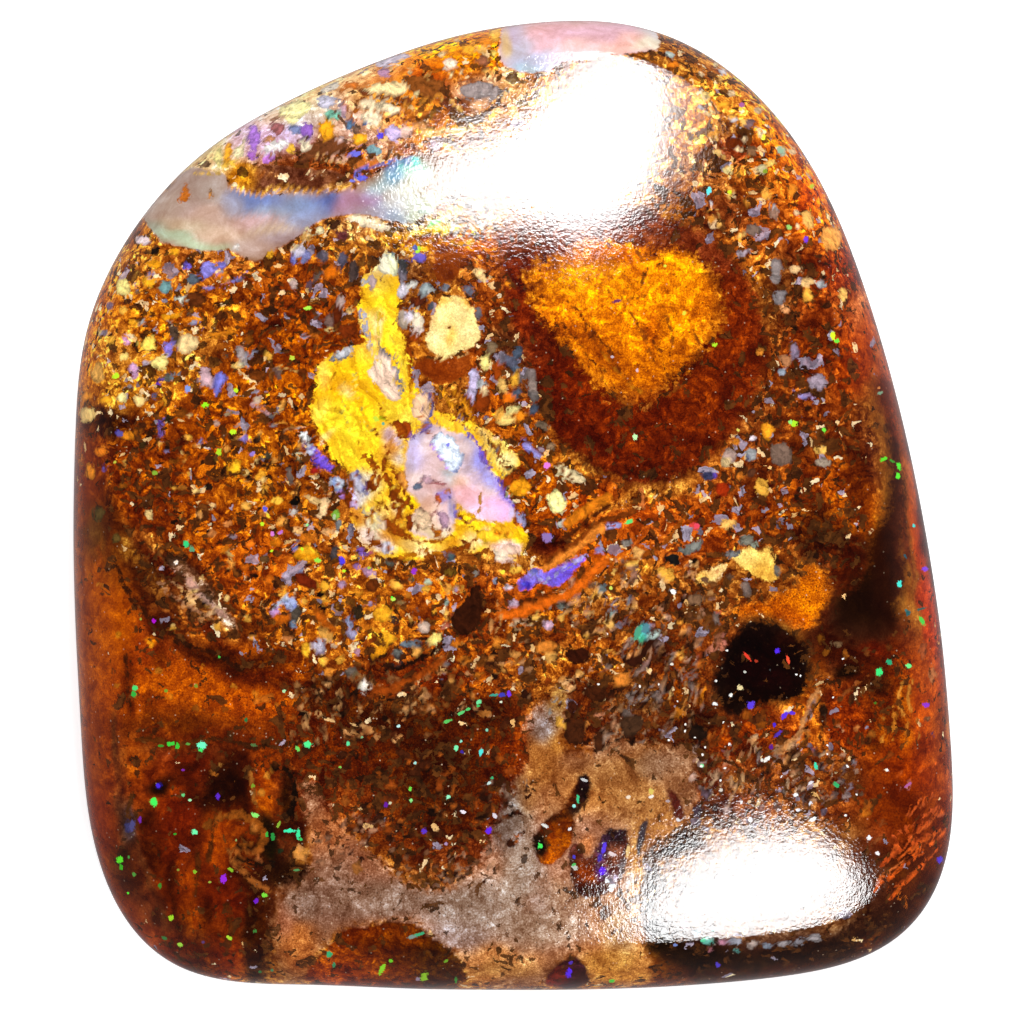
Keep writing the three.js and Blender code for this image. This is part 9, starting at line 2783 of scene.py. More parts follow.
    ([(194, 320), (195, 321), (195, 324), (193, 325), (190, 324), (189, 322), (190, 321)], (160, 150, 160)),
    ([(203, 327), (203, 329), (200, 329), (198, 329), (197, 327), (198, 326), (201, 326)], (150, 140, 200)),
    ([(227, 360), (225, 360), (223, 359), (222, 357), (224, 354), (226, 355), (228, 357)], (100, 80, 60)),
    ([(214, 340), (209, 337), (210, 333), (213, 332), (219, 331), (221, 335), (220, 338)], (206, 120, 20)),
    ([(223, 334), (225, 331), (229, 328), (235, 329), (236, 333), (235, 336), (228, 337)], (210, 120, 16)),
    ([(245, 337), (249, 335), (255, 337), (255, 341), (254, 344), (248, 345), (245, 341)], (150, 76, 10)),
    ([(228, 300), (231, 301), (231, 305), (229, 308), (225, 307), (224, 305), (224, 301)], (70, 50, 20)),
    ([(191, 369), (191, 373), (187, 376), (181, 376), (180, 372), (181, 367), (186, 367)], (100, 44, 10)),
    ([(200, 390), (197, 394), (194, 393), (193, 385), (194, 377), (197, 376), (199, 381)], (96, 52, 14)),
    ([(166, 395), (161, 392), (160, 390), (163, 387), (167, 386), (170, 389), (169, 392)], (180, 96, 16)),
    ([(162, 404), (161, 400), (163, 397), (165, 398), (166, 400), (165, 404), (164, 406)], (250, 170, 40)),
    ([(172, 411), (178, 408), (184, 409), (188, 412), (185, 416), (179, 417), (173, 415)], (120, 60, 10)),
    ([(166, 415), (170, 415), (173, 419), (170, 423), (167, 423), (162, 421), (164, 417)], (50, 36, 16)),
    ([(192, 413), (194, 415), (192, 417), (189, 418), (186, 416), (187, 413), (189, 412)], (236, 190, 120)),
    ([(220, 424), (218, 426), (215, 426), (212, 424), (213, 422), (216, 421), (220, 422)], (190, 150, 130)),
    ([(226, 416), (224, 415), (222, 413), (223, 411), (225, 409), (228, 411), (228, 413)], (190, 160, 120)),
    ([(254, 404), (253, 400), (254, 396), (257, 396), (259, 397), (260, 401), (257, 405)], (210, 180, 150)),
    ([(267, 416), (268, 414), (271, 414), (273, 415), (274, 417), (271, 419), (268, 418)], (120, 110, 110)),
    ([(270, 423), (274, 422), (276, 424), (276, 427), (273, 428), (270, 427), (268, 425)], (140, 140, 150)),
    ([(292, 428), (294, 429), (294, 432), (290, 433), (287, 432), (285, 429), (288, 428)], (170, 120, 80)),
    ([(305, 455), (304, 457), (299, 457), (296, 456), (294, 454), (298, 453), (303, 453)], (206, 190, 150)),
    ([(302, 462), (298, 462), (295, 461), (294, 459), (297, 458), (301, 459), (304, 460)], (90, 70, 40)),
    ([(289, 486), (287, 478), (287, 469), (289, 467), (292, 467), (294, 476), (292, 485)], (110, 90, 80)),
    ([(271, 461), (272, 458), (275, 457), (278, 458), (279, 461), (277, 462), (274, 463)], (210, 140, 60)),
    ([(256, 472), (261, 469), (265, 472), (265, 477), (263, 479), (257, 480), (254, 476)], (236, 160, 40)),
    ([(266, 483), (270, 483), (269, 486), (267, 488), (262, 487), (261, 485), (261, 483)], (244, 170, 50)),
    ([(252, 479), (251, 481), (248, 482), (244, 482), (244, 480), (245, 478), (249, 478)], (190, 130, 70)),
    ([(211, 489), (208, 490), (204, 489), (204, 486), (205, 483), (209, 483), (211, 485)], (40, 24, 14)),
    ([(217, 483), (215, 481), (215, 479), (217, 478), (219, 477), (220, 480), (219, 482)], (60, 26, 10)),
    ([(192, 446), (192, 444), (196, 442), (201, 443), (203, 445), (201, 447), (197, 448)], (200, 120, 40)),
    ([(180, 454), (184, 452), (188, 453), (190, 455), (188, 457), (184, 458), (181, 456)], (206, 110, 16)),
    ([(215, 454), (217, 454), (218, 458), (216, 462), (214, 461), (213, 459), (213, 455)], (90, 60, 20)),
    ([(180, 459), (182, 461), (178, 462), (172, 463), (168, 461), (171, 458), (175, 458)], (150, 76, 12)),
    ([(163, 488), (159, 490), (155, 490), (151, 488), (154, 485), (158, 485), (163, 486)], (160, 90, 20)),
    ([(184, 491), (179, 490), (175, 488), (179, 486), (184, 484), (189, 486), (188, 489)], (170, 100, 30)),
    ([(122, 489), (120, 486), (122, 483), (126, 484), (130, 485), (129, 488), (126, 490)], (150, 80, 14)),
    ([(296, 548), (310, 544), (319, 552), (315, 560), (300, 561)], (240, 170, 30)),
    ([(372, 608), (385, 604), (391, 608), (390, 616), (380, 621), (374, 619)], (236, 160, 30)),
    ([(388, 614), (397, 614), (398, 623), (390, 624)], (70, 50, 40)),
    ([(352, 606), (362, 604), (366, 615), (358, 621), (352, 615)], (50, 34, 18)),
    ([(312, 610), (320, 612), (330, 622), (338, 630), (333, 634), (322, 628), (314, 620)], (172, 80, 10)),
    ([(344, 618), (350, 616), (356, 626), (350, 628), (346, 625)], (140, 140, 170)),
    ([(345, 629), (356, 628), (359, 635), (352, 642), (346, 638)], (150, 140, 170)),
    ([(315, 628), (325, 628), (336, 638), (330, 643), (318, 638)], (200, 140, 60)),
    ([(301, 646), (311, 645), (313, 652), (308, 659), (302, 656)], (250, 180, 40)),
    ([(314, 647), (324, 646), (325, 655), (317, 658)], (150, 130, 150)),
    ([(359, 680), (365, 680), (368, 686), (365, 692), (360, 691)], (240, 230, 220)),
    ([(379, 632), (390, 631), (398, 636), (394, 644), (383, 645)], (240, 165, 30)),
    ([(371, 648), (388, 646), (390, 656), (375, 658)], (236, 150, 20)),
    ([(392, 652), (402, 652), (404, 662), (395, 663)], (62, 52, 50)),
    ([(400, 642), (415, 640), (422, 645), (415, 649), (402, 648)], (110, 120, 130)),
    ([(409, 650), (420, 649), (420, 656), (411, 658)], (230, 160, 70)),
    ([(416, 622), (426, 620), (430, 630), (425, 636), (418, 632)], (200, 170, 150)),
    ([(425, 639), (430, 634), (439, 632), (443, 638), (438, 644), (429, 646)], (255, 226, 120)),
    ([(444, 551), (455, 550), (456, 559), (446, 560)], (66, 78, 80)),
    ([(386, 560), (395, 560), (395, 566), (388, 567)], (80, 80, 70)),
    ([(331, 547), (337, 546), (338, 554), (332, 554)], (60, 60, 50)),
    ([(320, 580), (330, 580), (330, 590), (320, 591)], (230, 160, 40)),
    ([(338, 582), (347, 582), (346, 589), (339, 588)], (180, 140, 170)),
    ([(388, 581), (402, 580), (402, 590), (390, 590)], (246, 170, 60)),
    ([(365, 578), (378, 578), (377, 592), (366, 592)], (100, 42, 8)),
    ([(295, 570), (315, 578), (318, 591), (305, 588), (295, 580)], (104, 30, 6)),
    ([(522, 600), (540, 600), (540, 608), (525, 608)], (190, 90, 20)),
    ([(531, 613), (540, 612), (540, 620), (532, 620)], (240, 180, 80)),
    ([(510, 600), (520, 600), (520, 610), (512, 610)], (180, 150, 170)),
    ([(474, 578), (482, 595), (480, 620), (475, 630), (462, 638), (450, 625), (448, 615), (462, 602), (472, 592)], (48, 17, 4)),
    ([(493, 552), (502, 550), (510, 558), (502, 562), (495, 560)], (246, 220, 190)),
    ([(490, 560), (515, 558), (520, 562), (505, 564)], (236, 196, 180)),
    ([(294, 542), (292, 552), (296, 555)], (120, 130, 200)),
    ([(295, 562), (301, 568), (300, 571), (296, 569)], (140, 150, 190)),
    ([(359, 553), (360, 551), (364, 551), (366, 553), (366, 556), (363, 557), (359, 556)], (130, 110, 210)),
    ([(354, 563), (358, 562), (360, 565), (360, 568), (356, 569), (353, 568), (352, 565)], (160, 110, 170)),
    ([(370, 567), (371, 570), (371, 573), (367, 575), (364, 572), (363, 569), (366, 567)], (190, 140, 170)),
    ([(376, 574), (376, 576), (373, 577), (371, 575), (371, 573), (373, 571), (376, 572)], (200, 160, 190)),
    ([(380, 563), (377, 563), (376, 561), (375, 558), (378, 556), (380, 558), (381, 561)], (240, 200, 130)),
    ([(340, 565), (340, 561), (340, 558), (342, 558), (344, 558), (345, 562), (343, 565)], (90, 80, 230)),
    ([(303, 565), (304, 562), (308, 561), (311, 563), (313, 566), (309, 567), (305, 567)], (60, 20, 10)),
    ([(409, 575), (411, 573), (413, 576), (414, 580), (411, 582), (409, 582), (407, 578)], (80, 90, 70)),
    ([(429, 577), (431, 579), (430, 582), (428, 585), (425, 583), (424, 580), (425, 578)], (190, 200, 170)),
    ([(441, 582), (440, 585), (438, 586), (435, 585), (434, 582), (436, 579), (439, 579)], (252, 190, 70)),
    ([(454, 575), (448, 576), (442, 575), (442, 570), (446, 566), (453, 567), (457, 570)], (112, 80, 20)),
    ([(474, 577), (471, 574), (472, 571), (474, 569), (477, 569), (478, 572), (478, 576)], (130, 120, 110)),
    ([(420, 591), (421, 588), (424, 586), (429, 587), (429, 590), (428, 592), (424, 593)], (246, 180, 60)),
    ([(452, 587), (455, 585), (459, 586), (459, 589), (458, 592), (454, 592), (452, 590)], (150, 130, 170)),
    ([(461, 583), (464, 584), (464, 589), (462, 593), (460, 591), (459, 589), (459, 585)], (240, 170, 60)),
    ([(448, 601), (449, 604), (445, 605), (441, 605), (440, 603), (441, 600), (445, 600)], (170, 190, 170)),
    ([(420, 611), (417, 612), (414, 612), (412, 610), (414, 608), (417, 608), (419, 609)], (110, 90, 80)),
    ([(296, 627), (291, 621), (288, 614), (292, 608), (297, 604), (302, 612), (300, 621)], (70, 60, 50)),
    ([(292, 628), (291, 625), (293, 621), (296, 622), (298, 624), (296, 628), (294, 630)], (130, 150, 180)),
    ([(290, 605), (292, 603), (295, 603), (297, 606), (295, 609), (293, 610), (290, 608)], (140, 150, 220)),
    ([(321, 657), (326, 657), (329, 660), (327, 664), (322, 664), (317, 663), (318, 659)], (246, 170, 60)),
    ([(334, 667), (336, 670), (334, 673), (328, 674), (324, 671), (325, 667), (329, 666)], (246, 150, 50)),
    ([(344, 661), (343, 664), (339, 664), (336, 662), (337, 658), (340, 656), (344, 658)], (230, 160, 50)),
    ([(354, 678), (349, 676), (346, 674), (347, 671), (352, 668), (356, 671), (357, 674)], (98, 78, 50)),
    ([(417, 647), (415, 644), (416, 641), (419, 641), (422, 642), (423, 645), (420, 648)], (60, 60, 70)),
    ([(440, 627), (441, 625), (444, 624), (445, 626), (446, 628), (443, 630), (441, 629)], (200, 120, 100)),
    ([(506, 585), (509, 584), (510, 587), (511, 590), (508, 591), (505, 590), (503, 587)], (180, 170, 180)),
    ([(526, 581), (527, 583), (527, 586), (524, 588), (521, 586), (519, 583), (522, 581)], (90, 90, 225)),
    ([(539, 573), (538, 577), (534, 578), (532, 576), (531, 571), (533, 568), (537, 569)], (112, 110, 210)),
    ([(497, 584), (495, 584), (493, 583), (493, 580), (495, 578), (497, 579), (499, 581)], (170, 170, 190)),
    ([(514, 609), (512, 607), (512, 605), (515, 604), (517, 604), (518, 606), (517, 609)], (150, 120, 180)),
    ([(352, 593), (354, 590), (357, 589), (361, 590), (362, 593), (360, 595), (356, 596)], (226, 140, 30)),
    ([(340, 600), (343, 598), (346, 601), (346, 604), (344, 606), (340, 606), (339, 603)], (60, 44, 24)),
    ([(338, 603), (341, 605), (340, 609), (338, 613), (335, 611), (334, 608), (335, 604)], (240, 160, 50)),
    ([(330, 599), (328, 602), (325, 604), (319, 603), (319, 600), (321, 596), (325, 597)], (236, 160, 50)),
    ([(375, 554), (373, 555), (370, 554), (370, 552), (371, 550), (374, 550), (375, 552)], (190, 90, 100)),
    ([(445, 591), (441, 589), (441, 587), (443, 585), (447, 584), (449, 587), (448, 590)], (236, 160, 60)),
    ([(463, 609), (462, 607), (464, 605), (467, 606), (468, 607), (466, 609), (465, 610)], (236, 150, 60)),
    ([(403, 594), (407, 592), (410, 593), (412, 595), (410, 597), (406, 598), (404, 596)], (206, 120, 30)),
    ([(400, 601), (402, 601), (404, 603), (402, 604), (399, 604), (396, 603), (398, 602)], (190, 150, 90)),
    ([(433, 598), (435, 601), (432, 603), (428, 603), (425, 601), (427, 598), (430, 597)], (240, 170, 60)),
    ([(436, 614), (434, 616), (431, 616), (429, 613), (430, 610), (433, 609), (436, 611)], (236, 160, 40)),
    ([(446, 619), (443, 618), (442, 615), (443, 612), (446, 611), (448, 613), (448, 617)], (246, 180, 80)),
    ([(408, 624), (407, 620), (408, 616), (411, 616), (413, 618), (413, 622), (410, 625)], (206, 140, 50)),
    ([(368, 629), (370, 627), (374, 627), (377, 629), (377, 632), (373, 633), (369, 632)], (226, 140, 30)),
    ([(364, 621), (367, 621), (368, 624), (368, 628), (365, 629), (362, 628), (361, 624)], (206, 110, 20)),
    ([(339, 620), (340, 622), (340, 625), (337, 627), (335, 624), (334, 621), (337, 619)], (236, 180, 100)),
    ([(298, 595), (297, 597), (294, 597), (292, 596), (291, 594), (294, 592), (297, 593)], (226, 170, 120)),
    ([(364, 617), (362, 617), (361, 616), (361, 614), (362, 612), (364, 614), (365, 615)], (36, 26, 14)),
    ([(375, 603), (374, 600), (374, 598), (378, 598), (380, 598), (382, 601), (379, 603)], (120, 60, 10)),
    ([(390, 600), (392, 598), (394, 598), (396, 599), (397, 601), (395, 602), (392, 602)], (90, 50, 10)),
    ([(368, 601), (371, 600), (373, 602), (373, 604), (371, 605), (368, 605), (367, 602)], (150, 140, 180)),
    ([(359, 650), (361, 651), (360, 654), (358, 657), (355, 655), (354, 652), (355, 650)], (180, 130, 150)),
    ([(352, 649), (351, 652), (349, 653), (346, 652), (346, 649), (347, 647), (350, 647)], (210, 130, 50)),
    ([(343, 642), (341, 643), (339, 642), (339, 639), (341, 637), (343, 638), (344, 640)], (160, 80, 20)),
    ([(364, 646), (359, 644), (361, 641), (364, 640), (369, 640), (370, 642), (369, 645)], (150, 60, 10)),
    ([(370, 642), (371, 638), (373, 636), (377, 637), (377, 640), (376, 643), (373, 644)], (110, 44, 10)),
    ([(369, 658), (372, 656), (376, 658), (377, 661), (374, 663), (370, 664), (369, 661)], (60, 24, 8)),
    ([(388, 664), (393, 664), (394, 669), (389, 672), (384, 671), (382, 668), (383, 665)], (44, 18, 6)),
    ([(460, 643), (462, 647), (457, 649), (451, 649), (448, 645), (451, 641), (456, 641)], (196, 104, 20)),
    ([(472, 663), (466, 665), (461, 664), (457, 660), (461, 656), (467, 655), (472, 658)], (190, 104, 24)),
    ([(483, 670), (479, 666), (477, 661), (480, 658), (484, 655), (488, 661), (486, 667)], (110, 56, 14)),
    ([(494, 647), (493, 641), (496, 636), (499, 638), (503, 641), (501, 646), (497, 649)], (206, 120, 34)),
    ([(487, 623), (489, 618), (492, 619), (494, 624), (492, 630), (490, 633), (487, 629)], (196, 130, 70)),
    ([(509, 633), (512, 633), (513, 637), (512, 642), (509, 642), (507, 640), (507, 636)], (100, 60, 30)),
    ([(523, 626), (525, 628), (523, 630), (519, 631), (515, 628), (515, 626), (519, 625)], (206, 160, 110)),
    ([(530, 641), (529, 644), (526, 644), (525, 641), (525, 637), (527, 635), (530, 637)], (90, 44, 14)),
    ([(517, 659), (512, 658), (510, 656), (510, 653), (515, 651), (520, 653), (522, 656)], (196, 130, 60)),
    ([(527, 674), (526, 670), (526, 667), (531, 667), (534, 668), (535, 671), (531, 674)], (150, 100, 60)),
    ([(499, 670), (500, 668), (504, 667), (506, 669), (507, 671), (503, 673), (500, 672)], (210, 140, 60)),
    ([(443, 663), (447, 662), (448, 664), (448, 667), (445, 667), (443, 667), (441, 665)], (120, 110, 110)),
    ([(441, 673), (442, 674), (442, 676), (440, 678), (438, 676), (437, 674), (439, 673)], (206, 140, 80)),
    ([(454, 682), (452, 684), (449, 685), (447, 684), (446, 682), (449, 680), (452, 681)], (190, 130, 60)),
    ([(464, 684), (462, 683), (460, 682), (460, 678), (462, 676), (464, 677), (465, 680)], (150, 90, 30)),
    ([(441, 682), (439, 681), (440, 679), (442, 678), (445, 678), (445, 680), (444, 682)], (120, 120, 150)),
    ([(495, 693), (496, 691), (498, 690), (500, 691), (500, 693), (499, 694), (496, 694)], (206, 110, 30)),
    ([(476, 673), (481, 672), (486, 674), (485, 676), (482, 677), (477, 677), (475, 675)], (200, 110, 24)),
    ([(642, 622), (650, 621), (652, 632), (646, 637), (642, 630)], (80, 132, 150)),
    ([(637, 630), (644, 629), (644, 640), (638, 643), (635, 636)], (80, 190, 140)),
    ([(650, 624), (656, 625), (655, 630), (651, 632)], (222, 150, 140)),
    ([(656, 632), (658, 636), (650, 650), (638, 670), (622, 665), (620, 656), (639, 651), (648, 640)], (50, 18, 6)),
    ([(666, 560), (679, 559), (680, 564), (668, 564)], (28, 22, 20)),
    ([(656, 569), (670, 567), (676, 575), (675, 582), (660, 579)], (240, 170, 60)),
    ([(625, 561), (639, 560), (640, 566), (628, 568)], (250, 190, 80)),
    ([(596, 550), (606, 548), (604, 554), (598, 556)], (170, 150, 210)),
    ([(598, 586), (605, 584), (606, 593), (599, 594)], (70, 80, 90)),
    ([(581, 579), (594, 580), (592, 585), (588, 586)], (246, 220, 110)),
    ([(590, 592), (604, 592), (604, 598), (592, 598)], (240, 170, 60)),
    ([(625, 596), (631, 596), (632, 605), (626, 606)], (100, 100, 110)),
    ([(606, 608), (615, 606), (616, 615), (608, 616)], (130, 150, 140)),
    ([(565, 650), (588, 648), (591, 660), (578, 666), (567, 662)], (50, 16, 4)),
    ([(543, 650), (555, 648), (558, 658), (550, 663), (543, 660)], (210, 150, 70)),
    ([(580, 688), (600, 685), (611, 695), (602, 703), (588, 700)], (60, 24, 6)),
    ([(563, 702), (578, 700), (580, 712), (568, 715)], (60, 22, 8)),
    ([(563, 720), (585, 715), (588, 740), (578, 748), (564, 738)], (60, 26, 8)),
    ([(593, 732), (604, 731), (606, 752), (595, 752)], (60, 28, 10)),
    ([(554, 715), (561, 712), (566, 725), (564, 731), (556, 725)], (222, 160, 60)),
    ([(618, 715), (640, 714), (646, 730), (628, 738), (619, 730)], (62, 38, 22)),
    ([(688, 726), (705, 725), (710, 735), (700, 742), (690, 738)], (30, 16, 8)),
    ([(675, 652), (682, 651), (684, 658), (678, 660)], (236, 160, 60)),
    ([(612, 675), (628, 672), (630, 680), (622, 690), (614, 685)], (206, 120, 40)),
    ([(740, 582), (750, 582), (752, 598), (743, 598)], (120, 100, 90)),
    ([(725, 551), (736, 550), (738, 554), (726, 557)], (92, 90, 90)),
    ([(749, 542), (758, 542), (759, 550), (752, 549)], (150, 160, 140)),
    ([(712, 615), (719, 615), (720, 625), (714, 626)], (120, 100, 90)),
    ([(558, 602), (566, 602), (568, 610), (560, 612)], (110, 110, 100)),
    ([(542, 620), (552, 620), (555, 628), (545, 630)], (200, 160, 180)),
    ([(559, 615), (565, 614), (566, 622), (561, 624)], (236, 170, 70)),
    ([(673, 589), (675, 590), (675, 592), (673, 594), (671, 593), (670, 591), (671, 590)], (255, 250, 245)),
    ([(637, 661), (636, 664), (635, 665), (633, 665), (633, 662), (633, 660), (635, 660)], (250, 220, 130)),
    ([(704, 604), (695, 606), (687, 605), (685, 599), (691, 594), (700, 594), (704, 598)], (120, 86, 60)),
    ([(700, 620), (696, 617), (695, 614), (698, 612), (703, 611), (705, 614), (703, 618)], (130, 90, 60)),
    ([(661, 619), (659, 616), (664, 614), (668, 615), (671, 617), (668, 620), (664, 621)], (240, 180, 100)),
    ([(675, 621), (679, 619), (683, 620), (686, 623), (683, 625), (679, 626), (675, 624)], (236, 150, 50)),
    ([(645, 575), (648, 575), (651, 578), (647, 581), (643, 580), (639, 579), (641, 576)], (160, 70, 10)),
    ([(618, 571), (620, 573), (617, 575), (613, 575), (610, 573), (612, 570), (615, 570)], (250, 190, 90)),
    ([(612, 561), (609, 564), (605, 563), (602, 560), (604, 557), (608, 556), (612, 558)], (230, 160, 60)),
    ([(624, 588), (620, 587), (618, 585), (619, 583), (623, 582), (627, 584), (627, 586)], (236, 170, 110)),
    ([(582, 608), (581, 605), (582, 602), (586, 602), (589, 604), (589, 607), (585, 609)], (150, 100, 80)),
    ([(588, 614), (590, 611), (595, 611), (597, 614), (598, 617), (593, 619), (588, 618)], (190, 140, 80)),
    ([(608, 621), (614, 621), (615, 624), (615, 629), (609, 629), (605, 628), (603, 624)], (226, 170, 80)),
    ([(606, 633), (606, 635), (606, 637), (602, 639), (599, 636), (598, 633), (601, 632)], (190, 130, 60)),
    ([(592, 638), (591, 640), (586, 641), (583, 639), (582, 636), (587, 634), (591, 635)], (210, 150, 60)),
    ([(579, 629), (576, 628), (574, 626), (574, 623), (577, 621), (580, 623), (582, 626)], (130, 80, 50)),
    ([(606, 653), (604, 650), (606, 648), (610, 648), (615, 648), (616, 651), (613, 653)], (240, 160, 60)),
    ([(622, 645), (624, 642), (628, 641), (632, 643), (632, 646), (629, 648), (625, 648)], (180, 140, 120)),
    ([(613, 598), (616, 596), (618, 599), (618, 602), (616, 603), (613, 603), (612, 600)], (180, 140, 140)),
    ([(579, 595), (581, 596), (580, 599), (578, 601), (575, 599), (575, 597), (576, 595)], (160, 120, 110)),
    ([(555, 604), (553, 608), (550, 609), (546, 608), (547, 604), (548, 601), (552, 602)], (120, 120, 110)),
    ([(575, 605), (572, 606), (570, 604), (570, 598), (572, 593), (574, 595), (575, 599)], (206, 190, 120)),
    ([(657, 611), (654, 609), (655, 606), (657, 605), (660, 605), (660, 607), (659, 610)], (170, 110, 60)),
    ([(667, 662), (667, 657), (670, 654), (673, 656), (673, 661), (672, 665), (669, 666)], (130, 110, 100)),
    ([(680, 672), (682, 668), (685, 671), (686, 676), (684, 680), (681, 681), (680, 676)], (150, 120, 110)),
    ([(690, 677), (693, 678), (694, 681), (691, 684), (688, 683), (686, 681), (688, 678)], (120, 100, 90)),
    ([(669, 678), (670, 682), (666, 684), (662, 684), (659, 680), (662, 677), (666, 676)], (130, 90, 60)),
    ([(651, 664), (648, 665), (645, 665), (643, 662), (645, 660), (649, 660), (652, 661)], (150, 110, 100)),
    ([(640, 691), (637, 689), (634, 687), (638, 685), (642, 684), (646, 687), (644, 689)], (150, 130, 120)),
    ([(631, 702), (629, 699), (633, 696), (637, 697), (641, 699), (639, 702), (635, 704)], (140, 120, 112)),
    ([(624, 711), (626, 708), (629, 709), (632, 712), (630, 715), (627, 717), (624, 715)], (120, 100, 90)),
    ([(651, 693), (655, 692), (657, 695), (656, 698), (651, 697), (648, 696), (648, 694)], (130, 106, 96)),
    ([(644, 703), (645, 705), (643, 707), (638, 708), (635, 706), (635, 703), (640, 703)], (150, 110, 110)),
    ([(661, 704), (660, 706), (656, 707), (654, 703), (653, 700), (657, 698), (661, 700)], (120, 100, 90)),
    ([(673, 698), (671, 697), (671, 695), (671, 693), (673, 692), (674, 694), (675, 696)], (246, 200, 120)),
    ([(675, 717), (674, 713), (676, 708), (681, 708), (685, 710), (687, 714), (682, 718)], (176, 100, 20)),
    ([(665, 702), (667, 700), (672, 699), (674, 701), (674, 704), (671, 706), (667, 705)], (170, 90, 20)),
    ([(704, 688), (706, 687), (708, 689), (707, 692), (705, 692), (703, 692), (702, 690)], (240, 140, 30)),
    ([(703, 697), (705, 699), (703, 702), (700, 704), (696, 702), (695, 699), (698, 697)], (150, 80, 14)),
    ([(718, 650), (715, 653), (712, 654), (708, 652), (708, 649), (711, 646), (715, 647)], (200, 120, 90)),
    ([(702, 658), (699, 658), (696, 657), (697, 654), (699, 651), (702, 653), (703, 655)], (150, 60, 20)),
    ([(722, 612), (720, 611), (721, 609), (722, 608), (724, 608), (724, 610), (724, 612)], (200, 70, 40)),
    ([(708, 743), (710, 740), (715, 738), (721, 740), (720, 744), (718, 746), (712, 747)], (130, 54, 8)),
    ([(740, 712), (746, 709), (752, 713), (752, 717), (747, 719), (740, 720), (739, 715)], (150, 74, 14)),
    ([(761, 721), (766, 723), (766, 727), (761, 730), (755, 728), (754, 725), (756, 722)], (140, 70, 12)),
    ([(757, 738), (757, 743), (753, 745), (749, 744), (747, 739), (750, 735), (754, 735)], (190, 130, 80)),
    ([(741, 750), (738, 751), (734, 750), (733, 747), (736, 744), (739, 744), (741, 746)], (120, 56, 12)),
    ([(780, 759), (777, 754), (776, 747), (779, 744), (782, 743), (784, 749), (782, 756)], (150, 100, 60)),
    ([(788, 748), (787, 743), (789, 738), (792, 740), (793, 745), (792, 749), (789, 752)], (200, 150, 100)),
    ([(760, 711), (764, 709), (768, 710), (771, 713), (768, 715), (764, 716), (760, 714)], (120, 54, 10)),
    ([(600, 712), (604, 712), (606, 715), (603, 719), (598, 718), (593, 716), (595, 713)], (206, 130, 90)),
    ([(616, 722), (617, 727), (614, 730), (611, 730), (608, 726), (609, 721), (613, 720)], (190, 130, 90)),
    ([(612, 739), (609, 741), (605, 741), (602, 738), (603, 735), (608, 734), (613, 736)], (150, 120, 100)),
    ([(588, 730), (586, 728), (585, 725), (585, 722), (588, 720), (590, 723), (590, 727)], (200, 120, 50)),
    ([(648, 728), (647, 725), (649, 722), (655, 722), (658, 724), (659, 727), (653, 729)], (110, 60, 20)),
    ([(665, 729), (667, 727), (673, 727), (675, 729), (675, 732), (670, 734), (666, 732)], (120, 60, 20)),
    ([(656, 741), (660, 741), (662, 742), (661, 744), (657, 744), (654, 744), (652, 742)], (130, 90, 50)),
    ([(683, 733), (684, 735), (683, 737), (679, 738), (677, 736), (676, 734), (679, 733)], (100, 50, 14)),
    ([(560, 700), (557, 703), (553, 703), (551, 701), (551, 698), (554, 696), (558, 698)], (150, 140, 130)),
    ([(552, 718), (548, 716), (546, 714), (547, 710), (550, 707), (553, 710), (554, 714)], (140, 130, 120)),
    ([(570, 690), (567, 688), (569, 685), (573, 685), (577, 686), (577, 688), (575, 691)], (220, 160, 100)),
    ([(557, 680), (560, 677), (563, 676), (567, 678), (566, 681), (564, 683), (560, 683)], (200, 130, 60)),
    ([(577, 673), (581, 672), (585, 674), (584, 677), (581, 678), (576, 677), (576, 675)], (226, 160, 80)),
    ([(549, 676), (553, 678), (551, 682), (548, 686), (543, 683), (543, 679), (545, 676)], (150, 60, 10)),
    ([(594, 669), (593, 672), (590, 673), (587, 672), (587, 669), (589, 667), (592, 667)], (206, 150, 110)),
    ([(606, 677), (602, 678), (598, 677), (598, 674), (601, 672), (605, 673), (607, 675)], (150, 80, 20)),
    ([(690, 697), (688, 696), (688, 694), (690, 693), (691, 693), (692, 695), (691, 697)], (220, 150, 80)),
    ([(685, 636), (685, 633), (690, 631), (694, 633), (695, 635), (692, 638), (688, 639)], (150, 90, 50)),
    ([(677, 636), (680, 634), (683, 635), (684, 638), (681, 640), (678, 641), (676, 638)], (120, 60, 20)),
    ([(700, 637), (703, 637), (704, 641), (701, 644), (698, 643), (695, 641), (698, 638)], (140, 90, 60)),
    ([(668, 634), (670, 636), (666, 638), (663, 638), (660, 635), (662, 632), (666, 632)], (110, 60, 20)),
    ([(664, 652), (661, 654), (658, 653), (656, 650), (658, 647), (661, 646), (664, 648)], (140, 90, 50)),
    ([(690, 620), (687, 617), (685, 614), (687, 612), (692, 611), (695, 614), (694, 618)], (90, 50, 24)),
    ([(707, 598), (706, 594), (708, 591), (712, 592), (714, 594), (713, 597), (710, 599)], (110, 60, 24)),
    ([(726, 576), (728, 573), (732, 574), (734, 577), (733, 581), (729, 582), (726, 580)], (100, 70, 50)),
    ([(711, 583), (716, 583), (717, 585), (716, 587), (711, 587), (708, 586), (707, 584)], (120, 70, 30)),
    ([(753, 595), (753, 598), (752, 601), (749, 602), (747, 599), (746, 595), (750, 594)], (110, 80, 60)),
    ([(723, 628), (722, 631), (718, 631), (717, 628), (717, 625), (720, 624), (722, 625)], (130, 60, 14)),
    ([(706, 632), (702, 631), (701, 628), (702, 625), (706, 622), (708, 625), (710, 629)], (120, 64, 24)),
    ([(146, 647), (146, 643), (147, 640), (150, 640), (152, 641), (153, 645), (150, 648)], (240, 150, 20)),
    ([(114, 636), (115, 633), (118, 633), (119, 635), (119, 637), (117, 639), (115, 638)], (206, 120, 12)),
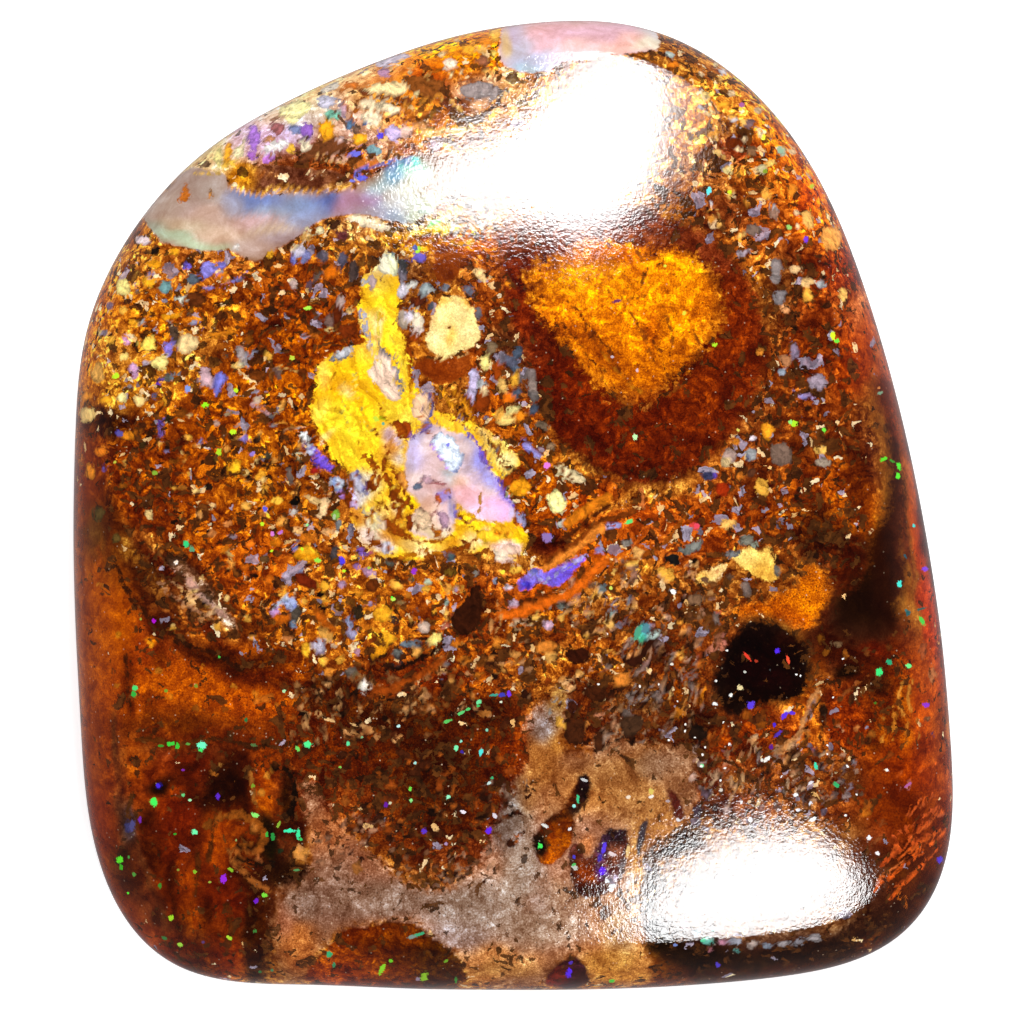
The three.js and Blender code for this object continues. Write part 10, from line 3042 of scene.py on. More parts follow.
    ([(144, 638), (146, 637), (147, 639), (147, 642), (145, 642), (143, 642), (143, 640)], (220, 130, 16)),
    ([(188, 596), (190, 598), (189, 600), (186, 602), (184, 600), (184, 597), (185, 596)], (226, 170, 110)),
    ([(213, 613), (211, 616), (208, 617), (206, 615), (206, 612), (208, 610), (211, 610)], (230, 176, 120)),
    ([(218, 611), (216, 611), (213, 610), (214, 607), (216, 605), (219, 606), (219, 609)], (236, 190, 140)),
    ([(199, 622), (196, 619), (197, 616), (200, 616), (203, 616), (203, 619), (202, 622)], (216, 150, 90)),
    ([(181, 607), (182, 605), (184, 604), (187, 605), (187, 607), (185, 609), (183, 609)], (210, 140, 80)),
    ([(156, 783), (159, 781), (161, 783), (162, 786), (159, 788), (156, 788), (155, 785)], (40, 30, 130)),
    ([(130, 821), (133, 823), (133, 829), (130, 834), (127, 831), (125, 827), (127, 822)], (60, 56, 100)),
    ([(124, 858), (125, 863), (121, 865), (118, 864), (116, 859), (119, 855), (122, 855)], (50, 40, 16)),
    ([(287, 688), (283, 689), (280, 688), (279, 684), (282, 681), (285, 682), (288, 684)], (120, 50, 8)),
    ([(233, 689), (231, 687), (230, 684), (232, 682), (235, 682), (237, 685), (235, 688)], (206, 120, 24)),
    ([(197, 670), (196, 667), (199, 664), (202, 666), (204, 668), (202, 671), (199, 672)], (216, 126, 20)),
    ([(155, 667), (158, 665), (160, 667), (162, 669), (161, 672), (157, 673), (154, 670)], (206, 120, 24)),
    ([(254, 690), (257, 690), (258, 694), (256, 698), (253, 697), (250, 695), (251, 691)], (206, 112, 20)),
    ([(278, 704), (278, 707), (277, 709), (273, 709), (271, 706), (272, 703), (275, 703)], (196, 104, 20)),
    ([(294, 720), (293, 721), (290, 721), (289, 719), (289, 716), (292, 715), (295, 717)], (180, 90, 20)),
    ([(226, 714), (222, 712), (222, 710), (222, 707), (226, 706), (228, 709), (229, 712)], (140, 64, 8)),
    ([(167, 701), (167, 697), (169, 693), (172, 694), (174, 696), (175, 700), (171, 702)], (200, 108, 14)),
    ([(147, 701), (149, 699), (152, 699), (153, 701), (153, 704), (150, 705), (148, 704)], (130, 60, 10)),
    ([(195, 707), (198, 706), (199, 710), (198, 713), (195, 713), (193, 712), (192, 709)], (150, 76, 12)),
    ([(157, 728), (158, 731), (156, 734), (153, 735), (151, 732), (150, 729), (153, 727)], (70, 28, 6)),
    ([(162, 725), (160, 728), (157, 728), (155, 726), (156, 723), (158, 722), (160, 723)], (60, 24, 6)),
    ([(118, 688), (116, 687), (114, 686), (115, 684), (117, 682), (119, 684), (119, 686)], (190, 104, 14)),
    ([(90, 580), (88, 577), (90, 574), (92, 574), (94, 575), (94, 577), (93, 580)], (160, 84, 14)),
    ([(96, 585), (98, 583), (101, 582), (103, 583), (103, 586), (101, 588), (98, 588)], (190, 110, 20)),
    ([(210, 770), (214, 768), (217, 771), (216, 775), (213, 776), (209, 776), (209, 772)], (180, 100, 30)),
    ([(220, 762), (223, 763), (222, 766), (219, 768), (216, 766), (216, 764), (218, 762)], (206, 140, 60)),
    ([(225, 793), (224, 796), (221, 797), (217, 796), (217, 792), (220, 790), (223, 790)], (40, 14, 4)),
    ([(266, 797), (262, 797), (259, 796), (258, 792), (261, 789), (265, 790), (267, 793)], (196, 116, 30)),
    ([(266, 781), (263, 778), (263, 775), (266, 774), (269, 773), (271, 777), (269, 780)], (206, 124, 34)),
    ([(251, 828), (251, 825), (254, 823), (257, 824), (258, 827), (256, 830), (253, 830)], (190, 110, 40)),
    ([(297, 845), (300, 843), (303, 845), (304, 848), (301, 851), (298, 851), (296, 848)], (196, 130, 70)),
    ([(305, 854), (307, 854), (308, 858), (305, 861), (302, 859), (300, 857), (302, 854)], (176, 110, 54)),
    ([(261, 859), (261, 862), (259, 863), (257, 863), (255, 860), (256, 857), (259, 857)], (190, 104, 50)),
    ([(282, 854), (280, 855), (277, 855), (275, 851), (277, 848), (280, 848), (283, 850)], (30, 40, 20)),
    ([(271, 869), (268, 866), (267, 863), (269, 861), (272, 860), (275, 863), (274, 867)], (24, 10, 4)),
    ([(293, 821), (293, 817), (294, 814), (298, 815), (299, 818), (299, 821), (296, 823)], (40, 14, 4)),
    ([(239, 850), (241, 848), (244, 849), (245, 851), (244, 854), (241, 855), (239, 853)], (60, 26, 6)),
    ([(809, 710), (812, 710), (813, 715), (812, 720), (808, 719), (806, 717), (805, 712)], (134, 112, 112)),
    ([(827, 707), (827, 712), (826, 716), (822, 717), (820, 713), (819, 707), (823, 706)], (40, 20, 8)),
    ([(828, 720), (826, 722), (824, 722), (823, 720), (823, 718), (825, 717), (827, 718)], (90, 60, 40)),
    ([(844, 759), (840, 758), (839, 756), (840, 753), (843, 752), (846, 754), (847, 757)], (170, 120, 90)),
    ([(851, 764), (850, 761), (852, 758), (855, 758), (857, 759), (857, 763), (855, 765)], (120, 106, 110)),
    ([(841, 769), (844, 766), (847, 766), (849, 768), (848, 772), (846, 773), (843, 772)], (110, 86, 84)),
    ([(855, 770), (859, 769), (861, 772), (860, 775), (857, 775), (853, 775), (853, 772)], (150, 120, 100)),
    ([(842, 778), (846, 780), (843, 783), (840, 785), (835, 782), (836, 779), (838, 777)], (130, 104, 96)),
    ([(856, 789), (854, 792), (850, 793), (847, 791), (848, 787), (850, 784), (854, 785)], (120, 100, 106)),
    ([(848, 801), (844, 800), (840, 799), (841, 796), (845, 793), (849, 795), (850, 798)], (146, 120, 112)),
    ([(858, 798), (856, 795), (857, 792), (859, 792), (862, 792), (863, 795), (861, 798)], (100, 70, 50)),
    ([(831, 795), (831, 792), (835, 790), (838, 792), (838, 796), (836, 798), (832, 798)], (110, 84, 76)),
    ([(812, 753), (816, 751), (818, 754), (819, 757), (816, 759), (813, 759), (811, 756)], (90, 60, 50)),
    ([(821, 763), (823, 765), (824, 768), (821, 772), (818, 770), (817, 766), (819, 764)], (60, 34, 30)),
    ([(815, 749), (815, 752), (812, 753), (810, 752), (808, 750), (811, 747), (813, 747)], (120, 90, 120)),
    ([(801, 766), (798, 767), (796, 766), (795, 763), (797, 761), (800, 761), (802, 763)], (50, 30, 14)),
    ([(803, 748), (801, 744), (800, 739), (803, 737), (806, 736), (808, 741), (806, 746)], (160, 90, 20)),
    ([(804, 735), (803, 732), (806, 729), (809, 731), (811, 733), (809, 736), (806, 738)], (190, 110, 40)),
    ([(770, 765), (773, 763), (776, 764), (777, 767), (776, 770), (772, 771), (769, 768)], (140, 70, 24)),
    ([(726, 763), (729, 764), (730, 767), (728, 771), (725, 770), (722, 768), (723, 765)], (210, 120, 80)),
    ([(718, 754), (718, 757), (717, 759), (713, 759), (712, 756), (712, 753), (715, 752)], (120, 80, 40)),
    ([(710, 774), (708, 776), (704, 776), (703, 772), (703, 769), (707, 768), (710, 770)], (90, 60, 20)),
    ([(721, 783), (718, 781), (718, 777), (718, 775), (722, 773), (723, 776), (724, 780)], (24, 10, 8)),
    ([(751, 739), (751, 736), (752, 733), (755, 733), (757, 735), (757, 738), (754, 740)], (190, 150, 110)),
    ([(693, 749), (695, 747), (697, 748), (698, 749), (698, 752), (695, 753), (694, 752)], (190, 150, 130)),
    ([(695, 758), (698, 757), (699, 761), (698, 764), (695, 764), (693, 763), (692, 760)], (180, 130, 110)),
    ([(695, 774), (697, 778), (695, 782), (692, 784), (689, 780), (690, 775), (692, 773)], (190, 150, 130)),
    ([(721, 617), (717, 621), (713, 622), (709, 618), (711, 614), (714, 611), (719, 613)], (120, 100, 90)),
    ([(709, 632), (704, 631), (701, 629), (703, 626), (707, 623), (711, 626), (711, 629)], (110, 70, 40)),
    ([(718, 652), (714, 648), (717, 644), (721, 643), (726, 644), (725, 648), (723, 652)], (190, 110, 80)),
    ([(713, 639), (715, 635), (719, 634), (722, 637), (721, 641), (719, 643), (715, 643)], (150, 90, 60)),
    ([(696, 661), (699, 659), (703, 663), (702, 666), (699, 668), (695, 667), (694, 664)], (190, 100, 30)),
    ([(705, 684), (707, 687), (707, 692), (704, 696), (701, 692), (701, 688), (702, 684)], (230, 130, 20)),
    ([(700, 699), (699, 703), (695, 704), (692, 703), (691, 699), (694, 696), (698, 696)], (140, 70, 14)),
    ([(842, 647), (836, 647), (833, 646), (831, 643), (836, 641), (841, 642), (843, 644)], (120, 90, 60)),
    ([(825, 657), (823, 654), (822, 651), (825, 650), (829, 649), (831, 653), (828, 656)], (140, 76, 14)),
    ([(817, 641), (816, 636), (820, 632), (823, 635), (826, 640), (823, 644), (819, 645)], (110, 60, 8)),
    ([(842, 653), (846, 651), (848, 653), (850, 657), (847, 659), (844, 659), (841, 656)], (150, 80, 20)),
    ([(877, 650), (879, 651), (880, 654), (878, 656), (874, 655), (871, 653), (873, 651)], (170, 60, 16)),
    ([(871, 651), (871, 654), (869, 656), (866, 656), (864, 653), (866, 650), (868, 650)], (120, 60, 20)),
    ([(893, 649), (891, 651), (887, 650), (886, 647), (888, 644), (891, 644), (894, 646)], (90, 40, 10)),
    ([(923, 660), (919, 654), (919, 648), (920, 644), (925, 641), (928, 648), (928, 656)], (150, 70, 30)),
    ([(928, 677), (929, 670), (930, 664), (934, 666), (935, 671), (935, 677), (931, 682)], (190, 110, 60)),
    ([(869, 732), (872, 729), (877, 730), (878, 733), (877, 736), (872, 737), (869, 735)], (150, 80, 20)),
    ([(867, 738), (871, 738), (872, 742), (870, 746), (866, 745), (864, 744), (863, 740)], (70, 30, 8)),
    ([(894, 753), (894, 756), (892, 759), (888, 760), (886, 757), (886, 753), (890, 752)], (130, 56, 12)),
    ([(933, 721), (930, 723), (927, 723), (925, 720), (926, 717), (929, 716), (932, 717)], (160, 100, 60)),
    ([(935, 739), (933, 738), (932, 736), (933, 735), (935, 734), (936, 735), (936, 737)], (60, 50, 90)),
    ([(854, 731), (853, 728), (855, 725), (858, 725), (860, 726), (859, 729), (857, 732)], (190, 110, 50)),
    ([(839, 730), (840, 728), (842, 728), (844, 729), (843, 731), (842, 732), (840, 732)], (220, 150, 100)),
    ([(836, 719), (839, 718), (842, 722), (840, 725), (837, 726), (834, 725), (834, 721)], (150, 64, 10)),
    ([(868, 811), (873, 813), (869, 817), (864, 819), (858, 816), (860, 812), (863, 810)], (190, 100, 20)),
    ([(874, 806), (871, 809), (867, 810), (862, 808), (863, 804), (867, 801), (872, 802)], (160, 80, 20)),
    ([(885, 827), (880, 827), (876, 824), (877, 820), (881, 816), (886, 819), (887, 823)], (130, 60, 20)),
    ([(705, 800), (702, 796), (702, 791), (707, 790), (711, 791), (712, 795), (709, 800)], (90, 70, 80)),
    ([(693, 812), (694, 807), (699, 805), (703, 808), (704, 813), (700, 816), (695, 816)], (70, 50, 60)),
    ([(691, 819), (696, 816), (700, 820), (701, 825), (697, 827), (692, 827), (689, 822)], (110, 90, 100)),
    ([(716, 805), (719, 806), (719, 810), (716, 813), (712, 811), (710, 808), (713, 805)], (60, 36, 30)),
    ([(730, 810), (731, 814), (726, 816), (723, 815), (720, 810), (724, 806), (728, 807)], (190, 160, 150)),
    ([(710, 834), (706, 835), (704, 833), (702, 830), (705, 826), (708, 827), (712, 830)], (130, 120, 130)),
    ([(759, 813), (756, 810), (755, 807), (758, 805), (762, 804), (764, 808), (763, 812)], (130, 90, 80)),
    ([(771, 807), (772, 804), (775, 802), (779, 803), (782, 806), (780, 808), (775, 809)], (120, 84, 70)),
    ([(786, 809), (789, 808), (793, 809), (795, 812), (793, 814), (789, 814), (785, 812)], (150, 130, 130)),
    ([(807, 802), (810, 803), (810, 806), (809, 810), (805, 809), (803, 807), (803, 804)], (90, 60, 50)),
    ([(828, 809), (827, 813), (825, 815), (821, 815), (820, 812), (820, 808), (824, 807)], (100, 80, 90)),
    ([(824, 802), (821, 804), (818, 803), (817, 800), (818, 797), (821, 796), (824, 798)], (120, 90, 80)),
    ([(802, 798), (798, 796), (798, 794), (799, 792), (802, 791), (804, 793), (804, 796)], (60, 36, 30)),
]
# crisp threads: points, half width, colour
THREADS = [
    ([(422, 235), (433, 233), (443, 236), (456, 235)], 2.2, (110, 44, 6)),
    ([(539, 108), (543, 118), (549, 109)], 1.3, (120, 80, 50)),
    ([(272, 609), (279, 604), (285, 600)], 1.1, (200, 210, 235)),
    ([(478, 424), (487, 441), (500, 459), (519, 472), (537, 480)], 1.7, (80, 34, 8)),
    ([(796, 392), (801, 397), (809, 396), (816, 400)], 1.1, (190, 160, 210)),
    ([(623, 565), (645, 556), (666, 543), (679, 526), (688, 515)], 2.0, (150, 70, 10)),
    ([(872, 893), (897, 873), (928, 849), (946, 829)], 1.1, (236, 96, 24)),
    ([(879, 887), (906, 862), (932, 842)], 0.8, (236, 96, 24)),
    ([(908, 829), (921, 820)], 0.9, (236, 96, 24)),
    ([(895, 864), (917, 846), (939, 829)], 0.9, (236, 96, 24)),
    ([(883, 875), (903, 858), (921, 840)], 0.7, (236, 96, 24)),
    ([(901, 887), (924, 864), (944, 842)], 0.8, (236, 96, 24)),
    ([(919, 858), (941, 835), (950, 824)], 0.7, (236, 96, 24)),
    ([(890, 900), (908, 882), (924, 867)], 0.7, (236, 96, 24)),
    ([(928, 824), (944, 811)], 0.7, (236, 96, 24)),
    ([(910, 806), (932, 793)], 0.7, (236, 96, 24)),
    ([(917, 775), (937, 762)], 0.7, (236, 96, 24)),
    ([(897, 891), (900, 900), (905, 898), (908, 913)], 1.1, (240, 120, 30)),
    ([(384, 349), (390, 359), (397, 369), (394, 379), (401, 396)], 1.4, (112, 118, 134)),
    ([(332, 360), (342, 357), (354, 353)], 0.9, (110, 116, 130)),
    ([(361, 314), (366, 335)], 1.1, (120, 124, 140)),
    ([(306, 444), (315, 460), (329, 471)], 0.9, (70, 50, 170)),
    ([(349, 487), (356, 476)], 1.8, (150, 70, 8)),
    ([(363, 457), (372, 468), (382, 480)], 1.2, (186, 96, 8)),
    ([(377, 468), (388, 484), (395, 498), (391, 509)], 2.1, (150, 66, 6)),
    ([(375, 485), (381, 498), (379, 512)], 1.8, (130, 56, 6)),
    ([(356, 457), (366, 471), (374, 484)], 0.9, (206, 120, 14)),
    ([(391, 473), (398, 487)], 1.6, (170, 80, 8)),
    ([(402, 505), (395, 523), (402, 534)], 3.2, (160, 74, 8)),
    ([(384, 519), (395, 534), (409, 537)], 2.9, (150, 66, 6)),
    ([(374, 509), (366, 519)], 1.4, (150, 70, 8)),
    ([(413, 541), (431, 541), (449, 534)], 1.4, (176, 90, 10)),
    ([(370, 548), (381, 541), (391, 550)], 1.1, (186, 96, 20)),
    ([(402, 557), (424, 551), (449, 550)], 1.2, (206, 120, 14)),
    ([(461, 514), (470, 525), (479, 532)], 1.6, (140, 60, 6)),
    ([(488, 523), (499, 525), (509, 522)], 1.2, (220, 140, 10)),
    ([(495, 534), (506, 532), (509, 537)], 1.4, (206, 110, 10)),
    ([(456, 534), (466, 546), (475, 551)], 1.4, (120, 50, 8)),
    ([(409, 441), (420, 432), (431, 426)], 1.1, (140, 110, 180)),
    ([(432, 441), (438, 455), (446, 468)], 1.4, (206, 140, 240)),
    ([(454, 471), (462, 466), (464, 455)], 0.7, (150, 160, 200)),
    ([(463, 436), (474, 442), (488, 462), (500, 482), (515, 507)], 1.4, (112, 84, 206)),
    ([(481, 451), (495, 473), (506, 491)], 0.7, (90, 70, 180)),
    ([(420, 392), (429, 396), (433, 407), (432, 416)], 1.6, (112, 100, 150)),
    ([(424, 423), (434, 421), (443, 428)], 1.1, (120, 110, 160)),
    ([(438, 494), (447, 492), (454, 503), (457, 516)], 1.4, (140, 120, 200)),
    ([(456, 503), (466, 512), (481, 521)], 1.2, (250, 180, 20)),
    ([(434, 516), (436, 509)], 1.4, (190, 120, 110)),
    ([(420, 480), (431, 482), (447, 485)], 1.2, (180, 110, 110)),
    ([(438, 532), (443, 525)], 1.8, (200, 110, 20)),
    ([(434, 526), (438, 534)], 1.6, (170, 90, 20)),
    ([(438, 387), (449, 401), (461, 416)], 1.6, (246, 160, 20)),
    ([(443, 385), (456, 400), (466, 418)], 1.2, (120, 48, 6)),
    ([(450, 387), (461, 401), (472, 419)], 1.4, (236, 150, 20)),
    ([(456, 387), (466, 401)], 1.1, (110, 42, 6)),
    ([(432, 391), (443, 407)], 1.2, (150, 66, 6)),
    ([(458, 391), (470, 403), (479, 419)], 1.2, (150, 66, 6)),
    ([(493, 445), (498, 450)], 1.1, (110, 106, 110)),
    ([(474, 428), (484, 441), (495, 460), (500, 476)], 0.9, (250, 214, 130)),
    ([(475, 426), (488, 437), (506, 451)], 0.7, (206, 130, 40)),
    ([(395, 321), (399, 326)], 1.1, (170, 80, 20)),
    ([(381, 279), (384, 282)], 1.2, (120, 60, 20)),
    ([(397, 287), (399, 292)], 1.2, (100, 50, 20)),
    ([(406, 344), (409, 366), (411, 382)], 1.6, (150, 60, 6)),
    ([(402, 241), (431, 237), (449, 241), (474, 239)], 2.5, (180, 80, 6)),
    ([(409, 246), (431, 241), (456, 244), (472, 246)], 1.2, (252, 170, 20)),
    ([(300, 424), (311, 422), (315, 425)], 1.6, (236, 140, 14)),
    ([(446, 326), (450, 327)], 1.1, (130, 60, 10)),
    ([(334, 248), (338, 259), (343, 271), (349, 280)], 0.9, (206, 150, 80)),
    ([(339, 264), (344, 273)], 0.9, (60, 56, 70)),
    ([(361, 91), (378, 96), (392, 97), (409, 104)], 2.9, (118, 56, 24)),
    ([(354, 102), (369, 97)], 1.7, (140, 70, 20)),
    ([(355, 109), (369, 108), (380, 112)], 1.4, (170, 90, 30)),
    ([(402, 110), (421, 114), (438, 115)], 2.1, (200, 110, 30)),
    ([(383, 120), (397, 115), (414, 120), (435, 118)], 1.7, (150, 70, 16)),
    ([(342, 91), (347, 106), (354, 120)], 1.9, (196, 110, 40)),
    ([(414, 101), (430, 103), (442, 96)], 1.7, (206, 130, 40)),
    ([(483, 82), (502, 91), (495, 108), (473, 115)], 1.4, (90, 60, 50)),
    ([(426, 70), (450, 72), (469, 68)], 1.7, (190, 100, 20)),
    ([(461, 53), (473, 60), (483, 72)], 1.7, (190, 96, 16)),
    ([(445, 80), (459, 80), (473, 77)], 1.7, (180, 90, 20)),
    ([(314, 153), (326, 160), (342, 163)], 1.4, (236, 180, 110)),
    ([(304, 163), (321, 158), (335, 160)], 1.2, (90, 40, 20)),
    ([(271, 120), (288, 115), (302, 118)], 1.2, (170, 120, 90)),
    ([(245, 132), (245, 149)], 1.4, (226, 200, 170)),
    ([(211, 144), (221, 139), (242, 134)], 1.4, (240, 200, 140)),
    ([(188, 163), (202, 153), (219, 141)], 1.9, (236, 200, 130)),
    ([(195, 172), (211, 170), (221, 172)], 1.7, (240, 190, 90)),
    ([(354, 172), (378, 163), (400, 159)], 1.4, (90, 110, 210)),
    ([(388, 163), (402, 160), (414, 156)], 2.1, (130, 190, 220)),
    ([(547, 566), (572, 551), (603, 529)], 4.7, (226, 128, 40)),
    ([(550, 559), (575, 542), (603, 522), (638, 509)], 2.8, (124, 54, 8)),
    ([(567, 522), (588, 509), (606, 499)], 5.6, (206, 112, 16)),
    ([(559, 541), (581, 525), (609, 508)], 2.2, (84, 34, 6)),
    ([(500, 616), (531, 610), (562, 598), (591, 576), (606, 562)], 5.3, (206, 92, 12)),
    ([(506, 603), (534, 600), (559, 591)], 1.9, (110, 44, 6)),
    ([(530, 572), (544, 583), (562, 569), (588, 556)], 1.6, (180, 170, 230)),
    ([(639, 491), (641, 500), (642, 509)], 1.6, (236, 130, 60)),
    ([(559, 466), (580, 478)], 1.2, (110, 70, 30)),
    ([(556, 475), (573, 484)], 1.2, (226, 202, 152)),
    ([(519, 438), (550, 459), (575, 481), (594, 500)], 1.6, (120, 54, 10)),
    ([(566, 300), (590, 330), (612, 352)], 1.1, (120, 50, 6)),
    ([(585, 330), (610, 360), (630, 382)], 1.2, (110, 44, 6)),
    ([(560, 322), (580, 345), (604, 372)], 1.4, (96, 38, 6)),
    ([(620, 300), (640, 330), (650, 360)], 1.0, (150, 70, 8)),
    ([(640, 330), (660, 352), (666, 376)], 1.2, (130, 56, 8)),
    ([(600, 350), (622, 378), (640, 392)], 1.0, (206, 120, 14)),
    ([(660, 300), (672, 330), (670, 350)], 1.0, (160, 80, 10)),
    ([(600, 376), (616, 394), (632, 408)], 1.2, (150, 74, 10)),
    ([(650, 390), (668, 396), (684, 384)], 1.2, (140, 66, 10)),
    ([(690, 330), (700, 345), (696, 362)], 1.1, (140, 66, 8)),
    ([(636, 250), (644, 268), (640, 284)], 1.2, (150, 74, 10)),
    ([(604, 290), (626, 300), (644, 296)], 0.8, (170, 92, 10)),
    ([(341, 465), (355, 491), (364, 517), (372, 537)], 1.5, (156, 74, 6)),
    ([(368, 454), (378, 482), (384, 508), (387, 534)], 1.6, (140, 62, 6)),
    ([(383, 447), (393, 473), (399, 500), (405, 530)], 1.3, (150, 66, 6)),
    ([(394, 473), (404, 491), (414, 513), (420, 534)], 1.6, (130, 56, 8)),
    ([(355, 439), (365, 456), (373, 474)], 1.1, (190, 100, 8)),
    ([(377, 404), (390, 421), (405, 436)], 1.3, (170, 84, 8)),
    ([(416, 403), (426, 426), (433, 434)], 1.1, (186, 96, 20)),
    ([(433, 408), (456, 421), (478, 439)], 1.3, (176, 86, 10)),
    ([(473, 421), (491, 443), (508, 470)], 1.3, (160, 74, 10)),
    ([(464, 427), (481, 447), (500, 474), (507, 495)], 1.1, (150, 70, 16)),
    ([(407, 537), (433, 553), (464, 547), (481, 534)], 1.4, (150, 66, 6)),
    ([(355, 530), (377, 544), (395, 556)], 1.3, (130, 54, 6)),
    ([(332, 472), (342, 495), (356, 515)], 1.3, (140, 60, 8)),
    ([(373, 491), (380, 513), (381, 534)], 1.0, (250, 196, 40)),
    ([(391, 487), (398, 508), (401, 530)], 1.1, (255, 206, 60)),
    ([(379, 500), (391, 508), (412, 508)], 1.0, (120, 48, 6)),
    ([(366, 473), (391, 482), (404, 473)], 1.0, (126, 50, 6)),
    ([(316, 360), (312, 387), (311, 413), (317, 434)], 1.1, (200, 110, 10)),
    ([(338, 360), (332, 387), (335, 413)], 0.9, (214, 140, 16)),
    ([(355, 373), (360, 404), (368, 430)], 1.0, (255, 226, 90)),
    ([(347, 382), (342, 413), (351, 439)], 0.9, (255, 226, 80)),
    ([(377, 308), (379, 334), (377, 352)], 1.0, (255, 226, 80)),
    ([(392, 334), (399, 360), (404, 387)], 1.1, (255, 214, 60)),
    ([(404, 352), (408, 373), (410, 395)], 1.0, (206, 120, 10)),
    ([(360, 500), (369, 522), (384, 543)], 1.3, (250, 232, 186)),
    ([(373, 508), (377, 530)], 1.1, (250, 226, 170)),
    ([(366, 344), (377, 360), (391, 383)], 1.3, (250, 220, 160)),
    ([(360, 309), (366, 330), (373, 344)], 1.6, (176, 164, 190)),
    ([(380, 344), (389, 363), (399, 387)], 1.8, (136, 126, 132)),
    ([(383, 360), (391, 373), (394, 387)], 1.3, (196, 160, 150)),
    ([(316, 473), (325, 491), (332, 495)], 1.3, (236, 170, 90)),
    ([(307, 439), (320, 456), (333, 467)], 1.9, (132, 96, 206)),
    ([(302, 434), (312, 447)], 1.5, (226, 226, 226)),
    ([(333, 479), (339, 493)], 1.7, (130, 150, 200)),
    ([(355, 473), (371, 492)], 1.7, (140, 130, 180)),
    ([(420, 508), (433, 517), (452, 530)], 1.1, (150, 110, 90)),
    ([(468, 526), (481, 508), (481, 491)], 1.0, (220, 150, 60)),
    ([(481, 456), (499, 478), (504, 500)], 1.3, (150, 120, 206)),
    ([(507, 473), (506, 491), (516, 500)], 1.0, (176, 190, 120)),
    ([(420, 405), (429, 417)], 1.3, (150, 120, 130)),
    ([(455, 417), (468, 434)], 1.1, (160, 150, 180)),
    ([(893, 838), (905, 828), (922, 818), (938, 808)], 1.8, (206, 84, 30)),
    ([(890, 850), (905, 842), (925, 826), (944, 812)], 1.4, (214, 92, 30)),
    ([(880, 866), (898, 852), (915, 842), (936, 830)], 1.6, (196, 76, 24)),
    ([(876, 880), (890, 870), (905, 862)], 1.6, (214, 110, 50)),
    ([(905, 815), (925, 803), (940, 792)], 1.2, (190, 80, 30)),
    ([(896, 780), (905, 772)], 1.2, (190, 84, 30)),
    ([(888, 892), (900, 884), (912, 874)], 1.3, (176, 70, 20)),
    ([(872, 845), (882, 836)], 1.2, (170, 90, 40)),
    ([(210, 288), (225, 288), (238, 281), (248, 270)], 1.2, (150, 140, 220)),
    ([(230, 282), (239, 283), (243, 278)], 1.0, (110, 100, 110)),
    ([(166, 306), (178, 308), (188, 314)], 1.0, (28, 12, 6)),
    # crisp grains: x, y, radii, turn, colour; a few tiny white ones are painted glints
    ([(250, 405), (260, 408), (269, 412)], 1.2, (206, 150, 150)),
    ([(199, 439), (205, 445), (211, 450)], 1.0, (150, 140, 190)),
    ([(220, 446), (219, 452), (215, 456)], 1.0, (80, 60, 50)),
    ([(215, 380), (218, 390)], 0.8, (150, 140, 180)),
    ([(250, 392), (265, 393)], 1.0, (170, 150, 170)),
    ([(235, 425), (241, 422), (248, 426)], 0.8, (190, 150, 140)),
    ([(275, 424), (284, 421), (292, 425)], 1.0, (206, 130, 40)),
    ([(258, 350), (250, 358), (248, 370)], 0.8, (150, 150, 170)),
    ([(228, 464), (222, 470)], 1.0, (40, 18, 6)),
    ([(248, 480), (265, 488)], 0.8, (110, 50, 8)),
    ([(182, 442), (175, 455), (180, 465)], 0.8, (90, 40, 8)),
    ([(192, 322), (200, 326), (203, 330)], 0.8, (160, 150, 200)),
    ([(280, 365), (292, 369)], 1.0, (236, 180, 90)),
    ([(450, 640), (438, 650), (420, 660), (400, 670), (386, 674)], 2.2, (32, 12, 4)),
    ([(318, 635), (325, 640), (335, 646)], 1.0, (232, 192, 150)),
    ([(443, 660), (430, 670), (410, 682), (390, 690), (375, 692)], 4.0, (140, 58, 8)),
    ([(440, 668), (420, 680), (400, 688)], 1.2, (176, 80, 14)),
    ([(450, 615), (440, 630), (445, 638)], 1.0, (180, 80, 40)),
    ([(455, 582), (450, 592), (440, 595)], 1.0, (236, 160, 60)),
    ([(390, 560), (420, 562), (440, 558), (462, 550)], 1.2, (110, 50, 8)),
    ([(495, 602), (500, 620), (496, 632)], 1.0, (216, 150, 80)),
    ([(485, 640), (470, 640), (455, 650)], 1.0, (206, 130, 50)),
    ([(300, 695), (320, 680), (335, 670)], 1.0, (90, 40, 8)),
    ([(522, 660), (532, 655), (540, 662)], 1.0, (170, 110, 60)),
    ([(510, 625), (520, 620), (532, 625)], 1.0, (206, 170, 130)),
    ([(500, 660), (510, 665), (522, 664)], 0.8, (190, 130, 80)),
    ([(658, 635), (648, 650), (640, 658)], 1.2, (44, 16, 6)),
    ([(622, 690), (630, 702), (625, 715)], 1.0, (150, 130, 120)),
    ([(635, 690), (645, 700), (658, 698)], 1.0, (160, 140, 130)),
    ([(650, 685), (658, 690), (655, 705)], 1.0, (140, 116, 110)),
    ([(560, 685), (572, 680), (588, 682)], 1.0, (226, 170, 110)),
    ([(555, 695), (568, 690), (578, 695)], 1.0, (206, 150, 90)),
    ([(608, 705), (615, 720), (618, 738)], 1.0, (190, 140, 100)),
    ([(600, 748), (612, 745), (622, 750)], 1.0, (176, 130, 90)),
    ([(788, 765), (792, 750), (798, 738)], 1.2, (206, 150, 110)),
    ([(752, 735), (755, 748)], 1.0, (196, 150, 120)),
    ([(688, 688), (686, 700), (685, 712)], 1.0, (190, 120, 50)),
    ([(692, 690), (695, 680), (690, 670)], 1.0, (150, 120, 110)),
    ([(700, 598), (690, 608), (688, 620)], 1.0, (100, 60, 30)),
    ([(615, 652), (630, 652), (642, 648)], 1.0, (240, 160, 90)),
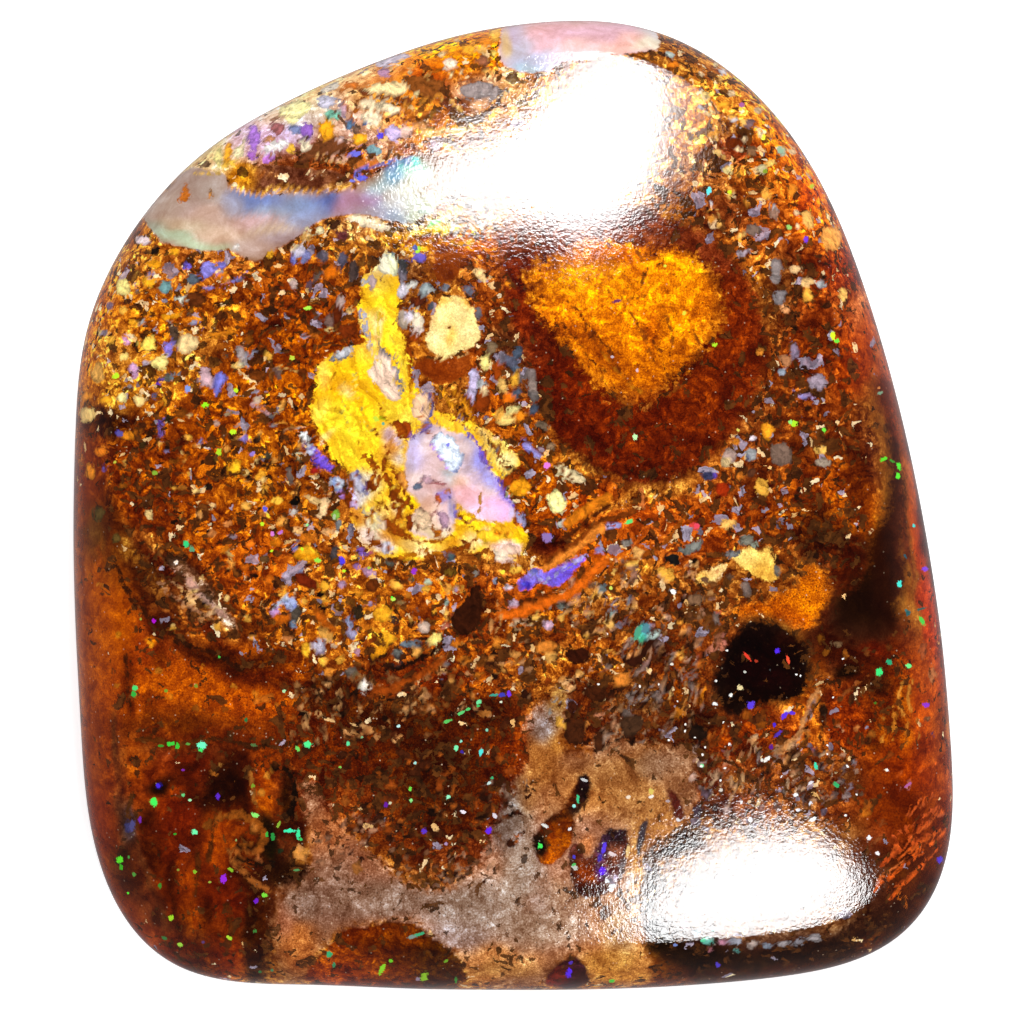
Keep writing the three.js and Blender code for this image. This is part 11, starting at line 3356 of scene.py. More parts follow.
    ([(720, 650), (725, 642), (726, 635)], 1.0, (200, 120, 100)),
    ([(648, 715), (660, 720), (675, 715)], 0.8, (190, 130, 80)),
    ([(675, 695), (671, 700)], 0.8, (240, 210, 150)),
    ([(208, 827), (221, 816), (242, 815), (258, 825), (263, 838), (254, 848), (241, 845)], 3.57, (140, 71, 15)),
    ([(228, 850), (231, 866), (245, 875), (258, 883), (270, 888)], 2.8899999999999997, (160, 87, 31)),
    ([(235, 852), (246, 854), (258, 850)], 2.8899999999999997, (148, 76, 23)),
    ([(237, 848), (243, 849), (252, 848)], 2.8899999999999997, (26, 10, 3)),
    ([(238, 861), (250, 864), (261, 863)], 2.8899999999999997, (31, 12, 3)),
    ([(240, 836), (250, 831), (257, 835)], 2.04, (93, 46, 7)),
    ([(254, 768), (252, 785), (257, 806)], 2.04, (160, 93, 31)),
    ([(217, 810), (212, 843), (207, 864)], 2.04, (93, 40, 6)),
    ([(275, 768), (283, 767), (292, 777), (296, 798), (290, 814)], 2.8899999999999997, (23, 9, 3)),
    ([(262, 760), (275, 762), (283, 768)], 2.04, (70, 31, 6)),
    ([(196, 852), (198, 877), (194, 902)], 2.04, (85, 35, 4)),
    ([(225, 906), (230, 927), (226, 952)], 2.8899999999999997, (85, 37, 6)),
    ([(246, 893), (250, 918)], 2.04, (85, 46, 12)),
    ([(138, 739), (171, 743), (208, 742)], 2.04, (93, 42, 6)),
    ([(212, 739), (254, 746), (300, 743)], 2.04, (65, 28, 6)),
    ([(133, 793), (129, 814), (142, 831)], 2.04, (85, 43, 12)),
    ([(124, 656), (128, 681), (131, 710)], 1.2, (70, 26, 4)),
    ([(117, 568), (129, 598), (150, 618), (175, 639)], 2.1, (60, 22, 4)),
    ([(175, 642), (208, 652), (242, 669)], 2.1, (50, 18, 4)),
    ([(158, 585), (179, 602), (212, 622)], 1.7, (180, 120, 80)),
    ([(167, 581), (192, 595), (221, 614)], 1.2, (206, 150, 100)),
    ([(818, 692), (808, 710), (799, 730), (788, 744), (786, 767)], 2.5, (200, 130, 70)),
    ([(812, 700), (804, 719), (793, 736)], 1.1, (226, 156, 96)),
    ([(816, 697), (809, 714), (808, 719)], 1.1, (130, 110, 110)),
    ([(821, 692), (817, 703)], 1.1, (190, 110, 40)),
    ([(884, 717), (886, 731), (882, 744)], 1.1, (212, 130, 40)),
    ([(893, 706), (896, 722), (894, 739)], 1.1, (200, 116, 30)),
    ([(901, 683), (898, 697), (904, 714)], 1.4, (216, 136, 46)),
    ([(912, 678), (909, 694), (914, 711)], 1.1, (206, 126, 40)),
    ([(907, 719), (906, 733), (909, 744)], 1.1, (196, 112, 30)),
    ([(918, 717), (921, 731), (918, 739)], 0.8, (180, 100, 30)),
    ([(857, 683), (846, 694), (834, 703)], 0.8, (170, 90, 40)),
    ([(868, 675), (854, 689), (843, 694)], 0.8, (150, 76, 24)),
    ([(829, 756), (834, 767), (833, 778)], 0.8, (170, 110, 70)),
    ([(732, 778), (734, 792), (729, 803)], 1.7, (206, 154, 106)),
    ([(744, 772), (742, 786), (744, 794)], 1.4, (200, 150, 100)),
    ([(759, 778), (762, 792), (759, 800)], 1.1, (190, 130, 90)),
    ([(784, 775), (787, 786), (782, 794)], 1.1, (206, 160, 120)),
    ([(796, 778), (797, 792)], 1.1, (160, 120, 100)),
    ([(812, 786), (823, 792), (829, 797)], 1.4, (186, 124, 80)),
    ([(707, 736), (721, 733), (732, 739)], 1.1, (190, 100, 30)),
    ([(734, 756), (746, 761), (757, 756)], 1.1, (180, 100, 40)),
    ([(748, 733), (756, 739), (757, 750)], 1.1, (200, 150, 90)),
    ([(896, 844), (912, 833), (929, 822), (946, 814)], 0.8, (206, 80, 24)),
    ([(904, 856), (921, 844), (940, 831)], 1.1, (226, 100, 30)),
    ([(890, 856), (901, 847)], 0.8, (214, 90, 30)),
    ([(907, 831), (921, 822), (926, 818)], 0.8, (200, 76, 20)),
    ([(901, 792), (912, 783)], 0.8, (176, 90, 60)),
    ([(929, 822), (946, 814)], 1.1, (190, 90, 50)),
]
# flecks of colour play, and small white painted glints (painted highlights of surface sparkle): x, y, radii, turn,
# colour
FLECKS_AND_GLINTS = [
    (116, 376, 3.6, 3.0, 0, (190, 235, 40)),
    (205, 405, 4.2, 2.6, 0, (150, 235, 30)),
    (236, 390, 2.6, 2.6, 0, (190, 235, 40)),
    (233, 432, 3.4, 2.8, -30, (190, 235, 40)),
    (219, 452, 2.8, 4.2, 0, (170, 215, 40)),
    (155, 473, 3, 2.2, 0, (130, 170, 50)),
    (186, 544, 3.0, 4.2, 0, (50, 205, 120)),
    (192, 549, 2.5, 3.5, -20, (90, 150, 110)),
    (317, 560, 3.6, 2.6, 10, (150, 225, 70)),
    (302, 549, 1.8, 1.6, 0, (190, 235, 40)),
    (292, 358, 2.6, 2.6, 0, (190, 210, 60)),
    (272, 551, 1.6, 1.6, 0, (190, 235, 40)),
    (262, 524, 2, 2, 0, (190, 235, 40)),
    (135, 688, 2.6, 3.2, 0, (70, 215, 110)),
    (134, 694, 2.6, 3.8, 0, (50, 170, 60)),
    (166, 691, 1.8, 1.8, 0, (120, 150, 40)),
    (196, 686, 2, 2, 0, (130, 140, 40)),
    (246, 720, 1.8, 2.4, 0, (40, 110, 60)),
    (202, 745, 4.6, 4.8, 0, (110, 250, 190)),
    (201, 750, 2.2, 2.2, 0, (60, 225, 100)),
    (171, 744, 4.6, 2.4, 0, (60, 200, 60)),
    (177, 746, 2.0, 3.6, 0, (60, 190, 50)),
    (161, 746, 3.0, 1.6, 0, (60, 140, 40)),
    (188, 744, 2.2, 1.6, 0, (90, 150, 60)),
    (254, 745, 3.6, 1.6, 10, (80, 110, 60)),
    (308, 744, 4.2, 3.2, -10, (80, 235, 140)),
    (298, 749, 2.2, 2.8, -30, (110, 210, 90)),
    (348, 744, 2.0, 2.2, 0, (90, 220, 150)),
    (362, 737, 1.6, 1.6, 0, (120, 170, 120)),
    (284, 691, 1.8, 1.8, 0, (170, 220, 160)),
    (340, 767, 1.4, 1.4, 0, (120, 190, 80)),
    (154, 802, 4.2, 4.6, 0, (70, 240, 90)),
    (158, 786, 2.2, 2.6, 0, (70, 40, 210)),
    (190, 800, 2.2, 1.6, 0, (160, 230, 170)),
    (183, 795, 1.6, 1.6, 0, (100, 200, 120)),
    (195, 832, 3.0, 3.0, 0, (110, 245, 170)),
    (175, 834, 1.6, 1.4, 0, (50, 150, 40)),
    (218, 797, 2.4, 3.2, 0, (90, 40, 190)),
    (255, 815, 3.8, 2.2, 15, (140, 235, 110)),
    (253, 786, 1.8, 2, 0, (120, 150, 40)),
    (290, 831, 6.6, 2.0, 0, (60, 235, 170)),
    (298, 834, 2.0, 4.6, 0, (60, 225, 150)),
    (301, 839, 1.6, 2, 0, (60, 190, 90)),
    (273, 836, 2, 4.2, 0, (40, 140, 60)),
    (267, 835, 1.6, 3.2, 0, (60, 170, 60)),
    (279, 824, 1.6, 3.4, 20, (130, 170, 50)),
    (277, 843, 1.8, 2.2, 0, (90, 200, 110)),
    (297, 870, 3.4, 1.4, -10, (80, 140, 80)),
    (120, 860, 3.2, 4.0, 0, (90, 225, 40)),
    (121, 867, 1.8, 3.2, 0, (60, 170, 30)),
    (129, 857, 1.4, 1.6, 0, (70, 140, 60)),
    (134, 874, 2.4, 2, 10, (80, 150, 60)),
    (128, 893, 1.2, 1.2, 0, (90, 235, 60)),
    (195, 872, 2.0, 2.4, 0, (130, 180, 40)),
    (231, 870, 3.0, 1.8, 35, (130, 180, 40)),
    (223, 879, 3.2, 4.6, 35, (150, 40, 215)),
    (210, 882, 1.6, 1.4, 0, (150, 170, 60)),
    (256, 901, 2.4, 3.2, 20, (110, 30, 190)),
    (265, 895, 3.0, 2.4, 20, (120, 215, 60)),
    (160, 886, 1.6, 3.0, 0, (60, 130, 40)),
    (171, 918, 3.0, 2.6, 0, (160, 215, 40)),
    (229, 938, 3.2, 2.0, 25, (170, 215, 50)),
    (180, 945, 3.0, 2.0, 10, (160, 215, 70)),
    (164, 938, 3.2, 1.6, 20, (60, 120, 60)),
    (255, 931, 2.4, 2.0, 0, (60, 120, 50)),
    (203, 942, 1.6, 1.4, 0, (90, 60, 110)),
    (178, 870, 1.4, 1.2, 0, (130, 140, 50)),
    (236, 840, 1.2, 1.4, 0, (140, 160, 90)),
    (260, 972, 1.6, 1.4, 0, (50, 110, 60)),
    (272, 970, 1.8, 1.4, 20, (60, 130, 90)),
    (154, 621, 2.2, 2.2, 0, (170, 20, 190)),
    (141, 619, 1.2, 1.2, 0, (150, 160, 60)),
    (219, 657, 1.6, 1.4, 0, (70, 170, 60)),
    (183, 770, 1.6, 1.4, 0, (120, 40, 160)),
    (140, 820, 1.8, 3.2, 0, (110, 40, 160)),
    (132, 826, 3.4, 6.0, 10, (75, 70, 120)),
    (329, 954, 3.2, 3.6, 0, (60, 170, 110)),
    (334, 965, 1.6, 3.2, 0, (60, 140, 90)),
    (382, 969, 2.6, 6.0, 28, (140, 215, 40)),
    (391, 961, 2.0, 2.2, 0, (110, 200, 40)),
    (424, 977, 3.8, 4.8, 30, (140, 190, 40)),
    (446, 961, 3.2, 1.4, -30, (110, 160, 40)),
    (456, 980, 1.6, 3.0, 0, (60, 130, 50)),
    (417, 935, 9.0, 1.8, -18, (60, 160, 110)),
    (412, 937, 5.0, 1.8, -10, (120, 140, 130)),
    (418, 979, 2.2, 2.0, 0, (150, 130, 150)),
    (448, 721, 5.2, 1.6, -22, (90, 190, 90)),
    (461, 713, 4.8, 1.6, -32, (90, 200, 110)),
    (468, 709, 3, 1.4, -20, (80, 190, 100)),
    (479, 702, 3.0, 2.2, -25, (110, 220, 150)),
    (478, 706, 2.2, 1.4, 0, (60, 180, 90)),
    (494, 695, 4.6, 1.6, -5, (60, 150, 130)),
    (502, 695, 3.6, 2.2, 0, (60, 60, 170)),
    (509, 694, 2.4, 3.2, 0, (110, 50, 225)),
    (501, 702, 1.4, 1.2, 0, (220, 230, 200)),
    (399, 726, 2.0, 1.6, -20, (190, 235, 230)),
    (456, 748, 2.2, 3.0, 0, (120, 235, 170)),
    (461, 741, 1.8, 1.6, 0, (140, 220, 190)),
    (462, 752, 2.2, 1.4, 30, (60, 40, 150)),
    (481, 752, 2.0, 3.8, 12, (80, 225, 215)),
    (473, 755, 1.4, 1.4, 0, (60, 200, 110)),
    (487, 730, 1.8, 1.6, 0, (130, 200, 170)),
    (415, 763, 1.8, 1.6, 0, (160, 220, 210)),
    (448, 797, 2.4, 2.4, 0, (150, 240, 190)),
    (410, 789, 1.8, 2.6, 0, (110, 215, 70)),
    (411, 800, 2.0, 2.0, 0, (140, 230, 130)),
    (386, 805, 2.4, 2.8, 0, (100, 30, 150)),
    (390, 803, 1.8, 1.4, 0, (200, 200, 160)),
    (424, 831, 2.8, 3.0, 0, (90, 50, 190)),
    (489, 830, 3.0, 4.0, 30, (100, 40, 225)),
    (492, 778, 2.4, 1.6, -50, (60, 170, 110)),
    (489, 783, 2.2, 1.4, -50, (190, 215, 210)),
    (446, 844, 2.2, 1.8, 0, (170, 140, 180)),
    (463, 812, 2.6, 1.8, 20, (235, 225, 235)),
    (495, 816, 3.2, 2.0, 40, (215, 205, 215)),
    (540, 846, 2.4, 3.0, 0, (70, 230, 90)),
    (578, 799, 1.6, 4.4, 0, (60, 190, 130)),
    (574, 806, 1.8, 1.8, 0, (150, 230, 220)),
    (584, 780, 3.6, 1.6, 20, (190, 190, 190)),
    (545, 826, 4.2, 1.8, 30, (220, 220, 215)),
    (570, 829, 2.4, 1.6, -30, (225, 220, 215)),
    (574, 866, 2.0, 3.0, 0, (80, 180, 90)),
    (575, 868, 3.2, 2.2, 20, (190, 190, 180)),
    (574, 857, 1.4, 2.0, 0, (70, 60, 190)),
    (604, 848, 2.2, 6.0, 14, (90, 60, 220)),
    (602, 871, 3.2, 4.2, 20, (100, 40, 235)),
    (600, 858, 2.0, 5.0, 12, (60, 40, 150)),
    (607, 881, 2.8, 1.8, 30, (235, 235, 240)),
    (612, 886, 3.4, 2.0, 0, (230, 235, 240)),
    (612, 854, 4.0, 2.4, 20, (225, 205, 205)),
    (619, 850, 2.8, 4.2, -20, (230, 200, 190)),
    (611, 890, 2.8, 2.2, 0, (240, 245, 245)),
    (586, 898, 1.8, 1.8, 0, (215, 215, 215)),
    (613, 869, 4.0, 6.0, 20, (140, 100, 90)),
    (622, 864, 3.0, 6.0, 0, (70, 90, 110)),
    (628, 850, 1.8, 7.0, 8, (225, 185, 120)),
    (629, 872, 1.6, 9.0, 20, (215, 225, 225)),
    (569, 973, 2.8, 4.6, 12, (90, 40, 240)),
    (571, 963, 2.4, 1.6, -20, (80, 50, 170)),
    (612, 981, 3.0, 1.8, 0, (80, 200, 60)),
    (635, 437, 2.6, 2.8, 0, (190, 250, 170)),
    (629, 522, 4.6, 2.2, -25, (90, 215, 110)),
    (638, 632, 3.4, 8.0, 18, (75, 155, 120)),
    (646, 628, 3.6, 5.6, 20, (80, 130, 140)),
    (715, 345, 2.8, 2.4, 0, (170, 220, 40)),
    (697, 526, 2.8, 3.6, 30, (225, 70, 90)),
    (824, 430, 2.2, 2.2, 0, (110, 225, 60)),
    (794, 424, 3.4, 3.4, 30, (170, 225, 40)),
    (790, 422, 2.2, 2.4, 0, (150, 225, 110)),
    (884, 459, 3.8, 2.0, -30, (90, 210, 40)),
    (892, 461, 3.0, 1.4, 25, (60, 140, 40)),
    (899, 466, 2.2, 4.2, -15, (80, 225, 50)),
    (898, 476, 2.4, 3.2, 0, (90, 235, 50)),
    (914, 526, 1.8, 2.0, 0, (70, 215, 200)),
    (900, 584, 2.4, 3.8, 8, (70, 225, 205)),
    (905, 556, 1.4, 3.0, -25, (40, 80, 90)),
    (908, 613, 2.6, 3.0, 0, (40, 90, 90)),
    (921, 609, 5.6, 1.2, -18, (50, 90, 80)),
    (922, 621, 2.2, 5.6, -32, (80, 200, 70)),
    (925, 569, 2.8, 2.6, 0, (130, 60, 225)),
    (879, 672, 4.0, 4.0, 20, (60, 225, 120)),
    (889, 662, 2.4, 4.0, -30, (40, 160, 110)),
    (909, 666, 3.0, 2.8, 0, (110, 230, 130)),
    (875, 703, 2.2, 1.4, 0, (70, 110, 30)),
    (926, 705, 3.4, 2.8, 0, (140, 50, 200)),
    (940, 860, 3.2, 3.2, 0, (80, 50, 200)),
    (908, 785, 4.4, 1.2, -35, (170, 90, 150)),
    (906, 610, 1.4, 1.4, 0, (60, 110, 110)),
    (747, 656, 1.6, 6.4, -40, (225, 60, 40)),
    (788, 660, 1.6, 5.2, -15, (240, 80, 50)),
    (777, 651, 2.6, 3.0, -30, (80, 40, 225)),
    (756, 661, 2.0, 1.4, 30, (160, 50, 30)),
    (751, 705, 3.8, 4.0, 20, (90, 60, 215)),
    (785, 715, 6.0, 2.2, -40, (95, 50, 215)),
    (792, 713, 3.2, 1.8, 15, (90, 50, 210)),
    (778, 734, 5.0, 1.8, -45, (80, 50, 170)),
    (774, 725, 1.6, 2.4, 0, (70, 40, 200)),
    (771, 747, 2.0, 3.0, 0, (90, 30, 130)),
    # painted glints: the near-white flecks here are small painted highlights, not colour play
    (740, 688, 3.0, 3.0, 0, (225, 205, 150)),
    (731, 695, 2.2, 2.0, 0, (225, 225, 220)),
    (715, 704, 2.4, 1.8, 20, (225, 225, 225)),
    (716, 681, 1.4, 1.2, 0, (190, 190, 190)),
    (745, 672, 1.4, 1.4, 0, (190, 190, 180)),
    (770, 670, 1.4, 1.2, 0, (60, 60, 60)),
    (816, 766, 1.8, 3.6, -15, (60, 215, 170)),
    (836, 785, 3.6, 2.4, 30, (50, 170, 100)),
    (702, 766, 2.2, 1.8, 20, (130, 225, 150)),
    # painted glints: the near-white flecks in this run are small painted highlights, not colour play
    (767, 759, 4.2, 1.8, -35, (235, 230, 220)),
    (762, 760, 1.8, 1.8, 0, (225, 220, 210)),
    (723, 751, 2.4, 1.6, 30, (110, 60, 60)),
    (811, 783, 3.2, 1.6, -25, (225, 220, 225)),
    (796, 795, 3.0, 1.6, 0, (235, 235, 235)),
    (811, 804, 2.0, 2.6, 0, (225, 225, 230)),
    (798, 810, 2.4, 1.6, 0, (220, 220, 225)),
    (813, 819, 4.2, 1.8, -25, (235, 235, 240)),
    (764, 817, 2.2, 2.0, 0, (225, 220, 220)),
    (751, 820, 1.8, 2.8, 0, (200, 190, 190)),
    (749, 802, 1.8, 2, 0, (225, 190, 150)),
    (721, 790, 2.0, 1.8, 0, (215, 205, 190)),
    (886, 770, 2.4, 1.4, 0, (215, 190, 150)),
    (869, 838, 2.6, 2.2, 0, (225, 215, 210)),
    (877, 853, 2.4, 1.6, 0, (225, 205, 205)),
    (651, 791, 3.0, 3.0, 0, (215, 190, 90)),
    (651, 797, 2.8, 1.4, -30, (235, 225, 210)),
    (628, 797, 2.2, 2.0, 0, (235, 215, 190)),
    (668, 801, 1.8, 1.4, 0, (170, 150, 150)),
    (678, 820, 2.2, 1.8, 30, (220, 215, 215)),
    (649, 916, 2.6, 2.4, 0, (225, 220, 220)),
    (664, 931, 2.8, 1.6, -50, (200, 215, 215)),
    (675, 945, 2, 1.6, 0, (110, 130, 190)),
    (703, 940, 3.2, 1.8, -30, (90, 200, 150)),
    (714, 930, 2.8, 1.6, 0, (110, 180, 170)),
    (718, 965, 2.4, 2.8, 0, (80, 60, 190)),
    (634, 180, 3.8, 3.0, 30, (215, 245, 60)),
    (709, 191, 2.8, 3.8, 0, (100, 225, 225)),
    (730, 192, 2.4, 2.6, 0, (200, 230, 40)),
    (812, 186, 2.4, 2.4, 0, (190, 200, 50)),
    (765, 171, 2.4, 2.4, 0, (130, 150, 40)),
    (780, 150, 3.2, 3.8, 0, (150, 180, 150)),
    (833, 336, 2.6, 5.0, -12, (215, 235, 40)),
    (837, 341, 2.4, 2.4, 0, (110, 220, 60)),
    (684, 313, 2.2, 2.4, 0, (215, 215, 60)),
    (789, 227, 3.0, 2.6, 30, (150, 200, 100)),
    (806, 240, 2.6, 3.4, 20, (120, 60, 210)),
    (742, 105, 2.6, 2.8, 0, (170, 90, 150)),
    (617, 301, 4.0, 1.8, -15, (110, 50, 90)),
    (880, 393, 3.0, 1.8, -30, (120, 150, 120)),
    (879, 388, 1.4, 1.2, 0, (200, 120, 60)),
    (665, 266, 1.6, 1.6, 0, (210, 220, 60)),
    (612, 357, 1.8, 1.4, 0, (190, 170, 180)),
    (637, 370, 1.6, 2.0, 0, (215, 180, 190)),
    (738, 430, 1.8, 1.6, 0, (215, 200, 90)),
    (265, 509, 2.6, 2.6, 0, (90, 90, 215)),
    (268, 516, 1.8, 3.0, -30, (235, 205, 50)),
    (272, 534, 2.4, 2.4, 0, (215, 120, 205)),
    (281, 532, 3.2, 1.8, -30, (190, 110, 200)),
    (262, 536, 3.2, 3.8, 0, (205, 140, 190)),
    (342, 560, 2.6, 3.6, -30, (80, 60, 225)),
    (334, 517, 1.8, 3.0, 0, (170, 190, 140)),
    (307, 525, 1.6, 1.4, 0, (140, 225, 140)),
    (252, 454, 3.2, 2.4, -20, (150, 120, 200)),
    (376, 419, 3.2, 2.6, 20, (200, 215, 60)),
    (383, 424, 1.6, 2.0, 0, (110, 170, 140)),
    (414, 571, 2.8, 3.6, 30, (150, 50, 190)),
    (344, 571, 1.8, 1.6, 0, (190, 235, 40)),
    (393, 599, 2.2, 2.0, 0, (190, 225, 80)),
    (503, 572, 2.4, 2.0, 0, (235, 225, 60)),
    (369, 568, 1.6, 1.4, 0, (170, 190, 60)),
    (392, 597, 1.2, 1.2, 0, (90, 235, 60)),
    (549, 537, 3.4, 3.8, 0, (90, 110, 215)),
    (547, 538, 5.6, 5.0, 0, (140, 110, 170)),
    (547, 466, 3.0, 3.6, 0, (225, 120, 215)),
    (448, 445, 2.0, 1.8, 0, (130, 130, 225)),
    (435, 222, 4.8, 2.4, -8, (150, 225, 140)),
    (418, 250, 3.0, 4.2, 20, (170, 225, 60)),
    (422, 257, 4.0, 3.4, 0, (110, 90, 190)),
    (415, 248, 2.6, 3.4, 0, (80, 90, 160)),
    (380, 136, 3.6, 2.8, 0, (80, 60, 215)),
    (357, 154, 5.0, 2.2, -20, (110, 110, 215)),
    (361, 178, 5.6, 2.4, -6, (90, 90, 215)),
    (352, 181, 3.0, 1.6, 0, (120, 120, 215)),
    (308, 308, 4.2, 2.0, 0, (170, 235, 70)),
    (188, 389, 3.0, 4.0, 0, (130, 150, 215)),
    (115, 462, 1.6, 1.4, 0, (190, 190, 60)),
    (120, 434, 3.2, 2.6, 0, (90, 80, 150)),
    (672, 664, 1.6, 1.4, 0, (225, 215, 200)),
    (611, 588, 1.8, 1.8, 0, (200, 215, 90)),
    (673, 592, 3.2, 2.6, 20, (245, 240, 235)),
    (698, 538, 1.2, 1.2, 0, (230, 190, 90)),
    # painted glints from here to the end: small white painted highlights of surface sparkle
    (731.25, 695.5, 1.375, 1.0, 135, (250, 244, 236)),
    (715.0, 703.75, 1.6500000000000001, 1.2000000000000002, 40, (250, 244, 236)),
    (737.5, 688.75, 1.9250000000000003, 1.4000000000000001, 130, (250, 244, 236)),
    (716.25, 681.25, 1.1, 0.8, 75, (250, 244, 236)),
    (745.0, 672.0, 1.1, 0.8, 160, (250, 244, 236)),
    (770.5, 653.25, 1.1, 0.8, 154, (250, 244, 236)),
    (685.0, 731.25, 1.375, 1.0, 100, (250, 244, 236)),
    (729.25, 744.5, 1.6500000000000001, 1.2000000000000002, 79, (250, 244, 236)),
    (702.5, 754.5, 1.6500000000000001, 1.2000000000000002, 50, (250, 244, 236)),
    (668.75, 740.0, 1.375, 1.0, 5, (250, 244, 236)),
    (695.0, 737.5, 1.1, 0.8, 20, (250, 244, 236)),
    (685.5, 724.5, 1.375, 1.0, 114, (250, 244, 236)),
    (768.75, 758.75, 1.9250000000000003, 1.4000000000000001, 105, (250, 244, 236)),
    (782.5, 725.0, 1.6500000000000001, 1.2000000000000002, 130, (250, 244, 236)),
    (788.75, 730.0, 1.6500000000000001, 1.2000000000000002, 125, (250, 244, 236)),
    (723.75, 722.5, 1.375, 1.0, 105, (250, 244, 236)),
    (598.25, 684.25, 1.375, 1.0, 11, (250, 244, 236)),
    (658.75, 684.5, 1.375, 1.0, 85, (250, 244, 236)),
    (701.25, 766.25, 1.6500000000000001, 1.2000000000000002, 15, (250, 244, 236)),
    (762.0, 760.5, 1.375, 1.0, 96, (250, 244, 236)),
    (727.5, 650.0, 1.1, 0.8, 30, (250, 244, 236)),
    (705.0, 747.5, 1.1, 0.8, 120, (250, 244, 236)),
    (607.5, 633.75, 1.1, 0.8, 90, (250, 244, 236)),
    (640.0, 686.25, 1.375, 1.0, 100, (250, 244, 236)),
    (677.5, 701.25, 1.1, 0.8, 70, (250, 244, 236)),
    (703.0555555555555, 754.1666666666666, 1.597222222222222, 1.0416666666666665, -35, (250, 247, 242)),
    (701.6666666666666, 766.6666666666666, 1.9166666666666663, 1.25, -60, (250, 247, 242)),
    (720.5555555555555, 780.5555555555555, 1.597222222222222, 1.0416666666666665, -80, (250, 247, 242)),
    (730.2777777777778, 744.4444444444445, 1.597222222222222, 1.0416666666666665, -85, (250, 247, 242)),
    (741.3888888888889, 802.7777777777778, 1.9166666666666663, 1.25, -65, (250, 247, 242)),
    (749.7222222222222, 819.4444444444445, 2.2361111111111107, 1.4583333333333333, 85, (250, 247, 242)),
    (763.6111111111111, 818.0555555555555, 1.9166666666666663, 1.25, -25, (250, 247, 242)),
    (762.7777777777778, 760.5555555555555, 1.9166666666666663, 1.25, -40, (250, 247, 242)),
    (768.6111111111111, 758.3333333333334, 2.5555555555555554, 1.6666666666666667, 65, (250, 247, 242)),
    (795.5555555555555, 795.0, 2.875, 1.875, 10, (250, 247, 242)),
    (811.3888888888889, 782.7777777777778, 2.5555555555555554, 1.6666666666666667, -65, (250, 247, 242)),
    (811.3888888888889, 804.1666666666666, 1.9166666666666663, 1.25, -65, (250, 247, 242)),
    (798.8888888888889, 810.2777777777778, 1.597222222222222, 1.0416666666666665, 70, (250, 247, 242)),
    (813.6111111111111, 819.4444444444445, 2.875, 1.875, -25, (250, 247, 242)),
    (788.6111111111111, 729.7222222222222, 1.597222222222222, 1.0416666666666665, 65, (250, 247, 242)),
    (782.5, 725.0, 1.597222222222222, 1.0416666666666665, -45, (250, 247, 242)),
    (796.3888888888889, 674.4444444444445, 1.597222222222222, 1.0416666666666665, 25, (250, 247, 242)),
    (800.5555555555555, 675.5555555555555, 1.2777777777777777, 0.8333333333333334, -80, (250, 247, 242)),
    (833.0555555555555, 697.2222222222222, 1.2777777777777777, 0.8333333333333334, -35, (250, 247, 242)),
    (847.5, 766.1111111111111, 1.597222222222222, 1.0416666666666665, 45, (250, 247, 242)),
    (887.2222222222222, 770.0, 1.9166666666666663, 1.25, 40, (250, 247, 242)),
    (869.1666666666666, 837.5, 2.2361111111111107, 1.4583333333333333, 75, (250, 247, 242)),
    (877.5, 853.3333333333333, 2.2361111111111107, 1.4583333333333333, 45, (250, 247, 242)),
    (842.7777777777778, 658.8888888888889, 1.2777777777777777, 0.8333333333333334, -40, (250, 247, 242)),
    (827.5, 745.2777777777778, 1.2777777777777777, 0.8333333333333334, 45, (250, 247, 242)),
    (827.5, 754.1666666666666, 1.2777777777777777, 0.8333333333333334, 45, (250, 247, 242)),
    (781.6666666666666, 776.6666666666666, 1.597222222222222, 1.0416666666666665, -60, (250, 247, 242)),
    (724.7222222222222, 768.0555555555555, 1.597222222222222, 1.0416666666666665, -5, (250, 247, 242)),
    (856.6666666666666, 794.4444444444445, 1.2777777777777777, 0.8333333333333334, 30, (250, 247, 242)),
    (845.5555555555555, 815.2777777777778, 1.597222222222222, 1.0416666666666665, 10, (250, 247, 242)),
    (715.5555555555555, 703.8888888888889, 2.2361111111111107, 1.4583333333333333, 10, (250, 247, 242)),
    (716.3888888888889, 681.3888888888889, 1.597222222222222, 1.0416666666666665, 25, (250, 247, 242)),
    (730.8333333333334, 695.5555555555555, 1.597222222222222, 1.0416666666666665, -75, (250, 247, 242)),
    (745.2777777777778, 672.2222222222222, 1.597222222222222, 1.0416666666666665, 5, (250, 247, 242)),
    (726.6666666666666, 650.5555555555555, 1.597222222222222, 1.0416666666666665, 30, (250, 247, 242)),
]

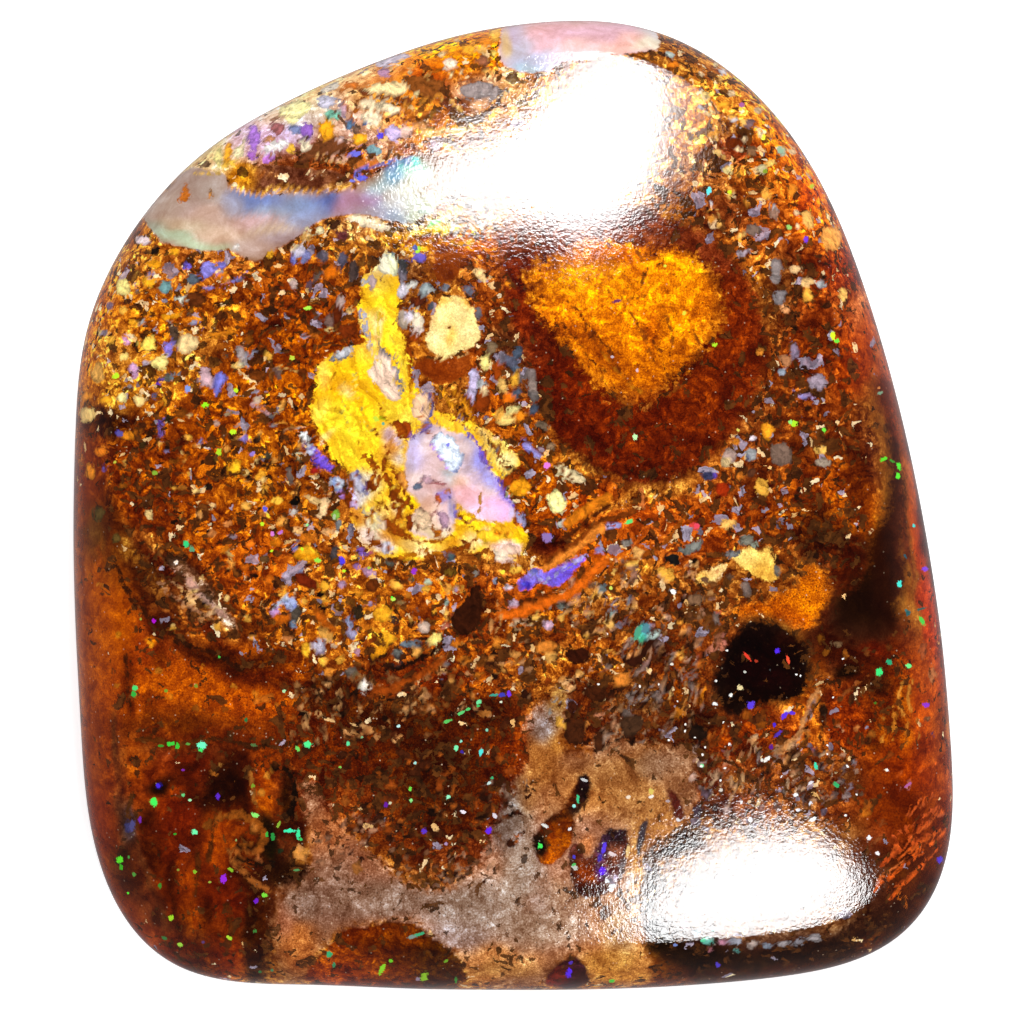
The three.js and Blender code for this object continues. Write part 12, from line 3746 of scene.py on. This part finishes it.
# ------------------------------------------------------------------ painting at the vertices
# each patch: level, softness of the edge, raggedness (units), fibres, grain shares (dark, cream, lilac), style (contrast, fineness, cloud)
PATCHES = {
    "vein": (0, 1.6, 3.0, 0, (0, 0, 0), (4, 6, 30)),
    "cap": (0, 1.6, 4.0, 0, (0, 0, 0), (4, 6, 24)),
    "yellow": (0, 1.6, 9.0, 1, (0, 0, 0), (26, 14, 16)),
    "brown": (0, 7.0, 12.0, 0, (10, 0, 0), (58, 50, 70)),
    "stone": (0, 6.0, 14.0, 0, (6, 0, 0), (30, 56, 64)),
    "shell": (0, 1.8, 4.0, 0, (10, 0, 0), (60, 40, 60)),
    "band": (0, 12.0, 14.0, 0, (0, 0, 0), (10, 16, 50)),
    "ochre": (0, 7.0, 16.0, 0, (1, 0, 0), (26, 80, 50)),
    "incl": (0, 1.6, 4.0, 0, (3, 5, 0), (60, 30, 40)),
    "core": (1, 2.4, 5.0, 0, (0, 0, 0), (6, 8, 30)),
    "cream": (1, 1.6, 5.0, 0, (0, 0, 0), (12, 24, 20)),
    "oval": (1, 8.0, 26.0, 2, (0, 0, 0), (42, 54, 70)),
    "hole_a": (1, 2.2, 5.0, 0, (8, 0, 0), (50, 50, 70)),
    "hole_b": (1, 2.2, 5.0, 0, (8, 0, 2), (50, 50, 70)),
    "hole_c": (1, 1.8, 3.0, 0, (0, 0, 0), (20, 30, 40)),
    "slot": (1, 2.4, 5.0, 0, (0, 0, 0), (20, 40, 50)),
    "gem": (1, 1.8, 3.0, 0, (6, 0, 0), (40, 10, 60)),
    "eye": (1, 7.0, 12.0, 0, (6, 0, 0), (30, 30, 80)),
    "vein2": (1, 1.6, 6.0, 0, (0, 0, 0), (20, 20, 40)),
    "cap_brown": (1, 1.8, 5.0, 0, (0, 0, 0), (22, 30, 40)),
    "brown2": (1, 1.8, 5.0, 0, (0, 0, 0), (22, 30, 40)),
    "butter": (1, 1.8, 7.0, 0, (0, 0, 0), (18, 30, 30)),
    "butter2": (1, 1.8, 7.0, 0, (0, 0, 0), (18, 30, 30)),
}
GAIN = 0.96


def lattice(x, y, cell, seed):
    """Smooth value noise between -1 and 1."""
    rng = np.random.default_rng(seed)
    table = rng.uniform(-1, 1, (256, 256))
    u, v = x / cell, y / cell
    i, j = np.floor(u).astype(int), np.floor(v).astype(int)
    f, g = u - i, v - j
    f, g = f * f * (3 - 2 * f), g * g * (3 - 2 * g)
    at = lambda a, b: table[a % 256, b % 256]
    return (at(i, j) * (1 - f) + at(i + 1, j) * f) * (1 - g) + (at(i, j + 1) * (1 - f) + at(i + 1, j + 1) * f) * g


def linear(c):
    c = np.clip(np.asarray(c, float) / 255.0, 0, 1)
    return np.where(c <= 0.04045, c / 12.92, ((c + 0.055) / 1.055) ** 2.4)


def soft_paint(name, x, y, start):
    out = np.tile(np.asarray(start, float), (len(x), 1))
    for layer_name, cx, cy, rx, ry, turn, colour, strength in PAINT:
        if layer_name != name:
            continue
        c, s = math.cos(math.radians(turn)), math.sin(math.radians(turn))
        dx, dy = x - cx, y - cy
        near = np.flatnonzero((np.abs(dx) < 1.7 * max(rx, ry)) & (np.abs(dy) < 1.7 * max(rx, ry)))
        if not len(near):
            continue
        dx, dy = dx[near], dy[near]
        q = ((dx * c + dy * s) / rx) ** 2 + ((-dx * s + dy * c) / ry) ** 2
        w = (strength * np.exp(-q * q))[:, None]
        out[near] = out[near] * (1 - w) + np.asarray(colour, float) * w
    return out


def rounded(points):
    p = np.asarray(points, float)
    for _ in range(2):
        q = np.roll(p, -1, axis=0)
        p = np.stack([0.75 * p + 0.25 * q, 0.25 * p + 0.75 * q], 1).reshape(-1, 2)
    return p


def patch_depth(x, y, points):
    """Depth inside a closed outline, negative outside."""
    p = rounded(points)
    best = np.full(len(x), 1e9)
    inside = np.zeros(len(x), bool)
    for (ax, ay), (bx, by) in zip(p, np.roll(p, -1, axis=0)):
        ex, ey = bx - ax, by - ay
        f = np.clip(((x - ax) * ex + (y - ay) * ey) / (ex * ex + ey * ey + 1e-12), 0, 1)
        best = np.minimum(best, np.hypot(x - ax - f * ex, y - ay - f * ey))
        if ay != by:
            inside ^= ((ay > y) != (by > y)) & (x < ax + (y - ay) * ex / ey)
    return np.where(inside, best, -best)


def grain_depth(x, y, cx, cy, rx, ry, turn):
    c, s = math.cos(math.radians(turn)), math.sin(math.radians(turn))
    dx, dy = x - cx, y - cy
    u, v = (dx * c + dy * s) / rx, (-dx * s + dy * c) / ry
    r = np.sqrt(u * u + v * v) + 1e-6
    return (1 - r) * r / (np.hypot(u / rx, v / ry) + 1e-6 / rx)


# where each vertex takes its paint: the underside carries on what reaches the rim, folded back
page_x, page_y = to_page(V[:, 0], V[:, 1], V[:, 2])
for k in range(1, UNDER + 1):
    row = slice(N_TOP + (k - 1) * len(half_ang), N_TOP + k * len(half_ang))
    d = 0.22 * k
    r = (1 - share(half_ang, np.full(len(half_ang), d))) * radius_at(half_ang)
    page_x[row], page_y[row] = to_page(r * np.cos(half_ang), r * np.sin(half_ang), GIRDLE_Z)
# the skin laid flat (mm): the shoulder and underside unrolled outwards, so that no pattern stretches down the sides
sheet = V[:, :2].copy()
steep = np.flatnonzero(~inner)
a_s, t_s = ang[steep], t_sh[steep]
face_r = (1 - share(a_s, shoulder_at(a_s))) * radius_at(a_s)
arc = np.zeros(len(steep))
last = None
for i in range(17):
    t = 1 - (1 - t_s) * i / 16
    r = (1 - share(a_s, t * shoulder_at(a_s))) * radius_at(a_s)
    z = face_height(r * np.cos(a_s), r * np.sin(a_s), t)
    if last is not None:
        arc += np.hypot(r - last[0], z - last[1])
    last = (r, z)
sheet[steep] = np.stack([np.cos(a_s), np.sin(a_s)], 1) * (face_r + arc)[:, None]
rim_r = np.hypot(*sheet[rim[::2]].T)
down = 0.0
upper = V[rim[::2]]
for k in range(1, UNDER + 1):
    row = slice(N_TOP + (k - 1) * len(half_ang), N_TOP + k * len(half_ang))
    down = down + np.linalg.norm(V[row] - upper, axis=1)
    upper = V[row]
    sheet[row] = np.stack([np.cos(half_ang), np.sin(half_ang)], 1) * (rim_r + down)[:, None]

wx = page_x + 4.5 * lattice(page_x, page_y, 26, 3) + 2.2 * lattice(page_x, page_y, 9, 4)
wy = page_y + 4.5 * lattice(page_x, page_y, 26, 5) + 2.2 * lattice(page_x, page_y, 9, 6)

matrix = soft_paint("M", wx, wy, (168, 96, 26))
matrix_share = soft_paint("MS", wx, wy, (26, 6, 5)) * (0.9, 0.45, 0.18)
matrix_style = soft_paint("MT", wx, wy, (90, 40, 30))

# the back: a sawn and ground face of plain ironstone
back = np.zeros(len(V))
back[UNDER_END:] = 1
for k in range(1, UNDER + 1):
    row = slice(N_TOP + (k - 1) * len(half_ang), N_TOP + k * len(half_ang))
    back[row] = np.clip((k - UNDER + 2) / 2.0, 0, 1)

levels = []
for level in (0, 1):
    best = np.full(len(V), -60.0)
    colour = np.tile(np.array([120.0, 70.0, 30.0]), (len(V), 1))
    shares = np.zeros((len(V), 3))
    style = np.zeros((len(V), 3))
    edge = np.tile(np.array([-12.0, 0.0, 0.0]), (len(V), 1))
    for name, (lv, softness, ragged, fibre, p_share, p_style) in PATCHES.items():
        if lv != level:
            continue
        outline = np.array(REGIONS[name], float)
        lo, hi = outline.min(0) - 30, outline.max(0) + 30
        near = np.flatnonzero((page_x > lo[0]) & (page_x < hi[0]) & (page_y > lo[1]) & (page_y < hi[1]))
        x, y = wx[near], wy[near]
        # the outline itself is warped less than the paint
        depth = patch_depth(0.5 * (page_x[near] + x), 0.5 * (page_y[near] + y), outline)
        won = depth > best[near]
        hit = near[won]
        best[hit] = depth[won]
        colour[hit] = soft_paint(name, wx[hit], wy[hit], (120, 70, 30))
        shares[hit] = p_share
        style[hit] = p_style
        edge[hit] = np.stack([depth[won] / softness, np.full(len(hit), ragged / softness), np.full(len(hit), float(fibre))], 1)
    levels.append((colour, shares, style, edge))

# crisp grains and threads
g_depth = np.full(len(V), -9.0)
g_colour = np.tile(np.array([120.0, 70.0, 30.0]), (len(V), 1))
for cx, cy, rx, ry, turn, colour in GRAINS:
    m = max(rx, ry) + 9
    near = np.flatnonzero((np.abs(wx - cx) < m) & (np.abs(wy - cy) < m))
    d = grain_depth(0.4 * wx[near] + 0.6 * page_x[near], 0.4 * wy[near] + 0.6 * page_y[near], cx, cy, rx, ry, turn)
    won = d > g_depth[near]
    g_depth[near[won]] = d[won]
    g_colour[near[won]] = colour
for points, colour in CHIPS:
    outline = np.array(points, float)
    lo, hi = outline.min(0) - 10, outline.max(0) + 10
    near = np.flatnonzero((page_x > lo[0]) & (page_x < hi[0]) & (page_y > lo[1]) & (page_y < hi[1]))
    d = patch_depth(0.3 * wx[near] + 0.7 * page_x[near], 0.3 * wy[near] + 0.7 * page_y[near], outline)
    won = d > g_depth[near]
    g_depth[near[won]] = d[won]
    g_colour[near[won]] = colour
for points, half, colour in THREADS:
    p = np.asarray(points, float)
    lo, hi = p.min(0) - 12, p.max(0) + 12
    near = np.flatnonzero((page_x > lo[0]) & (page_x < hi[0]) & (page_y > lo[1]) & (page_y < hi[1]))
    x, y = 0.5 * (wx[near] + page_x[near]), 0.5 * (wy[near] + page_y[near])
    best = np.full(len(near), 1e9)
    for (ax, ay), (bx, by) in zip(p[:-1], p[1:]):
        ex, ey = bx - ax, by - ay
        f = np.clip(((x - ax) * ex + (y - ay) * ey) / (ex * ex + ey * ey + 1e-12), 0, 1)
        best = np.minimum(best, np.hypot(x - ax - f * ex, y - ay - f * ey))
    d = half - best
    won = d > np.minimum(g_depth[near], 0.9)
    g_depth[near[won]] = d[won]
    g_colour[near[won]] = colour

# flecks of colour play and painted glints: exact ellipse coordinates, drawn only where a whole face belongs to one
# fleck
fleck_layers = [[] for _ in range(4)]
for fleck in FLECKS_AND_GLINTS:
    x, y, a, b = fleck[:4]
    reach = max(a, b) + 6.5
    for slot_list in fleck_layers:
        if all(math.hypot(x - o[0], y - o[1]) > reach + max(o[2], o[3]) + 6.5 + 6 for o in slot_list):
            slot_list.append(fleck)
            break
fleck_uv, fleck_colour = [], []
for slot_list in fleck_layers:
    uvw = np.zeros((len(V), 3))
    col = np.zeros((len(V), 3))
    for x, y, a, b, turn, colour in slot_list:
        c, s = math.cos(math.radians(turn)), math.sin(math.radians(turn))
        dx, dy = page_x[:UNDER_END] - x, page_y[:UNDER_END] - y
        near = np.flatnonzero(np.hypot(dx, dy) < max(a, b) + 6.5)
        uvw[near] = np.stack([(dx[near] * c + dy[near] * s) / a, (-dx[near] * s + dy[near] * c) / b, np.ones(len(near))], 1)
        col[near] = colour
    uvw[N_TOP:] = 0
    fleck_uv.append(uvw)
    fleck_colour.append(col)


def store(name, kind, values):
    a = mesh.attributes.new(name, kind, "POINT")
    values = np.asarray(values, np.float32)
    if kind == "FLOAT":
        a.data.foreach_set("value", values.ravel())
    elif kind == "FLOAT_VECTOR":
        a.data.foreach_set("vector", values.ravel())
    else:
        rgba = np.ones((len(values), 4), np.float32)
        rgba[:, :3] = values
        a.data.foreach_set("color", rgba.ravel())


store("base", "FLOAT_COLOR", linear(matrix) * GAIN)
store("base_share", "FLOAT_VECTOR", matrix_share / 100)
store("base_style", "FLOAT_VECTOR", matrix_style / 100)
for n, (colour, shares, style, edge) in enumerate(levels):
    store("patch%d" % n, "FLOAT_COLOR", linear(colour) * GAIN)
    store("patch%d_share" % n, "FLOAT_VECTOR", shares / 100)
    store("patch%d_style" % n, "FLOAT_VECTOR", style / 100)
    store("patch%d_edge" % n, "FLOAT_VECTOR", edge)
store("grain", "FLOAT_COLOR", linear(g_colour) * GAIN)
store("grain_depth", "FLOAT", g_depth)
for n in range(4):
    store("fleck%d_at" % n, "FLOAT_VECTOR", fleck_uv[n])
    store("fleck%d" % n, "FLOAT_COLOR", linear(fleck_colour[n]))
store("back", "FLOAT", back)
store("sheet", "FLOAT_VECTOR", np.column_stack([sheet, np.zeros(len(V))]))

# ------------------------------------------------------------------ material
mat = bpy.data.materials.new("boulder_opal")
mat.use_nodes = True
tree = mat.node_tree
nodes, links = tree.nodes, tree.links
bsdf = nodes["Principled BSDF"]


def put(socket, value):
    if isinstance(value, bpy.types.NodeSocket):
        links.new(value, socket)
    elif isinstance(value, (tuple, list)):
        n = len(socket.default_value)
        socket.default_value = tuple(value)[:n] + (1.0,) * (n - len(value))
    else:
        socket.default_value = value


def math_node(op, a, b=0.0, c=0.0, clamp=False):
    n = nodes.new("ShaderNodeMath")
    n.operation, n.use_clamp = op, clamp
    for s, v in zip(n.inputs, (a, b, c)):
        put(s, v)
    return n.outputs[0]


add = lambda a, b: math_node("ADD", a, b)
sub = lambda a, b: math_node("SUBTRACT", a, b)
mul = lambda a, b: math_node("MULTIPLY", a, b)
mad = lambda a, b, c: math_node("MULTIPLY_ADD", a, b, c)
less = lambda a, b: math_node("LESS_THAN", a, b)
more = lambda a, b: math_node("GREATER_THAN", a, b)
high = lambda a, b: math_node("MAXIMUM", a, b)
low = lambda a, b: math_node("MINIMUM", a, b)


def vector(op, a, b=None, scale=None):
    n = nodes.new("ShaderNodeVectorMath")
    n.operation = op
    put(n.inputs[0], a)
    if b is not None:
        put(n.inputs[1], b)
    if scale is not None:
        put(n.inputs["Scale"], scale)
    return n.outputs["Value"] if op in ("LENGTH", "DOT_PRODUCT", "DISTANCE") else n.outputs[0]


def step(v, lo, hi, to_lo=0.0, to_hi=1.0):
    n = nodes.new("ShaderNodeMapRange")
    n.interpolation_type = "SMOOTHSTEP"
    for k, x in zip(("Value", "From Min", "From Max", "To Min", "To Max"), (v, lo, hi, to_lo, to_hi)):
        put(n.inputs[k], x)
    return n.outputs["Result"]


def span(v, lo, hi, to_lo=0.0, to_hi=1.0):
    n = nodes.new("ShaderNodeMapRange")
    for k, x in zip(("Value", "From Min", "From Max", "To Min", "To Max"), (v, lo, hi, to_lo, to_hi)):
        put(n.inputs[k], x)
    return n.outputs["Result"]


def mix(f, a, b, kind="RGBA", blend="MIX"):
    n = nodes.new("ShaderNodeMix")
    n.data_type = kind
    if kind == "RGBA":
        n.blend_type = blend
    names = {"RGBA": (6, 7, 2), "VECTOR": (4, 5, 1), "FLOAT": (2, 3, 0)}[kind]
    put(n.inputs[0], f)
    put(n.inputs[names[0]], a)
    put(n.inputs[names[1]], b)
    return n.outputs[names[2]]


def noise(at, scale, detail=2.0, rough=0.5, colour=False, distortion=0.0):
    n = nodes.new("ShaderNodeTexNoise")
    n.noise_dimensions = "2D"
    put(n.inputs["Vector"], at)
    n.inputs["Scale"].default_value = scale
    n.inputs["Detail"].default_value = detail
    n.inputs["Roughness"].default_value = rough
    n.inputs["Distortion"].default_value = distortion
    return n.outputs["Color" if colour else 0]


def voronoi(at, scale, feature="F1", randomness=1.0):
    n = nodes.new("ShaderNodeTexVoronoi")
    n.voronoi_dimensions = "2D"
    n.feature = feature
    put(n.inputs["Vector"], at)
    put(n.inputs["Scale"], scale)
    n.inputs["Randomness"].default_value = randomness
    return n.outputs["Distance"], n.outputs.get("Color")


def attr(name, kind):
    n = nodes.new("ShaderNodeAttribute")
    n.attribute_type = "GEOMETRY"
    n.attribute_name = name
    return n.outputs[{"c": "Color", "v": "Vector", "f": "Fac"}[kind]]


def parts(v):
    n = nodes.new("ShaderNodeSeparateXYZ")
    put(n.inputs[0], v)
    return n.outputs[0], n.outputs[1], n.outputs[2]


def rgb(c):
    n = nodes.new("ShaderNodeSeparateColor")
    put(n.inputs[0], c)
    return n.outputs[0], n.outputs[1], n.outputs[2]


def turned(v, degrees, stretch):
    """Coordinates turned about z and squeezed along the fibres."""
    n = nodes.new("ShaderNodeMapping")
    n.vector_type = "TEXTURE"
    put(n.inputs["Vector"], v)
    n.inputs["Rotation"].default_value = (0, 0, math.radians(degrees))
    n.inputs["Scale"].default_value = stretch
    return n.outputs[0]


def hue(c, h=0.5, s=1.0, v=1.0):
    n = nodes.new("ShaderNodeHueSaturation")
    for k, x in (("Hue", h), ("Saturation", s), ("Value", v), ("Color", c)):
        put(n.inputs[k], x)
    return n.outputs[0]


here = nodes.new("ShaderNodeTexCoord").outputs["Object"]
solid = vector("SCALE", here, scale=1000.0)  # mm
at = attr("sheet", "v")

# ---- grains: cells of two sizes in coordinates that drift and wobble
ragged_a = sub(noise(at, 3.2, 4.0, 0.65), 0.5)
ragged_b = sub(noise(at, 9.0, 3.0, 0.7), 0.5)
drift = vector("SCALE", vector("SUBTRACT", noise(at, 2.2, 1.0, 0.5, True), (0.5, 0.5, 0.5)), scale=0.34)
wobble = vector("SCALE", vector("SUBTRACT", noise(at, 13.0, 2.0, 0.6, True), (0.5, 0.5, 0.5)), scale=0.125)
loose = vector("ADD", vector("ADD", at, drift), wobble)
strands = turned(loose, -60.0, (5.0, 0.8, 1.0))
e0 = parts(attr("patch0_edge", "v"))
e1 = parts(attr("patch1_edge", "v"))
c_d2, c2 = voronoi(loose, 10.0)
s1, s2, s3 = rgb(c2)

# ---- masks: ragged edges that follow the small cells
ragged = add(add(mul(ragged_a, 0.9), mul(ragged_b, 1.0)), mul(sub(s1, 0.5), 0.34))
mask0 = step(mad(ragged, e0[1], e0[0]), -1.0, 1.0)
mask1 = step(mad(ragged, e1[1], e1[0]), -1.0, 1.0)
g_in = attr("grain_depth", "f")
g_jag = add(mul(ragged_b, 3.2), mul(sub(s2, 0.5), 3.0))
g_mask = step(add(g_in, g_jag), -1.0, 1.2)

base_c = mix(mask1, mix(mask0, attr("base", "c"), attr("patch0", "c")), attr("patch1", "c"))
share_v = mix(mask1, mix(mask0, attr("base_share", "v"), attr("patch0_share", "v"), "VECTOR"), attr("patch1_share", "v"), "VECTOR")
style_v = mix(mask1, mix(mask0, attr("base_style", "v"), attr("patch0_style", "v"), "VECTOR"), attr("patch1_style", "v"), "VECTOR")
p_dark, p_cream, p_lilac = parts(share_v)
contrast, fine, cloud = parts(style_v)
fibre = mul(mul(more(mask0, 0.5), e0[2]), less(mask1, 0.5))

grain_at = mix(fibre, loose, strands, "VECTOR")
c_d1, c1 = voronoi(grain_at, 4.9)
r1, r2, r3 = rgb(c1)
mid = sub(noise(grain_at, 6.4, 4.0, 0.68), 0.5)
big = sub(noise(at, 1.9, 4.0, 0.6, distortion=0.5), 0.5)
sand = sub(noise(at, 25.0, 2.0, 0.7), 0.5)
pick = more(add(mul(big, 1.0), mul(sub(r3, 0.5), 0.30)), -0.02)
a1, a2, a3 = mix(pick, r1, s1, "FLOAT"), mix(pick, r2, s2, "FLOAT"), mix(pick, r3, s3, "FLOAT")
far = mix(pick, c_d1, c_d2, "FLOAT")

# the logarithm of each point's brightness about its paint
level = add(mul(sub(a1, 0.5), 1.5), mul(mid, 4.6))
level = add(level, mul(sub(0.42, far), 1.5))
level = mul(level, mul(contrast, 1.22))
level = add(level, mul(mul(sand, fine), 4.2))
level = add(level, mul(big, add(mul(cloud, 3.4), mul(contrast, 2.3))))
level = sub(level, mul(contrast, 0.16))
tone = nodes.new("ShaderNodeCombineXYZ")
put(tone.inputs[0], math_node("EXPONENT", mul(level, 0.78)))
put(tone.inputs[1], math_node("EXPONENT", mul(level, 1.12)))
put(tone.inputs[2], math_node("EXPONENT", mul(level, 1.42)))
body = vector("MULTIPLY", base_c, tone.outputs[0])

# odd grains
vivid = step(contrast, 0.0, 0.3)
is_dark = less(mul(a2, mad(mid, 1.5, 1.0)), p_dark)
is_cream = less(mul(sub(1.0, a3), mad(mid, 1.5, 1.0)), p_cream)
is_lilac = less(a3, p_lilac)
shade = mad(mid, 2.4, 1.0)
body = mix(mul(is_dark, 0.9), body, hue(mix(s3, (0.022, 0.007, 0.002), (0.10, 0.030, 0.005)), 0.5, 1.0, shade))
body = mix(mul(is_cream, 0.85), body, hue(mix(s2, (0.78, 0.42, 0.13), (0.92, 0.76, 0.46)), 0.5, 1.0, shade))
body = mix(mul(is_lilac, 0.8), body, hue(mix(s1, (0.13, 0.11, 0.15), (0.42, 0.36, 0.46)), 0.5, 1.0, shade))

# pin-prick specks in the sandy parts
pin_d, pin_c = voronoi(at, 15.0)
pin_r = rgb(pin_c)
pin = mul(step(pin_d, 0.30, 0.18), fine)
body = mix(mul(pin, less(pin_r[0], 0.10)), body, (0.025, 0.008, 0.002))
body = mix(mul(mul(pin, more(pin_r[0], 0.986)), 0.6), body, (0.80, 0.60, 0.40))

# crisp grains laid over
laid = hue(attr("grain", "c"), 0.5, 1.0, mul(mad(mid, 2.6, 1.0), mad(step(add(g_in, mul(g_jag, 0.5)), -0.5, 4.0), 0.45, 0.65)))
body = mix(g_mask, body, laid)

# flecks of colour play, and painted glints (small white painted highlights)
for n in range(4):
    fu, fv, fw = parts(attr("fleck%d_at" % n, "v"))
    r = math_node("SQRT", add(mul(fu, fu), mul(fv, fv)))
    inside_f = mul(more(fw, 0.999), step(add(r, mul(add(ragged_b, mul(sand, 0.8)), 1.5)), 0.80, 1.05, 1.0, 0.0))
    body = mix(inside_f, body, attr("fleck%d" % n, "c"))

# the back: ground ironstone
bk = attr("back", "f")
bands = noise(vector("MULTIPLY", solid, (0.16, 0.9, 1.0)), 1.0, 5.0, 0.6, distortion=1.2)
iron = mix(step(bands, 0.35, 0.65), (0.075, 0.026, 0.009), (0.19, 0.078, 0.024))
iron = hue(iron, 0.5, 1.0, mad(sand, 1.0, 1.0))
saw = noise(vector("MULTIPLY", solid, (0.25, 22.0, 1.0)), 1.0, 2.0, 0.5)
body = mix(bk, body, iron)

body = vector("MINIMUM", body, (0.93, 0.92, 0.92))
put(bsdf.inputs["Base Color"], body)
bsdf.inputs["IOR"].default_value = 1.58
bsdf.inputs["Metallic"].default_value = 0.0
gloss = mad(mul(ragged_b, 1.0), 0.04, 0.055)
gloss = mix(bk, gloss, mad(saw, 0.2, 0.30), "FLOAT")
put(bsdf.inputs["Roughness"], gloss)

# relief: a faint noise ripple on the face, saw marks on the back
relief = noise(at, 10.0, 2.0, 0.75)
relief = mix(bk, relief, mul(saw, 2.0), "FLOAT")
bump = nodes.new("ShaderNodeBump")
bump.inputs["Strength"].default_value = 1.0
bump.inputs["Distance"].default_value = 0.0000022
put(bump.inputs["Height"], relief)
put(bsdf.inputs["Normal"], bump.outputs[0])
mesh.materials.append(mat)

# ------------------------------------------------------------------ table, light and camera
scene = bpy.context.scene
scene.view_settings.view_transform = "Standard"
scene.view_settings.look = "None"
scene.view_settings.exposure = 0.0
scene.view_settings.gamma = 1.0

floor_mesh = bpy.data.meshes.new("table")
fs = 0.6
floor_mesh.from_pydata([(-fs, -fs, 0), (fs, -fs, 0), (fs, fs, 0), (-fs, fs, 0)], [], [(0, 1, 2, 3)])
table = bpy.data.objects.new("table", floor_mesh)
table.location = (0, 0, -0.00002)
scene.collection.objects.link(table)
white = bpy.data.materials.new("table_white")
white.use_nodes = True
wb = white.node_tree.nodes["Principled BSDF"]
wb.inputs["Base Color"].default_value = (0.86, 0.86, 0.86, 1)
wb.inputs["Roughness"].default_value = 0.7
wb.inputs["Emission Color"].default_value = (1, 1, 1, 1)
wb.inputs["Emission Strength"].default_value = 0.62
wb.inputs["Specular IOR Level"].default_value = 0.2
floor_mesh.materials.append(white)
table.visible_glossy = False


def softbox(name, at_page, at_z, normal, size, radiance, distance, roll=0.0, colour=(1, 1, 1), ellipse=True):
    """A soft light whose mirror image lies at a page position where the stone's normal is known."""
    px, py = at_page
    x, y = (px - 505.0) * UNIT + CAM_X, (505.0 - py) * UNIT
    n = np.array(normal, float)
    n /= np.linalg.norm(n)
    view = np.array([CAM_X - x, -y, CAM_D - at_z])
    view /= np.linalg.norm(view)
    out = 2 * np.dot(view, n) * n - view
    p = np.array([x, y, at_z]) * MM + out * distance
    data = bpy.data.lights.new(name, "AREA")
    data.shape = "ELLIPSE" if ellipse else "RECTANGLE"
    data.size, data.size_y = size
    area = size[0] * size[1] * (math.pi / 4 if ellipse else 1)
    data.energy = radiance * math.pi * area
    data.color = colour
    lamp = bpy.data.objects.new(name, data)
    lamp.location = p
    # faces the stone, rolled about its own axis
    import mathutils
    q = mathutils.Vector(-out).to_track_quat("-Z", "Y")
    lamp.rotation_euler = (q @ mathutils.Quaternion((0, 0, 1), roll)).to_euler()
    lamp.visible_camera = False
    scene.collection.objects.link(lamp)
    return lamp


def normal_at(px, py):
    """The face's normal at a page position."""
    x, y = (px - 505.0) * UNIT + CAM_X, (505.0 - py) * UNIT
    e = 0.02

    def h(xx, yy):
        a = np.arctan2(yy, xx)
        a = np.array([a % (2 * math.pi)])
        r = math.hypot(xx, yy)
        d = (1 - r / radius_at(a)[0]) / share(a, np.array([1.0]))[0]
        return float(face_height(xx, yy, np.array([d / shoulder_at(a)[0]]))[0])

    return (-(h(x + e, y) - h(x - e, y)) / (2 * e), -(h(x, y + e) - h(x, y - e)) / (2 * e), 1.0), h(x, y)

nA, zA = normal_at(602, 140)
softbox("north_box", (602, 140), zA, nA, (0.078, 0.090), 21.0, 0.30, roll=math.radians(0))
nC, zC = normal_at(525, 175)
softbox("north_wing", (525, 175), zC, nC, (0.102, 0.048), 21.0, 0.31, roll=math.radians(0))
nD, zD = normal_at(655, 130)
softbox("north_veil", (655, 130), zD, nD, (0.060, 0.080), 4.5, 0.305, roll=math.radians(0))
nB, zB = normal_at(775, 882)
softbox("south_box", (775, 882), zB, nB, (0.110, 0.049), 21.0, 0.30, roll=math.radians(0))

world = bpy.data.worlds.new("studio")
scene.world = world
world.use_nodes = True
wn = world.node_tree
wn.nodes.clear()
w_out = wn.nodes.new("ShaderNodeOutputWorld")
w_bg = wn.nodes.new("ShaderNodeBackground")
w_tc = wn.nodes.new("ShaderNodeTexCoord")
w_sep = wn.nodes.new("ShaderNodeSeparateXYZ")
w_ramp = wn.nodes.new("ShaderNodeValToRGB")
wn.links.new(w_tc.outputs["Generated"], w_sep.inputs[0])
wn.links.new(w_sep.outputs["Z"], w_ramp.inputs[0])
w_map = wn.nodes.new("ShaderNodeMapRange")
w_map.inputs["From Min"].default_value = -1.0
wn.links.new(w_sep.outputs["Z"], w_map.inputs["Value"])
wn.links.new(w_map.outputs[0], w_ramp.inputs[0])
e = w_ramp.color_ramp.elements
e[0].position, e[0].color = 0.0, (0.35, 0.35, 0.36, 1)
e[1].position, e[1].color = 1.0, (0.03, 0.03, 0.033, 1)
for place, level in ((0.06, 0.30), (0.2, 0.16), (0.5, 0.10), (0.65, 0.08), (0.82, 0.04)):
    m = e.new(place)
    m.color = (level, level, level * 1.04, 1)
w_path = wn.nodes.new("ShaderNodeLightPath")
w_mix = wn.nodes.new("ShaderNodeMix")
w_mix.data_type = "RGBA"
wn.links.new(w_path.outputs["Is Glossy Ray"], w_mix.inputs[0])
w_mix.inputs[6].default_value = (0.42, 0.42, 0.43, 1)
wn.links.new(w_ramp.outputs[0], w_mix.inputs[7])
wn.links.new(w_mix.outputs[2], w_bg.inputs["Color"])
w_bg.inputs["Strength"].default_value = 1.0
wn.links.new(w_bg.outputs[0], w_out.inputs[0])

cam_data = bpy.data.cameras.new("camera")
cam_data.sensor_fit = "HORIZONTAL"
cam_data.sensor_width = 36.0
cam_data.lens = 36.0 * (CAM_D - GIRDLE_Z) / (1010.0 * UNIT)
cam_data.clip_start = 0.05
cam_data.clip_end = 5.0
camera = bpy.data.objects.new("camera", cam_data)
camera.location = (CAM_X * MM, 0.0, CAM_D * MM)
scene.collection.objects.link(camera)
scene.camera = camera

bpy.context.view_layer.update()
